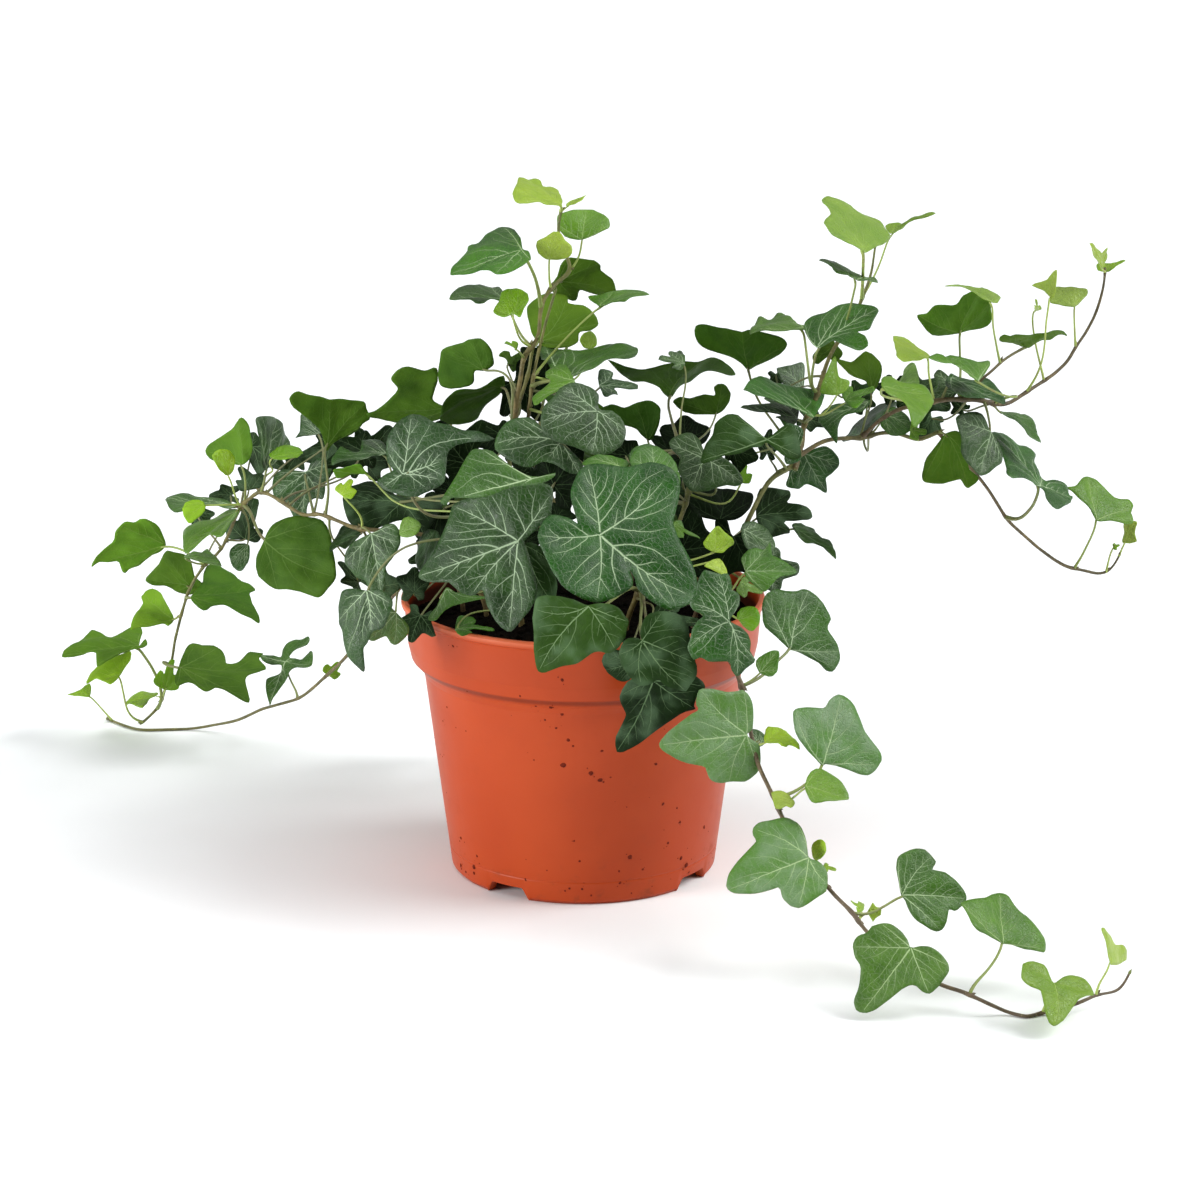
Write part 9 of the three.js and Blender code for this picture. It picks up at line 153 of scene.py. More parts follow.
    ('LC3', 'leaflet_left_08', 'stem_left_upper', 0, 0.4, 'T', (-69.83,6.64,111.74), (-0.302,-0.905,0.302), (0.142,-0.355,-0.924), (0.1,-0.2,6.2,1.6,7.8,2.5,9.1,3.7,10.1,5.2,10.8,7,10.9,7.8,10.7,8.6,9.1,10.7,7.6,13.6,4.5,15.1,3.8,17.8,3,19.1,1.5,20.6,-0.1,21.1,-0.8,20.5,-1.8,18.3,-3.4,11.8,-6.2,9.5,-8.1,7.4,-9.5,5,-10,2.2,-9.7,0.5,-9.1,-0.9,-8.1,-1.9,-7.5,-2.1,-5.1,-2.1,-2.2,-0.6), (0,20.9,10.6,7.9,-9.1,4.5,-8.1,-1.6), (-69.7,6.2,110.6,-69.8,6.6,111.7,-70.4,7.6,111.7,-73.2,11.7,113.1,-73.6,12.5,112.9,-73.5,14,111.4), 0.59),
    ('G15', 'leaflet_right_09', 'stem_right', 0, 1.1, 'U', (120.3,19.48,142.82), (0.62,0.769,0.153), (0.413,-0.154,-0.898), (-15.7,9.2,-13.9,7,-12.1,5.6,-1.8,0.6,0,0,2.5,0.1,3.7,0.4,4.5,0.9,4.8,1.8,2.8,13.6,3,14.4,3.5,15.4,5,17.2,5.1,18,4.3,18.6,2.8,19.2,0,19.8,-0.7,19.8,-1.6,18.7,-2.1,16.7,-2.5,16.2,-10.2,15.8,-14.5,14.6,-17,13.3,-17.4,12.6,-17.4,11.9,-16.8,10.3), (0,19.8,-17.1,12.5,5.1,18), (121.2,18.9,142,120.3,19.5,142.8,119.1,20.9,143.3,117.9,22,142.6), 0.59),
    ('LB1', 'leaflet_trailing_left_02', 'stem_left_upper', 0, 1.8, 'P', (-149.47,118.76,49.69), (0.141,-0.192,0.971), (-0.855,-0.519,0.021), (0.1,-0.4,2.8,-1.1,17.4,-3.1,18.6,-3.1,20.8,-2.6,22.1,-1.6,22.2,-0.9,21.2,1.8,19.2,4.2,17.3,5.1,15,5.5,13.8,6,5.1,13.8,2.4,15.7,0,16.9,-0.4,16.7,-0.3,14.7,-1.5,10.9,-1.9,7.4,-1.9,4.4,-2.4,4.2,-4,4,-4.1,3.7,-2.5,1.7), (0,16.7,20.2,2.8,-2.8,4.2), (-150.5,118.8,49.9,-149.5,118.8,49.7,-148.6,118.8,50.3,-146.4,117.4,52.1), 0.58),
    ('X3', 'leaflet_back_10', 'stem_right', 0, 0, 'I', (46.12,34.11,109.24), (-0.024,-0.615,0.788), (0.068,0.785,0.615), (-12.8,10.9,-12,11.6,-10.7,12,-7.4,12.5,-1.8,13.9,1.6,14.2,8.8,13.2,9.9,12.8,10.6,12.1,10.9,10.8,10.8,9.1,9.9,5.6,8.3,2.8,7.2,1.6,6,0.7,4.7,0.1,3.2,-0.2,0,-0.4,-5.3,0.4,-6.8,0.9,-9.3,2.4,-11.1,4.6,-11.8,6.1,-12.9,9.6), (0,13.7,-11.9,8,10.4,9.1), (46.2,34.7,109.7,47.3,32.3,104,47.2,28.5,99,46,23.8,95.2,44.2,18.3,92.6,42.1,12.4,91.5,40.1,6.4,92.1,38.3,0.6,94.8,37.3,-4.7,99.6), 0.58),
    ('X43', 'leaflet_back_11', 'stem_front', 0, 0.3, 'I', (39.18,49.08,113.76), (-0.149,-0.653,0.743), (-0.957,-0.095,-0.275), (0,0,0.9,-0.7,2.9,-4,3.8,-5.1,4.7,-5.3,7.5,-4.4,7.9,-4,8.1,-3.3,6.8,-0.4,7,0.6,11.9,6.4,12.3,7.2,12,8.1,11,9,9.8,9.4,6.3,9.9,5.2,10.5,4.3,11.7,2,16.1,1,17.1,-0.5,17.3,-1.5,16.9,-2,16.2,-3.7,11,-4.4,9.7,-5.3,9.2,-8.2,9.3,-9.3,9,-10.1,8.4,-10.4,7.6,-10.2,6.8,-6.2,1.1,-6,0.1,-7.2,-2.5,-6.9,-3.3,-5,-4.3,-4.2,-4.5,-3.4,-4.3,-0.9,-0.5), (0,17.3,-9.9,8.6,11.7,8.4,-7.1,-3,8,-3.8), (38,49,113.4,35,47.1,115.5,33.7,44.1,118.1,33.6,39.9,121,34.1,34.5,124.4,34.7,28.1,128.1,34.9,20.5,132.2,34.1,11.8,136.6,31.8,2,141.2), 0.58),
    ('LB4', 'leaflet_trailing_left_03', 'stem_left_trailing', 0, 0.9, 'T', (-110.43,133.59,29.38), (-0.421,-0.473,0.774), (-0.268,-0.75,-0.604), (-0.1,19.6,4.2,11.7,5,9.7,5.4,8.3,5.2,7.7,4.7,7.3,2.5,6.5,1.4,5.9,0.6,5,0.5,3.9,1,1.6,2,1.3,5.2,1.3,8,0.4,10.8,-1.3,13.9,-4.4,13.1,-4.6,9.8,-4.1,6.4,-3.5,3.5,-2.5,2.9,-2.6,2.7,-3.1,3.2,-5.6,3.1,-6.4,2.5,-8.1,1.6,-9.3,-0.5,-10.4,-3.7,-10,-6.1,-11.2,-7.2,-10.5,-8,-9.4,-8.2,-8.1,-7.7,-6.8,-3.5,-5.4,-2,-4.6,-1.1,-3.3,-0.9,-2.2,-1.4,-1.9,-3.8,-1.5,-6.7,-0.4,-7.3,-0.6,-9.9,-4,-10.3,-4.2,-11.2,-3.5,-12,-2,-12.6,0,-12.6,1.9,-12.2,2.5,-10.8,3,-9.1,3.2,-6.2,3.2,-4.6,4.1,-4.2,5.4,-4.3,7.9,-3.9,10.3,-3.2,11.9,-0.7,16.1,-0.4,17.6,-0.3,19.4), (0,19.3,13.4,-4.2,-7.4,-10,-11.7,-2), (-110.5,133.3,29.1,-109.8,131.9,26.7,-109,129.9,25,-107.1,125.2,23.1,-105.5,120.3,22.2,-104.6,116.4,20.6), 0.58),
    ('X21', 'leaflet_middle_06', 'stem_centre', 0, 0.3, 'I', (-37.77,-15.97,141.12), (0,-0.963,0.271), (-0.592,0.219,0.776), (0,0,1,-0.4,3.6,-3.6,4.4,-3.7,6.8,-2.7,7.2,-2.2,7.2,-1.6,5.3,0,5.5,0.7,11.2,4.9,12.7,6,13.2,6.8,13.2,7.3,12.3,8.3,11.4,8.7,10.6,8.8,6.4,8.5,5.1,9,4.2,10.3,2.2,15.4,1.1,16.4,-0.6,16.5,-1.7,16.1,-2.2,15.4,-3.6,10.2,-4.3,9,-5.3,8.7,-8.9,9.8,-9.6,9.7,-10.5,9.4,-11.2,8.9,-11.6,8.1,-11.3,7.3,-7.7,2.5,-6.9,1,-6.9,-0.1,-8.8,-3,-8.8,-3.5,-8.4,-4.1,-6,-5.1,-5,-5.2,-4,-5,-3,-3.9,-1,-0.8), (0,16.5,-10.8,9.2,12.5,8,-8.7,-3.7,7.2,-2.2), (-38.5,-15.7,142,-37.8,-16,141.1,-37.4,-14.9,139.6,-36.3,-13.8,138.8,-34.7,-12.8,138.3,-28.4,-9.7,137.6,-26.2,-8.6,137,-24.3,-7.5,136), 0.58),
    ('R10', 'leaflet_right_10', 'stem_right', 0, 2.8, 'T', (115.42,34.81,165.25), (0.48,-0.065,0.875), (-0.796,0.388,0.465), (0,14.3,2,14.5,3.5,14.1,5.2,12.5,5.3,11.7,3.8,8.3,3.5,4,3.2,2.8,2.2,0.7,1.3,-0.1,-0.5,-0.6,-3.4,-0.7,-11.3,0,-21,1.3,-23.3,1.9,-24.1,2.7,-22.8,3.9,-20.1,5.3,-13.2,8.3,-2.8,13.4), (0,14.3,4.2,7.6,-22.4,2.5), (114.8,35.1,165.6,114.6,26.9,161.7,115.7,15,154.5), 0.58),
    ('BK210', 'leaflet_trailing_right_04', 'stem_back_trailing', 0, 0, 'T', (18.18,119.54,19.28), (-0.067,-0.058,0.996), (-0.634,0.774,0.003), (0,0,-1.1,-0.4,-3.5,-3.2,-4.6,-4,-5.5,-4.1,-7.9,-2.5,-8.3,-1.5,-6.9,1.2,-6.9,2,-9.4,7.1,-9.6,7.8,-9.5,8.2,-8.7,9,-7.4,9.4,-4.9,9.5,-4.1,10,-3.5,11.1,-1.9,15.3,-0.9,16.3,0,16.4,0.9,16.3,1.9,15.3,4,11,4.9,9.9,5.8,9.2,10.1,7.9,10.5,7.3,10.7,6.5,7.8,0.3,7.7,-0.8,8.1,-4.5,7.7,-5.4,5.3,-6.2,4.3,-6.3,3.3,-5.9,2.5,-4.6,0.9,-0.9), (0,16.4,10.3,7.6,-9,8.8,8,-5,-8.3,-1.8), (17.4,120.5,19.3,19.9,115.7,12.4,22.6,111.8,8.8,24.5,109.9,7.6,26.8,108.1,7,29.6,106.5,7.1), 0.58),
    ('C5b', 'leaflet_top_04', 'stem_centre', 0, 1.5, 'T', (-2.41,-16.51,168.36), (-0.314,-0.165,0.935), (-0.9,-0.263,-0.349), (0,0,-6.8,1.6,-9.5,2.6,-11.3,3.6,-11.7,4.6,-11,5.7,-8.7,8,-7.8,8,-6.1,7.4,-3.9,5.9,-3.4,6.3,-3.8,12.9,-3.6,14.7,-3,15.4,-2,15.6,1.9,14.9,2.8,14.4,3.6,13.6,5.6,8,6.5,6.6,7.6,6,11.5,6.4,13.8,6.1,16.7,5.1,17,4.7,17.9,1.1,17.8,-0.5,16.4,-1.4,13.3,-1.6,8.8,-1.3), (0,15.3,15.6,5.7,-8.2,8), (-3.7,-16.3,168,-2.4,-16.5,168.4,-4.2,-15,165.7,-5.5,-12.8,162.6,-6.4,-10,159.2,-7.4,-6.8,156.2,-9.2,-3.3,154.3,-11.7,0.3,153.6,-14.6,3.5,153.7,-17.6,5.8,154.1), 0.58),
    ('D7', 'leaflet_right_11', 'stem_right', 0, 0.8, 'D', (69.57,4.71,114.47), (0.505,-0.069,0.861), (0.829,-0.239,-0.505), (-0.7,-1,-2.7,-1,-4.8,-0.6,-10,0.9,-14,3.1,-15.2,4.3,-14.9,5,-13.4,5.8,-8.9,7.7,-7.6,8.6,-8,9.4,-11,10.9,-11.5,11.7,-10.7,12.4,-5.7,14.6,-1.3,17.1,0,17.4,1.2,17.1,3.1,15.3,3.8,14.3,4.1,13.1,4.1,10.5,4.4,9.3,5.3,8.2,7.9,6.4,8.5,5.5,8.5,4.7,7.4,3.4,3.2,0.6,1.2,-0.4), (0,17.4,-15.6,5.2,7.1,6), (70.1,5.2,114.2,69.6,4.7,114.5,65.4,0.7,113.3,60.9,-4.6,113.3,58.7,-7.2,114.1,56.6,-9.4,115.4,52.5,-12.2,118.2), 0.58),
    ('X28', 'leaflet_middle_07', 'stem_right', 0, 0.1, 'I', (48.73,-19.06,117.69), (0,-0.963,0.271), (-0.423,-0.246,-0.872), (0,0,1,-0.4,3.8,-3.8,4.6,-3.9,5.4,-3.7,7.3,-2.5,7.4,-1.8,6.5,0.3,6.5,0.9,9.1,4.9,8.6,6,5,6.9,4.2,7.7,2.1,15.3,1.5,16,0.5,16.4,-0.9,16.2,-2.1,15.3,-4.6,11.4,-5.5,10.3,-6.6,9.7,-11.4,8.2,-12.1,7.3,-12.1,6.8,-11.9,6.1,-8.2,0.5,-8,-0.6,-8.7,-4,-8.3,-4.8,-5.8,-5.7,-4.7,-5.8,-3.8,-5.5,-2.8,-4.3,-0.9,-0.9), (0,16.4,-11.6,8,8.8,5.8,-8.6,-4.4,7.4,-2.3), (48.2,-19.4,116.6,48.7,-19.1,117.7,49.1,-17.8,116.9,51.3,-14.1,118.1,52.5,-12.2,118.2), 0.57),
    ('BK211', 'leaflet_trailing_right_05', 'stem_back_trailing', 0, 0.2, 'T', (28.75,129.42,8.32), (-0.139,0.019,0.99), (0.033,0.999,-0.015), (0,0,-1.2,-0.7,-3.6,-3.8,-4.8,-4.8,-5.8,-5,-6.8,-4.7,-9.2,-3.5,-9.6,-2.8,-9.4,-2.2,-7.7,0.5,-7.6,1.5,-8.2,2.8,-10.9,7.1,-11,7.8,-10.7,8.6,-9.7,9.3,-8.5,9.5,-5.4,9,-4.4,9.4,-3.7,10.4,-2,14.6,-1,15.5,0.5,15.6,1.5,15.2,2,14.6,3.5,10,4.2,8.8,5.1,8.4,8.2,8.9,9.2,8.7,10.2,8.1,10.5,7.3,10.3,6.6,7.6,2.5,7,1.2,7,0.2,8.6,-2.7,8.2,-3.6,6,-4.6,5,-4.8,4.1,-4.6,3.1,-3.6,1.1,-0.6), (0,15.7,9.9,8.3,-10.4,8.9,8.5,-3.2,-9.5,-3), (28.8,130.6,8.3,28.7,129.4,8.3,29.5,129.3,5.9,33.1,128.4,3.1,35,128,1.1), 0.57),
    ('LB2b', 'leaflet_trailing_left_04', 'stem_left_upper', 0, 2.4, 'P', (-171.32,130.24,25.55), (-0.449,-0.185,0.874), (-0.819,0.477,-0.319), (14.9,3.4,14.1,2.4,12.7,1.4,8.5,-0.5,4.9,-0.8,0.3,-0.6,-4.3,-1,-5.3,-1,-5.9,-0.7,-6,-0.3,-5.7,1,-4.7,3,0.9,11.7,1.2,12.7,1,14,0.5,15.1,-0.5,15.9,-0.5,16.4,1.8,18,4.9,18.9,6.7,18.9,7.1,18.5,7.9,16.7,9.8,15.7,10.3,15.1,11,11.1,14.3,5.6,14.9,4.4), (0,16.6,-5.5,1.1,13.1,2.1), (-172,130.6,25.3,-169.7,135.3,10.1,-168.5,136.4,7.5,-166.8,137.6,5.5,-164.4,139,4.5), 0.57),
    ('X23', 'leaflet_middle_08', 'stem_front', 0, 0, 'I', (31.55,-29.17,115.51), (-0.002,-0.95,0.311), (0.996,0.025,0.083), (0,0,0.8,-0.6,3.3,-4.2,4.2,-4.4,5,-4.3,7.1,-3.5,7.4,-2.8,6.4,-0.1,6.5,0.9,10.4,6.5,10.6,7.2,10.3,7.9,9.3,8.5,8.2,8.7,5.3,8.6,4.4,9.1,3.8,10.3,2.2,15.2,1.6,15.9,0.5,16.3,-1,16.2,-2.2,15.2,-4.6,10.5,-5.5,9.2,-6.7,8.5,-11.4,7.4,-12.5,6.3,-12.5,5.8,-12,5.1,-6.2,0.4,-5.9,-0.4,-7,-2.6,-6.9,-3.1,-6.5,-3.4,-4,-4.2,-3.2,-4,-0.8,-0.5), (0,16.3,-11.9,6.9,10,8.2,-7,-3,7.3,-3.2), (32.7,-29.1,115.6,31.6,-29.2,115.5,31.4,-28.3,114.5,31,-27.2,114,28.2,-21.7,114.5,26.7,-18.8,114.1), 0.57),
    ('LC1', 'leaflet_left_09', 'stem_centre', 0, 0.5, 'T', (-66.03,29.26,133.49), (-0.007,-0.059,0.998), (-0.837,-0.546,-0.038), (-0.4,21,2.9,19.3,7,16.3,10.4,13.2,12.6,10.5,12.5,9.9,6.7,8.8,5.4,8.2,5.1,7.4,6.4,6.1,13.8,1.2,15.2,-0.1,16.9,-2.7,17,-3.6,16.3,-4.2,15.1,-4.6,11.8,-4.8,8.2,-4.1,4.5,-2.9,0.7,-1.3,-0.9,-0.4,-1.8,0.5,-1.8,1.2,-0.2,2.7,0.4,3.6,-0.7,8.3,0.6,15.4,0.6,16.4,-0.7,20.5), (0,20.9,16.7,-3.4,12,10.6), (-66.7,29.5,133.5,-66,29.3,133.5,-63.9,24.3,127.5,-60.9,18.6,124.2,-56.6,12.6,122.8,-51,6.6,123.1,-38.4,-4.5,125.2,-32.2,-8.9,126,-26,-12.1,126.6), 0.56),
    ('LT1', 'leaflet_left_10', 'stem_left_upper', 0, 1.1, 'U', (-117.3,63.48,121.19), (0.617,0.778,0.118), (-0.784,0.594,0.179), (-17.8,1.1,-17.6,0.1,-15.5,-2,-14.3,-2.8,-11.7,-3.6,-9,-3.9,-6.2,-3.5,-3.6,-2.7,-1.6,-1.6,0,0,0.9,2.4,3.2,13.6,3.1,14.5,2.8,15.3,1.5,16.3,-0.1,16.5,-2.1,15.9,-3.1,15.2,-11.5,5.9,-12.9,4.6,-17.2,1.9), (0,16.5,-17.5,2,1.9,2.3), (-117.5,63.4,122.7,-116.8,63.5,117.9,-116.7,63.9,114.5,-116.4,63.6,113,-116.9,64.2,111,-117.1,64.2,107.6), 0.56),
    ('G19', 'leaflet_right_12', 'stem_right', 0, 1.4, 'T', (128.55,1.13,164.48), (0.468,-0.113,0.876), (-0.88,-0.149,0.451), (-1,19.2,1.2,17.9,4.5,15.6,10.1,10.6,11.4,8.9,13.6,1.2,14.2,-0.3,15.1,-1.8,16.6,-3.3,21.6,-7,21.8,-7.6,21.4,-7.9,18.7,-7.6,8.6,-3.9,0.2,-0.3,-1.7,0.8,-2.7,1.7,-2.2,2.4,2.5,4.1,4.2,5.7,4.6,6.7,4.4,7.9,3.1,9.5,-1.1,13.3,-2.4,14.9,-2.9,16.4,-2.8,18,-2.3,19.1), (0,18.2,10.1,10.6,19.3,-7.3), (127.5,1,165,132.9,1.4,161.4,137.2,3.1,159.2,140.4,5.8,158,142.3,9.4,157.3,142.9,13.4,156.7,142.1,17.7,155.8,140,22,154.2,136.5,26.1,151.4), 0.56),
    ('X24', 'leaflet_middle_09', 'stem_centre', 0, 0.1, 'I', (-22.83,21.2,160.12), (0,-0.963,0.271), (0.58,-0.221,-0.784), (0,0,1.2,-0.5,4.5,-3.8,5.4,-3.8,6.1,-3.4,7.9,-1.9,8.1,-1.2,7.7,-0.3,5.8,0.8,5.7,1.4,10.1,5.7,10.4,6.4,9.9,7.5,9,8.2,8.3,8.3,5,7.9,4,8.3,3.3,9.6,1.8,14.9,1.3,15.6,0.4,16,-0.9,15.9,-1.8,14.9,-3.4,9.9,-4.2,8.7,-5.2,8.3,-8.7,8.7,-9.3,8.6,-10.3,7.9,-10.8,7.2,-10.8,6.7,-10.5,6,-6.9,2.3,-6.2,1.2,-6.3,0.5,-8.1,-1.1,-8.5,-2.1,-8.2,-2.8,-6.3,-4.2,-5.4,-4.6,-4.5,-4.5,-3.4,-3.6,-1.1,-0.7), (0,16,-10.3,7.9,9.9,7.5,-8.5,-2.3,8,-1.5), (-22.1,20.9,159.2,-22.6,14.9,155.4,-22.5,3,148.5,-22.8,-2.5,145), 0.55),
    ('X26', 'leaflet_middle_10', 'stem_centre', 0, 0.1, 'I', (-47.41,32.1,113.77), (-0.458,-0.796,0.397), (-0.311,-0.274,-0.91), (0,0,1,-0.7,3.3,-3.5,4.4,-4.4,5.3,-4.6,6.2,-4.3,8.2,-3,8.4,-2.1,7.1,0.8,7,1.7,9.1,7.6,8.8,8.3,7.9,8.9,4.5,8.9,3.8,9.2,3.2,10.2,1.8,14,0.9,14.9,0,15,-0.8,14.9,-1.8,14,-3.8,10.2,-4.5,9.2,-5.4,8.7,-9.3,7.9,-10.1,7.2,-10.3,6.5,-10,5.8,-5.8,0.9,-5.7,0.1,-6.7,-2.1,-6.6,-2.7,-6.3,-3,-4,-4,-3.3,-3.8,-0.9,-0.5), (0,15,-9.8,7.5,8.5,8.6,-6.7,-2.5,8.4,-2.6), (-47.8,31.8,112.7,-33,4,125.6,-25.3,-10,130.7), 0.55),
    ('D9', 'leaflet_right_13', 'stem_right', 0, 0.5, 'T', (73.18,19.41,135.76), (0.27,-0.777,0.568), (0.519,-0.379,-0.766), (0,-0.3,-7.1,0.7,-8.1,1.1,-8.7,1.8,-9.6,3.5,-9.9,6.8,-9.7,7.9,-9.3,8.8,-8.4,9.4,-4.9,10.4,-2.6,10.6,-2,11,-0.5,14.5,0.1,15.2,0.7,15,1.3,14.5,4.4,10.2,5.1,9.6,6.1,9.5,8.2,9.9,9.1,9.8,11,8.5,11.8,7.7,12.1,6.9,11.7,6.2,9,4.2,7.7,2.6,6.9,1,6.7,-1,6.5,-1.4,5.1,-1.7,3.3,-1.5), (0,14.9,-9,8.7,11.7,6.9,6.5,-1.2), (73.1,18.8,135,73.2,19.4,135.8,71.2,2.3,142.3), 0.55),
    ('X29', 'leaflet_back_12', 'stem_left_upper', 0, 0, 'D', (-74.87,63.4,122.2), (-0.17,0.972,-0.162), (0.567,0.231,0.79), (0,0,-0.9,-0.6,-3.7,-4.2,-4.6,-4.4,-7.1,-3.3,-7.5,-3,-7.7,-2.3,-7.4,-1.7,-6.1,0.1,-6.1,0.9,-10,5.7,-10.3,6.4,-10.1,7.1,-9.2,7.8,-8.2,8.1,-5.1,7.8,-4.2,8.3,-3.5,9.5,-1.9,14.2,-1.4,14.8,-0.5,15.2,0.9,15.1,1.9,14.2,3.1,9.6,3.7,8.5,4.5,8.2,7.9,8.8,8.9,8.3,9.5,7.4,9.4,6.7,6.1,1.1,6.1,0.1,7.5,-2.4,7.5,-2.9,7.2,-3.5,5.2,-4.4,4.4,-4.6,3.5,-4.4,0.9,-0.6), (0,15.2,8.9,8.3,-9.8,7.4,7.4,-3.1,-7.6,-2.8), (-74.2,63.7,123.1,-78.6,62.2,119.3,-83,60.1,117,-87.5,57.6,115.8,-91.7,54.8,115.3,-98.7,49.5,114.8,-101.1,47.4,114.1,-102.7,46,112.5), 0.55),
    ('LC5x', 'leaflet_left_11', 'stem_left_upper', 0, 0.2, 'D', (-73.64,17.05,109.16), (-0.538,-0.075,0.84), (-0.812,0.315,-0.492), (-0.2,14.3,1.5,14.8,3.7,15,12.1,14.3,13.7,13.9,14.6,13.1,14.5,12.1,13.8,10.9,12.6,9.5,8.6,5.9,2.6,1.4,0,0,-2,-0.5,-3.6,-0.5,-8.7,1.4,-9.4,2.1,-9.4,3.1,-8.2,4.4,-2.2,9.3,-1.5,10.8,-1,13.4), (0,14.3,10.5,7.7), (-74.8,16.9,108.4,-73.6,17,109.2,-73.5,17,108.8,-73.5,14,111.4), 0.54),
    ('C6', 'leaflet_front_08', 'stem_front', 0, 0.8, 'T', (21.91,-50.39,144.09), (0.101,-0.704,0.704), (0.007,0.708,0.707), (-7.3,7.6,-7.2,8.7,-6.5,10.6,-5.4,12,-4.7,12.4,-2.4,13.3,-0.8,13.7,0,13.6,1.6,13,3.2,12,4.5,10.7,7.8,6.4,8.4,4.2,8,1.6,7.6,0.5,6.1,-1.3,3.8,-2.7,-0.1,-3.4,-2.2,-3.5,-3.8,-3.2,-4.8,-2.4,-5.9,0,-7,4.5), (0,13.6,-7,8.7,8.2,5.3), (21.9,-50.1,144.4,21.9,-50.4,144.1,22.4,-48.1,140.4,22.6,-44.4,136.4,22.2,-30,123.4,22.7,-25.4,119.5,24.3,-21.6,116.4,26.7,-18.8,114.1), 0.54),
    ('G8', 'leaflet_right_14', 'stem_right', 0, 1, 'T', (138.67,28.9,148.14), (0.535,-0.075,0.841), (0.795,-0.291,-0.532), (0,0,-1.6,0.3,-8.5,3.5,-15.8,6,-17.1,6.9,-17.1,7.9,-16.2,8.8,-13.1,10.7,-4.5,14.7,-1.1,17.4,0,17.7,1.7,17.3,3.7,16.4,5.3,15.2,6.1,14.1,5.6,12.9,2.3,10.2,1.1,8.9,0.7,7.6,0.6,6.3,0.7,0.4), (0,17.7,-20.6,8.3,5.1,9.8), (140.1,29,147.2,138.7,28.9,148.1,137.8,28.3,148.7,136.8,27,149.9,136.5,26.1,151.4), 0.54),
    ('M3', 'leaflet_middle_11', 'stem_front', 0, 0.1, 'U', (21.56,22.13,139.47), (0.392,0.896,0.207), (-0.233,-0.121,0.965), (14.7,12.3,13.9,13,12.6,13.7,9.7,14.5,8.5,14.2,6.4,13,5.3,12.7,4,13,0,14.5,-3.5,14.7,-5.3,14.3,-6.5,13.5,-7.3,12.4,-7.5,10.9,-6.7,7.9,-5.5,5.5,-3.2,2.2,-1.9,0.7,-0.7,0,0.3,0.4,3.4,4.2,4.6,5,8.7,6.8,12,7.6,12.8,8.1,14.3,10.1,14.8,11.3), (0,14.5,14,12.2,-7.3,9.7), (21.7,21.7,141.1,21.6,22.1,139.5,21.9,20.1,138.3,22.6,17.4,137.7,23.7,14.5,137.8,28.5,5.9,140.1,31.8,2,141.2), 0.54),
    ('X31', 'leaflet_left_12', 'stem_left_upper', 0, 0.1, 'D', (-87.51,72.13,126.91), (-0.198,-0.916,0.349), (-0.193,-0.312,-0.93), (0,0,0.8,-0.4,3.1,-3.3,3.8,-3.4,5.7,-2.5,6,-2,6,-1.4,4.5,0,4.7,0.7,9.3,4.6,10.5,5.7,10.9,6.4,10.6,7.2,9.3,8.1,5.4,8.2,4.3,8.6,3.5,9.6,1.7,13.3,0.8,14.2,-0.4,14.3,-1.3,14,-1.7,13.4,-3.2,9.1,-3.9,8,-4.8,7.6,-8.3,7.8,-9.2,7.3,-9.7,6.3,-9.5,5.7,-5.5,1.1,-5.5,0.4,-7.1,-1.3,-7.1,-2,-6.8,-2.6,-4.5,-3.8,-3.7,-3.7,-0.9,-0.5), (0,14.3,-9.2,7.3,10.3,7.5,-7.1,-2,6,-2), (-87.7,71.8,125.8,-94,65.2,123.3,-99.1,60.7,120.9,-105.1,55.3,116.9,-108.4,52,114.1), 0.53),
    ('G3', 'leaflet_right_15', 'stem_right', 0, 1.3, 'U', (148.79,41.35,166.93), (-0.164,0.544,0.823), (-0.598,-0.719,0.355), (0.5,17.4,-0.1,18.8,-1.1,19.7,-2.7,20.1,-3,19.6,-3.1,16.2,-3.6,15.9,-5,15.7,-5.6,15.2,-7,9.6,-9.1,5.6,-9.9,4.6,-10.7,4.1,-13.3,3.8,-14.7,3.2,-15.1,2.8,-15.3,1.9,-15,0.2,-12.9,-5.5,-12.6,-5.3,-12.3,-2.8,-11.8,-2,-10.9,-2,-8.4,-2.8,-7.4,-2.8,-6.9,-2.1,-6.2,-0.1,-5.5,0.6,-4.3,0.4,-1.3,-0.6,-0.2,-0.3,0.3,0.9,0.4,2.8,0.7,15.4), (0,18.2,-13.4,-4.7,-10.4,5.4), (149.5,40.1,167.9,148.8,41.4,166.9,146.2,33,168.4), 0.53),
    ('G2', 'leaflet_right_16', 'stem_right', 0, 2.2, 'T', (134.3,16.26,187.26), (0.364,-0.073,0.928), (-0.93,0.021,0.367), (0,17,1.9,16,5.1,13.6,10.9,8.7,11.9,7.3,12.1,5.2,12.5,4,18.2,-2.2,18.2,-3.5,15.5,-3.8,11,-3.4,2.8,-1.9,1.1,-1.2,0.4,-0.3,0.1,0.7,0,2.9,0.3,4.1,1.2,6.3,3.8,8.6,4.1,9.7,3.2,11.7,0.1,16.2), (0,17,14,7.5,16.7,-3.5), (134,17.8,187.5,134.3,16.3,187.3,134.3,16.9,184.6,134.8,19.7,179,136.9,24.8,170.4,138.3,26.7,165), 0.53),
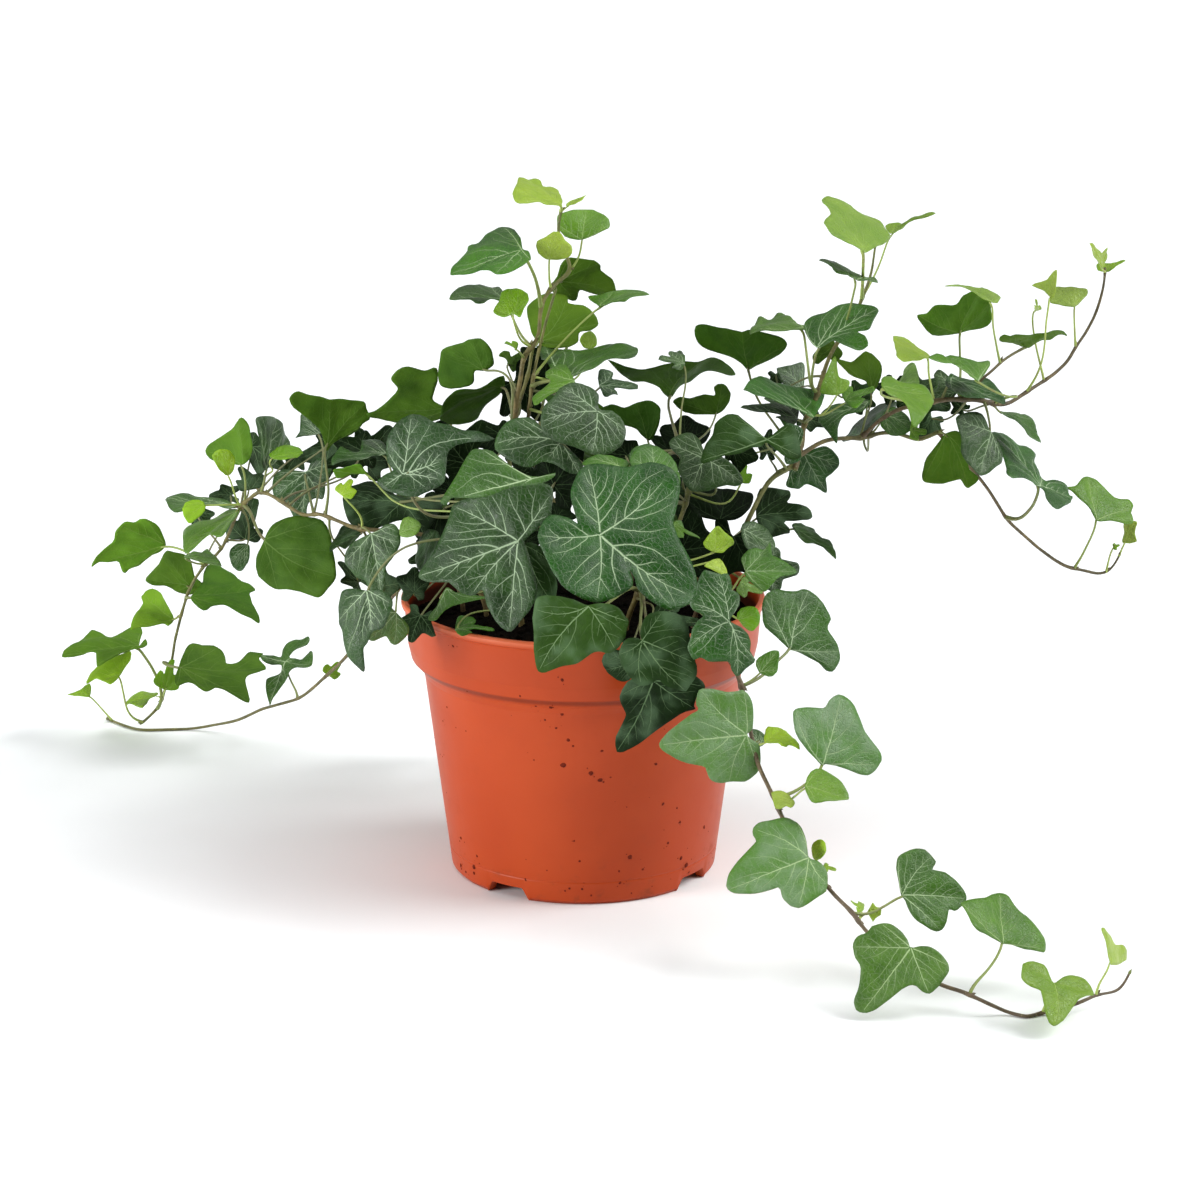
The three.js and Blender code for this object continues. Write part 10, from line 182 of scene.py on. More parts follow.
    ('D5', 'leaflet_front_09', 'stem_right', 0, 1.1, 'T', (51.28,-59.15,116.72), (-0.11,-0.611,0.784), (0.993,-0.106,0.056), (-0.2,-0.2,-4,-1.5,-5.3,-1.6,-6.5,-1.1,-8,0.4,-9,2.2,-9.1,3.4,-8.8,4.6,-9.1,5.5,-12.3,7.3,-6.2,8.1,-5.8,8.4,-3.5,12.8,-1.1,15.5,0,16,0.5,15.7,1.3,14.4,2.4,11.2,3,10.3,7.1,7.1,7.8,6,7.2,4.8,3.8,1.1,1.4,-0.4), (0,15.9,-12,7.3,7.5,6,-6.3,-1.1), (52.5,-59.3,116.8,51.3,-59.2,116.7,49.4,-55.2,113.4,48.2,-49.5,109.3,47.1,-42.4,105.3,45.8,-34.4,102.3,44.4,-25.9,100.9,42.8,-17.7,100.6,41.1,-10.8,100.9,39.3,-5.7,101.7), 0.53),
    ('X2', 'leaflet_left_13', 'stem_left_upper', 0, 0.2, 'D', (-118.8,82.6,89.42), (-0.673,-0.706,0.219), (0.151,0.159,0.976), (0,0,-6.7,-1,-8.4,-0.8,-9.6,0,-10.2,1.2,-11,4.2,-10.6,5,-9.2,5.9,-7.8,6.2,-5.1,5.9,-4.5,6.4,-4.2,7.8,-4.1,11.9,-3.8,13.4,-3.1,14.2,-1,14.9,2.1,15.1,3.1,14.8,3.8,14,3.9,12.1,3.5,5.3,4,4.7,6.1,5.4,7.1,5.3,8.2,4.8,8.5,4.1,7.8,1.8,7.2,0.9,6.3,0.2,5.1,-0.1), (0,15,-10.2,5.3,7.9,5), (-118.6,82.8,90.6,-118.8,82.6,89.4,-118.8,82.9,88.9,-119.2,83,88.6,-123.5,82.5,89.4,-125.8,82.3,89.5), 0.53),
    ('X44', 'leaflet_back_13', 'stem_centre', 0, 0.3, 'I', (-10.25,42.4,162.98), (-0.056,-0.923,0.38), (-0.835,-0.165,-0.525), (0,0,1,-0.5,4,-3.6,4.8,-3.7,7.2,-2.6,7.6,-2.1,7.6,-1.4,5.7,0.4,5.6,1.2,6.2,2.4,9.1,6.1,9.3,6.8,8.9,7.4,7.6,8.1,7.1,8.1,4.2,7.1,3.4,7.4,2.9,8.5,1.9,13.2,1,14.1,-0.5,14.2,-1.4,13.9,-1.9,13.2,-3.1,8.5,-3.7,7.3,-4.6,7,-8.3,7.7,-9.1,7.4,-9.8,6.7,-9.9,6.3,-9.6,5.7,-5.2,0.8,-5.2,0,-6.8,-1.9,-6.5,-2.9,-4.7,-3.7,-4,-3.8,-3.2,-3.7,-0.9,-0.5), (0,14.2,-9.3,7.2,8.7,7.6,-6.8,-2.5,7.6,-2.1), (-11.3,42.2,162.4,-12.4,23,155.8,-12.9,17.5,153.8,-13.9,12.4,151.7,-15.7,7.4,149.6,-18.6,2.5,147.4,-22.8,-2.5,145), 0.53),
    ('C1x', 'leaflet_front_10', 'stem_front', 0, 1, 'T', (22.88,-57.39,147.61), (0.104,-0.621,0.777), (-0.085,0.772,0.629), (-7.5,5,-7.5,6,-6.7,7.8,-5.8,9.3,-4,11.1,-3,11.7,-1.8,11.8,0,11.9,1.8,11.4,3.4,9.9,4.8,8.1,5.8,6.4,6.6,4.5,7.2,1.8,7.6,-0.9,7.5,-3.5,6.9,-5.4,6.3,-5.8,5.6,-5.9,3.8,-5.4,-0.1,-1.3,-1.3,-0.9,-4,-0.5,-5.1,0,-6.7,2.4), (0,11.5,7.1,2.2,-6.4,6.8), (22.8,-57.1,147.9,22.9,-57.4,147.6,22.7,-54.6,141.2,23,-50.7,136.6,23.6,-46,133.2,26.5,-28.9,125.2,27.4,-23,121.4,28.3,-17.6,116.3), 0.53),
    ('X33', 'leaflet_right_17', 'stem_right', 0, 0.3, 'D', (110.35,33.62,153.17), (0.062,-0.809,0.585), (0.932,-0.164,-0.325), (0,0,0.8,-0.7,3.1,-4.3,3.9,-4.5,4.7,-4.4,6.7,-3.6,7.1,-2.9,6.3,-0.2,6.3,0.8,9,6.1,8.8,6.7,8,7.3,4.6,7.5,3.9,7.9,3.2,8.9,1.7,12.6,0.8,13.4,0,13.5,-0.8,13.4,-1.7,12.6,-3.2,8.6,-3.7,7.6,-4.5,7.2,-7.8,6.9,-8.6,6.3,-8.8,5.7,-8.6,5.2,-5.7,1.4,-5.7,0.8,-6.7,-0.3,-7.1,-1.2,-6.8,-1.8,-5.4,-2.7,-4.7,-3,-3.9,-3,-1,-0.3), (0,13.5,-8.3,6.6,8.6,6.9,-7.1,-1.2,7,-3.3), (111.5,33.4,152.8,112.7,29.2,153,113.9,24,152.6,114.7,18.8,152.7,115.1,16.6,153.3,115.3,14.8,154.5), 0.53),
    ('M2', 'leaflet_middle_12', 'stem_centre', 0, 0.2, 'T', (5.27,26.21,157.26), (-0.005,-0.156,0.988), (0.998,0.055,0.014), (0,0,-6,-0.1,-11.2,0.5,-12.7,1.2,-13.6,2.2,-14.4,4.4,-13.9,4.9,-12,5.4,-10.2,5.4,-6.9,4.7,-5.8,5.1,-5,6.5,-2.7,12.2,-2,12.9,-1.3,13.1,1.5,12.9,2.2,12.6,2.7,11.9,2.8,5.2,3.2,4.8,4.9,5.7,7,5.9,10.4,2.2,10.2,1.3,8.6,0.7), (0,13,-13.4,5.1,6.7,5.9), (6.5,26.3,157.3,5.3,26.2,157.3,4,24,155.4,1.9,21.5,154.7,-0.9,18.8,155.1,-10.5,10.9,158.2,-13.7,8.8,159.2,-16.9,7.4,159.9), 0.52),
    ('X25', 'leaflet_left_14', 'stem_left_upper', 0, 0.3, 'D', (-115.78,81.8,123.11), (0.328,-0.657,0.678), (0.84,-0.126,-0.529), (0,0,0.9,-0.5,3.5,-3.5,4.2,-3.6,6.2,-2.2,6.6,-1.2,5.2,0.8,5.2,1.5,8.5,6.3,8.7,7,8.5,7.7,7.7,8.3,6.9,8.5,4.4,8.3,3.6,8.7,3,9.6,1.5,13.2,0.7,14,0,14.1,-0.7,13.9,-1.5,13.1,-3,9,-3.6,8,-4.4,7.5,-6.9,7.3,-7.8,7,-8.5,6.3,-8.7,5.6,-8.4,5,-4.8,0.7,-4.8,0,-6,-1.9,-5.7,-2.8,-3.7,-3.8,-3.1,-3.7,-0.8,-0.5), (0,14.1,-8.2,6.6,8.2,7.9,-6,-2.3,6.6,-1.6), (-114.8,81.6,122.5,-115.8,81.8,123.1,-116.3,82.2,120.2,-116.7,81.4,117.9,-117.1,79.8,115.9,-118.1,72.2,110.4,-118.4,69.6,108.1,-118.8,67.4,105.2), 0.52),
    ('T2', 'leaflet_top_05', 'stem_centre', 0, 1.6, 'T', (-0.27,17.67,207.88), (-0.103,-0.727,0.679), (0.107,0.671,0.734), (-8.9,5.4,-9.2,8.5,-9,9.3,-8.5,9.9,-4.4,11.7,0,12.5,2.4,12.2,6.2,10.2,8,8.5,8.6,6.4,8.3,4.9,6.9,3.8,1.2,0.5,-1.1,-0.2,-4,0.2,-5.9,1.1,-7.8,3.4), (0,12,-8.9,5.8,8.5,6.5), (-0.7,18.6,208.8,-0.3,17.7,207.9,-1,16.6,202.4,-4.2,15.8,197.9), 0.52),
    ('X22', 'leaflet_left_15', 'stem_left_upper', 0, 0.1, 'D', (-76.17,59.66,127.11), (-0.109,0.993,-0.049), (-0.925,-0.119,-0.36), (0,0,-0.7,-0.7,-2.5,-4.7,-3.2,-5.1,-4,-5,-5.9,-4.5,-6.3,-3.5,-5.3,-0.6,-5.3,0.4,-8.4,6.1,-8.6,6.8,-8.6,7.2,-7.9,7.9,-7.2,8.2,-4,7.4,-3.2,7.6,-2.7,8.5,-1.6,12.4,-0.8,13.2,0.4,13.3,1.2,13,1.6,12.4,2.7,7.9,3.3,6.8,4.1,6.4,7.2,6.8,8,6.2,8.4,5.3,5.4,1.2,5.5,0.6,7,-0.7,7.3,-1.5,7.1,-2.1,5.5,-3.4,4.7,-3.7,3.9,-3.6,0.9,-0.4), (0,13.3,8,6.2,-8.1,7.7,7.3,-1.7,-6.2,-4.2), (-77.3,59.5,126.7,-76.2,59.7,127.1,-76.6,57.5,124.5,-78.4,55.4,122.6,-81.2,53.4,121,-92.9,47.6,116.6,-96.8,45.6,114.5,-100.3,43.5,111.7), 0.52),
    ('R8e', 'leaflet_right_18', 'stem_right', 0, 0.7, 'T', (94.48,22.79,152.59), (-0.344,-0.395,0.852), (-0.579,-0.624,-0.524), (12.9,12,13.6,10.5,13.7,8.8,13.5,7.2,13,5.8,12.2,4.7,11.2,3.8,6.3,1.1,1.5,-0.9,-0.1,-1.1,-0.9,-0.2,-1.2,1.3,-0.6,4.5,0.4,5.5,3.2,7.1,4,8.2,4.2,9.5,4,11,2.9,14,-0.1,19,-0.3,19.8,0.4,19.6,5.3,16.7,9.5,14.5,11.5,13.3), (0,19.3,12.8,10.9,8,2), (93.8,22.9,152.4,94.5,22.8,152.6,93.6,22.2,146.5,92.1,21.7,140.6), 0.52),
    ('X42', 'leaflet_back_14', 'stem_front', 0, 0.1, 'I', (33.32,42.54,128.43), (0.355,-0.714,0.603), (-0.798,0.105,0.594), (0,0,0.7,-0.5,3.1,-3.8,3.8,-4,5.9,-3.1,6.4,-2.3,5.3,-0.1,5.3,0.7,8.6,5.2,8.8,5.8,8.5,6.5,7.8,7.1,4.4,7.5,3.7,7.8,3,8.6,1.5,11.7,0.7,12.5,-0.4,12.6,-1.1,12.3,-1.5,11.8,-3.5,7.4,-4.2,7,-7.3,6.7,-8,6.2,-8.2,5.6,-5.1,0.5,-5,-0.4,-5.6,-2.8,-5.3,-3.4,-3.6,-4,-2.3,-3.9,-0.6,-0.5), (0,12.6,-7.8,6.4,8.3,6.7,-5.5,-3.1,6.3,-2.7), (32.4,42.7,129.1,32.1,32.8,131.6,30.5,17.8,136.6,30.4,12.7,138.3,30.8,7.4,139.8,31.8,2,141.2), 0.51),
    ('X4', 'leaflet_middle_13', 'stem_front', 0, 0, 'I', (34.37,30.12,137.92), (0.046,-0.631,0.775), (-0.048,0.773,0.632), (0,0,-1.5,-0.4,-4.5,-2.1,-5.8,-2.3,-6.8,-1.5,-7.5,-0.1,-8.5,2.7,-8.8,4.1,-8.2,5.7,-7.4,6.4,-6.8,6.7,-3.6,7.3,-1.6,9.9,-0.8,10.7,0,11,0.8,10.8,1.6,10.2,3.9,7.6,7.5,6.1,8.2,5.4,8.6,4,8.3,2.6,7.1,0,6.2,-1.3,5.2,-2,4.1,-1.9,1.4,-0.4), (0,11,-8.4,5.2,8.4,5), (34.3,31.1,138.7,34.4,30.1,137.9,34.2,30.2,134.9,34,28.5,134,33.7,25.2,134.5,32.5,11,139.9,32.1,6.2,141.1,31.8,2,141.2), 0.51),
    ('LT2s', 'leaflet_left_16', 'stem_left_upper', 0, 2, 'T', (-104.99,30.52,131.63), (-0.166,-0.034,0.986), (0.985,-0.049,0.164), (-2.8,-0.7,-4.7,-0.8,-6.5,-0.3,-9.1,1.2,-10.8,3.2,-11,4.3,-10.5,5.6,-8.9,7.1,-6.4,8.8,-3.7,10.3,-1.3,11.1,0.8,11.2,2.9,10.7,6,9,6.8,8,7.1,6.9,6.9,5.7,6.1,4.5,2,1.5,-0.6,0.1), (0,11.3,-10.2,3.9,6.9,6), (-103.4,31,131.9,-105,30.5,131.6,-105.6,32.4,129.7,-105.4,34.9,127.6,-104.1,37.7,125.5,-107.7,42.5,122.8,-109.1,49.7,118,-110.4,54.4,113.9), 0.51),
    ('F6', 'leaflet_trailing_right_06', 'stem_front_trailing', 0, 2.9, 'T', (159.56,-135.14,14.63), (0.907,-0.31,0.286), (-0.221,0.228,0.948), (-1.3,11.1,-0.7,11.5,0.3,11.6,2.4,11,4.2,9.6,5.9,7.8,7.3,5.2,8.1,4.5,14.7,3.2,16,2.6,18.7,0.4,19.2,-0.8,18.9,-1.3,16.7,-1.9,10,-1.8,4.6,-1.1,0,0,-1,0.6,-1.3,1.3,-1.2,3.6,-0.6,6.3,-1.4,10.2), (0,11.2,18.9,-0.9,-1.2,4.3), (159.5,-134.3,15.7,159.6,-135.1,14.6,155.5,-134.9,7.4,155.4,-135,4.9), 0.51),
    ('X30', 'leaflet_middle_14', 'stem_centre', 0, 0.3, 'I', (-25.93,-5.56,147.78), (-0.127,-0.659,0.741), (-0.971,-0.069,-0.228), (0,0,0.9,-0.4,3.4,-2.9,4,-3,5.9,-1.9,6.3,-1.4,6.2,-0.8,4.5,0.5,4.5,1.2,8.1,5.5,8.3,6.1,8,6.7,6.9,7.4,3.8,6.5,3,6.8,2.6,7.8,1.6,12.4,1.2,13,0.4,13.3,-0.8,13.2,-1.6,12.4,-2.8,8,-3.4,7,-4.2,6.7,-7.6,7.3,-8.2,7.1,-8.9,6.3,-9,5.9,-8.7,5.3,-4.7,0.9,-4.8,0.2,-6.4,-1.3,-6.5,-2,-6.1,-2.4,-4,-3.4,-3.3,-3.3,-0.9,-0.5), (0,13.3,-8.4,6.8,7.8,6.9,-6.5,-2,6.3,-1.4), (-27.1,-5.6,147.5,-25.9,-5.6,147.8,-25.5,-5,146.7,-22.8,-2.5,145), 0.51),
    ('C2b', 'leaflet_front_11', 'stem_centre', 0, 0.4, 'D', (-17.71,-50.69,122.75), (0.097,-0.87,0.483), (0.417,-0.406,-0.813), (0.4,-0.5,-0.6,-0.9,-1.9,-0.4,-4.1,1.8,-4.5,3,-4.8,4.5,-4.7,11.2,-4.1,14.5,-3.6,16,-2,18.6,-1.1,19.5,-0.2,20.1,1.8,20.3,3.2,19.7,3.8,19.1,4.2,18.3,4.4,17.2,1.8,3.6,1.2,1.1), (0,19.8,-4.5,6.9,4.4,15.7), (-17,-50.7,122.6,-17.7,-50.7,122.8,-17.4,-47.9,119.6,-17.1,-43.7,116.1,-16.7,-33,108.3,-16.9,-27.4,104.6,-17.8,-22,101.5,-19.7,-17.4,99.6,-22.1,-14,98.5), 0.5),
    ('M4', 'leaflet_middle_15', 'stem_front', 0, 0.1, 'U', (44.27,27.94,147.33), (-0.071,0.957,0.282), (0.152,-0.269,0.951), (15.1,2.9,15.1,3.7,14.6,4.4,13.1,5.4,9.7,5,4.9,6.7,2,6.5,1.5,6.7,1.5,7.4,2.3,9.2,2.4,10.1,1.4,11.3,0,11.8,-0.6,11.7,-1.8,10.8,-3.4,8.6,-3.8,7.7,-3.8,5.2,-2.7,2.2,-1.9,1,-0.8,0.2,0.6,-0.3,7,-1.1,10.4,-0.8,13.3,0.9), (0,11.8,14.8,3.7,-4,6.6), (44.4,27.6,148.5,44.3,27.9,147.3,43.5,25.4,145.7,42.6,22.2,144.4,41.3,18.5,143.5,39.6,14.6,142.8,35.8,7.2,142,33.8,4.2,141.7,31.8,2,141.2), 0.5),
    ('LC4b', 'leaflet_left_17', 'stem_left_trailing', 0, 1.2, 'U', (-59.19,-47.05,100.09), (0.436,-0.873,-0.218), (-0.695,-0.173,-0.698), (0,0,-6.5,0.4,-8.1,1.1,-8.9,2.3,-9.3,5.5,-9.2,7.5,-8.8,8.2,-8.1,8.5,-7,8.6,-4.2,7.9,-3.6,8,-2.2,11.5,-1.2,12.2,0,12.4,1.2,12.2,1.8,11.9,2.2,11.3,2.7,5.6,3.1,5.3,4.7,5.8,6,5.7,6.7,5.1,6.8,4.3,6.5,1.1,5.9,0.2,4.8,-0.1,3.4,-0.2), (0,12.4,6.3,5.5,-8.5,8.4), (-60,-47.3,99.3,-59.2,-47,100.1,-59.6,-40.3,99.1,-62.3,15.8,87.9,-62.8,32,85.3), 0.5),
    ('E4', 'leaflet_trailing_right_07', 'stem_front_trailing', 0, 1.7, 'T', (69.28,-92.34,57.08), (0.13,-0.519,0.845), (0.975,-0.088,-0.204), (-0.3,-0.4,-3.3,-0.2,-5.8,0.6,-7.6,2,-8.3,3.9,-6.8,6,-5.3,9.4,-4.2,10.9,-1.4,13.4,0,13.9,0.5,13.7,1.5,12.4,3.8,8.1,5.7,5.5,6.2,3.9,6,2.6,5.1,1.6,2.1,0.1), (0,13.9,-8.3,3.9,6,3.4), (70.5,-92.4,56.8,69.3,-92.3,57.1,67.4,-91.1,54.6,64.5,-87.9,50.7,60.9,-85.5,47.7), 0.5),
    ('LBs', 'leaflet_trailing_left_05', 'stem_left_upper', 0, 2.4, 'T', (-158.13,137.55,15.21), (-0.243,-0.089,0.966), (-0.967,0.095,-0.234), (2.3,0.4,4,1.9,6.7,5.7,7.4,7.3,7.2,8,5.6,9.9,4.6,12,4.1,12.5,2.3,13.4,0.4,13.6,-0.5,13.1,-4.2,9,-9.7,5.7,-11.4,4.1,-11.4,3.7,-9.9,3.2,-7.6,2.9,-2.7,3,-2.1,2.7,-1,1.6,0.5,0.7,1.4,0.4), (0,13.4,-10.8,4.4,7.1,7.2), (-160,138.3,14.8,-158.1,137.5,15.2,-156.9,138,13.4), 0.5),
    ('R8', 'leaflet_right_19', 'stem_right', 0, 0.5, 'U', (96.59,29.88,154.4), (0.665,0.745,-0.043), (-0.623,0.586,0.518), (0,18,-2.1,13.2,-3,12.6,-7.9,11.1,-9.5,10.1,-10.1,7.9,-10.1,3.6,-9.6,2,-8.5,1.1,-6.6,0.5,-3,-0.2,-1.2,-0.3,0,0,0.2,0.8,-0.7,3.3,-0.9,4.7,-0.4,6.1,1.2,9.2,1.9,11.7,0.8,16.7,0.4,17.7), (0,16.9,-9.5,10.1,-9.6,2), (96.5,30.1,156.3,96.6,29.9,154.4,96,29,152.6,95.9,28.6,149.7,94.2,25.8,147.5,92.1,21.7,140.6), 0.5),
    ('M1b', 'leaflet_middle_16', 'stem_front', 0, 0.8, 'T', (34.01,35.92,162.63), (0.309,-0.058,0.949), (-0.939,-0.176,0.295), (0,0,-3.1,0.8,-8.4,2.6,-10,3.5,-10.5,4.2,-10.1,4.8,-8.6,6.1,-5.9,5.5,-3.9,4.3,-3.3,4.4,-2.2,9.2,-1.7,9.6,-1.2,9.6,1.2,8.9,2.2,8.1,3.2,4.7,3.8,4.5,6.5,4.8,8.4,4.5,14.3,-0.6,14.3,-1.5,12,-1.7,8.1,-1.3), (0,9.3,8,4.6,-8,6.1), (32.8,36.3,163,34,35.9,162.6,34.3,32.7,159.7,34.1,28.7,156.9,32.6,19,151.9,31.9,9.3,146.8,31.8,5.2,144.1,31.8,2,141.2), 0.5),
    ('T6', 'leaflet_top_06', 'stem_centre', 0, 2.2, 'T', (-22.61,-10.66,188.37), (-0.502,-0.509,0.7), (0.352,0.619,0.702), (-8.3,1.7,-8.5,2.7,-8,6.4,-8.6,9.3,-8.4,10,-7,10.9,-3.5,11.1,-0.5,10.4,2,9.1,3.1,8.1,4.5,6.2,4.6,5.5,3.7,3.5,4.3,-0.1,4.1,-0.8,3.4,-0.8,1.1,0.5,0,0.8,-0.8,0.5,-2.4,-0.6,-3.4,-0.7,-6,0.1,-7.4,0.8), (0,10.7,-8.2,2.5,5.1,5.1), (-21.9,-9.4,189.8,-22.6,-10.7,188.4,-21.7,-8.2,184.7,-20.9,-4.2,180.7,-19.4,-0.1,177.3,-18.1,1.6,176.2,-16.6,2.9,175.5), 0.5),
    ('CL2', 'leaflet_front_12', 'stem_centre', 0, 1.2, 'T', (-40.55,-46.15,93.88), (-0.105,-0.032,0.994), (0.992,-0.079,0.102), (0,0,-7.4,-0.3,-10.9,-0.1,-13.1,0.4,-13.1,1.4,-7.9,5.9,-5.6,5.9,-3.7,5,-3.1,5.4,-1.6,11.5,-0.8,12.4,0.9,12.7,1.3,12.5,1.6,11.9,1.4,6,1.6,4.2,2.5,5.4,3.5,5.9,3.9,5.5,8.5,3.9,8.9,3.2,7.7,2.4,5.6,1.4), (0,12.6,-7.7,5.9,3.4,5.8), (-39.3,-45.6,94,-39,-42.8,96.1,-37.2,-39.9,97,-34.6,-36.8,97.1,-31.4,-33.4,96.6,-28,-29.5,95.7,-25,-25.1,94.9,-22.6,-19.9,94.4,-21.3,-13.8,94.4), 0.5),
    ('R8d', 'leaflet_right_20', 'stem_right', 0, 1.6, 'T', (85.89,8.31,155.86), (-0.378,-0.147,0.914), (0.879,0.251,0.404), (0,0,-5,1,-8.9,2.3,-9.7,3.1,-9.9,4.1,-9.6,5.9,-9.2,6.2,-7.8,6.1,-6.6,5.8,-4.4,4.7,-3.7,5,-3.3,6,-2.2,10.6,-1.7,11.1,-1.2,11.2,0.6,10.8,1.8,10.3,2.2,9.7,2.8,5,3.2,4.7,5,5.2,7,5.1,10.4,0.7,10.2,-0.2,8.5,-0.5,5.8,-0.5), (0,10.9,-8.8,6.2,6.8,5.1), (86.9,8.6,156.3,84.5,8.2,154.8,78.9,8.4,151.1,77.4,8.7,150.8,74.1,9.3,151.5), 0.5),
    ('X32', 'leaflet_left_18', 'stem_left_upper', 0, 0.1, 'D', (-71.44,17.04,89.78), (0,0.963,-0.271), (0.983,0.05,0.176), (0,0,-0.7,-0.3,-2.5,-2.4,-3.1,-2.5,-4.7,-1.8,-5,-1.3,-4.3,0.2,-4.4,0.7,-7.9,4.5,-7.3,5.3,-4.3,6.1,-3.6,6.6,-1.5,10.5,-0.7,11.2,0,11.3,0.7,11.2,1.5,10.5,3.7,7.2,4.3,6.8,7.5,6.2,8.3,5.3,7.4,3.9,4.6,0.9,4.5,0.4,5.4,-1.2,5.1,-1.7,3.4,-2.5,2.8,-2.5,0.7,-0.3), (0,11.3,7.8,6,-7.5,5.2,5.4,-1.4,-5,-1.5), (-70.3,17.1,90,-71.4,17,89.8,-71.5,15.9,89.2,-71.7,15.1,90.5,-72.2,14.5,96.9,-72.2,15.4,100.7,-71.8,17.6,107.2,-73.5,14,111.4), 0.5),
    ('LL4b', 'leaflet_left_19', 'stem_left_upper', 0, 1.2, 'T', (-140.55,81.17,83.74), (0.106,-0.032,0.994), (0.977,-0.183,-0.11), (0.4,0,-1.2,-0.1,-3.5,0.1,-7.2,1,-7.7,1.5,-7.4,3.2,-8.2,4,-15,4,-14.7,4.4,-11.3,6.5,-1.1,13.3,0.3,14,0.8,13.8,0.4,11,0.6,9.5,1.9,4.3,1.7,1.9,1.2,0.7), (0,13.8,-14.4,4.2,0.7,7.8), (-139.3,81.5,83.6,-140.5,81.2,83.7,-140.8,82.6,82.7,-137.6,90.7,78.6,-134.8,96.4,76.8), 0.5),
    ('E2b', 'leaflet_right_21', 'stem_front_trailing', 0, 2.9, 'T', (57.37,-72.01,65.13), (0.171,-0.065,0.983), (0.98,-0.093,-0.176), (-2.4,-0.5,-8.2,-0.5,-10.6,0,-11.1,0.4,-12.4,3.1,-12.6,4.7,-11.4,6.1,-6.7,9.4,-2.4,10.9,0,11.2,0,10.6,-1.5,8.7,-1.7,7.9,-1.1,7.4,1.1,6.9,1.7,6.5,1.4,6,-0.2,4.8,-0.5,4.1,0,3.2,2.1,1.2,2.4,0.5,1.8,0,0.6,-0.2), (0,11.2,-12.7,5,1.7,6.5), (58.5,-72.1,64.9,57.4,-72,65.1,55.9,-71.4,63.3,53.9,-70.4,62.8), 0.5),
    ('D5c', 'leaflet_front_13', 'stem_right', 0, 0.5, 'T', (51.54,-34.88,123.82), (0.284,-0.606,0.743), (0.895,-0.112,-0.433), (-1.5,-1.3,-2.7,-0.9,-3.7,0,-5.1,2.1,-5.5,4.4,-4.9,6.8,-2.9,9.4,-1.6,10.6,-0.4,11.3,1,11.5,3.7,10.9,4.8,10.3,6.4,8,7.1,5.4,6.9,4.3,5.6,2.2,3.3,0.4,0,-1.1), (0,11.4,-6.2,5.3,7.4,4.8), (51.9,-34.9,123.6,53.9,-31.8,123.4,55.8,-28.7,121.8,57.3,-25.4,119.5,58,-22.2,116.7,57.8,-18.9,114,56.3,-15.7,111.8,53.1,-12.5,110.4,48.1,-9.4,110.5), 0.5),
    ('D5b', 'leaflet_right_22', 'stem_right', 0, 0.2, 'T', (58.88,-24.01,108.29), (0.039,-0.923,0.383), (0.999,0.027,-0.037), (0,0,-3.7,-0.9,-4.7,-0.9,-5.5,-0.3,-6.1,0.6,-6.9,3.1,-6.8,3.8,-6.1,4.6,-5.3,4.9,-3.5,5,-3,5.4,-2.1,10.4,-1.7,10.9,-0.6,11.3,1.1,11.1,2.1,10.3,3.5,6.1,4.2,5.7,6.2,5.4,7.1,4.9,8,3.6,7.8,2.5,6.9,0.4,6.2,-0.6,5.4,-1.3,4.2,-1.3), (0,11.3,-6.6,4.1,7.7,4.3), (60.1,-24,108.2,58.9,-24,108.3,56.6,-25,106.6,54.3,-21.7,103.6,52.2,-19.8,101.1,50.1,-17.5,99.6,48.2,-14.7,99.6,46.2,-11.7,100.9,44.3,-9.1,102.7,42.3,-7,104.7), 0.5),
    ('G20b', 'leaflet_right_23', 'stem_right', 0, 1, 'T', (99.87,22.72,148.19), (0.22,-0.557,0.801), (0.916,-0.165,-0.366), (-1.3,-0.4,-3.7,0.7,-5.1,2.4,-5.2,4.2,-3.7,7.4,-1.7,9.6,-0.6,10.3,0.7,10.4,2.1,10.2,4.7,9,6.8,7,7.6,5.8,7.9,4.6,7.8,3.4,7.3,2.2,6.5,1.1,5.5,0.3,4,-0.2,2.2,-0.5), (0,10.1,-4.8,6.1,7.9,4.6), (100.6,22.6,147.9,99.9,22.7,148.2,97.4,22.4,143.2,95,22.3,141.1), 0.5),
    ('G7a', 'leaflet_right_24', 'stem_right', 0, 3, 'T', (174.19,50.51,192.4), (0.871,-0.207,0.445), (-0.454,0.007,0.891), (0,9.5,1.4,9,2.9,7.9,5.4,5.6,7.1,3.4,8.2,2.9,17.6,1.9,17.4,1.6,13.9,0.6,6.7,-0.5,4,-0.7,1.7,-0.5,0,0.1,-2.6,2.3,-5.3,5.3,-5.7,6.2,-5.6,7,-4.7,7.9,-3.3,8.7,-1.6,9.4), (0,9.5,-5.5,6.3,18.6,1.3), (173.8,51.1,193.5,174.8,53.2,191.3,176,56,190), 0.5),
    ('G18', 'leaflet_right_25', 'stem_right', 0, 1.4, 'T', (102.23,4.98,161.3), (-0.758,-0.211,0.617), (0.523,0.369,0.768), (-0.7,0,-1.2,1,-0.7,5.1,-2.4,8.5,-2.6,9.4,-2.2,10,-1.6,10.4,-0.6,10.5,0.7,10.2,2.5,9.4,8.8,5.4,11.6,2.7,12.5,1.5,12.8,0.5,12.1,-0.2,10.8,-0.6,7.3,-0.9,3,-0.9,0.8,-0.6), (0,10.2,-1.9,6.2,10.8,3.5), (102.9,4.7,162,102.2,5,161.3,105.7,7.9,158,109.8,12.1,155.3,112.6,14,153.9), 0.5),
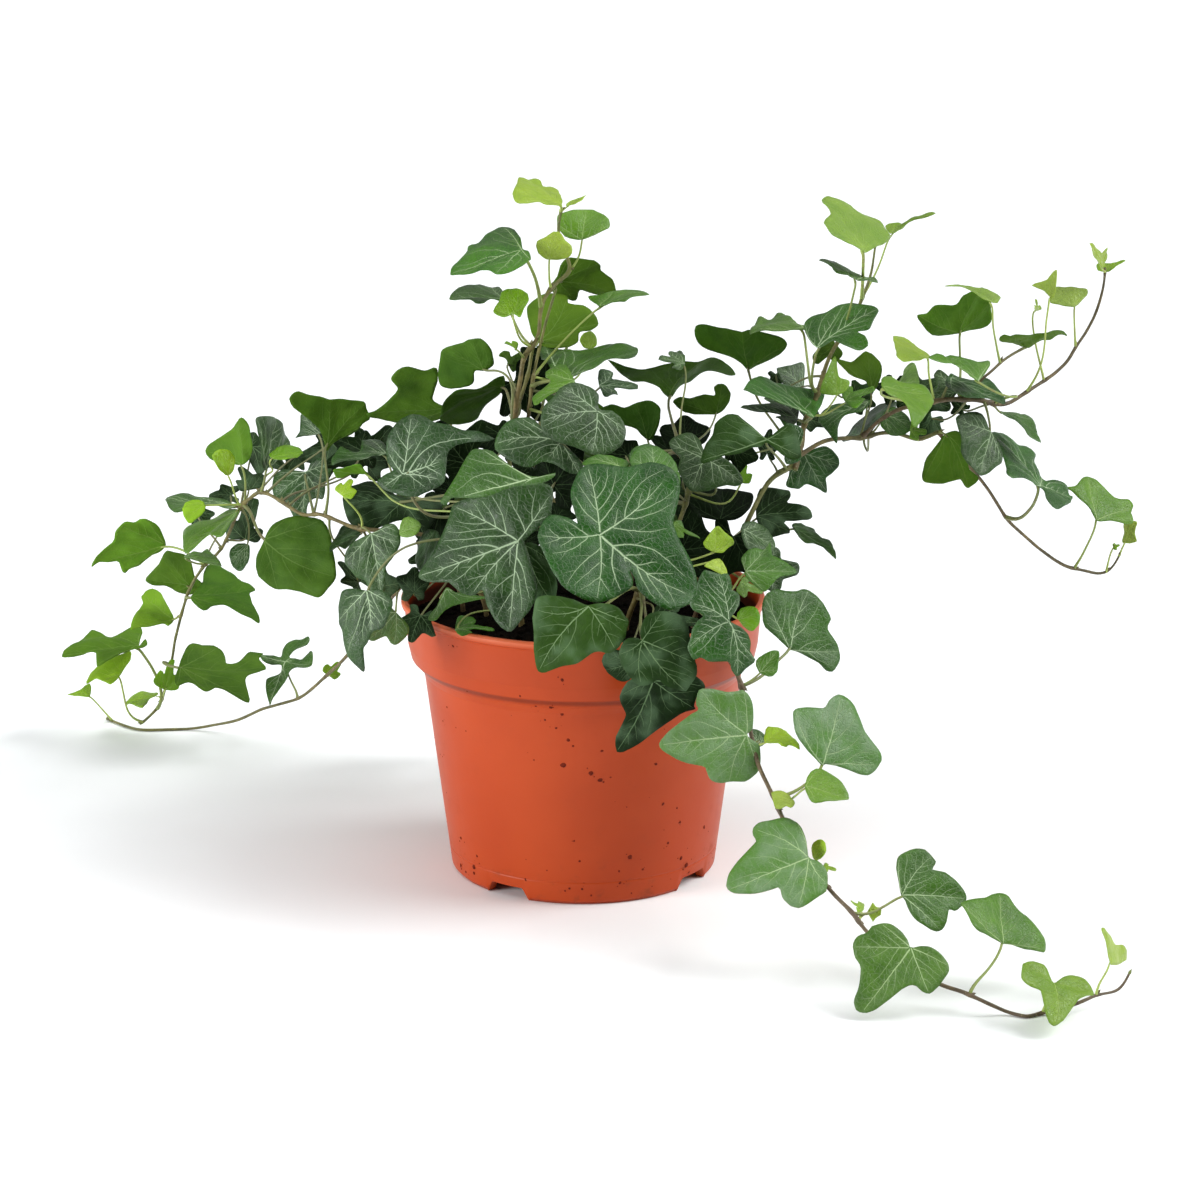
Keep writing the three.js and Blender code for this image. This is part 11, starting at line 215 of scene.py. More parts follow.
    ('G20d', 'leaflet_right_26', 'stem_right', 0, 0.5, 'T', (124.37,24.13,155.68), (0.222,-0.588,0.778), (-0.701,0.458,0.546), (0,0,-6.1,-1.6,-7.7,-1.6,-8.8,-0.9,-9.4,0.3,-10.1,3.3,-9.8,4.2,-8.5,5.3,-7.2,5.8,-4.2,6.3,-1.6,9.7,-0.5,10.3,1.2,10.7,1.8,10.6,2.2,10,1.9,3.9,2.1,3.6,3.3,4.3,4.4,4.2,4.8,3.8,4.7,2.9,4.3,1.4,3.9,0.8,3.2,0.5), (0,10.5,4.4,4.2,-9.5,4.6), (123.5,24.7,156.3,124.4,24.1,155.7,124.7,20.2,154.2), 0.5),
    ('D0', 'leaflet_front_14', 'stem_front', 0, 0, 'D', (21.9,-62.31,102.49), (0.1,-0.796,0.597), (0.994,0.049,-0.1), (0,0,-3.3,0.7,-4.8,1.5,-5.7,2.4,-5.9,3.6,-4.4,8.5,-3.9,8.7,-3,8.3,-2,7.1,-1.7,7.4,-1.4,14.1,-1.1,14.8,-0.4,15.2,0.8,15,1.4,14,1.9,7.9,2.2,7.6,3.4,8.8,4,9,4.9,8.9,6.4,3.5,6.2,2.2,5.2,1.3,3.5,0.6), (0,15.2,-4.1,8.7,4.6,9), (23.1,-62.3,102.4,21.9,-62.3,102.5,22.5,-53.6,102.5,22.5,-47.7,102,21.9,-41.4,101,19.7,-29.4,98.7,17.3,-21,97.4), 0.5),
    ('R2', 'leaflet_right_27', 'stem_right', 0, 2.3, 'T', (100.23,18.01,209.8), (-0.394,-0.053,0.917), (0.917,0.047,0.397), (-9.5,0,-10.3,0.7,-10.1,1.7,-8.6,3.8,-7.6,4.4,-4.9,5.4,-4.3,6,-4.5,6.6,-6.2,8.1,-6.7,8.8,-6.3,9.5,-4.3,11.6,-4.5,12.3,-5.6,13.7,-5.5,14.3,-2.8,15.7,-1.2,16.2,0,16.3,0.5,15.7,0.5,13.4,-0.1,11.5,-1.4,9.1,-1.3,7.3,-0.6,5.4,3,1.6,2.8,0.6,0.5,0.1,-3.2,-0.2,-7,-0.3), (0,16.3,-6.7,6.3,-0.2,6.4), (101.3,18.7,210.3,100.2,18,209.8,96.7,15.9,199.5,94.3,15.6,194.5,94.1,15,194.2,91.2,14,189.4), 0.5),
    ('G5', 'leaflet_right_28', 'stem_right', 0, 2.6, 'T', (164.34,43.54,180.82), (0.061,-0.504,0.862), (0.506,0.76,0.408), (-9.6,1.4,-9.6,3.9,-8.8,5.2,-6.5,6.6,-1.7,10.5,-0.5,11.1,0,11,0.8,9.6,1.3,7.6,0.8,1.1,0.2,-0.5,-1.8,-1.5,-6.9,-3,-7.6,-2.8,-8.3,-2.1), (0,11,-9.7,3.1,-3.8,-1.4), (164.2,44.4,181.3,164.3,43.5,180.8,164.4,43.7,179,165.4,46.6,169.6,165.8,47.2,165.9), 0.5),
    ('X35', 'leaflet_front_15', 'stem_front', 0, 0.3, 'I', (14.38,-35.05,148.31), (0.094,0.974,0.204), (-0.985,0.06,0.162), (0,0,-0.7,-0.4,-2.9,-3.1,-3.6,-3.1,-5.4,-2.2,-5.7,-1.6,-4.9,1,-6.1,4.2,-5.7,5,-3.3,5.6,-2.8,6,-1.2,9.9,-0.6,10.5,0,10.6,0.6,10.5,1.2,9.9,2.7,6.4,3.2,6,5.6,5.7,6.1,4.9,4.9,0.7,5.2,-2.6,4.9,-3,3.4,-3.6,2.3,-3.5,0.6,-0.5), (0,10.6,5.8,5.6,-5.9,4.8,5.1,-2.7,-5.7,-1.8), (13.2,-35,148.5,14.4,-35,148.3,14.8,-36.2,144.8,16.2,-35.2,142,18.4,-32.4,139.8,27.7,-19,133.4,30.8,-14.4,130.5,33.6,-10.6,126.8), 0.5),
    ('LC1b', 'leaflet_left_20', 'stem_centre', 0, 1.6, 'U', (-71.38,14.83,130.08), (0.057,0.549,0.834), (-0.963,-0.191,0.191), (-0.7,11.8,-1.5,11.4,-1.8,9.4,-2.2,8.5,-6.5,6.3,-7.8,5.2,-8.1,4.6,-8,4,-7.1,3.4,-3,1.4,-0.4,-0.4,0.2,-0.6,1.2,0.1,3.2,4.2,6.8,6.6,8.1,7.8,8.4,8.4,7.9,9,6.2,9.8,1.2,11.5), (0,11.5,-7.4,4.2), (-72.1,14.7,130.2,-71.4,14.8,130.1,-67.2,11.5,126.1,-63.1,7.4,122.8,-57.8,3.3,121.4,-51.8,-0.7,121.5,-39,-8.1,122.9,-32.6,-11.1,123.4,-26.3,-13.2,123.8), 0.5),
    ('LB3c', 'leaflet_trailing_left_06', 'stem_left_upper', 0, 2.2, 'U', (-154.3,126.66,20.72), (-0.768,0.64,0.022), (0.223,0.235,0.946), (0,0,3.6,0.8,5.1,1.4,6.1,2.2,6.3,3.2,4.6,7,3.5,6.9,2.1,5.8,1.8,6,1.4,10.9,1.2,11.4,0.4,11.7,-0.7,11.6,-1.4,10.8,-2.7,6.3,-3.1,6,-4.7,6.7,-5.7,6.8,-6.8,6.4,-7.6,3.2,-7.7,1.9,-7.2,0.9,-5.9,0.3,-4,0), (0,11.7,4.4,7.1,-6.4,6.7), (-154,126.9,21.9,-154.3,126.7,20.7,-154.6,127.6,20,-156.9,138,13.4), 0.5),
    ('R8b', 'leaflet_back_15', 'stem_right', 0, 0.4, 'T', (74.03,44.15,152.59), (0.425,-0.652,0.628), (-0.754,0.129,0.644), (-0.9,11.1,0.1,10.8,3.6,8.1,7.9,6,8.5,5.3,8.1,4.5,1.1,0.2,0,0,-1.2,0.2,-3.5,1.4,-4.2,2.3,-4.7,3.3,-4.8,4.6,-4.5,7.1,-3,9.6,-2,10.6), (0,10.8,8.5,5.3,-5.2,5.7), (73.1,44.3,153.4,73.7,42.3,153.5,74,39.3,154.1,74.6,26.4,157.3,75.1,21.5,158.2,75.9,16.6,158.6,77.2,12,158.4), 0.5),
    ('D9b', 'leaflet_right_29', 'stem_right', 0, 0.4, 'T', (69.93,-17.94,147.31), (0.116,-0.904,0.41), (-0.992,-0.086,0.09), (0,0,-3.5,-0.6,-4.4,-0.4,-5.1,0.2,-5.6,1.1,-6.2,3.4,-6.1,4.1,-5.3,4.7,-4.6,5,-3.1,4.9,-2.6,5.2,-1.8,8.7,-0.9,9.3,0,9.4,0.9,9.2,1.8,8.6,3.1,6,5.3,5.7,6.2,5.4,7.1,4.5,7.3,3.7,6.6,1,6,-0.1,5.3,-0.8,4.2,-0.9), (0,9.4,6.9,4.8,-5.9,4.3), (68.7,-18,147.4,69.9,-17.9,147.3,71.8,4.3,144.4), 0.5),
    ('X27', 'leaflet_middle_17', 'stem_right', 0, 0.3, 'I', (48.61,-9.05,144.01), (0.251,0.934,-0.254), (0.912,-0.316,-0.26), (0,0,-0.7,-0.2,-2.5,-1.9,-3.4,-1.7,-4.5,-0.8,-3.6,0.4,-3.8,0.8,-7.1,4.1,-6.5,4.9,-3.2,6,-1.2,8.6,0,9.2,0.6,9.1,1.2,8.6,3.1,5.5,6.3,4.3,6.7,3.5,4.7,0.8,5.4,-1.5,4,-2.4,2.8,-2.6,0.7,-0.4), (0,9.2,6.5,4.1,-6.7,4.8,5.5,-1.4,-4.5,-0.8), (49.7,-9.4,143.7,48.6,-9,144,48.9,-9.9,142.6,50.5,-9.6,142,53.2,-8.4,142,64.2,-1.8,143.2,67.9,0.5,143.1,71.2,2.3,142.3), 0.5),
    ('T3', 'leaflet_top_07', 'stem_centre', 0, 3, 'T', (-10.86,2.52,204.42), (-0.274,-0.862,0.426), (0.237,0.368,0.899), (-5.8,5.1,-5.4,5.6,-3.2,6.9,-1,9.3,0.8,9.6,2,8.9,3.7,7.1,6.2,5.8,6.9,4.6,7.1,3.3,6.6,2,5.3,0.9,2.8,0.1,-0.9,-0.3,-2.3,0.2,-4,1.2,-5.6,3.6), (0,9.5,-5.8,5.1,6.7,5.2), (-10.6,3,205.5,-10.9,2.5,204.4,-10.9,3.2,203.1,-10.9,9.9,195.7,-10.4,11.7,193), 0.5),
    ('R8c', 'leaflet_right_30', 'stem_right', 0, 2, 'T', (83.01,-0.18,160.11), (-0.7,-0.687,0.195), (-0.095,0.36,0.928), (-7.5,2.3,-7.3,3.2,-4.8,6.5,-1.2,12,-0.5,12.7,0,12.9,0.7,10.8,1.3,6.2,1.6,5.7,2.5,5.1,4.9,4.2,5.7,3.6,5.8,2.9,5.6,2.2,4.4,0.9,2.4,0.2,0,0,-2,0.2,-6.1,1.3,-7,1.7), (0,12.9,5.7,3.6,-7,2.6), (82.9,0.2,161.2,83,-0.2,160.1,82,0.4,158.6,80.2,2.6,155.2,78.5,5.3,152,77.3,6.8,151.3,74.1,9.3,151.5), 0.5),
    ('X34', 'leaflet_middle_18', 'stem_centre', 0, 0.1, 'D', (-49.47,23.25,101.05), (-0.067,-0.916,0.396), (-0.936,-0.08,-0.343), (0,0,0.6,-0.4,2.7,-3,3.3,-3.1,5,-2.2,5.3,-1.8,5.3,-1.2,4,0.2,3.9,0.7,6.3,4.2,6,4.9,5.4,5.3,2.9,4.8,2.3,5,1.9,5.9,1.1,9.2,0.9,9.7,0.3,9.9,-0.6,9.8,-1.1,9.2,-2.1,6.1,-2.6,5.3,-3.3,5,-6,5.3,-6.4,5,-6.9,4.1,-3.3,0.4,-3.3,-0.2,-4.4,-1.5,-4.1,-2.2,-2.6,-2.8,-2.1,-2.7,-0.6,-0.3), (0,9.9,-6.6,4.8,6,4.9,-4.4,-1.9,5.3,-1.8), (-50.6,23.2,100.6,-49.5,23.3,101.1,-48.6,24.3,97.2,-46.5,22.4,95.9,-43.4,18.2,96.6,-31.2,-1.8,103.3,-27,-8.5,104.7,-23.3,-14.2,104.5), 0.5),
    ('D11', 'leaflet_front_16', 'stem_front', 0, 1.6, 'D', (28.37,-44.64,128.34), (0.455,-0.061,0.888), (0.89,-0.008,-0.456), (0,0,-4.8,1.2,-7.7,2.6,-7.3,3.1,-2.9,4.3,-2.6,4.6,-1.9,4.2,-1.2,3.3,-1.2,9.4,-1,10,-0.7,10.1,0.6,9.9,1.2,9.1,2.9,4.1,3.4,3.8,5.2,4.4,7.4,4.3,11.3,0.9,11.1,0.2,9.3,-0.2,6.3,-0.3), (0,10,-2.6,4.6,7.1,4.4), (29.4,-44.6,127.8,28.4,-44.6,128.3,28,-43,125.6,27.7,-40.3,122.6,26.8,-29.9,113,26.2,-26.4,110.5,25.1,-23.3,109.3,23.6,-20.9,109.2), 0.5),
    ('CL1', 'leaflet_front_17', 'stem_centre', 0, 1, 'T', (-43.56,-39.31,105.19), (-0.204,-0.612,0.764), (0.923,-0.381,-0.059), (-0.7,-0.3,-1.1,0.4,0.2,3.2,0.2,4.2,-0.2,13.1,0,14,0.5,13.7,1.3,12.4,4.4,6,5.6,4.3,7.8,2.6,11.2,1.8,12,1.4,12.5,-0.3,12.3,-1.2,11.8,-1.8,10.9,-1.8,6.5,-0.7,0.5,-0.6), (0,14,-1.1,1.7,11.9,-0.3), (-43,-40,104.8,-43.6,-39.3,105.2,-45.7,-37.8,102.4,-45.9,-35.2,100.5,-43.5,-31.6,99.8,-39.7,-27.6,99.5,-31.1,-19.7,99.4,-26.8,-16.4,99.6,-22.4,-14.1,100), 0.5),
    ('C3x', 'leaflet_front_18', 'stem_front', 0, 1.3, 'T', (12.17,-52.95,148.92), (0,-0.507,0.862), (-0.93,0.316,0.186), (-3,11.8,-2.3,12.1,-1.5,12.1,0.6,11.5,2.4,8.7,3.3,6.7,3.8,4.6,3.6,1.5,2.9,-1.2,2,-2.3,0.6,-2.1,-0.9,-1.1,-2.1,0.5,-3,2.7,-3.6,5.2,-3.9,7.7,-3.7,10.1), (0,12,2.9,7.3), (11.8,-52.8,149,12.2,-53,148.9,12.6,-50.6,142.3,13.9,-47.2,137.4,15.7,-43,133.9,23.4,-27.7,125.5,26,-22.4,121.6,28.3,-17.6,116.3), 0.5),
    ('X39', 'leaflet_front_19', 'stem_left_upper', 0, 0.1, 'D', (-51.79,-38.16,96.4), (0,-0.963,0.271), (-0.362,-0.253,-0.897), (0,0,0.5,-0.3,2,-2.6,3.1,-2.7,4.3,-2.2,4.5,-1.6,3.6,-0.2,3.6,0.4,6.2,3.8,6.1,4.2,5.3,4.7,3,4.4,2.4,4.6,1.2,8.6,0.9,9.1,0.3,9.3,-0.6,9.2,-1.2,8.6,-2.2,5.8,-2.6,5.1,-3.3,4.9,-5.8,5.2,-6.7,4.6,-6.9,4.2,-3.9,0.6,-3.9,0,-5,-1.4,-5,-1.8,-4.7,-2.2,-3,-2.8,-2.4,-2.7,-0.6,-0.4), (0,9.3,-6.5,4.8,5.9,4.4,-5,-1.8,4.5,-2), (-52.2,-38.5,95.3,-45.6,-11.9,98.6,-42.3,-1.1,100.8,-40.4,4.3,102.4), 0.5),
    ('X36', 'leaflet_left_21', 'stem_left_upper', 0, 0.3, 'D', (-76.23,35.65,87.06), (0.468,-0.653,0.596), (-0.681,0.163,0.714), (0,0,0.5,-0.4,2,-2.9,2.9,-2.9,4.1,-2.3,4.3,-1.6,3.4,-0.1,3.4,0.6,6,4.7,5.8,5.2,5,5.7,2.9,5.4,2.3,5.6,1.1,9.3,0.5,9.9,-0.3,9.9,-0.8,9.7,-1.1,9.2,-2.3,5,-2.8,4.7,-4.9,4.9,-5.4,4.5,-5.7,3.9,-3.6,0.4,-3.6,-0.1,-4.5,-1.7,-4.2,-2.6,-2.6,-3.2,-2.1,-3,-0.5,-0.4), (0,9.9,-5.4,4.5,5.6,5.4,-4.5,-2.2,4.2,-2.1), (-77,35.8,87.9,-77.4,34.4,90.9,-78.6,33.3,93.8,-83.8,31,101.9,-85.1,30.2,104.8,-85.7,29.3,108,-85.2,28.2,111.7), 0.5),
    ('X50', 'leaflet_left_22', 'stem_left_upper', 0, 0, 'D', (-55,-16.4,97.69), (0.392,-0.87,0.3), (0.038,0.341,0.939), (0,0,0.4,-0.3,1.6,-2.3,2.4,-2.3,3.5,-1.9,3.7,-1.7,3.5,0.4,5.5,3.8,5.1,4.4,2.9,4.8,2.5,5.1,1.1,8.3,0.3,8.8,-0.8,8.5,-2.9,6.2,-5.9,5.3,-6.5,4.5,-4.1,0.5,-4,-0.2,-4.4,-2.1,-4.2,-2.4,-3,-2.9,-2,-2.8), (0,8.8,-6.1,5.2,5.2,4.3,-4.4,-2.2,3.6,-1.8), (-54.9,-16,98.8,-55,-16.4,97.7,-55.1,-14.3,95.8,-54.1,-11.9,95.4,-52.4,-9.4,96.1,-45,-1.2,100.9,-42.5,1.6,102,-40.4,4.3,102.4), 0.5),
    ('X54', 'leaflet_right_31', 'stem_right', 0, 0.3, 'D', (91.69,35.26,149.58), (-0.354,-0.846,0.399), (0.662,0.075,0.746), (0,0,0.5,-0.4,2,-2.8,2.5,-2.9,4,-2.3,4.4,-1.7,3.5,-0.2,3.6,0.3,5.9,3.1,5.4,4,3,4.3,2.5,4.7,1.1,8.7,0.3,9.4,-0.5,9.3,-1.1,8.7,-2.7,5.6,-3.4,5.4,-5.9,5.2,-6.6,4.6,-6.8,4.1,-3.3,0.5,-3.2,0.1,-4.1,-0.8,-4.2,-1.3,-4.1,-1.7,-3.1,-2.3,-2.2,-2.4,-0.5,-0.3), (0,9.4,-6.5,4.8,5.7,3.7,-4.2,-1.4,4.3,-2), (92.5,35.3,150.5,91.7,35.3,149.6,91.8,35.9,147.4,91,34.7,147.3,87.6,30,153.3,86.9,28.2,152.2,80,16.1,159.5,77.9,12.7,160.7), 0.5),
    ('LL2b', 'leaflet_left_23', 'stem_left_upper', 0, 2.6, 'P', (-130.78,63.42,107), (-0.117,-0.445,0.888), (-0.991,0.113,-0.075), (-1,8,1.9,7.5,2.6,7.1,3.3,5.9,3.4,4.4,2.8,2.6,1.6,0.9,0.8,0.3,-1.1,-0.5,-3.2,-0.5,-6.2,0.9,-8.8,3.2,-9.1,3.9,-8.8,4.7,-7.9,5.3,-4.7,7), (0,7.8,3.1,6.5,-6.4,5.8), (-132,63,106.6,-117.8,65.5,106.7), 0.5),
    ('LLs', 'leaflet_left_24', 'stem_left_upper', 0, 0.6, 'T', (-116.51,65.64,92.11), (-0.422,-0.628,0.654), (-0.751,-0.162,-0.641), (-0.3,-0.3,-1.1,-0.2,-2.7,0.6,-5.1,2.3,-6.3,3.8,-6.9,5.9,-7,6.9,-6.7,7.7,-5.9,8.2,-4.8,8.6,-2.4,8.9,-0.1,8.5,2,7.6,2.8,7,4,5.6,4.3,4.1,3.7,2.5,1.6,0.5), (0,7.9,4.6,4.6,-5.4,4.2), (-117.4,65.4,91.3,-116.5,65.6,92.1,-116.1,66.3,95.6,-116.1,66.7,99.2,-116.9,67.1,102.6,-118.8,67.4,105.2), 0.5),
    ('R6b', 'leaflet_right_32', 'stem_right', 0, 0.5, 'U', (84,30.14,170.65), (-0.275,0.932,0.234), (-0.803,-0.089,-0.59), (0,0,3.6,-0.3,4.4,-0.1,5,0.5,5.3,1.4,5.6,3.4,5.4,3.9,4.7,4.3,4,4.4,2.6,4.1,2.3,4.4,1.9,8.7,1.5,9.1,0.5,9.5,-1,9.3,-1.9,8.7,-2.7,5.2,-3.1,5,-4.7,5.3,-5.5,5.2,-6.4,4.6,-6.6,4.1,-6.2,1.7,-5.9,0.7,-5.2,0,-4.1,-0.2), (0,9.5,-6.2,4.9,5.2,4), (83,30,169.9,84,30.1,170.7,83.9,18,173.9), 0.5),
    ('LTy', 'leaflet_left_25', 'stem_left_upper', 0, 3, 'T', (-121.31,54.46,119.51), (0.728,-0.554,0.403), (-0.548,-0.119,0.828), (-0.1,9.3,2,9.4,4.2,8.8,6.4,7.2,7.3,6.2,7.8,5.2,7.9,4.3,7,2.3,6.2,1.6,3.5,0.3,1.9,0,0.7,0,-0.2,0.4,-1,1.2,-2.1,4,-2.1,5.8,-1.3,8.2), (0,8.8,7.9,4.7,-2.1,2.4), (-121.9,54.8,121.1,-121.3,54.5,119.5,-121,55.4,117.9,-120,64.9,108.4,-118.8,67.4,105.2), 0.5),
    ('C10', 'leaflet_front_20', 'stem_front', 0, 0, 'D', (14.48,-66.24,89.03), (-0.099,-0.99,0.099), (-0.947,0.063,-0.316), (3,7.9,4.5,6.9,5.3,5.4,5.5,3.6,4.7,1.5,3.5,0.7,-0.5,-0.6,-2.9,-0.6,-4.3,-0.1,-4.7,0.3,-5.4,1.5,-5.5,2.8,-5.1,4,-4.4,5,-1.1,7.3,1.3,7.9), (0,7.6,5.3,6.3,-5.4,2.3), (13.7,-66.2,88.8,15.4,-62.3,92.9,16.8,-58.1,95.4,17.7,-53.4,96.6,18.3,-48.3,97.1,18.8,-36.3,97.6,18.8,-29.5,98.5,18.6,-22,100.4), 0.5),
    ('X53', 'leaflet_right_33', 'stem_right', 0, 0.1, 'D', (104.36,39.6,155.42), (0,-0.963,0.271), (-0.29,-0.26,-0.921), (0,0,1.4,-2.1,2.2,-2.2,3.1,-1.9,3.3,-1.6,2.9,-0.4,3.1,0,6.2,2.8,5.7,3.6,2.8,4.6,1,7.3,0.5,7.8,0,7.9,-1,7.3,-2.6,4.9,-5.5,4.3,-6.1,3.6,-3.8,-0.1,-3.4,-3,-2.1,-3.2,-1.1,-2.9), (0,7.9,-5.9,4.1,6,3.4,-3.5,-2.9,3.3,-1.8), (104,39.3,154.3,104,36.1,153.8,103.1,29.8,152.6,99.8,16.8,149), 0.5),
    ('X38', 'leaflet_right_34', 'stem_right', 0, 0.3, 'D', (117.63,42.76,142.77), (0.165,-0.909,0.382), (-0.521,-0.409,-0.749), (0,0,0.5,-0.3,1.8,-2.3,2.3,-2.5,3.7,-2,4.1,-1.5,3.5,-0.1,3.6,0.3,5.7,3,5.2,3.8,3,4.1,2.5,4.4,1,7.5,0.2,8,-0.5,7.9,-1,7.5,-2.7,4.7,-5.6,3.9,-6.2,3,-3.5,0.4,-3.4,0,-4.1,-0.7,-4.2,-1.3,-3.1,-2.1,-2.2,-2.1,-0.5,-0.3), (0,8,-5.9,3.6,5.5,3.5,-4.2,-1.3,4,-1.7), (117,42.3,141.9,120.2,37.2,142.9,122.6,32.7,144.7,124.8,27.7,148,127.3,21.3,153.8), 0.5),
    ('X6', 'leaflet_left_26', 'stem_left_upper', 0, 0.3, 'D', (-115.41,66.55,111.55), (0.491,-0.728,0.479), (-0.388,0.309,0.868), (0,0,-3.4,0.3,-4.1,0.7,-4.3,1.4,-3.8,4.7,-3.2,4.9,-1.7,4.3,-1.5,4.5,-1.2,8.3,-0.6,8.9,0.3,9.1,1.2,8.4,3.1,5,3.7,4.8,5.5,4.7,6.3,4.4,7,3.7,7.1,3.1,6.2,0.9,5.6,0,4.8,-0.6,3.8,-0.7), (0,9,-3.6,4.8,6.8,4), (-115.9,66.9,112.6,-115.4,66.5,111.5,-115.8,66.6,110.5,-117.1,64.2,107.6), 0.5),
    ('X45', 'leaflet_middle_19', 'stem_centre', 0, 0, 'I', (-8.53,-18.53,123.22), (-0.329,-0.787,0.522), (0.551,0.289,0.783), (0,0,0.6,-0.3,2.4,-2.3,3.3,-2.2,4.3,-1.5,4.4,-1.1,4.3,-0.6,3.4,0.2,3.4,0.6,5.8,3.5,5.2,4.4,2.9,4.6,2.4,4.9,1,8.1,0.5,8.6,-0.3,8.7,-0.8,8.5,-1,8.2,-1.9,4.4,-2.4,4.1,-4.3,4.3,-4.8,3.6,-3.4,0.8,-4.4,-1,-4.1,-1.6,-2.7,-2.4,-2.2,-2.3,-0.6,-0.3), (0,8.7,-4.6,4.1,5.5,4.1,-4.4,-1.3,4.4,-1.3), (-7.9,-18.2,124.2,-8.5,-18.5,123.2,-8.7,-17.7,121.3,-9.9,-17,120.3,-12,-16.4,119.9,-20.6,-15.1,120.4,-23.5,-14.6,120.2,-26.1,-14.1,119.3), 0.5),
    ('X37', 'leaflet_left_27', 'stem_left_upper', 0, 0.1, 'D', (-127.14,120.99,96.01), (-0.029,0.941,0.337), (-1,-0.025,-0.016), (0,0,-1.7,-2.8,-2.6,-3,-3.7,-2.6,-3.9,-2.2,-3.4,0.2,-5.1,3.3,-4.5,4.1,-2.6,4.3,-2.1,4.6,-0.9,7.8,-0.5,8.3,0.2,8.4,0.9,7.9,2.1,4.8,2.6,4.6,4.5,4.6,5.1,3.9,3.2,0.5,3.1,0,3.7,-1.5,3.5,-1.9,2.5,-2.4,1.7,-2.4,0.4,-0.3), (0,8.4,4.8,4.4,-4.8,3.9,3.7,-1.7,-3.9,-2.4), (-128.3,121,96,-127.1,121,96,-127.4,118.8,92.6,-128.1,116.3,90,-129.1,113.6,87.7,-133.4,104.5,81.3,-134.8,101.4,78.5,-136.1,98.4,75), 0.5),
    ('X51', 'leaflet_back_16', 'stem_centre', 0, 0, 'I', (-45.49,54.71,114.26), (0.126,0.992,-0.007), (-0.944,0.122,0.307), (0,0,-0.5,-0.3,-2,-1.9,-2.8,-1.9,-3.8,-1.4,-3.9,-1,-3.2,0.3,-3.2,0.8,-5,4.4,-4.2,5.1,-2.4,4.9,-2,5,-1,7.6,-0.5,8,0,8.1,0.5,8.1,1,7.6,2.6,5,5.3,4.5,5.9,3.7,3.6,0.7,3.5,0.3,4.2,-0.9,4,-1.4,2.7,-2.1,2.2,-2,0.5,-0.3), (0,8.1,5.6,4.3,-4.6,4.9,4.2,-1.1,-3.9,-1.2), (-46.6,54.9,114.6,-43.8,45.9,119.9,-41,37.5,124.2,-38.2,29.7,127.7,-32.4,15.5,133.7,-29.3,9.1,136.9,-26.2,3.1,140.6,-22.8,-2.5,145), 0.5),
    ('X46', 'leaflet_left_28', 'stem_left_upper', 0, 0.3, 'D', (-136.53,91.27,97.37), (0.292,0.955,0.047), (0.618,-0.151,-0.771), (0,0,-0.5,-0.3,-1.9,-2.3,-2.7,-2.3,-3.7,-1.8,-3.8,-1.4,-3.1,-0.1,-3.1,0.2,-5.6,2.4,-5.8,3,-5.2,3.8,-2.5,4.7,-0.9,7.6,-0.4,8.1,0,8.1,0.4,8.1,0.9,7.6,2,4.8,2.5,4.6,4.5,4.7,5.1,3.9,3.2,0.8,3.2,0.4,4.1,-0.9,3.9,-1.5,2.6,-2.2,2.2,-2.2,0.5,-0.3), (0,8.1,4.8,4.5,-5.6,3.4,4.1,-1.1,-3.8,-1.6), (-135.8,91.1,96.4,-136.5,91.3,97.4,-136.5,90.4,95.9,-136,89.6,94.6,-130.6,87.4,89.1,-127.8,86.2,85.4), 0.5),
    ('D3', 'leaflet_front_21', 'stem_front_trailing', 0, 1.2, 'T', (56.26,-62.8,84.95), (-0.474,-0.59,0.654), (0.588,0.341,0.733), (-4.2,2.3,-4.1,3.7,-3,5.7,-0.6,8.5,0.3,8.8,1.7,7.8,4.7,4,5.3,2.5,5.3,1.1,5.1,0.5,3.9,-0.2,1.4,-0.5,-0.4,-0.5,-3,0.9), (0,8.7,-3.9,2.4,5.3,3), (56.7,-62.5,85.5,53.5,-63.6,82.4,50.1,-64.2,80.8), 0.5),
    ('G7b', 'leaflet_right_35', 'stem_right', 0, 2.8, 'T', (176.59,60.56,189.81), (-0.505,-0.069,0.86), (0.863,-0.044,0.503), (2,-0.3,-0.2,-1.4,-2.9,-2.3,-6.5,-2.2,-8.2,-1.9,-9,-1.4,-8.6,-0.8,-4.4,1.8,-2.7,3.3,-1.4,4.8,-0.4,7.3,0,7.6,0.6,7.3,2.1,5.8,3.5,3.1,3.7,2.2,3.6,0.8), (0,7.6,-4.2,3.2,4.8,1.2), (176.9,60.5,190,176.6,60.6,189.8,176,56,190), 0.5),
    ('D8', 'leaflet_front_22', 'stem_front', 0, 3, 'T', (42.18,-40.25,118), (0.353,-0.836,0.42), (0.822,0.492,0.287), (-4,-2.5,-4.5,-2.1,-6.5,2,-7.1,3.9,-7,5,-6.5,5.4,-4.4,6,-1.6,7.6,-0.1,7.9,0.5,7.2,0.7,4.7,1.3,2.8,1.3,2,0.4,0.2,-1,-1.4,-2.5,-2.4), (0,7.9,-7,5,-3.8,-2.2), (42.9,-39.5,118.9,38.6,-38.6,116.1,34.9,-37.5,114.5,31.8,-36,113.7,29.2,-34.2,113.4,27.2,-31.9,113.1,25.5,-29,112.5,24.3,-25.4,111.2,23.4,-21,108.9), 0.5),
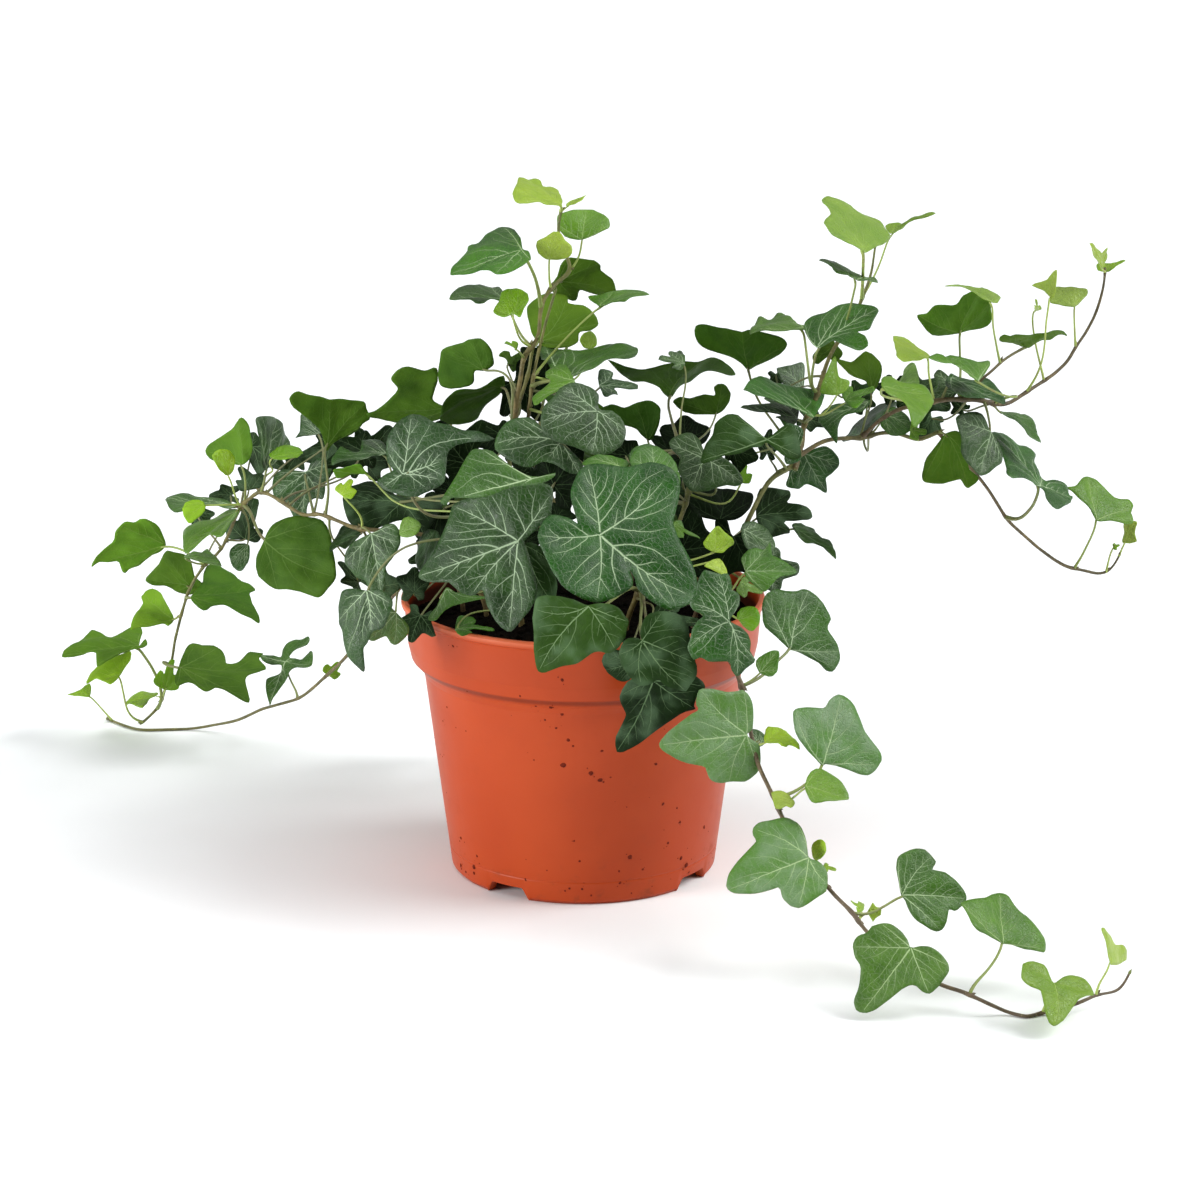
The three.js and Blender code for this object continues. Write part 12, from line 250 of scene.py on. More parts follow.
    ('X40', 'leaflet_middle_20', 'stem_right', 0, 0, 'D', (60.55,8.57,138.34), (-0.624,-0.733,0.271), (0.092,0.276,0.957), (0,0,1.6,-2.2,2,-2.3,3.2,-1.9,3.5,-1.4,2.8,-0.2,2.9,0.2,5.5,3.2,5,4.1,2.8,4.4,2.3,4.7,1,7.8,0.5,8.3,-0.2,8.4,-1,7.8,-2.2,4.8,-2.6,4.6,-4.7,4.6,-5.3,3.9,-2.6,0.2,-2.5,-0.3,-2.8,-1.6,-2.7,-1.9,-1.8,-2.2,-1.1,-2.1), (0,8.4,-5,4.4,5.3,3.8,-2.8,-1.8,3.4,-1.7), (60.7,8.9,139.5,60.5,8.6,138.3,61,8.7,137.2,61.5,8,136.5,63,0.8,135.8,63.7,-2.9,134.6), 0.5),
    ('X55', 'leaflet_right_36', 'stem_right', 0, 0.1, 'D', (74.38,35.17,144.1), (0.139,-0.676,0.724), (0.956,-0.099,-0.276), (0,0,0.5,-0.4,1.8,-2.5,2.2,-2.7,3.6,-2.2,3.9,-1.8,3.5,0.3,4.8,2.9,4.4,3.5,2.2,4.4,0.9,7.3,0.4,7.8,0,7.9,-0.4,7.8,-0.9,7.3,-2.2,4.6,-4.5,3.7,-4.8,3,-3.5,0.5,-3.9,-1.5,-3.6,-2,-2.3,-2.5,-1.8,-2.4,-0.5,-0.3), (0,7.9,-4.6,3.6,4.7,3.3,-3.8,-1.7,3.8,-1.9), (75.5,35.1,143.8,74.2,16.8,149.2,73.8,9.1,151), 0.5),
    ('X47', 'leaflet_left_29', 'stem_left_upper', 0, 0.1, 'D', (-99.44,76.23,121.75), (-0.066,-0.939,0.336), (-0.572,-0.24,-0.784), (0,0,0.5,-0.2,1.7,-1.8,2.1,-1.9,3.2,-1.4,3.4,-1,2.7,0.1,2.8,0.5,5.3,3.3,4.7,4,2.6,4,2.1,4.2,1,7.2,0.5,7.6,-0.2,7.7,-1,7.2,-2.2,3.9,-2.7,3.7,-4.8,3.5,-5.2,2.8,-3,0.5,-3,0.1,-3.8,-0.9,-2.8,-1.8,-2,-1.8), (0,7.7,-5,3.3,5,3.8,-3.8,-1,3.4,-1.1), (-100.1,75.9,120.8,-101.9,73.8,120.5,-105.1,68.8,118.8,-109.6,61.4,114.8,-112.9,57.7,112.2), 0.5),
    ('D4', 'leaflet_front_23', 'stem_front', 0, 1.9, 'T', (49.21,-53.51,99.31), (-0.268,-0.72,0.64), (0.923,-0.001,0.386), (-0.8,-0.1,-2.2,0.5,-3.3,2.3,-3.3,4.5,-2.4,6.3,-1.3,7,1.3,7.1,2.9,6.4,4.3,5.4,5.5,3.6,5.5,3,4.9,2.1,2.6,0.8), (0,6.8,-3.4,3.5,4.9,2.5), (50.3,-53.5,99.8,46.3,-48.4,100.4,41.9,-43.7,100.6,37.5,-39.3,100.5,24.9,-28.1,99.7,18.4,-21.9,100.1), 0.5),
    ('LU2', 'leaflet_left_30', 'stem_left_upper', 0, 0.3, 'T', (-91.25,69.76,131.09), (0.437,-0.739,0.513), (-0.836,-0.544,-0.071), (7.8,4.4,7.3,4.9,2.4,6.8,1.8,7.2,0,9.6,0.1,6,-0.7,-0.7,-0.5,-1,0.8,-1,4.4,0.7,7.4,3.2,7.8,3.9), (0,9.5,7.5,4.4), (-91.8,69.8,131.6,-91.3,69.8,131.1,-89.7,65.8,125.9,-89.7,56.7,121.6,-90.1,41.6,115.7,-90.4,37.4,113.6,-91,34.2,111.3), 0.5),
    ('LC8', 'leaflet_top_08', 'stem_centre', 0, 0.4, 'U', (-23.72,31.7,162.86), (0.689,0.697,0.198), (-0.691,0.549,0.47), (0.4,6.3,-1,6.1,-2.7,5.2,-3.2,4.6,-4.2,2.7,-2.9,1.8,-3,1.4,-7.2,-1.3,-7.4,-1.8,-6.7,-2.8,-5,-3.2,-2.3,-2.9,0,-2.3,1.8,-1.3,2.2,-0.7,1.9,0.2,-0.3,3,-0.3,4), (0,6.4,-2.7,5.2,-4.2,-0.2), (-24,31.9,163,-25.4,29.2,164.2,-25.4,26,163.7,-24.3,22.3,162,-21.3,14.3,156.7,-20.4,10.1,154.1,-20.6,6,152.2,-22.5,2,151.3), 0.5),
    ('LC9x', 'leaflet_left_31', 'stem_left_upper', 0, 1.6, 'T', (-59.99,0.19,113.69), (-0.395,-0.754,0.525), (0.887,-0.166,0.43), (0.8,-0.4,-0.2,-0.4,-2.7,0.6,-4.2,1.6,-4.7,2.8,-4.4,4.1,-3.4,5.4,-1.4,7.1,0,7.6,0.7,7.4,2.2,6.3,2.7,5.7,3.1,4.2,2.6,1.7,1.6,0), (0,7.2,-4.7,3.4), (-59.3,0.1,114,-60,0.2,113.7,-59.8,0.9,112.6,-59.6,1.8,112.1,-59.1,7.3,112,-58.8,10.1,111.4), 0.5),
    ('D5d', 'leaflet_front_24', 'stem_right', 0, 1.6, 'T', (49.8,-51.28,111.15), (0.362,-0.46,0.811), (0.913,-0.004,-0.409), (0,0,-2.5,0.5,-3.2,1.2,-3,2.9,-2.1,2.9,-1.3,2.3,-1.2,2.6,-1.5,7.5,-1.3,8,-0.9,8.1,0.8,7.9,1.5,7.2,2.5,3.4,2.9,3.1,4.3,3.3,5.1,3.1,5.9,2.6,6.1,2.1,5.7,0.5,5.3,-0.1,4.7,-0.6,3.7,-0.6), (0,8,-2.8,3,5.7,2.8), (50.9,-51.3,110.7,52,-46.3,109.8,52.4,-40.4,108.5,52.3,-34.2,107,51.5,-27.8,105.6,50.3,-21.6,104.6,48.7,-16,104.3,46.7,-11.3,104.9,44.4,-7.8,106.7), 0.5),
    ('G4', 'leaflet_right_37', 'stem_right', 0, 2.8, 'T', (155.38,36.59,184.57), (-0.566,-0.692,0.449), (-0.6,0.719,0.351), (0,9,0.4,9,1.1,8.6,4.7,5.1,8,5.3,9.1,4.9,9.1,4.5,7.5,2.8,5.1,1,2.6,-0.5,1.4,-1,0.6,-1,0.4,-0.3,1,3.8), (0,9,9.1,4.5,3.6,0.1), (156,37,185.9,154.7,35.5,181.4,154,33.9,177.4,153.5,31.3,170.3,153.1,30.7,166.7,152.3,30.8,162.9,150.8,32,158.5,148.2,34.3,153.4), 0.5),
    ('F0', 'leaflet_trailing_right_08', 'stem_front_trailing', 0, 3, 'T', (65.37,-91.43,52.53), (-0.001,-0.494,0.869), (-0.998,-0.053,-0.032), (3.3,6.5,3.9,5.6,4,4.3,3.7,3.2,3,2.2,1.1,0.7,-0.9,-0.3,-2.1,-0.4,-3.1,0.1,-3.7,1,-2.7,2.4,-3.9,4.4,-3.4,5.6,-2.4,6), (0,6.5,3.5,2.2,-3.2,2.2), (64.2,-92,52.2,65.4,-91.4,52.5,63.4,-89.5,50.4,61.9,-86.9,47.9,60.9,-85.5,47.7), 0.5),
    ('G13', 'leaflet_right_38', 'stem_right', 0, 3, 'T', (187.52,64.6,93.83), (-0.668,-0.651,0.36), (0.465,0.012,0.885), (-4,4.7,-2.3,6.7,-1.2,7.6,-0.2,7.9,0.4,7.5,2,4.3,4.4,2.7,4.6,2.2,2.4,0.3,-0.3,-1,-1,-0.6,-2.1,2.1,-3.9,4), (0,7.7,-4,4.7,4.6,2.2), (187.7,64.6,94.2,185.8,66,88.1), 0.5),
    ('LCb', 'leaflet_left_32', 'stem_left_upper', 0, 3, 'T', (-79.77,7.05,124.76), (-0.496,-0.611,0.618), (0.557,0.322,0.765), (0,0,-3,0.3,-3.7,0.6,-4.2,1.8,-3.9,3.5,-3.1,3.7,-1.9,3.2,-1.6,3.4,-1.2,6,-0.3,6.4,0.6,6.3,1.2,5.8,1.9,3.9,3.9,4,4.7,3.7,4.9,1.7,4.9,0.9,4.5,0.3,2.4,-0.1), (0,6.4,-3.8,3.6,4.4,3.9), (-79.1,7.4,125.7,-79.8,7.1,124.8,-78.5,7.6,123.4,-76.1,9.5,120.3,-73.9,11.8,116.8,-73.2,12.9,115,-73.1,13.6,113.2,-73.5,14,111.4), 0.5),
    ('T1b', 'leaflet_top_09', 'stem_centre', 0, 3, 'T', (-5.12,15.31,219.48), (-0.482,-0.065,0.874), (0.829,0.289,0.479), (-0.8,-0.1,-2.8,1,-4,2.5,-3.7,3.1,-1.4,4.8,-0.5,7.2,0,7.4,0.9,6.9,3.4,4.7,4.1,3.7,4.4,2.3,3.6,1.2,2.7,0.7,0.3,-0.1), (0,7.4,-2.4,2.7,5.1,2.6), (-4.1,15.7,220.1,-7.1,15,217.9), 0.5),
    ('LBt', 'leaflet_trailing_left_07', 'stem_left_trailing', 0, 2.6, 'T', (-183.67,136.65,15.49), (-0.206,-0.396,0.895), (-0.908,0.418,-0.024), (6.2,2.9,4.8,1.7,2.8,0.6,0.8,-0.2,-0.1,-0.4,-0.8,-0.2,-1.1,0.5,-0.8,6.6,-0.4,9.1,0,10,1.2,7,2.4,5.3,3.4,4.8,5.1,4.6,6.1,3.8,6.3,3.4), (0,9.9,5.7,2.8), (-184.5,137.6,15.7,-182.6,141.3,12.3,-177.8,153,0.8), 0.5),
    ('T9b', 'leaflet_top_10', 'stem_centre', 0, 2.8, 'T', (2.28,27.73,169.47), (0.648,-0.686,0.33), (-0.164,0.297,0.941), (-3.7,3.3,-2.8,4.5,-1.5,5.5,1,6,1.8,6,2.9,5.3,3.6,4.2,3.7,3.4,3.3,1.5,2.9,0.8,1.3,0.2,-0.4,0,-1.8,0.2,-2.9,0.8,-3.6,2), (0,6.1,-3.7,3.3,3.4,3.5), (2.1,28.1,170.6,2.3,27.7,169.5,1.2,25.4,166.6,0,22.6,163.9,-1.6,19.5,161.8,-3.8,16.6,160.8,-6.6,13.9,161,-9.8,11.7,162.1,-13,10,163.2,-16.3,8.8,164.2), 0.5),
    ('F1b', 'leaflet_trailing_right_09', 'stem_front_trailing', 0, 2.8, 'T', (72.34,-99.18,35.28), (-0.761,-0.54,0.361), (0.192,0.344,0.919), (-3.3,3.4,-3.3,4.4,-2.9,5.3,-1.6,6.2,0,6.6,1.4,6.3,2.6,5.6,3.4,4.5,3.7,3.2,3.2,1.8,2.2,0.6,0.2,-0.1,-0.5,-0.1,-1.5,0.6,-2.9,2.5), (0,6.6,-2.7,2.8,3.6,3.5), (72.6,-98.8,36.4,72.3,-99.2,35.3,72.5,-99.9,34.5,73.4,-104,32,73.5,-104.9,31.7,73.4,-105.6,31.9,73,-106,32.4), 0.5),
    ('X52', 'leaflet_front_25', 'stem_centre', 0, 0.1, 'I', (-17.38,-43.98,122.65), (-0.3,-0.633,0.714), (0.885,0.094,0.456), (0,0,1.8,-1.9,2.1,-2,3.2,-1.3,3.4,-0.8,2.7,0.6,3.8,2.7,3.4,3.3,1.6,3.6,0.7,6.1,0.2,6.5,-0.3,6.4,-0.7,6,-1.6,3.6,-3.4,3.3,-3.8,2.7,-2.2,0.5,-2.9,-0.7,-2.7,-1.2,-1.5,-1.6), (0,6.5,-3.6,3.2,3.7,3.2,-2.9,-0.9,3.4,-1), (-16.3,-43.9,123.2,-17.4,-44,122.6,-17.1,-42.1,119.2,-17.6,-39.3,117.6,-18.6,-35.7,117.4,-23.2,-22.7,120,-24.8,-18.2,120.2,-26.1,-14.1,119.3), 0.5),
    ('D13', 'leaflet_middle_21', 'stem_front', 0, 2, 'U', (51.58,-4.8,131.78), (-0.669,0.743,-0.016), (0.204,0.204,0.957), (0,0,2.8,0.3,3.4,0.5,3.8,1.6,3.5,3.2,2.7,3.3,1.6,2.9,1.4,3,1.2,5.8,0.3,6.3,-0.6,6.2,-1.2,5.8,-1.8,3.5,-2.1,3.3,-3.1,3.7,-4.2,3.5,-4.5,3.2,-4.6,2.3,-4.5,0.9,-4.1,0.3,-2.2,0), (0,6.3,3.3,3.2,-4.2,3.5), (51.8,-4.6,132.9,51.6,-4.8,131.8,49.1,-6.8,127.1,47.4,-7.7,125.5,45.2,-8.3,125.2,42.6,-8.7,125.9,34.3,-8.9,129.2), 0.5),
    ('LB4c', 'leaflet_trailing_left_08', 'stem_left_trailing', 0, 1.8, 'U', (-93.22,117.45,28.9), (-0.451,0.881,0.144), (0.618,0.192,0.762), (0,0,2.6,-0.1,3.3,0.1,4,1.2,4.2,2.7,3.5,3.4,2,3.2,1.7,3.3,1.2,6,0.3,6.5,-0.6,6.4,-1.2,5.9,-1.5,3.2,-1.8,3.1,-3.2,3.3,-3.9,2.7,-3.8,1.2,-3.3,0.1,-2.7,-0.1), (0,6.5,3.9,3.2,-3.6,3.1), (-92.5,117.7,29.8,-93.2,117.4,28.9,-93.1,98.4,34.5), 0.5),
    ('X49', 'leaflet_middle_22', 'stem_centre', 0, 0, 'I', (-16.99,-22.68,142.3), (-0.02,-0.866,0.5), (-0.996,0.062,0.069), (0,0,1.6,-1.4,3,-1,2.6,0.7,3.5,2.9,3.2,3.3,1.5,3.4,0.8,5.6,0.2,5.9,-0.8,5.5,-2,3.8,-4.2,3.1,-4.5,2.6,-2.4,0.4,-2.4,0.1,-2.8,-0.8,-2.7,-1,-1.4,-1.4), (0,5.9,-4.3,3,3.3,3.2,-2.8,-0.8,3.1,-0.8), (-18.2,-22.6,142.4,-17,-22.7,142.3,-17.2,-21.4,140.5,-17.7,-19.8,139.4,-18.6,-18,138.7,-22.1,-11.7,137.8,-23.2,-9.6,137.2,-24.3,-7.5,136), 0.5),
    ('X41', 'leaflet_right_39', 'stem_right', 0, 0, 'D', (127.32,34.74,147.25), (0.188,0.965,-0.183), (-0.742,0.262,0.618), (0,0,-1.4,-1.4,-2.6,-1,-2.7,-0.5,-2,0.1,-2,0.4,-4,2.7,-3.4,3.3,-1.5,3.3,-0.7,5.3,-0.3,5.7,0.2,5.7,0.7,5.3,1.6,3,3.5,2.7,4,2.1,2,0.1,2,-0.2,2.5,-1,2.3,-1.4,1.1,-1.6), (0,5.7,3.9,2.5,-3.7,3.1,2.5,-1.2,-2.7,-0.8), (126.4,35.1,148,127.3,34.7,147.3,127.4,33.8,146.6,128.1,32.8,146.7,133.6,28.4,150.3,136.5,26.1,151.4), 0.5),
    ('D8b', 'leaflet_front_26', 'stem_front', 0, 3, 'T', (42.33,-46.23,116.98), (0.371,-0.623,0.689), (0.637,-0.369,-0.677), (5.3,-0.5,3.5,-0.8,1.2,-0.7,-0.4,-0.3,-1.5,0.4,-1.6,1.5,-0.7,4.6,0,5.9,1.2,5.6,2.5,4.5,4.2,1.4,5.4,-0.2), (0,5.9,4.7,-0.2,-1.9,1.1), (42.4,-46.9,116.3,38.9,-42.4,114.8,35.7,-39.3,113.3,27.5,-33.4,108.3,25,-30.9,106.7,22.5,-27.3,105,20,-22.2,103.4), 0.5),
    ('X48', 'leaflet_back_17', 'stem_right', 0, 0, 'D', (64.93,47.32,156.74), (0.35,-0.844,0.406), (0.248,-0.335,-0.909), (0,0,1.6,-1.5,2.9,-1,3,-0.4,2.3,0.6,3.7,3,3.1,3.5,1.4,3.2,0.7,5.4,0.2,5.8,-0.4,5.7,-0.7,5.4,-1.4,3.1,-3.2,3.3,-3.8,2.6,-2.1,0.7,-3,-0.1,-2.4,-1,-1.8,-1.2), (0,5.8,-3.6,3,3.5,3.4,-3,-0.2,3.1,-0.7), (65.2,46.9,155.7,65.4,42,154,66.2,37.5,153.9,67.4,33.2,154.9,69.1,29.1,156.8,73.5,21.3,161,76.1,17.4,162.6,78.8,13.4,163.4), 0.5),
    ('G6', 'leaflet_right_40', 'stem_right', 0, 2.8, 'T', (151.28,37.41,180.34), (0.95,-0.265,0.165), (-0.078,0.311,0.947), (0,0,-5.7,-0.2,-6.8,-0.1,-6.9,0.2,-4.7,1.6,-1.8,1.6,-1.7,3.6,-0.9,3.9,0.5,4.1,1.7,3.9,1.8,1.9,4.8,2.4,6.7,1.5,6.5,1.2,5.5,0.9), (0,4,-4.5,1.6,4.5,2.4), (151.2,37.8,181.5,150.4,41.5,179.5,150.4,43,176.1,151,42.8,171.9,151.8,41.5,167.3,154.4,37.8,156.9,154.5,38.6,156.2), 0.5),
    ('G20c', 'leaflet_right_41', 'stem_right', 0, 1.8, 'T', (107.54,10.03,146.05), (0.151,-0.586,0.796), (0.988,0.071,-0.135), (0,0,-2.7,0.4,-3.2,1.9,-3.3,2.5,-3,2.8,-2.3,2.8,-1.5,2.5,-1.3,2.6,-1.2,5.4,-0.6,5.8,0.6,5.6,1.2,5.1,1.7,3,3.5,2.8,4.3,2.1,4.1,0.7,3.5,-0.3), (0,5.7,-3,2.8,3.9,2.6), (108.7,10.1,145.9,109.3,12.4,145,111.1,20,140.3), 0.5),
    ('E2', 'leaflet_front_27', 'stem_front_trailing', 0, 0.7, 'T', (56.48,-57.07,58.97), (0.164,-0.846,0.508), (-0.613,0.316,0.724), (0.2,5.9,0.7,6,1.8,5.3,2.6,4.3,3.1,3.1,3.3,1.8,3.1,0.4,2.9,-0.1,2.1,-0.6,0.5,-0.7,-0.5,-0.4,-1.3,0.3,-1.9,1.5,-1.6,3.2,-0.4,5.3), (0,5.7,3.5,2.3,2.9,-0.5), (56,-56.8,59.5,56,-62.9,62.5,55.2,-65.8,63,53.9,-70.4,62.8), 0.5),
    ('F2c', 'leaflet_trailing_right_10', 'stem_front_trailing', 0, 2.6, 'T', (86.34,-110.46,22.73), (0.679,-0.107,0.727), (-0.728,0.038,0.685), (0,0,-2.5,0.9,-4,1.9,-3.9,2.2,-1.8,2.9,-0.8,2.1,-0.7,4.9,-0.4,5.2,0.4,5,0.7,4.6,1.6,2.4,4,2.3,6.2,-0.1,6.1,-0.5,5,-0.6), (0,5.1,3.9,2.3,-1.7,2.9), (85.5,-109.8,23.6,86.3,-110.5,22.7,84.2,-118.9,22.8), 0.5),
    ('T11', 'leaflet_top_11', 'stem_centre', 0, 1.4, 'U', (-21.16,-6.4,176.69), (0.59,0.504,0.63), (-0.8,0.471,0.372), (0,0,1.7,0.7,2.2,1.5,1.5,1.4,1,1,0.9,1.2,1.2,4.2,1,5.3,-0.9,4.4,-1.5,2,-3.9,1.3,-4.9,-0.9,-4.6,-1.2,-3.8,-1.1), (0,4.9,-3.7,1.4,2,1.6), (-22.2,-6.3,177.5,-21.2,-6.4,176.7,-20.9,-5.7,176.2,-19.2,2,172.1), 0.5),
    ('F2b', 'leaflet_trailing_right_11', 'stem_front_trailing', 0, 2.8, 'T', (87.74,-112.28,23.08), (0,-0.963,0.271), (0.997,0.019,0.069), (0,-0.3,-2.9,1.7,-1.4,2.6,-1.1,3.8,-0.5,4.2,1.2,3.9,2,2.3,3.2,1.3), (0,4.3,-2.6,1.7,3.2,1.3), (88.9,-112.3,23.2,87.7,-112.3,23.1,87.2,-112.8,23,85.3,-116.5,23.2,84.2,-118.9,22.8), 0.5),
    ('F1c', 'leaflet_trailing_right_12', 'stem_front_trailing', 0, 2.6, 'T', (74.5,-99.7,33.51), (0.312,-0.123,0.942), (0.95,0.014,-0.313), (0,0,-2.2,0.6,-2.7,1.1,-2.1,2,-0.8,1.6,-0.9,4.1,-0.5,4.4,0.5,4.2,0.9,3.8,1.3,1.7,3.2,1.5,3.7,0.5,3.4,-0.2), (0,4.3,-2,2,3.1,1.5), (75.6,-99.7,33.1,74.5,-99.7,33.5,74.4,-101.5,32.7,74.4,-106.5,31.6,74.6,-108.4,30.8), 0.5),
    ('G14', 'leaflet_right_42', 'stem_right', 0, 2.6, 'T', (182.98,61.32,92.55), (-0.133,-0.667,0.733), (0.961,0.093,0.259), (0,0,-1.1,0.1,-1.4,0.9,-1.3,1.2,-0.6,1.2,-0.5,2.4,-0.3,2.5,0.4,2.4,0.7,1.2,1.5,1,1.7,0.7,1.2,-0.2), (0,2.5,-1.3,1.2,1.6,0.9), (183.8,61.4,92.8,183,61.3,92.5,182.2,61.9,90.2,181.7,64.2,85,181.4,64.8,82.5), 0.5),
]

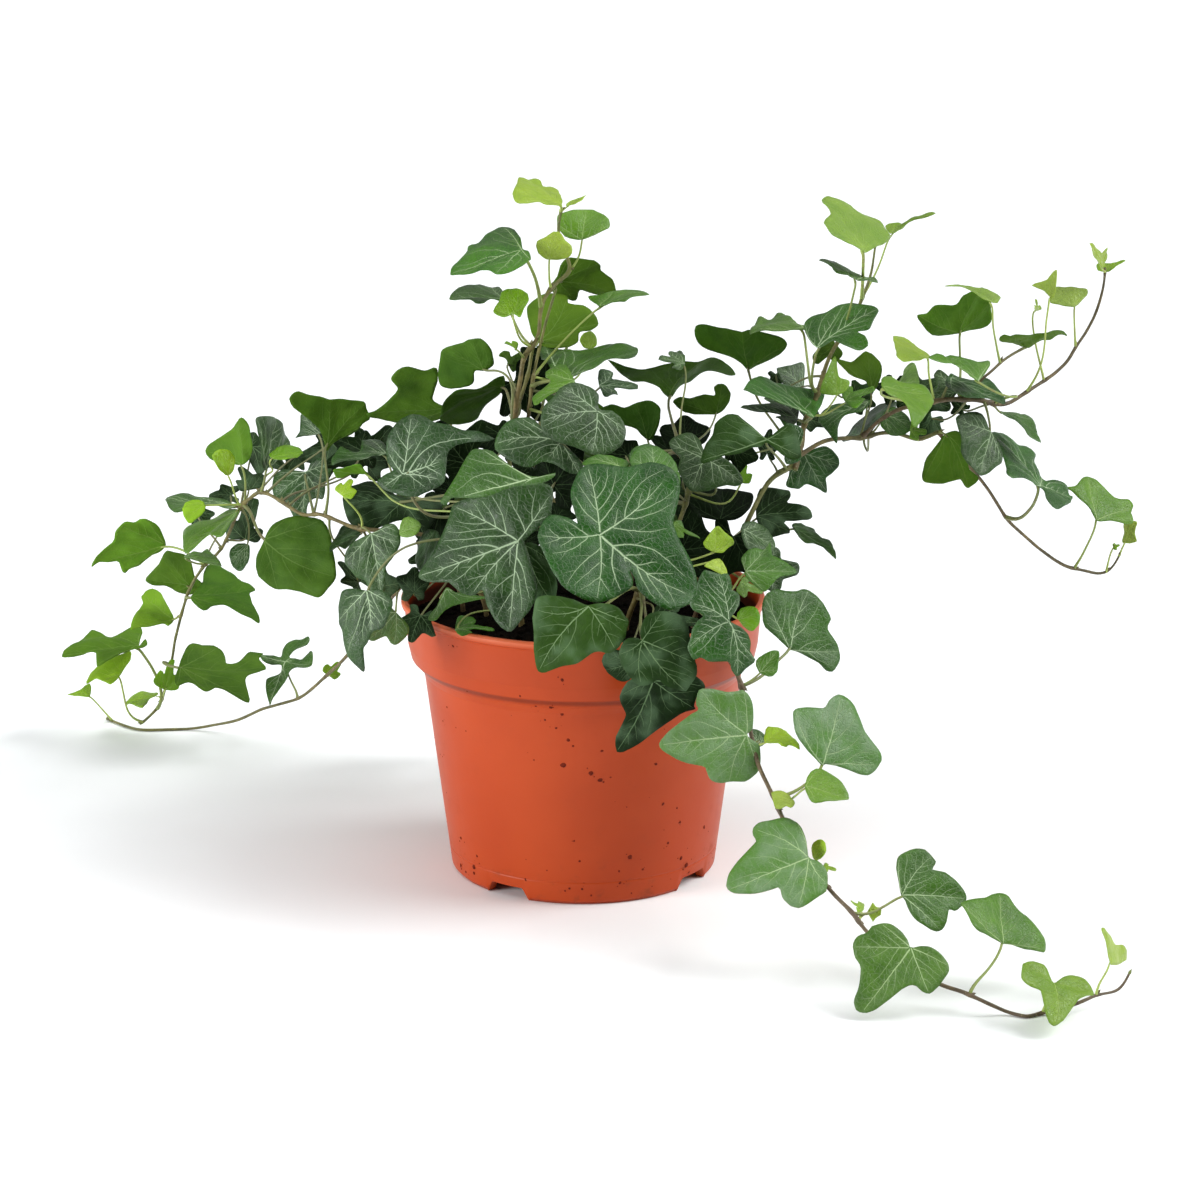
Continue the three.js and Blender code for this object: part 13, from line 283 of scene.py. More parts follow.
# Stems: key, vine, then x, y, z, radius of each point.
STEMS = [
    ('A', 'stem_left_upper', (-32,2,70,0.92,-32,2,86.6,0.92,-33.69,2.19,92.25,0.84,-35.07,2.45,95.09,0.83,-37,3,98,0.82,-38.58,3.59,100.12,0.81,-42.34,5.19,104.66,0.79,-44.59,6.11,106.79,0.78,-47.13,7.06,108.62,0.78,-50,8,110,0.77,-52.55,8.69,110.69,0.77,-55.54,9.38,111.13,0.77,-62.18,10.81,111.45,0.77,-71.32,13.15,111.35,0.77,-73.5,14,111.36,0.77,-76.74,16.44,111.32,0.76,-79.68,22,111,0.72,-85.18,28.19,111.66,0.69,-88.73,32,111.88,0.67,-90.96,34.22,111.29,0.67,-92.88,36,110.39,0.67,-94.96,38,109.98,0.67,-96.78,39.86,110.32,0.67,-102.66,46,112.49,0.67,-106.52,50,113.7,0.67,-108.39,52,114.08,0.67,-110.12,54,113.99,0.67,-111.69,56,113.26,0.67,-113.13,58,112.05,0.67,-114.48,60,110.6,0.67,-117.81,65.5,106.75,0.67,-118.82,67.44,105.19,0.67,-120.89,71.64,101.13,0.67,-125.66,82.09,89.67,0.63,-127.67,86,85.6,0.62,-130.44,90.37,81.69,0.62,-134.63,96.16,77.03,0.62,-135.87,98,75.39,0.62,-139.79,104.38,68.89,0.62,-143.02,110.07,62.29,0.62,-146.29,117.2,52.42,0.61,-149.97,126,40.07,0.57,-150.93,128.81,35.55,0.57,-151.27,129.77,33.63,0.57,-152.46,131.95,28.76,0.57,-154.69,135.31,20.47,0.57,-156.9,138,13.35,0.57,-158.79,138.94,9.79,0.57,-162.43,139.06,6.11,0.55,-164.36,139,4.47,0.52)),
    ('L', 'stem_left_trailing', (-40,9,70,0.92,-40,9,86.6,0.92,-41.3,8,92.69,0.84,-42.4,7.64,95.36,0.83,-44,8,97,0.82,-45.84,8.9,97.37,0.81,-46.99,9.53,97.21,0.8,-50.3,12.58,96.3,0.79,-54.35,16.94,95.25,0.77,-56.12,19.26,94.84,0.75,-57.68,21.64,94.6,0.75,-59.07,24.06,91.55,0.74,-60.32,26.5,89.4,0.73,-65.44,37.84,80.85,0.72,-72.31,53.67,67.82,0.72,-75.2,60.29,62.58,0.72,-81.14,73.95,52.28,0.69,-86.03,84.71,44.35,0.67,-91.62,95.78,36.44,0.67,-97.74,106.56,28.15,0.65,-101.46,112.43,23.53,0.62,-104.6,116.38,20.57,0.62,-106.44,118.06,19.41,0.62,-118.95,128,12.99,0.62,-126.76,134.58,7.39,0.62,-128.71,136,6.2,0.62,-131.09,137.54,5.06,0.61,-135.81,140.06,3.37,0.58,-138.2,141,2.67,0.57,-141.25,141.87,1.8,0.57,-144.35,142.35,1.1,0.57,-148.11,142.52,0.62,0.57,-151.08,142.39,0.62,0.57,-161.42,141.34,0.62,0.57,-164.01,141.3,0.62,0.57,-167.27,142.22,0.59,0.54,-171.7,146.14,0.57,0.52,-176,150.85,0.56,0.51,-179.55,155.21,0.52,0.47)),
    ('TA', 'stem_centre', (-22.47,2,151.27,0.92,-21.11,2,160.96,0.87,-20.1,2,165.95,0.87,-19.82,1.88,169.24,0.85,-19.09,2,172.59,0.82,-16.82,2.75,175.19,0.77,-14.55,4,178.13,0.72,-14.06,5.19,181.13,0.71,-13.97,6.59,184.55,0.72,-13.6,8,187.58,0.72,-12.7,9.33,189.82,0.72,-11.52,10.67,191.67,0.72,-10.05,12,193.41,0.72,-7.87,13.48,195.06,0.72,-5.4,14.96,196.6,0.73,-3.87,16,198.27,0.72,-4.5,16.31,201.08,0.67,-6.14,16,204.22,0.62,-7.65,15.3,209.21,0.58,-8.07,15,211.65,0.57,-7.75,14.94,214.85,0.54,-7.07,15,217.9,0.52)),
    ('TB', 'stem_centre', (-23.05,-4,142.65,0.7,-17.97,4.8,150.42,0.7,-16.65,8,161.96,0.62,-16.13,9.05,164.9,0.6,-14.96,11.14,170.02,0.58,-13.63,12.85,175.63,0.57,-12.07,14,181.72,0.57,-9.11,15,191.16,0.52)),
    ('R', 'stem_right', (69.17,-4,135.95,0.92,71.75,4,144.1,0.92,72.14,6.38,146.52,0.9,72.54,8,148.54,0.87,73.8,9.12,150.97,0.84,75.2,10,153.46,0.82,76.16,10.94,155.61,0.79,77.21,12,158.39,0.77,79.64,14.23,166.16,0.77,80.5,15,168.48,0.77,82.21,16.69,171.49,0.74,83.87,18,173.88,0.72,85.35,18.31,176.45,0.72,86.75,18,178.9,0.72,88.19,17.12,181.04,0.7,89.49,16,183.31,0.67,91.21,14,189.37,0.62,92.94,12,194.4,0.52,94.15,12,199.02,0.47,94.83,10,206.64,0.42)),
    ('E', 'stem_right', (67.71,0,137.66,0.92,71.15,5.48,138.56,0.89,73.01,8,139.1,0.87,75.08,10.22,139.88,0.85,77.29,12.22,140.76,0.83,79.56,14,141.39,0.82,81.96,15.48,141.62,0.82,86.75,18,141.46,0.82,89.78,20.25,140.89,0.82,92.66,22,140.52,0.82,95.64,22.38,141.28,0.8,98.61,22,142.23,0.77,101.47,21,142.72,0.77,104.43,20,142.69,0.77,107.71,19.75,141.39,0.74,111.11,20,140.31,0.72,114.49,20.88,141.15,0.74,117.87,22,142.57,0.77)),
    ('G', 'stem_right', (92.66,22,140.86,0.72,96.32,19.33,145.49,0.72,98.22,18,147.58,0.72,102.19,15.04,150.97,0.76,104.43,14,152.22,0.77,107.13,13.63,153.03,0.77,110.05,13.7,153.51,0.77,112.62,14,153.9,0.77,115.26,14.75,154.49,0.79,117.71,16,154.8,0.82,119.72,17.19,154.76,0.82,124.36,20,154.24,0.82,130.56,22.67,153.27,0.82,133.4,24,152.66,0.82,138.85,28,150.39,0.82,142.38,30,150.62,0.77,147.74,34,153.14,0.72,156.66,40,157.29,0.67,159,41.52,158.71,0.67,162.7,44,161.57,0.67,164.31,45.56,163.66,0.65,165.61,47,165.74,0.62,169.2,50,169.92,0.57,171.68,52.07,173.81,0.57,172.75,53,175.84,0.57,173.94,54.12,178.83,0.55,174.82,55,181.62,0.52,175.81,56,185.88,0.47,175.99,56,189.99,0.42)),
    ('Gs', 'stem_right', (126.85,22,154.8,0.52,130.66,21.85,159.17,0.52,132.31,22,160.9,0.52,135.43,24,162.83,0.52,138.65,27,165.23,0.52,142.23,30,166.96,0.52,146.17,33,168.36,0.47)),
    ('H', 'stem_right', (117.87,22,142.57,0.77,121.48,24,138,0.77,124.74,26,134.78,0.72,126.5,27.15,132.75,0.7,133.84,32.31,123.42,0.64,137.1,35,118.76,0.62,143.54,42,107.9,0.67,145.63,43.5,105.3,0.65,148.08,45,102.9,0.62,155.45,50.6,95.39,0.62,161.95,55.25,89.69,0.65,166.19,58,86.64,0.67,169.52,59.69,85.22,0.62,172.51,61,84.39,0.57,178.51,64,82.13,0.57,182.09,65,82.58,0.47,184.56,66,85.19,0.42,185.84,66,88.07,0.37)),
    ('F', 'stem_front_trailing', (36,-14,70,0.97,36,-14,86.6,0.97,36.49,-15.16,89.16,0.91,37.19,-16.75,92.06,0.89,38.04,-18.97,94.18,0.88,39,-22,95,0.87,39.62,-24.26,94.58,0.86,39.98,-25.61,94.03,0.86,40.67,-28.17,93.89,0.85,41.72,-32.03,94.04,0.84,42.8,-35.92,94.68,0.83,44.37,-42.36,94.67,0.82,45.1,-46.19,90.52,0.82,45.55,-48.78,88.5,0.82,45.77,-50.09,87.79,0.82,45.99,-51.43,87.24,0.82,46.46,-54.14,86.53,0.82,46.69,-55.5,86.28,0.82,47.29,-58,86.14,0.82,48.27,-60.89,85.05,0.82,49.17,-62.67,83.43,0.82,49.96,-64,81.37,0.82,50.56,-64.93,78.75,0.81,51.55,-66,72.77,0.77,52.78,-67.81,67.6,0.77,53.41,-69,65.14,0.77,54.41,-72.04,60.5,0.77,55.17,-74,58.19,0.77,56.07,-75.84,56.36,0.76,59.3,-82,50.97,0.72,62.22,-88,45.46,0.72,64.5,-92.06,42.15,0.72,68.69,-99,37.04,0.72,74.48,-108.13,30.98,0.72,77.67,-112.24,28.23,0.73,82.5,-117,24.84,0.77,86.28,-121,20.51,0.67,91.96,-125.75,16.11,0.66,96.48,-129,13.21,0.67,98.87,-130.39,11.99,0.68,104.05,-132.98,9.77,0.7,108.51,-135,8.13,0.72,111.72,-136.19,7.4,0.73,114.39,-137,6.98,0.72,119.44,-139.25,5.33,0.68,122,-140,4.31,0.67,124.5,-139.84,3.05,0.67,126.94,-139.24,1.68,0.67,129.12,-139.09,0.72,0.67,133.9,-142.28,0.72,0.67,138.48,-138.97,0.67,0.62,140.77,-138.84,1.23,0.62,146.45,-139.2,2.9,0.63,148.92,-139,3.59,0.62,151.33,-138,4.2,0.59,155.4,-135,4.9,0.52,160.77,-131.48,4.36,0.48,163.02,-130,4.53,0.47,164.87,-128.81,6.43,0.45,166.16,-128,8.93,0.42)),
    ('B', 'stem_centre', (-20,-13,70,1.12,-20,-13,86.6,1.12,-21.3,-13.8,94.39,1.03,-24.65,-14.33,110.85,0.99,-25.86,-14.22,117.39,0.98,-26.21,-14,120.03,0.97,-26.37,-13.33,123.47,0.96,-26.14,-12.38,126.01,0.94,-23.87,-6.5,138.06,0.92,-23.05,-4,142.65,0.92,-22.79,-2.5,145.04,0.92,-22.47,2,151.27,0.92)),
    ('C', 'stem_front', (14,-16,70,1.07,14,-16,86.6,1.07,15.4,-18.35,92.01,1,16.38,-19.89,94.92,0.99,17.45,-21.22,97.71,0.98,18.56,-22,100.36,0.97,20.04,-22.16,103.4,0.96,21.67,-21.75,106.22,0.95,25.02,-20,111.56,0.92,26.72,-18.83,114.14,0.91,28.48,-17.38,116.62,0.89,30.15,-15.73,119.11,0.88,31.56,-14,121.71,0.87,33.44,-10.94,126.33,0.87,34.71,-7.63,131,0.88,34.91,-6,133.09,0.87,34.58,-4,135.35,0.85,31.77,2,141.21,0.77)),
    ('D', 'stem_right', (30,2,70,1.07,30,2,86.6,1.07,31.6,0.03,90.98,1,34.22,-2.7,95.52,0.98,36,-4,98,0.97,39.62,-5.83,102.06,0.95,46.21,-8.58,108.5,0.93,49.63,-10,112.25,0.92,51.58,-11.33,115.53,0.92,52.46,-12.22,118.22,0.92,53.7,-12,121.19,0.92,54.95,-10.94,123.42,0.92,57.9,-7.25,128.41,0.92,59.48,-5.38,130.71,0.92,61.06,-4,132.59,0.92,63.73,-2.89,134.62,0.92,69.25,-2,137.14,0.92)),
    ('K1', 'stem_back_upright', (-2,26,70,1.02,-2,26,86.6,1.02,-2.73,28.55,90.4,0.95,-4.45,34.22,96.99,0.9,-6,38,102,0.87,-8.67,42.15,108.96,0.84,-12.68,47.6,119.13,0.79,-14,50,124,0.77,-14.82,52.66,129.92,0.74,-14.98,53.87,132.82,0.73,-14.82,56.05,138.49,0.7,-14,58,144,0.67,-13.28,58.87,146.68,0.66,-11.13,60.35,151.85,0.63,-6,63,162,0.57)),
    ('K2', 'stem_back_trailing', (16,34,70,0.97,16,34,86.6,0.97,16.52,37.63,90.63,0.9,16.88,40.12,92.81,0.89,17.26,42.81,94.81,0.89,17.45,44.16,95.69,0.88,18.22,49.61,97.94,0.86,18.81,53.64,99.11,0.85,19.4,57.49,99.49,0.83,19.98,61.01,98.88,0.82,20.54,64.1,97.31,0.8,21.08,66.78,94.96,0.79,21.6,69.22,92.2,0.78,22,71,88,0.77,22.48,73.31,80.98,0.76,23.26,77.26,66.11,0.73,23.8,79.99,56.9,0.72,24.66,84.38,45.1,0.72,25.63,89.43,32.96,0.72,26.43,93.38,24.68,0.72,27,96,20,0.72,27.45,97.95,16.96,0.72,28.43,101.93,11.72,0.7,28.94,103.94,9.49,0.7,29.98,107.98,5.79,0.68,31,112,3,0.67,31.68,114.71,1.79,0.66,32.37,117.48,1.18,0.65,33.06,120.25,0.99,0.65,34.39,125.56,1.14,0.63,37.62,137.45,0.98,0.58,38,140,1,0.57,37.31,143.81,0.99,0.54,36,147,1,0.52)),
    ('K3', 'stem_back_left', (-18,30,70,0.92,-18,30,86.6,0.92,-20.2,32.61,89.74,0.86,-21.71,34.4,91.62,0.85,-23.38,36.38,93.44,0.84,-25.99,39.44,95.9,0.84,-29.59,43.32,97.93,0.82,-32.34,46.23,99.02,0.81,-35.11,49.12,99.42,0.79,-37.77,51.91,98.95,0.78,-40.26,54.57,97.61,0.76,-43.31,57.93,94.96,0.75,-45.23,60.46,89.94,0.74,-47.6,63.92,81.64,0.71,-48.8,65.86,76.17,0.69,-50.46,68.76,67.06,0.66,-51.71,71.3,58.45,0.63,-52.29,72.96,52.42,0.6,-52.37,73.7,49.26,0.59,-52,76,38,0.52)),
    ('TC', 'stem_centre', (-23.87,-6.5,138.06,0.8,-23.94,-4.33,139.81,0.8,-23.1,-1,145.28,0.8,-22.06,2.48,151.49,0.77,-21.52,4,154.16,0.75,-20.76,5.69,156.6,0.72,-19.92,7,158.84,0.7,-18.32,8.59,163.58,0.67,-17.63,9,166.09,0.65,-17.07,8.84,169.84,0.62,-16.59,8,173.31,0.6,-15.78,6.41,175.97,0.6,-14.55,4,178.13,0.6)),
]

# ---------------------------------------------------------------- helpers
def smoothstep(a, b, x):
    t = np.clip((x - a) / (b - a), 0, 1)
    return t * t * (3 - 2 * t)


def unit(v):
    return v / np.linalg.norm(v)


class Soup:
    """Collects vertices, faces, material indices and corner maps of one piece."""

    def __init__(self):
        self.v, self.f, self.m, self.uv = [], [], [], {"leaf": [], "vein": [], "side": [], "fork": [], "tint": []}
        self.n = 0

    def add(self, verts, faces, mat, leaf=None, vein=None, tint=(0.5, 0.0), side=None, fork=None):
        """leaf and vein: per-corner (k, 2) lists in face order, or None."""
        verts = np.asarray(verts, float)
        corners = sum(len(f) for f in faces)
        self.v.append(verts)
        self.f.extend([tuple(i + self.n for i in f) for f in faces])
        self.m.extend(mat if isinstance(mat, (list, tuple, np.ndarray)) else [mat] * len(faces))
        for key, val in (("leaf", leaf), ("vein", vein), ("side", side), ("fork", fork)):
            self.uv[key].append(np.zeros((corners, 2)) if val is None else np.asarray(val, float).reshape(corners, 2))
        t = np.asarray(tint, float)
        self.uv["tint"].append(np.broadcast_to(t, (corners, 2)) if t.ndim == 1 else t)
        self.n += len(verts)

    def build(self, name, mats, body="root", replaces=()):
        me = bpy.data.meshes.new(name)
        me.from_pydata((np.concatenate(self.v) * MM).tolist(), [], self.f)
        for key, vals in self.uv.items():
            layer = me.uv_layers.new(name=key)
            layer.data.foreach_set("uv", np.concatenate(vals).astype(np.float32).ravel())
        for m in mats:
            me.materials.append(m)
        me.polygons.foreach_set("material_index", np.asarray(self.m, np.int32))
        me.polygons.foreach_set("use_smooth", np.ones(len(self.f), bool))
        me.validate()
        me.update()
        ob = bpy.data.objects.new(name, me)
        scene.collection.objects.link(ob)
        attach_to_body(ob, body)
        if replaces:
            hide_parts(*replaces)
        return ob


def resample(P, step):
    P = np.asarray(P, float)
    s = np.r_[0, np.cumsum(np.linalg.norm(np.diff(P[:, :3] if P.shape[1] > 2 else P, axis=0), axis=1))]
    n = max(2, int(round(s[-1] / step)) + 1)
    t = np.linspace(0, s[-1], n)
    return np.stack([np.interp(t, s, P[:, i]) for i in range(P.shape[1])], 1)


def smooth_line(P, step, keep_ends=True):
    """Centripetal-like smoothing: resample, then relax."""
    Q = resample(P, step)
    for _ in range(3):
        if len(Q) > 3:
            R = Q.copy()
            R[1:-1] = 0.5 * Q[1:-1] + 0.25 * (Q[:-2] + Q[2:])
            Q = R
    return Q


def tube(P, R, sides, cap_start=True, cap_end=True, twist=0.0):
    """Vertices and faces of a tube; uv corners are (length mm, angle)."""
    P = np.asarray(P, float)
    n = len(P)
    T = np.gradient(P, axis=0)
    T /= np.maximum(np.linalg.norm(T, axis=1), 1e-9)[:, None]
    up = np.array([0, 0, 1.0]) if abs(T[0, 2]) < 0.8 else np.array([1.0, 0, 0])
    V = []
    s = np.r_[0, np.cumsum(np.linalg.norm(np.diff(P, axis=0), axis=1))]
    ang = np.arange(sides) * 2 * np.pi / sides
    for i in range(n):
        up = up - (up @ T[i]) * T[i]
        up /= np.linalg.norm(up)
        side = np.cross(T[i], up)
        V.append(P[i] + R[i] * (np.cos(ang)[:, None] * up + np.sin(ang)[:, None] * side))
    V = np.concatenate(V)
    F, UV = [], []
    for i in range(n - 1):
        for k in range(sides):
            k2 = (k + 1) % sides
            F.append((i * sides + k, i * sides + k2, (i + 1) * sides + k2, (i + 1) * sides + k))
            UV += [(s[i], k / sides), (s[i], (k + 1) / sides), (s[i + 1], (k + 1) / sides), (s[i + 1], k / sides)]
    extra = []
    if cap_start:
        c = len(V) + len(extra)
        extra.append(P[0] - T[0] * R[0] * 0.4)
        for k in range(sides):
            F.append((c, (k + 1) % sides, k))
            UV += [(s[0], 0.5)] * 3
    if cap_end:
        c = len(V) + len(extra)
        extra.append(P[-1] + T[-1] * R[-1] * 0.6)
        o = (n - 1) * sides
        for k in range(sides):
            F.append((c, o + k, o + (k + 1) % sides))
            UV += [(s[-1], 0.5)] * 3
    if extra:
        V = np.vstack([V, np.array(extra)])
    return V, F, np.array(UV)


def blob(centre, axis, length, radius, sides=7, rings=5, pointed=1.0):
    """A small bud: an egg along axis."""
    t = np.linspace(0, 1, rings + 2)
    prof = np.sin(np.pi * t ** (0.75 if pointed else 1.0)) * (1 - 0.25 * pointed * t)
    P = np.asarray(centre) + np.outer(t * length, unit(np.asarray(axis, float)))
    return tube(P, np.maximum(prof * radius, 0.03), sides)


# ---------------------------------------------------------------- node helper
class Nodes:
    def __init__(self, name):
        self.mat = bpy.data.materials.new(name)
        self.mat.use_nodes = True
        self.t = self.mat.node_tree
        self.t.nodes.clear()
        self.out = self.t.nodes.new("ShaderNodeOutputMaterial")
        self.bsdf = self.t.nodes.new("ShaderNodeBsdfPrincipled")
        self.t.links.new(self.bsdf.outputs[0], self.out.inputs[0])

    def new(self, kind, **props):
        n = self.t.nodes.new("ShaderNode" + kind)
        for k, v in props.items():
            setattr(n, k, v)
        return n

    def put(self, socket, value):
        if isinstance(value, bpy.types.NodeSocket):
            self.t.links.new(value, socket)
        elif value is not None:
            socket.default_value = value

    def math(self, op, a, b=None, c=None, clamp=False):
        n = self.new("Math", operation=op, use_clamp=clamp)
        for i, v in enumerate((a, b, c)):
            if v is not None:
                self.put(n.inputs[i], v)
        return n.outputs[0]

    def range(self, x, a, b, lo=0.0, hi=1.0, smooth=True):
        n = self.new("MapRange", interpolation_type="SMOOTHSTEP" if smooth else "LINEAR", clamp=True)
        self.put(n.inputs["Value"], x)
        for k, v in (("From Min", a), ("From Max", b), ("To Min", lo), ("To Max", hi)):
            self.put(n.inputs[k], v)
        return n.outputs[0]

    def mix(self, fac, a, b, blend="MIX"):
        n = self.new("Mix", data_type="RGBA", blend_type=blend, clamp_factor=True)
        self.put(n.inputs[0], fac)
        self.put(n.inputs[6], a)
        self.put(n.inputs[7], b)
        return n.outputs[2]

    def lerp(self, fac, a, b):
        n = self.new("Mix", data_type="FLOAT", clamp_factor=True)
        self.put(n.inputs[0], fac)
        self.put(n.inputs[2], a)
        self.put(n.inputs[3], b)
        return n.outputs[0]

    def ramp(self, fac, stops, mode="LINEAR"):
        n = self.new("ValToRGB")
        n.color_ramp.interpolation = mode
        e = n.color_ramp.elements
        while len(e) > 1:
            e.remove(e[-1])
        e[0].position, e[0].color = stops[0][0], (*stops[0][1], 1)
        for p, c in stops[1:]:
            x = e.new(p)
            x.color = (*c, 1)
        self.put(n.inputs[0], fac)
        return n.outputs[0]

    def uv(self, name):
        n = self.new("UVMap")
        n.uv_map = name
        s = self.new("SeparateXYZ")
        self.t.links.new(n.outputs[0], s.inputs[0])
        return n.outputs[0], s.outputs[0], s.outputs[1]

    def noise(self, vec, scale, detail=2.0, rough=0.5, w=None, dims="3D"):
        n = self.new("TexNoise", noise_dimensions=dims)
        self.put(n.inputs["Vector"], vec)
        n.inputs["Scale"].default_value = scale
        n.inputs["Detail"].default_value = detail
        n.inputs["Roughness"].default_value = rough
        if w is not None:
            self.put(n.inputs["W"], w)
        return n.outputs[0]

    def bump(self, height, strength, distance, normal=None):
        n = self.new("Bump")
        n.inputs["Strength"].default_value = strength
        n.inputs["Distance"].default_value = distance
        self.put(n.inputs["Height"], height)
        if normal is not None:
            self.put(n.inputs["Normal"], normal)
        return n.outputs[0]


def lin(r, g, b):
    f = lambda c: c / 12.92 if c <= 0.04045 else ((c + 0.055) / 1.055) ** 2.4
    return f(r / 255), f(g / 255), f(b / 255)


# ---------------------------------------------------------------- leaf materials
def vein_masks(N):
    """Main veins, side veins, forks and the fine net, each 0 to 1, from the corner maps (half width, distance)."""
    leaf, lx, ly = N.uv("leaf")
    tint, rnd, tone = N.uv("tint")
    shift = N.new("CombineXYZ")
    N.put(shift.inputs[0], N.math("MULTIPLY", rnd, 37.0))
    N.put(shift.inputs[1], N.math("MULTIPLY", rnd, 91.0))
    moved = N.new("VectorMath", operation="ADD")
    N.put(moved.inputs[0], leaf)
    N.put(moved.inputs[1], shift.outputs[0])
    pos = moved.outputs[0]
    wob = N.math("SUBTRACT", N.noise(pos, 26.0, 2.0), 0.5)
    out = dict(pos=pos, rnd=rnd, tone=tone)
    for name, amp, soft in (("vein", 0.35, 1.25), ("side", 0.45, 1.5), ("fork", 0.4, 1.7)):
        uv, w, d = N.uv(name)
        ad = N.math("ABSOLUTE", N.math("MULTIPLY_ADD", wob, amp, d))
        ww = N.math("MAXIMUM", w, 0.0001)
        out[name] = N.math("MULTIPLY", N.range(N.math("DIVIDE", ad, ww), 0.45, soft, 1.0, 0.0), N.range(w, 0.0, 0.06, 0.0, 1.0))
        out[name + "_halo"] = N.range(ad, 0.0, 1.5, 1.0, 0.0)
    vor = N.new("TexVoronoi", feature="DISTANCE_TO_EDGE", voronoi_dimensions="2D")
    N.put(vor.inputs["Vector"], pos)
    vor.inputs["Scale"].default_value = 34.0
    vor.inputs["Randomness"].default_value = 1.0
    out["net"] = N.range(vor.outputs["Distance"], 0.02, 0.16, 1.0, 0.0)
    vor2 = N.new("TexVoronoi", feature="DISTANCE_TO_EDGE", voronoi_dimensions="2D")
    N.put(vor2.inputs["Vector"], pos)
    vor2.inputs["Scale"].default_value = 80.0
    out["net2"] = N.range(vor2.outputs["Distance"], 0.0, 0.2, 1.0, 0.0)
    return out


def make_leaf_top(name="ivy_leaf_upper", painted_sheen_amount=0.0):
    N = Nodes(name)
    m = vein_masks(N)
    tone = m["tone"]
    base = N.ramp(tone, [(0.0, lin(27, 62, 9)), (0.2, lin(40, 84, 13)), (0.42, lin(74, 118, 30)), (0.66, lin(110, 148, 42)), (1.0, lin(152, 184, 42))])
    deep = N.ramp(tone, [(0.0, lin(13, 40, 4)), (0.2, lin(22, 60, 6)), (0.42, lin(52, 95, 17)), (0.66, lin(90, 132, 28)), (1.0, lin(136, 174, 30))])
    pale = N.ramp(tone, [(0.0, lin(172, 194, 162)), (0.36, lin(172, 198, 148)), (0.66, lin(166, 198, 100)), (1.0, lin(190, 212, 104))])
    patch = N.noise(m["pos"], 4.0, 3.0, 0.6)
    fine = N.noise(m["pos"], 55.0, 3.0, 0.6)
    col = N.mix(N.range(patch, 0.3, 0.7), base, deep)
    # greyish patches on old leaves: partly the leaf's waxy bloom, partly a painted sheen
    bloom_and_painted_sheen = N.math("MULTIPLY", N.range(N.noise(m["pos"], 7.0, 2.0, 0.5), 0.46, 0.72), N.range(tone, 0.0, 0.35, 0.12, 0.0))
    bloom_and_painted_sheen = N.math("MULTIPLY", bloom_and_painted_sheen, N.range(fine, 0.40, 0.62, 0.45, 1.0))
    col = N.mix(bloom_and_painted_sheen, col, (*lin(112, 138, 110), 1))
    # leaves differ a little from each other
    hue = N.new("HueSaturation")
    N.put(hue.inputs["Hue"], N.math("MULTIPLY_ADD", m["rnd"], 0.024, 0.488))
    N.put(hue.inputs["Saturation"], N.math("MULTIPLY_ADD", m["rnd"], 0.2, 0.92))
    N.put(hue.inputs["Value"], N.math("MULTIPLY_ADD", N.math("FRACT", N.math("MULTIPLY", m["rnd"], 7.3)), 0.34, 0.82))
    N.put(hue.inputs["Color"], col)
    col = hue.outputs[0]
    # pale greyish patches: a painted sheen for leaves in strong light
    if painted_sheen_amount:
        col = N.mix(N.range(patch, 0.36, 0.64, painted_sheen_amount * 0.25, painted_sheen_amount * 1.75), col, (*lin(152, 176, 142), 1))
    side_on = N.range(tone, 0.15, 0.42, 0.76, 0.46)
    fork_on = N.range(tone, 0.12, 0.36, 0.38, 0.12)
    lines = N.math("MAXIMUM", N.math("MULTIPLY", m["vein"], 1.0), N.math("MULTIPLY", m["side"], side_on))
    lines = N.math("MAXIMUM", lines, N.math("MULTIPLY", m["fork"], fork_on))
    lines = N.math("MAXIMUM", lines, N.math("MULTIPLY", m["net"], 0.06))
    lines = N.math("ADD", lines, N.math("MULTIPLY", m["vein_halo"], 0.07))
    lines = N.math("ADD", lines, N.math("MULTIPLY", m["side_halo"], 0.03), clamp=True)
    strength = N.range(tone, 0.30, 0.70, 0.9, 0.55)
    col = N.mix(N.math("MULTIPLY", lines, strength), col, pale)
    N.put(N.bsdf.inputs["Base Color"], col)
    rough = N.math("MULTIPLY_ADD", fine, 0.24, 0.22)
    N.put(N.bsdf.inputs["Roughness"], N.math("ADD", rough, N.math("MULTIPLY", lines, 0.08)))
    h = N.math("MULTIPLY", N.math("MAXIMUM", m["vein"], N.math("MULTIPLY", m["side"], 0.65)), -1.0)
    h = N.math("ADD", h, N.math("MULTIPLY", m["fork"], -0.35))
    h = N.math("ADD", h, N.math("MULTIPLY", m["net"], -0.30))
    h = N.math("ADD", h, N.math("MULTIPLY", m["net2"], -0.12))
    h = N.math("ADD", h, N.math("MULTIPLY", fine, 0.25))
    N.put(N.bsdf.inputs["Normal"], N.bump(h, 0.8, 0.00032))
    N.bsdf.inputs["IOR"].default_value = 1.45
    N.bsdf.inputs["Specular IOR Level"].default_value = 0.44
    return N.mat


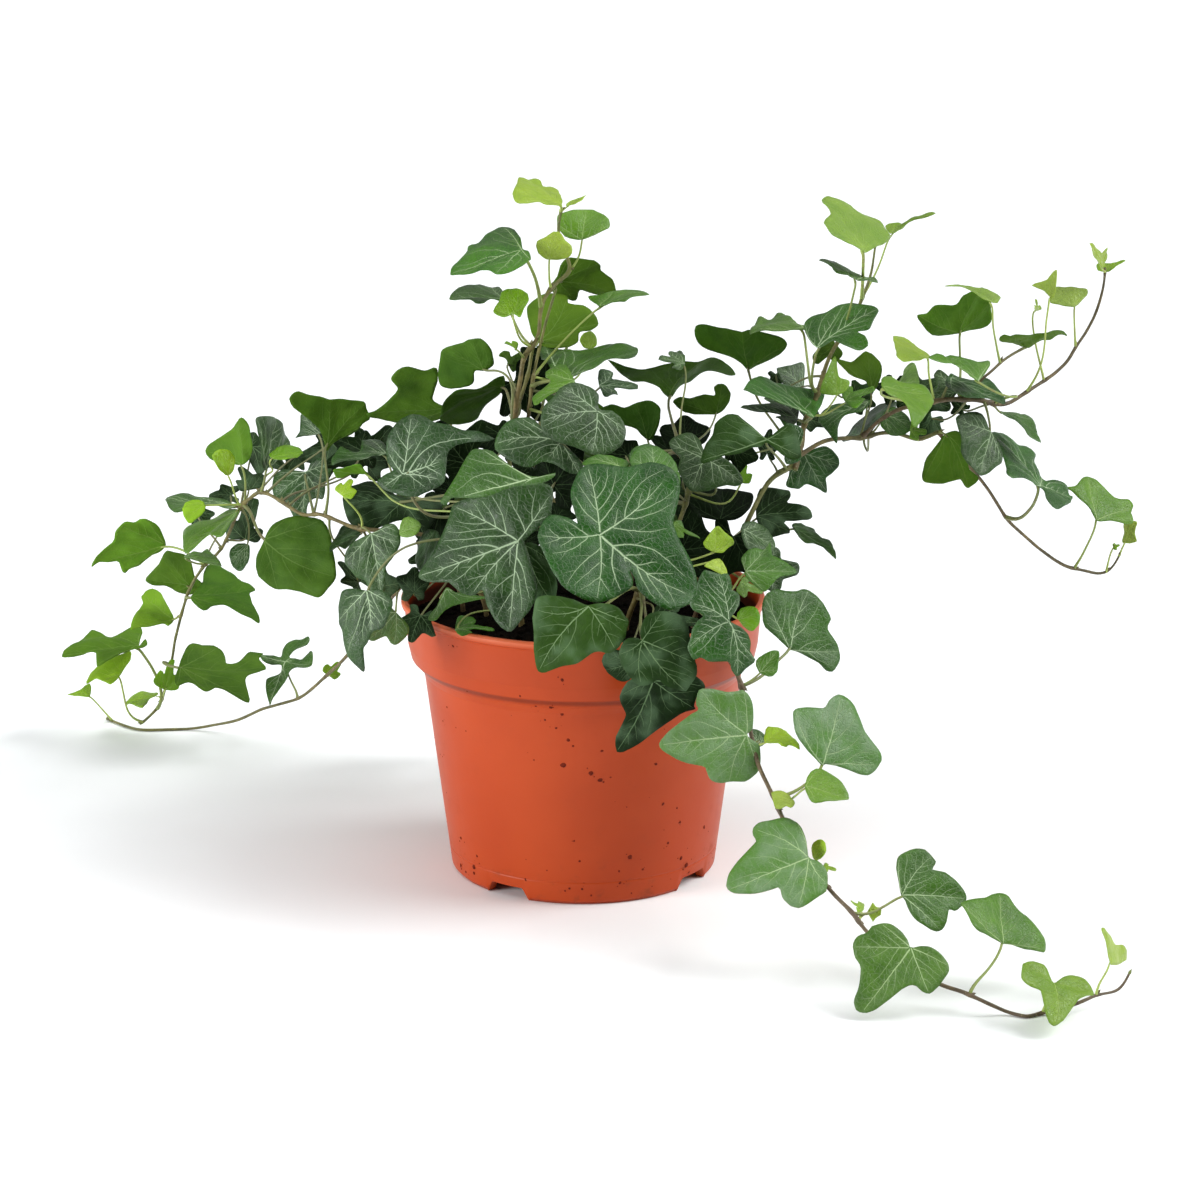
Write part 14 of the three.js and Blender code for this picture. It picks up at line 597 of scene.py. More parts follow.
def make_leaf_painted_shade(name="ivy_leaf_painted_shade", deeper=False):
    # a darker copy of the leaf colours: painted shade for leaves in shadow; deeper makes it darker still, painted shade
    # for the inside of the crown
    N = Nodes(name)
    m = vein_masks(N)
    tone = m["tone"]
    if deeper:
        base = N.ramp(tone, [(0.0, lin(13, 27, 8)), (0.2, lin(22, 41, 12)), (0.5, lin(48, 76, 24)), (1.0, lin(110, 146, 46))])
        deep = N.ramp(tone, [(0.0, lin(8, 18, 5)), (0.2, lin(15, 30, 8)), (0.5, lin(36, 60, 16)), (1.0, lin(94, 132, 36))])
        pale = N.ramp(tone, [(0.0, lin(52, 70, 44)), (0.4, lin(96, 122, 76)), (1.0, lin(160, 190, 100))])
    else:
        base = N.ramp(tone, [(0.0, lin(23, 44, 14)), (0.2, lin(38, 66, 20)), (0.5, lin(72, 106, 34)), (1.0, lin(120, 156, 50))])
        deep = N.ramp(tone, [(0.0, lin(14, 30, 8)), (0.2, lin(26, 50, 12)), (0.5, lin(54, 86, 24)), (1.0, lin(104, 144, 40))])
        pale = N.ramp(tone, [(0.0, lin(98, 124, 86)), (0.4, lin(132, 160, 110)), (1.0, lin(170, 198, 110))])
    col = N.mix(N.range(N.noise(m["pos"], 4.0, 3.0, 0.6), 0.3, 0.7), base, deep)
    # greyish patches: a painted sheen
    if not deeper:
        col = N.mix(N.range(N.noise(m["pos"], 5.0, 2.0, 0.5), 0.46, 0.66, 0.0, 0.38), col, (*lin(98, 126, 92), 1))
    lines = N.math("MAXIMUM", N.math("MULTIPLY", m["vein"], 0.85), N.math("MULTIPLY", m["side"], 0.4))
    lines = N.math("MAXIMUM", lines, N.math("MULTIPLY", m["fork"], 0.13))
    col = N.mix(lines, col, pale)
    N.put(N.bsdf.inputs["Base Color"], col)
    N.put(N.bsdf.inputs["Roughness"], N.math("MULTIPLY_ADD", N.noise(m["pos"], 40.0, 2.0), 0.2, 0.42))
    h = N.math("MULTIPLY", N.math("MAXIMUM", m["vein"], N.math("MULTIPLY", m["side"], 0.6)), -1.0)
    h = N.math("ADD", h, N.math("MULTIPLY", m["net"], -0.25))
    N.put(N.bsdf.inputs["Normal"], N.bump(h, 0.7, 0.0003))
    N.bsdf.inputs["IOR"].default_value = 1.4
    N.bsdf.inputs["Specular IOR Level"].default_value = 0.07 if deeper else 0.16
    return N.mat


def make_leaf_under():
    N = Nodes("ivy_leaf_under")
    m = vein_masks(N)
    base = N.ramp(m["tone"], [(0.0, lin(54, 86, 20)), (0.2, lin(68, 100, 22)), (0.42, lin(82, 118, 26)), (0.66, lin(104, 144, 32)), (1.0, lin(146, 180, 42))])
    deep = N.ramp(m["tone"], [(0.0, lin(40, 70, 12)), (0.2, lin(54, 86, 16)), (0.42, lin(68, 104, 18)), (0.66, lin(90, 130, 24)), (1.0, lin(130, 168, 32))])
    pale = N.ramp(m["tone"], [(0.0, lin(92, 120, 56)), (0.36, lin(112, 144, 66)), (1.0, lin(170, 194, 92))])
    col = N.mix(N.range(N.noise(m["pos"], 4.0, 3.0, 0.6), 0.3, 0.7), base, deep)
    hue = N.new("HueSaturation")
    N.put(hue.inputs["Hue"], N.math("MULTIPLY_ADD", m["rnd"], 0.02, 0.49))
    N.put(hue.inputs["Value"], N.math("MULTIPLY_ADD", N.math("FRACT", N.math("MULTIPLY", m["rnd"], 5.7)), 0.26, 1.04))
    N.put(hue.inputs["Color"], col)
    lines = N.math("MAXIMUM", N.math("MULTIPLY", m["vein"], 0.6), N.math("MULTIPLY", m["side"], 0.28))
    lines = N.math("MAXIMUM", lines, N.math("MULTIPLY", m["fork"], 0.12))
    lines = N.math("MAXIMUM", lines, N.math("MULTIPLY", m["net"], 0.06))
    col = N.mix(lines, hue.outputs[0], pale)
    N.put(N.bsdf.inputs["Base Color"], col)
    N.put(N.bsdf.inputs["Roughness"], N.math("MULTIPLY_ADD", N.noise(m["pos"], 30.0, 2.0), 0.15, 0.55))
    h = N.math("MAXIMUM", m["vein"], N.math("MULTIPLY", m["side"], 0.5))
    h = N.math("ADD", h, N.math("MULTIPLY", m["net"], 0.2))
    N.put(N.bsdf.inputs["Normal"], N.bump(h, 0.6, 0.0002))
    N.bsdf.inputs["IOR"].default_value = 1.4
    N.bsdf.inputs["Specular IOR Level"].default_value = 0.16
    return N.mat


def make_stalk():
    N = Nodes("ivy_leafstalk")
    tint, rnd, tone = N.uv("tint")
    coord = N.new("TexCoord")
    col = N.ramp(tone, [(0.0, lin(108, 112, 74)), (0.3, lin(118, 128, 72)), (0.6, lin(140, 160, 78)), (1.0, lin(170, 190, 96))])
    brown = N.ramp(tone, [(0.0, lin(96, 80, 60)), (1.0, lin(150, 150, 84))])
    n1 = N.noise(coord.outputs["Object"], 420.0, 3.0, 0.6)
    col = N.mix(N.math("MULTIPLY", N.range(n1, 0.42, 0.7), N.math("MULTIPLY_ADD", rnd, 0.7, 0.25)), col, brown)
    N.put(N.bsdf.inputs["Base Color"], col)
    N.put(N.bsdf.inputs["Roughness"], N.math("MULTIPLY_ADD", n1, 0.2, 0.42))
    N.put(N.bsdf.inputs["Normal"], N.bump(N.noise(coord.outputs["Object"], 1500.0, 2.0), 0.25, 0.0002))
    return N.mat


def make_stem():
    N = Nodes("ivy_stem")
    coord = N.new("TexCoord")
    tint, rnd, tone = N.uv("tint")       # tone: 0 old brown wood, 1 young green; rnd: 1 purplish
    obj = coord.outputs["Object"]
    n1 = N.noise(obj, 260.0, 4.0, 0.6)
    n2 = N.noise(obj, 1100.0, 3.0, 0.6)
    old = N.ramp(n1, [(0.25, lin(66, 48, 24)), (0.5, lin(104, 84, 44)), (0.75, lin(142, 120, 70))])
    young = N.ramp(n1, [(0.25, lin(84, 96, 44)), (0.55, lin(112, 124, 60)), (0.8, lin(136, 142, 82))])
    purple = N.ramp(n1, [(0.25, lin(58, 38, 36)), (0.55, lin(86, 62, 54)), (0.8, lin(120, 96, 76))])
    col = N.mix(tone, old, young)
    col = N.mix(rnd, col, purple)
    specks = N.range(n2, 0.58, 0.7)
    col = N.mix(N.math("MULTIPLY", specks, 0.5), col, (*lin(150, 140, 106), 1))
    N.put(N.bsdf.inputs["Base Color"], col)
    N.put(N.bsdf.inputs["Roughness"], N.math("MULTIPLY_ADD", n1, 0.3, 0.45))
    N.put(N.bsdf.inputs["Normal"], N.bump(N.math("ADD", n1, N.math("MULTIPLY", n2, 0.5)), 0.5, 0.0004))
    return N.mat


MAT_TOP, MAT_UNDER, MAT_STALK, MAT_STEM = make_leaf_top(), make_leaf_under(), make_stalk(), make_stem()
# darker copies of the leaf material are painted shade; the waxy copy is a painted sheen
MAT_PAINTED_SHADE = make_leaf_painted_shade()
MAT_PAINTED_SHEEN = make_leaf_top("ivy_leaf_painted_sheen", 0.21)
MAT_PAINTED_DEEP_SHADE = make_leaf_painted_shade("ivy_leaf_painted_deep_shade", True)

LEAF_MATS = [MAT_TOP, MAT_UNDER, MAT_STALK, MAT_PAINTED_SHADE, MAT_PAINTED_SHEEN, MAT_PAINTED_DEEP_SHADE]

# ---------------------------------------------------------------- leaves
def seg_dist(p, a, b):
    ab = b - a
    t = np.clip(((p - a) @ ab) / max(ab @ ab, 1e-9), 0, 1)
    return np.linalg.norm(p - a - t[:, None] * ab, axis=1)


def hash01(text):
    h = 2166136261
    for ch in text:
        h = ((h ^ ord(ch)) * 16777619) & 0xFFFFFFFF
    h ^= h >> 15
    h = (h * 2246822519) & 0xFFFFFFFF
    h ^= h >> 13
    return (h % 100003) / 100003.0


def in_poly(P, O):
    """Which points lie inside the closed outline."""
    a, b = O, np.roll(O, -1, 0)
    px, py = P[:, 0][:, None], P[:, 1][:, None]
    dy = b[:, 1] - a[:, 1]
    hit = ((a[:, 1] > py) != (b[:, 1] > py)) & (px < (b[:, 0] - a[:, 0]) * (py - a[:, 1]) / np.where(dy == 0, 1e-9, dy) + a[:, 0])
    return hit.sum(1) % 2 == 1


def edge_dist(P, O):
    a, ab = O, np.roll(O, -1, 0) - O
    t = np.clip(((P[:, None, :] - a[None]) * ab[None]).sum(-1) / np.maximum((ab * ab).sum(-1), 1e-9), 0, 1)
    return np.linalg.norm(P[:, None, :] - a[None] - t[..., None] * ab[None], axis=-1).min(1)


def grow_veins(O, T, key):
    """Vein segments of one blade in its plane: rows of ax, ay, bx, by, half width at a and b, start, end; by order."""
    g = np.random.default_rng(int(hash01(key + "vein") * 1e6))
    L = float(np.linalg.norm(T[0]))
    scale = max(0.19, min(0.56, 0.0115 * L + 0.07))
    rows = ([], [], [])
    taken = []

    def clear(p, parent, gap):
        if not taken:
            return True
        A = np.array([q[:2] for q in taken if q[2] != parent])
        return len(A) == 0 or float(np.min(np.hypot(A[:, 0] - p[0], A[:, 1] - p[1]))) > gap

    def put(order, pts, w0, w1, ident):
        n = len(pts) - 1
        for i in range(n):
            a, b = pts[i], pts[i + 1]
            rows[order].append((a[0], a[1], b[0], b[1], w0 + (w1 - w0) * i / n, w0 + (w1 - w0) * (i + 1) / n, 1.0 if i == 0 else 0.0, 1.0 if i == n - 1 else 0.0))
        for p in pts:
            taken.append((p[0], p[1], ident))

    def march(p, ang, step, most, bend, parent, gap, ident):
        pts = [np.array(p)]
        for k in range(most):
            q = pts[-1] + step * np.array([math.sin(ang), math.cos(ang)])
            if not in_poly(q[None], O)[0] or edge_dist(q[None], O)[0] < 0.035 * L:
                break
            if k > 0 and not clear(q, parent, gap if k > 1 else gap * 0.4):
                break
            pts.append(q)
            ang += bend + g.normal(0, 0.07)
        return pts, ang

    mains = []
    for i, tp in enumerate(T):
        ln = float(np.linalg.norm(tp))
        u = tp / ln
        nrm = np.array([u[1], -u[0]])
        bow = g.normal(0, 0.035) * ln
        n = max(4, int(ln / 3.0))
        pts = []
        for k in range(n + 1):
            x = k / n
            q = u * ln * 0.965 * x + nrm * bow * math.sin(math.pi * x)
            if k > 1 and not in_poly(q[None], O)[0]:
                break
            pts.append(q)
        w0 = scale * (0.84 if i == 0 else 0.74) * (0.6 + 0.4 * ln / L)
        put(0, pts, w0, w0 * 0.28, ("m", i))
        mains.append((np.array(pts), w0, ln, i))
    step = max(0.7, 0.035 * L)
    # side veins: pairs that leave at 35 to 55 degrees and bend forward
    starts = []
    for pts, w0, ln, i in mains:
        n = len(pts) - 1
        count = max(3, int(round(5.2 * (ln / L) * min(1.0, 0.55 + L / 60))))
        for side in (1, -1):
            off = g.uniform(0.0, 0.06)
            for k in range(count):
                x = 0.16 + off + 0.72 * k / count + g.normal(0, 0.012)
                if 0.08 < x < 0.93:
                    starts.append((x, side, i))
    starts.sort()
    sides = []
    for x, side, i in starts:
        pts, w0, ln, _ = mains[i]
        n = len(pts) - 1
        f = x * n
        j = min(n - 1, int(f))
        p = pts[j] + (pts[j + 1] - pts[j]) * (f - j)
        d = pts[j + 1] - pts[j]
        ang = math.atan2(d[0], d[1]) + side * g.uniform(0.62, 0.92) * (1.08 - 0.25 * x)
        q, end = march(p, ang, step, 22, -side * 0.035, ("m", i), 0.055 * L, None)
        if len(q) >= 3:
            ident = ("s", len(sides))
            w = max(0.13, w0 * (0.80 - 0.38 * x))
            put(1, q, w, w * 0.3, ident)
            sides.append((np.array(q), w, side, ident))
    # forks of the side veins
    for q, w, side, ident in sides:
        m = len(q) - 1
        for x, sgn, most in ((0.30, 1, 7), (0.52, -1, 6), (0.72, 1, 4)):
            if m < 5 and x != 0.52:
                continue
            j = min(m - 1, max(1, int(x * m)))
            d = q[j + 1] - q[j]
            ang = math.atan2(d[0], d[1]) + sgn * side * g.uniform(0.6, 0.95)
            r, _ = march(q[j], ang, step * 0.9, most, -sgn * side * 0.04, ident, 0.036 * L, None)
            if len(r) >= 3:
                put(2, r, max(0.08, w * 0.62), 0.05, ("f", len(taken)))
    return [np.array(r, float).reshape(-1, 8) for r in rows], L


def vein_corners(cen, pts, seg, L):
    """For each face, its nearest vein of one order; for each of its corners the half width there and the signed distance."""
    nf, nc = pts.shape[0], pts.shape[1]
    if len(seg) == 0:
        out = np.zeros((nf, nc, 2))
        out[..., 1] = 5.0
        return out, np.full(nf, 9.0)
    A, Bv = seg[:, :2], seg[:, 2:4]
    ab = Bv - A
    l2 = np.maximum((ab * ab).sum(1), 1e-9)
    t = np.clip(((cen[:, None, :] - A[None]) * ab[None]).sum(-1) / l2, 0, 1)
    d = np.linalg.norm(cen[:, None, :] - A[None] - t[..., None] * ab[None], axis=-1)
    k = d.argmin(1)
    a, v, q = A[k], ab[k], l2[k]
    ln = np.sqrt(q)
    rel = pts - a[:, None, :]
    s = (rel * v[:, None, :]).sum(-1) / q[:, None]
    dist = (rel[..., 0] * v[:, None, 1] - rel[..., 1] * v[:, None, 0]) / ln[:, None]
    w = seg[k, 4][:, None] + (seg[k, 5] - seg[k, 4])[:, None] * np.clip(s, -0.5, 1.5)
    first, final = seg[k, 6][:, None] > 0.5, seg[k, 7][:, None] > 0.5
    w = np.where(first & (s < 0), w + s * ln[:, None] * 0.45, w)
    w = np.where(final & (s > 1), w - (s - 1) * ln[:, None] * 0.35, w)
    return np.stack([w, dist], -1), d.min(1)


def add_leaf(soup, row):
    key, piece, vine, own, age, side, B, Nn, E2, outline, tips, stalk, rp = row
    B, Nn, E2 = np.array(B, float), unit(np.array(Nn, float)), np.array(E2, float)
    E2 = unit(E2 - (E2 @ Nn) * Nn)
    E1 = np.cross(E2, Nn)
    O = np.array(outline, float).reshape(-1, 2)
    T = np.array(tips, float).reshape(-1, 2)
    L = float(np.linalg.norm(T[0]))
    r1, r2, r3, r4 = (hash01(key + s) for s in "abcd")
    rnd = r1
    size = math.sqrt(abs(0.5 * np.sum(O[:, 0] * np.roll(O[:, 1], -1) - O[:, 1] * np.roll(O[:, 0], -1))))
    step = min(1.25, max(0.5, size / 19))
    # margin
    ring = resample(np.vstack([O, O[:1]]), step)[:-1]
    area = 0.5 * np.sum(ring[:, 0] * np.roll(ring[:, 1], -1) - ring[:, 1] * np.roll(ring[:, 0], -1))
    if area < 0:
        ring = ring[::-1]
    n = len(ring)
    lo, hi = ring.min(0), ring.max(0)
    gx = np.arange(lo[0], hi[0], step)
    gy = np.arange(lo[1], hi[1], step * 0.866)
    X, Y = np.meshgrid(gx, gy)
    X = X + (np.arange(len(gy)) % 2)[:, None] * step * 0.5
    G = np.stack([X.ravel(), Y.ravel()], 1)
    G = G[in_poly(G, ring)]
    if len(G):
        G = G[edge_dist(G, ring) > step * 0.55]
    pts = [Vector(p) for p in np.vstack([ring, G])]
    edges = [(i, (i + 1) % n) for i in range(n)]
    vs, es, fs, ov, oe, of_ = geometry.delaunay_2d_cdt(pts, edges, [], 1, 1e-4)
    P = np.array([tuple(v) for v in vs])
    tri_a = np.array([tuple(f) for f in fs])
    on_rim = np.array([any(j < n for j in o) for o in ov])
    c = P[tri_a]
    sgn = (c[:, 1, 0] - c[:, 0, 0]) * (c[:, 2, 1] - c[:, 0, 1]) - (c[:, 1, 1] - c[:, 0, 1]) * (c[:, 2, 0] - c[:, 0, 0])
    tri_a[sgn < 0] = tri_a[sgn < 0][:, ::-1]
    tri_a = tri_a[np.abs(sgn) > 1e-6]
    # rim edges: those of one triangle only
    count = {}
    for f in tri_a.tolist():
        for u, w in ((f[0], f[1]), (f[1], f[2]), (f[2], f[0])):
            k = (min(u, w), max(u, w))
            count.setdefault(k, []).append((u, w))
    rim = [e[0] for e in count.values() if len(e) == 1]
    veins, L = grow_veins(O, T, key)
    one = P[:, None, :]
    dmain = vein_corners(P, one, veins[0], L)[1]
    dside = vein_corners(P, one, veins[1], L)[1]
    r = np.linalg.norm(P, axis=1)
    rr = r / L
    big = min(1.0, L / 30.0)
    quilt = (1 - np.exp(-((dmain / (0.10 * L)) ** 2))) * L * 0.034
    pucker = (1 - np.exp(-((dside / (0.035 * L)) ** 2))) * L * 0.0085 * big
    droop = -(0.03 + 0.06 * r2) * L * np.clip(rr, 0, 1.2) ** 2.2
    mid = unit(T[0])
    dm = P[:, 0] * mid[1] - P[:, 1] * mid[0]
    fold = (0.00 + 0.12 * r3) * np.abs(dm) * np.clip(rr, 0, 1)
    wave = np.array([noise.noise(Vector((p[0] / L * 2.1 + r1 * 50, p[1] / L * 2.1, r4 * 20))) for p in P]) * L * 0.07 * np.clip(rr * 1.4, 0, 1)
    fine = np.array([noise.noise(Vector((p[0] / L * 6.0 + r2 * 50, p[1] / L * 6.0, r3 * 20))) for p in P]) * L * 0.012
    curl = -np.exp(-((edge_dist(P, ring) / (0.035 * L)) ** 2)) * L * 0.012
    h = quilt + pucker + droop + fold + wave + fine + curl
    h -= h[np.argmin(r)]
    h = np.where(h > 0, 2.6 * np.tanh(h / 2.6), 2.6 * np.tanh(h / 2.6))
    P3 = B + P[:, :1] * E1 + P[:, 1:] * E2 + h[:, None] * Nn
    half = np.where(on_rim, 0.05, 0.14)
    top, bot = P3 + half[:, None] * Nn, P3 - half[:, None] * Nn
    k = len(P)
    faces = [tuple(f) for f in tri_a.tolist()] + [tuple(f) for f in (tri_a[:, ::-1] + k).tolist()] + [(v, u, u + k, v + k) for u, v in rim]
    # D and I leaves take the painted-shade materials, W leaves the painted-sheen one
    upper, lower = {"P": (1, 1), "D": (3, 3), "W": (4, 1), "I": (5, 5)}.get(side, (0, 1))
    mats = [upper] * len(tri_a) + [lower] * len(tri_a) + [upper] * len(rim)
    # corner maps: upper faces, then lower faces (reversed), then the rim
    cen = P[tri_a].mean(1)
    corner = P[tri_a]
    lf = np.concatenate([corner, corner[:, ::-1]]).reshape(-1, 2) / 50 + 0.5
    rim_n = 4 * len(rim)
    lf = np.vstack([lf, np.full((rim_n, 2), 0.5)])
    maps = []
    for seg in veins:
        q = vein_corners(cen, corner, seg, L)[0]
        maps.append(np.vstack([q.reshape(-1, 2), q[:, ::-1].reshape(-1, 2), np.tile((0.0, 5.0), (rim_n, 1))]))
    tone = max(0.0, min(1.0, age / 3.0 + (r4 - 0.5) * 0.06))
    soup.add(np.vstack([top, bot]), faces, mats, lf, maps[0], (rnd, tone), maps[1], maps[2])
    # leafstalk
    S = np.array(stalk, float).reshape(-1, 3)
    S = np.vstack([B + E2 * min(2.0, 0.07 * L) - Nn * 0.25, B - Nn * 0.2, S[1:]]) if len(S) > 1 else S
    S = smooth_line(S, 1.6)
    s = np.linspace(0, 1, len(S))
    R = rp * (0.62 + 0.35 * s ** 4 + 0.22 * np.exp(-((s / 0.05) ** 2)))
    R[0] *= 0.45
    V, F, UV = tube(S, R, 8)
    soup.add(V, F, 2, UV / 10, None, (r3, min(1.0, age / 3.0 + 0.1 * r2)))
    return S


# ---------------------------------------------------------------- build vines
PURPLE = {"G": 0.75, "H": 0.7, "F": 0.85, "Gs": 0.5, "E": 0.35, "K2": 0.5, "A": 0.25, "L": 0.4, "D": 0.2, "R": 0.2}
vines = {}
for key, vine, flat in STEMS:
    vines.setdefault(vine, []).append((key, np.array(flat, float).reshape(-1, 4)))
attach = {}
for row in LEAVES:
    S = np.array(row[11], float).reshape(-1, 3)
    attach.setdefault(row[2], []).append((S[-1], S[-2] - S[-1], row[4], row[0]))

for vine, parts in vines.items():
    soup = Soup()
    for key, P in parts:
        if P[0, 2] <= 71:
            P = np.vstack([[P[1, 0], P[1, 1], 79.0, P[1, 3]], P[1:]])
        Q = smooth_line(P, 1.2)
        s = np.r_[0, np.cumsum(np.linalg.norm(np.diff(Q[:, :3], axis=0), axis=1))]
        R = Q[:, 3] * 0.88
        jit = np.array([noise.noise(Vector((q[0] / 5, q[1] / 5, q[2] / 5))) for q in Q])
        R *= 1 + 0.10 * jit
        # thicker at the nodes where leaves are attached, with a bud in each axil
        for A, away, age, name in attach.get(vine, []):
            d = np.linalg.norm(Q[:, :3] - A, axis=1)
            i = int(d.argmin())
            if d[i] > 2.2:
                continue
            R = R * (1 + 0.22 * np.exp(-(((s - s[i]) / 1.3) ** 2)))
            T = unit(Q[min(len(Q) - 1, i + 1), :3] - Q[max(0, i - 1), :3])
            w = unit(away)
            side = unit(w - (w @ T) * T + 1e-6)
            ax = unit(side * 0.7 + T * 0.8)
            V, F, UV = blob(A + side * R[i] * 0.55 + T * 0.5, ax, 1.3 + 0.7 * hash01(name + "bud"), 0.46)
            soup.add(V, F, 0, UV / 10, None, (PURPLE.get(key, 0.1) * 0.6 + 0.2 * hash01(name), 0.55))
        R = np.minimum(R, Q[:, 3] * 1.5)
        u = s / max(s[-1], 1)
        V, F, UV = tube(Q[:, :3], R, 10, cap_end=True)
        tone = float(np.clip(0.55 - 0.25 * (Q[0, 3] - 1.0), 0, 1))
        idx = np.array([f[0] // 10 for f in F if len(f) == 4])
        tint = []
        for f in F:
            g = min(len(u) - 1, f[0] // 10)
            v = PURPLE.get(key, 0.1)
            tint += [(v * (0.7 + 0.3 * u[g]), min(1.0, 0.15 + 0.75 * u[g] ** 1.3))] * len(f)
        soup.add(V, F, 0, UV / 10, None, np.array(tint))
        # growing tip
        T = unit(Q[-1, :3] - Q[-3, :3])
        V, F, UV = blob(Q[-1, :3] - T * 0.4, T, 2.2, 0.55, sides=8)
        soup.add(V, F, 0, UV / 10, None, (0.05, 1.0))
    soup.build("ivy_" + vine, [MAT_STEM], replaces=(vine,))
    # the small leaves that belong to this vine
    small = [r for r in LEAVES if r[2] == vine and not r[3]]
    if small:
        soup = Soup()
        for row in small:
            add_leaf(soup, row)
        soup.build("ivy_leaflets_" + vine[5:], LEAF_MATS)

for row in LEAVES:
    if row[3]:
        soup = Soup()
        add_leaf(soup, row)
        soup.build("ivy_" + row[1], LEAF_MATS, replaces=(row[1],))

# ---------------------------------------------------------------- pot
H, LIP = 93.0, 60.0
SLOTS = [math.radians(-124.5 + 90 * i) for i in range(4)]


def slot_height(theta):
    """How far the foot is cut away at this angle."""
    out = 0.0
    for s in SLOTS:
        d = abs((theta - s + math.pi) % (2 * math.pi) - math.pi) * 43.5
        out = max(out, 4.2 * float(smoothstep(8.6, 5.6, np.array(d))))
    return out


def pot_material():
    N = Nodes("moulded_pot")
    coord = N.new("TexCoord")
    obj = coord.outputs["Object"]
    sep = N.new("SeparateXYZ")
    N.put(sep.inputs[0], obj)
    z = sep.outputs[2]
    base = (*lin(179, 67, 22), 1)
    warm = (*lin(171, 61, 18), 1)
    n1 = N.noise(obj, 22.0, 3.0, 0.5)
    col = N.mix(N.range(n1, 0.35, 0.65), base, warm)
    # the top of the lip is painted a little lighter, a painted highlight
    lip_painted_highlight = N.range(z, 0.0905, 0.0925)
    col = N.mix(N.math("MULTIPLY", lip_painted_highlight, 0.5), col, (*lin(226, 124, 86), 1))
    # a darker line in the crease under the lip, painted shade
    crease_painted_shade = N.math("MULTIPLY", N.range(z, 0.0704, 0.0721), N.range(z, 0.0727, 0.0737, 1.0, 0.0))
    col = N.mix(N.math("MULTIPLY", crease_painted_shade, 0.7), col, (*lin(104, 34, 13), 1))
    # fine dry soil film, faint all over and heavier near the foot
    dirt = N.noise(obj, 160.0, 4.0, 0.65)
    foot = N.range(z, 0.002, 0.020, 1.0, 0.0)
    film = N.math("MULTIPLY", N.range(dirt, 0.54, 0.74), N.math("MULTIPLY_ADD", foot, 0.35, 0.05))
    col = N.mix(film, col, (*lin(96, 52, 32), 1))
    # the inner wall is painted darker up to a little below the lip, painted shade of the shaded inside of the pot
    geo = N.new("NewGeometry")
    sg = N.new("SeparateXYZ")
    N.put(sg.inputs[0], geo.outputs["Normal"])
    inward = N.math("ADD", N.math("MULTIPLY", sg.outputs[0], sep.outputs[0]), N.math("MULTIPLY", sg.outputs[1], sep.outputs[1]))
    inner_wall_painted_shade = N.math("MULTIPLY", N.range(inward, -0.02, -0.03), N.range(z, 0.0865, 0.0905, 1.0, 0.0))
    col = N.mix(N.math("MULTIPLY", inner_wall_painted_shade, 0.93), col, (*lin(34, 17, 12), 1))
    N.put(N.bsdf.inputs["Base Color"], col)
    rough = N.math("MULTIPLY_ADD", N.noise(obj, 90.0, 3.0, 0.6), 0.12, 0.34)
    N.put(N.bsdf.inputs["Roughness"], N.math("ADD", rough, N.math("MULTIPLY", film, 0.5)))
    # faint vertical moulding ripple, orange-peel
    sc = N.new("Mapping")
    N.put(sc.inputs["Vector"], obj)
    sc.inputs["Scale"].default_value = (1, 1, 0.06)
    ripple = N.noise(sc.outputs[0], 70.0, 2.0, 0.5)
    peel = N.noise(obj, 650.0, 2.0, 0.5)
    h = N.math("ADD", N.math("MULTIPLY", ripple, 1.0), N.math("MULTIPLY", peel, 0.12))
    N.put(N.bsdf.inputs["Normal"], N.bump(h, 0.22, 0.0006))
    N.bsdf.inputs["IOR"].default_value = 1.49
    N.bsdf.inputs["Specular IOR Level"].default_value = 0.24
    N.bsdf.inputs["Subsurface Weight"].default_value = 0.04
    N.bsdf.inputs["Subsurface Radius"].default_value = (0.004, 0.0012, 0.0005)
    N.bsdf.inputs["Subsurface Scale"].default_value = 0.5
    return N.mat


def fillet(profile, radii, steps=4):
    """Rounds the corners of an open profile."""
    P = [np.array(p, float) for p in profile]
    out = [P[0]]
    for i in range(1, len(P) - 1):
        r = radii.get(i, 0)
        if not r:
            out.append(P[i])
            continue
        a, b = P[i - 1] - P[i], P[i + 1] - P[i]
        la, lb = np.linalg.norm(a), np.linalg.norm(b)
        ca = np.clip((a @ b) / (la * lb), -1, 1)
        half = math.acos(ca) / 2
        d = min(r / math.tan(half), 0.48 * la, 0.48 * lb)
        p0, p1 = P[i] + a / la * d, P[i] + b / lb * d
        for k in range(steps + 1):
            t = k / steps
            out.append((1 - t) ** 2 * p0 + 2 * t * (1 - t) * P[i] + t * t * p1)
    out.append(P[-1])
    return np.array(out)


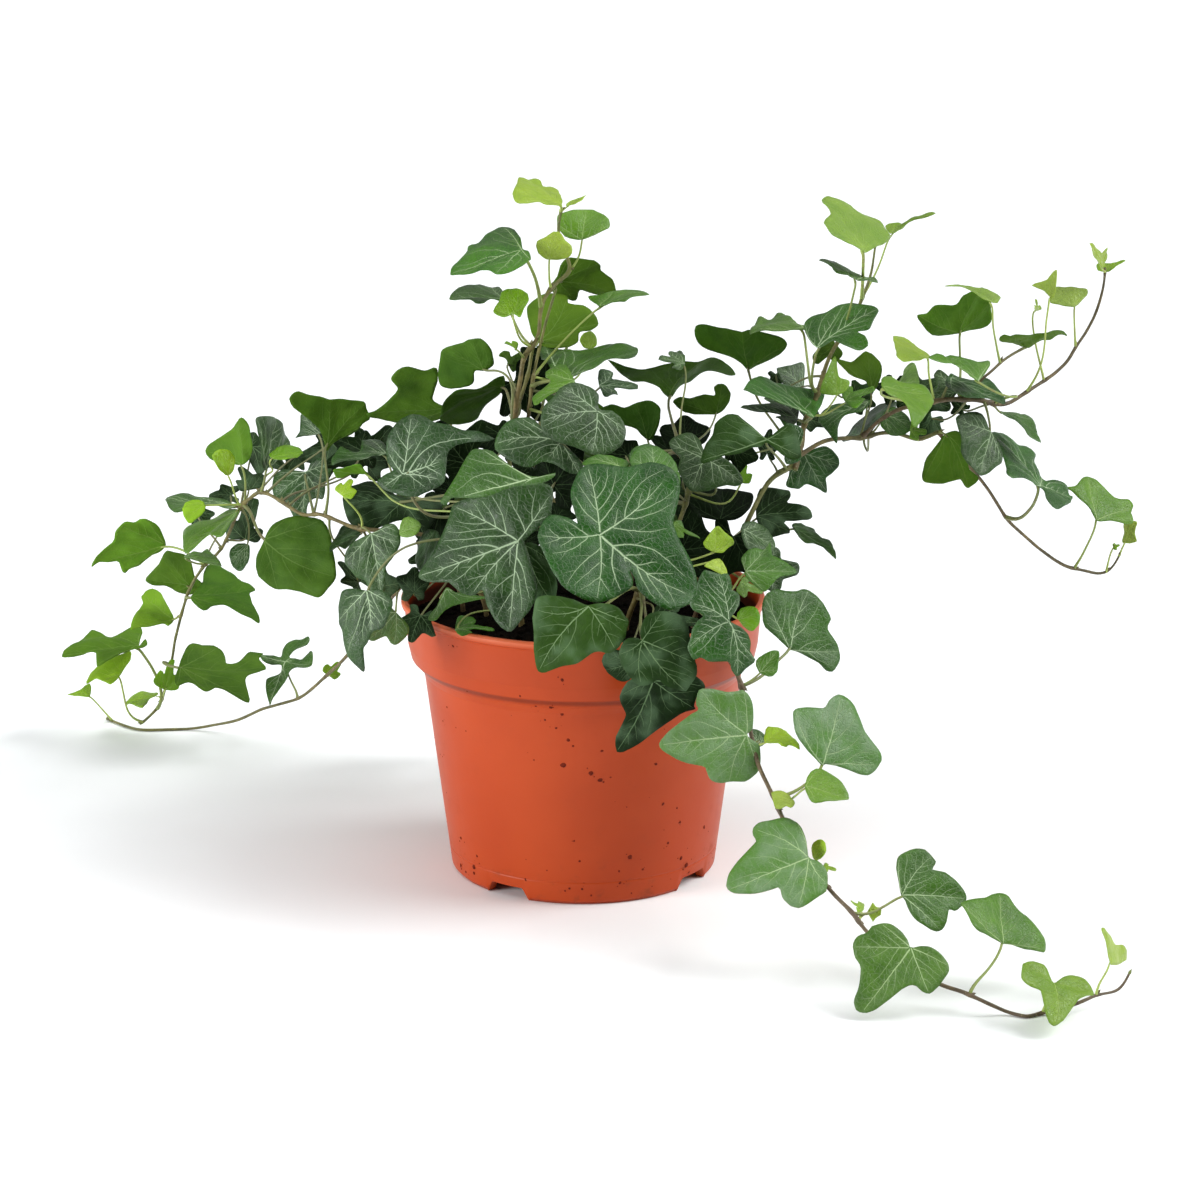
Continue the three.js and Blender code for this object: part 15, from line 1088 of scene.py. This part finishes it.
def build_pot():
    br = lambda z: 44.0 + 0.128 * z
    # outside from the foot up to the lip, then down the inside to the base disc
    prof = [
        (43.0, 0.0), (44.15, 1.3), (br(7.5), 7.5), (br(7.9) - 0.18, 7.9), (br(8.4), 8.5), (br(38), 38), (br(67.6), 67.6), (53.9, 70.0), (56.9, 73.2),
        (57.9, 77.6), (58.9, 89.7), (59.05, 90.2), (60.0, 90.9), (60.0, 92.4), (59.5, 93.0), (58.3, 93.0), (57.9, 92.2),
        (57.2, 83.0), (56.5, 77.6), (55.4, 73.9), (br(67.0) - 1.3, 68.2), (br(10) - 1.3, 10.0), (42.4, 6.6), (40.5, 6.4), (0.0, 6.4),
    ]
    rad = {1: 0.8, 2: 0.25, 3: 0.2, 4: 0.25, 6: 0.35, 7: 0.4, 8: 0.6, 9: 1.6, 11: 0.2, 12: 0.35, 13: 0.5, 14: 0.4, 15: 0.3, 16: 0.4, 18: 1.5, 19: 1.5, 20: 1.0, 22: 1.0}
    outer = fillet(prof, rad, 4)
    under = fillet([(0.0, 5.0), (37.0, 5.0), (39.8, 4.9), (40.5, 4.3), (40.9, 0.0), (42.4, 0.0), (43.0, 0.0)], {2: 0.6, 3: 0.6, 4: 0.3}, 3)
    prof = np.vstack([under[:-1], outer])
    # vertical subdivision of long runs
    fine = [prof[0]]
    for p, q in zip(prof[:-1], prof[1:]):
        m = max(1, int(np.linalg.norm(q - p) / (6.0 if min(p[0], q[0]) > 42 else 12.0)))
        for k in range(1, m + 1):
            fine.append(p + (q - p) * k / m)
    prof = np.array(fine)
    # angles: even steps, denser at the slot edges
    ths = set(np.round(np.linspace(0, 2 * math.pi, 168, endpoint=False), 6))
    for s in SLOTS:
        for d in np.linspace(-9.2, 9.2, 38):
            ths.add(round((s + d / 43.5) % (2 * math.pi), 6))
    ths = np.array(sorted(ths))
    keep = [0]
    for i in range(1, len(ths)):
        if ths[i] - ths[keep[-1]] > 0.004:
            keep.append(i)
    ths = ths[keep]
    nt, npf = len(ths), len(prof)
    sh = np.array([slot_height(t) for t in ths])
    V, F = [], []
    index = np.zeros((npf, nt), int)
    c = 0
    for j, (r, z) in enumerate(prof):
        if r < 1e-6:
            V.append((0, 0, z))
            index[j, :] = c
            c += 1
            continue
        for i, t in enumerate(ths):
            zz, r2 = z, r
            if r > 40.2 and z < 5.2 and sh[i] > 0.01:
                zz = z + sh[i] * (1 - z / 5.2) if z < 5.2 else z
                if r > 42.9:
                    r2 = max(r, 44.0 + 0.128 * zz - 0.25)
            V.append((r2 * math.cos(t), r2 * math.sin(t), zz))
            index[j, i] = c
            c += 1
    for j in range(npf - 1):
        for i in range(nt):
            i2 = (i + 1) % nt
            q = [index[j, i], index[j, i2], index[j + 1, i2], index[j + 1, i]]
            q = [x for k, x in enumerate(q) if x != q[k - 1]]
            if len(q) >= 3:
                F.append(tuple(q))
    return np.array(V, float), F


soup = Soup()
V, F = build_pot()
soup.add(V, F, 0)
pot = soup.build("ivy_pot", [pot_material()], replaces=("pot",))

# ---------------------------------------------------------------- compost
def soil_material():
    N = Nodes("compost")
    coord = N.new("TexCoord")
    obj = coord.outputs["Object"]
    n1 = N.noise(obj, 300.0, 6.0, 0.7)
    n2 = N.noise(obj, 60.0, 3.0, 0.6)
    # near-black compost colours: the compost's own dark brown, darkened further as painted shade for the shaded inside
    # of the pot
    col = N.ramp(n1, [(0.3, lin(7, 5, 3)), (0.5, lin(15, 10, 7)), (0.68, lin(28, 19, 13)), (0.85, lin(52, 38, 26))])
    col = N.mix(N.range(n2, 0.4, 0.7), col, (*lin(11, 8, 5), 1))
    N.put(N.bsdf.inputs["Base Color"], col)
    N.put(N.bsdf.inputs["Roughness"], N.math("MULTIPLY_ADD", n1, 0.2, 0.8))
    N.bsdf.inputs["Specular IOR Level"].default_value = 0.05
    N.put(N.bsdf.inputs["Normal"], N.bump(N.math("ADD", n1, N.noise(obj, 900.0, 4.0, 0.7)), 0.9, 0.0012))
    return N.mat


MAT_SOIL = soil_material()
rng = np.random.default_rng(11)


def soil_z(x, y):
    r = math.hypot(x, y)
    z = 84.6 + 0.9 * (1 - (r / 57) ** 2)
    z += 1.1 * noise.noise(Vector((x / 9, y / 9, 3.1))) + 0.7 * noise.noise(Vector((x / 3.1, y / 3.1, 7.7))) + 0.45 * noise.noise(Vector((x / 1.3, y / 1.3, 1.7)))
    z -= 0.8 * float(smoothstep(50, 57, np.array(r)))
    return z


soup = Soup()
NT, NR = 180, 44
V = [(0, 0, soil_z(0, 0))]
for j in range(1, NR + 1):
    r = 57.2 * j / NR
    for i in range(NT):
        t = 2 * math.pi * i / NT
        V.append((r * math.cos(t), r * math.sin(t), soil_z(r * math.cos(t), r * math.sin(t))))
F = [(0, 1 + i, 1 + (i + 1) % NT) for i in range(NT)]
for j in range(NR - 1):
    for i in range(NT):
        i2 = (i + 1) % NT
        a, b = 1 + j * NT, 1 + (j + 1) * NT
        F.append((a + i, b + i, b + i2, a + i2))
last = 1 + (NR - 1) * NT
for r, z in [(57.0, 82.0), (55.6, 78.2), (53.0, 74.0), (50.9, 69.6), (43.6, 8.0), (41.9, 6.9), (20.0, 6.9)]:
    start = len(V)
    for i in range(NT):
        t = 2 * math.pi * i / NT
        V.append((r * math.cos(t), r * math.sin(t), z))
    for i in range(NT):
        i2 = (i + 1) % NT
        F.append((last + i, start + i, start + i2, last + i2))
    last = start
V.append((0, 0, 6.9))
F += [(last + i, len(V) - 1, last + (i + 1) % NT) for i in range(NT)]
soup.add(V, F, 0)
soup.build("ivy_compost", [MAT_SOIL], replaces=("soil",))


def crumb(centre, size, seed, flat=0.7):
    """A lumpy grain."""
    g = np.random.default_rng(seed)
    ico = ICO_V * size * np.array([1, g.uniform(0.65, 1), g.uniform(flat * 0.7, flat)])
    k = 1 + 0.28 * np.array([noise.noise(Vector(tuple(v * 1.7 + seed))) for v in ICO_V])
    a = g.uniform(0, 2 * math.pi)
    c, s = math.cos(a), math.sin(a)
    R = np.array([[c, -s, 0], [s, c, 0], [0, 0, 1]])
    return (ico * k[:, None]) @ R.T + centre


def icosphere(level):
    bpy_mesh = bpy.data.meshes.new("seed")
    import bmesh

    bm = bmesh.new()
    bmesh.ops.create_icosphere(bm, subdivisions=level, radius=1.0)
    v = np.array([tuple(x.co) for x in bm.verts])
    f = [tuple(x.index for x in q.verts) for q in bm.faces]
    bm.free()
    bpy.data.meshes.remove(bpy_mesh)
    return v, f


ICO_V, ICO_F = icosphere(2)
soup = Soup()
for i in range(620):
    r = 56.0 * math.sqrt(rng.uniform(0, 1))
    t = rng.uniform(0, 2 * math.pi)
    size = float(np.clip(rng.lognormal(-0.25, 0.42), 0.35, 2.3))
    if r + size > 56.6:
        r = 56.6 - size
    x, y = r * math.cos(t), r * math.sin(t)
    soup.add(crumb((x, y, soil_z(x, y) + size * 0.22), size, i), ICO_F, 0)
# short root and bark fibres
for i in range(90):
    r, t = 54 * math.sqrt(rng.uniform(0, 1)), rng.uniform(0, 2 * math.pi)
    x, y, a, ln = r * math.cos(t), r * math.sin(t), rng.uniform(0, math.pi), rng.uniform(3, 8)
    P = []
    for k in np.linspace(-0.5, 0.5, 6):
        qx, qy = x + math.cos(a) * ln * k + rng.normal(0, 0.2), y + math.sin(a) * ln * k + rng.normal(0, 0.2)
        if math.hypot(qx, qy) > 56.5:
            s = 56.5 / math.hypot(qx, qy)
            qx, qy = qx * s, qy * s
        P.append((qx, qy, soil_z(qx, qy) + 0.5))
    V, F, UV = tube(np.array(P), np.full(6, rng.uniform(0.14, 0.3)), 5)
    soup.add(V, F, 0)
soup.build("ivy_compost_crumbs", [MAT_SOIL])

# ---------------------------------------------------------------- crumbs stuck to the pot
# (angle in degrees from +X, height in mm, size in mm)
SPECKS = [
    (-134.9, 87.2, 0.50),
    (-96.3, 80.8, 0.55),
    (-110.3, 74.2, 0.40),
    (-105.8, 70.5, 0.45),
    (-100.6, 70.5, 0.75),
    (-97.1, 67.8, 0.55),
    (-103.2, 65.4, 0.35),
    (-99.3, 62.8, 0.40),
    (-95.1, 58.8, 0.60),
    (-93.4, 56.7, 0.40),
    (-83.0, 54.9, 0.55),
    (-97.1, 49.9, 0.95),
    (-86.9, 47.2, 0.75),
    (-83.5, 44.7, 0.85),
    (-61.9, 48.4, 0.50),
    (-57.4, 33.6, 0.60),
    (-50.3, 30.9, 0.40),
    (-47.9, 25.5, 0.50),
    (-31.1, 19.9, 0.70),
    (-53.2, 19.0, 0.45),
    (-151.2, 15.4, 0.60),
    (-93.4, 23.1, 0.40),
    (-139.9, 11.7, 0.50),
    (-155.3, 4.7, 0.60),
    (-143.1, 7.0, 0.80),
    (-143.7, 4.7, 0.60),
    (-150.8, 3.4, 0.50),
    (-70.6, 16.4, 0.80),
    (-74.4, 7.4, 0.50),
    (-75.0, 11.7, 0.40),
    (-45.1, 12.0, 0.70),
    (-41.3, 8.7, 0.90),
    (-90.3, 5.8, 0.40),
    (-131.4, 72.3, 0.35),
    (-148.2, 62.3, 0.40),
    (-153.3, 56.2, 0.35),
    (-137.6, 56.4, 0.30),
    (-108.0, 51.0, 0.30),
]


def pot_radius(z):
    return float(np.interp(z, [0, 1.3, 7.5, 67.6, 70.0, 73.2, 77.6, 89.7, 90.9, 92.4, 93.0], [43.0, 44.15, 44.96, 52.65, 53.9, 56.9, 57.9, 58.9, 60.0, 60.0, 59.4]))


def speck_material():
    N = Nodes("dried_soil")
    coord = N.new("TexCoord")
    n1 = N.noise(coord.outputs["Object"], 900.0, 3.0, 0.6)
    N.put(N.bsdf.inputs["Base Color"], N.ramp(n1, [(0.3, lin(84, 24, 10)), (0.6, lin(110, 34, 14)), (0.85, lin(138, 50, 22))]))
    N.put(N.bsdf.inputs["Roughness"], N.math("MULTIPLY_ADD", n1, 0.2, 0.7))
    N.bsdf.inputs["Specular IOR Level"].default_value = 0.15
    return N.mat


soup = Soup()
g = np.random.default_rng(5)
grains = [(a, z, s) for a, z, s in SPECKS]
for a, z, s in SPECKS:
    for k in range(int(g.integers(0, 3))):
        grains.append((a + g.normal(0, 1.6), z + g.normal(0, 1.2), s * g.uniform(0.25, 0.5)))
for k in range(95):
    low = g.uniform() < 0.6
    z = float(g.uniform(2, 16) if low else g.uniform(16, 68))
    grains.append((float(g.uniform(0, 360)), z, float(g.uniform(0.12, 0.34) * (1.2 if low else 1.0))))
for i, (a, z, s) in enumerate(grains):
    t = math.radians(a)
    if 0 < z < 5.4 and slot_height(t) > 0.01:
        continue
    out = np.array([math.cos(t), math.sin(t), 0.0])
    along = np.array([-math.sin(t), math.cos(t), 0.0])
    v = crumb((0, 0, 0), s, 900 + i, flat=0.5)
    c = out * (pot_radius(z) + 0.10 * s) + np.array([0, 0, z])
    soup.add(c + v[:, :1] * along + v[:, 1:2] * np.array([0, 0, 1.0]) + v[:, 2:] * 0.45 * out, ICO_F, 0)
soup.build("ivy_pot_soil_specks", [speck_material()])

# ---------------------------------------------------------------- floor and light
def plain(name, color, rough):
    N = Nodes(name)
    N.bsdf.inputs["Base Color"].default_value = (*color, 1)
    N.bsdf.inputs["Roughness"].default_value = rough
    N.bsdf.inputs["Specular IOR Level"].default_value = 0.2
    return N.mat


me = bpy.data.meshes.new("floor")
me.from_pydata([(-6, -4, 0), (6, -4, 0), (6, 8, 0), (-6, 8, 0)], [], [(0, 1, 2, 3)])
floor = bpy.data.objects.new("floor", me)
me.materials.append(plain("floor_white", (0.905, 0.93, 0.94), 0.95))
scene.collection.objects.link(floor)

world = bpy.data.worlds.new("studio")
scene.world = world
world.use_nodes = True
wt = world.node_tree
bg = wt.nodes["Background"]
wc = wt.nodes.new("ShaderNodeTexCoord")
ws = wt.nodes.new("ShaderNodeSeparateXYZ")
wt.links.new(wc.outputs["Generated"], ws.inputs[0])


def world_range(axis, a, b, c, d):
    r = wt.nodes.new("ShaderNodeMapRange")
    r.interpolation_type = "SMOOTHSTEP"
    wt.links.new(ws.outputs[axis], r.inputs["Value"])
    for name, v in (("From Min", a), ("From Max", b), ("To Min", c), ("To Max", d)):
        r.inputs[name].default_value = v
    return r.outputs[0]


# dimmer towards the side that the front of the plant faces, brightest overhead
front = world_range(1, -0.95, -0.10, 0.30, 1.0)
above = world_range(2, 0.55, 0.97, 0.31, 1.40)
wm = wt.nodes.new("ShaderNodeMath")
wm.operation = "MULTIPLY"
wt.links.new(front, wm.inputs[0])
wt.links.new(above, wm.inputs[1])
wt.links.new(wm.outputs[0], bg.inputs[1])
bg.inputs[0].default_value = (1.0, 1.0, 1.0, 1)


def area(name, loc, target, size, watts, color=(1, 1, 1)):
    data = bpy.data.lights.new(name, "AREA")
    data.shape = "SQUARE"
    data.size = size
    data.energy = watts
    data.color = color
    ob = bpy.data.objects.new(name, data)
    ob.location = loc
    ob.rotation_euler = (Vector(target) - Vector(loc)).to_track_quat("-Z", "Y").to_euler()
    scene.collection.objects.link(ob)
    return ob


area("side_left", (-1.5, -0.75, 0.42), (0, 0, 0.10), 0.7, 24)
sun = bpy.data.lights.new("key_right", "SUN")
sun.energy = 2.8
sun.angle = math.radians(38)
sun_ob = bpy.data.objects.new("key_right", sun)
scene.collection.objects.link(sun_ob)
sun_ob.rotation_euler = (Vector((0, 0, 0)) - Vector((1.12, -0.08, 1.0))).to_track_quat("-Z", "Y").to_euler()

scene.view_settings.view_transform = "Standard"
scene.view_settings.look = "None"
scene.view_settings.exposure = 0.0
scene.view_settings.gamma = 1.0
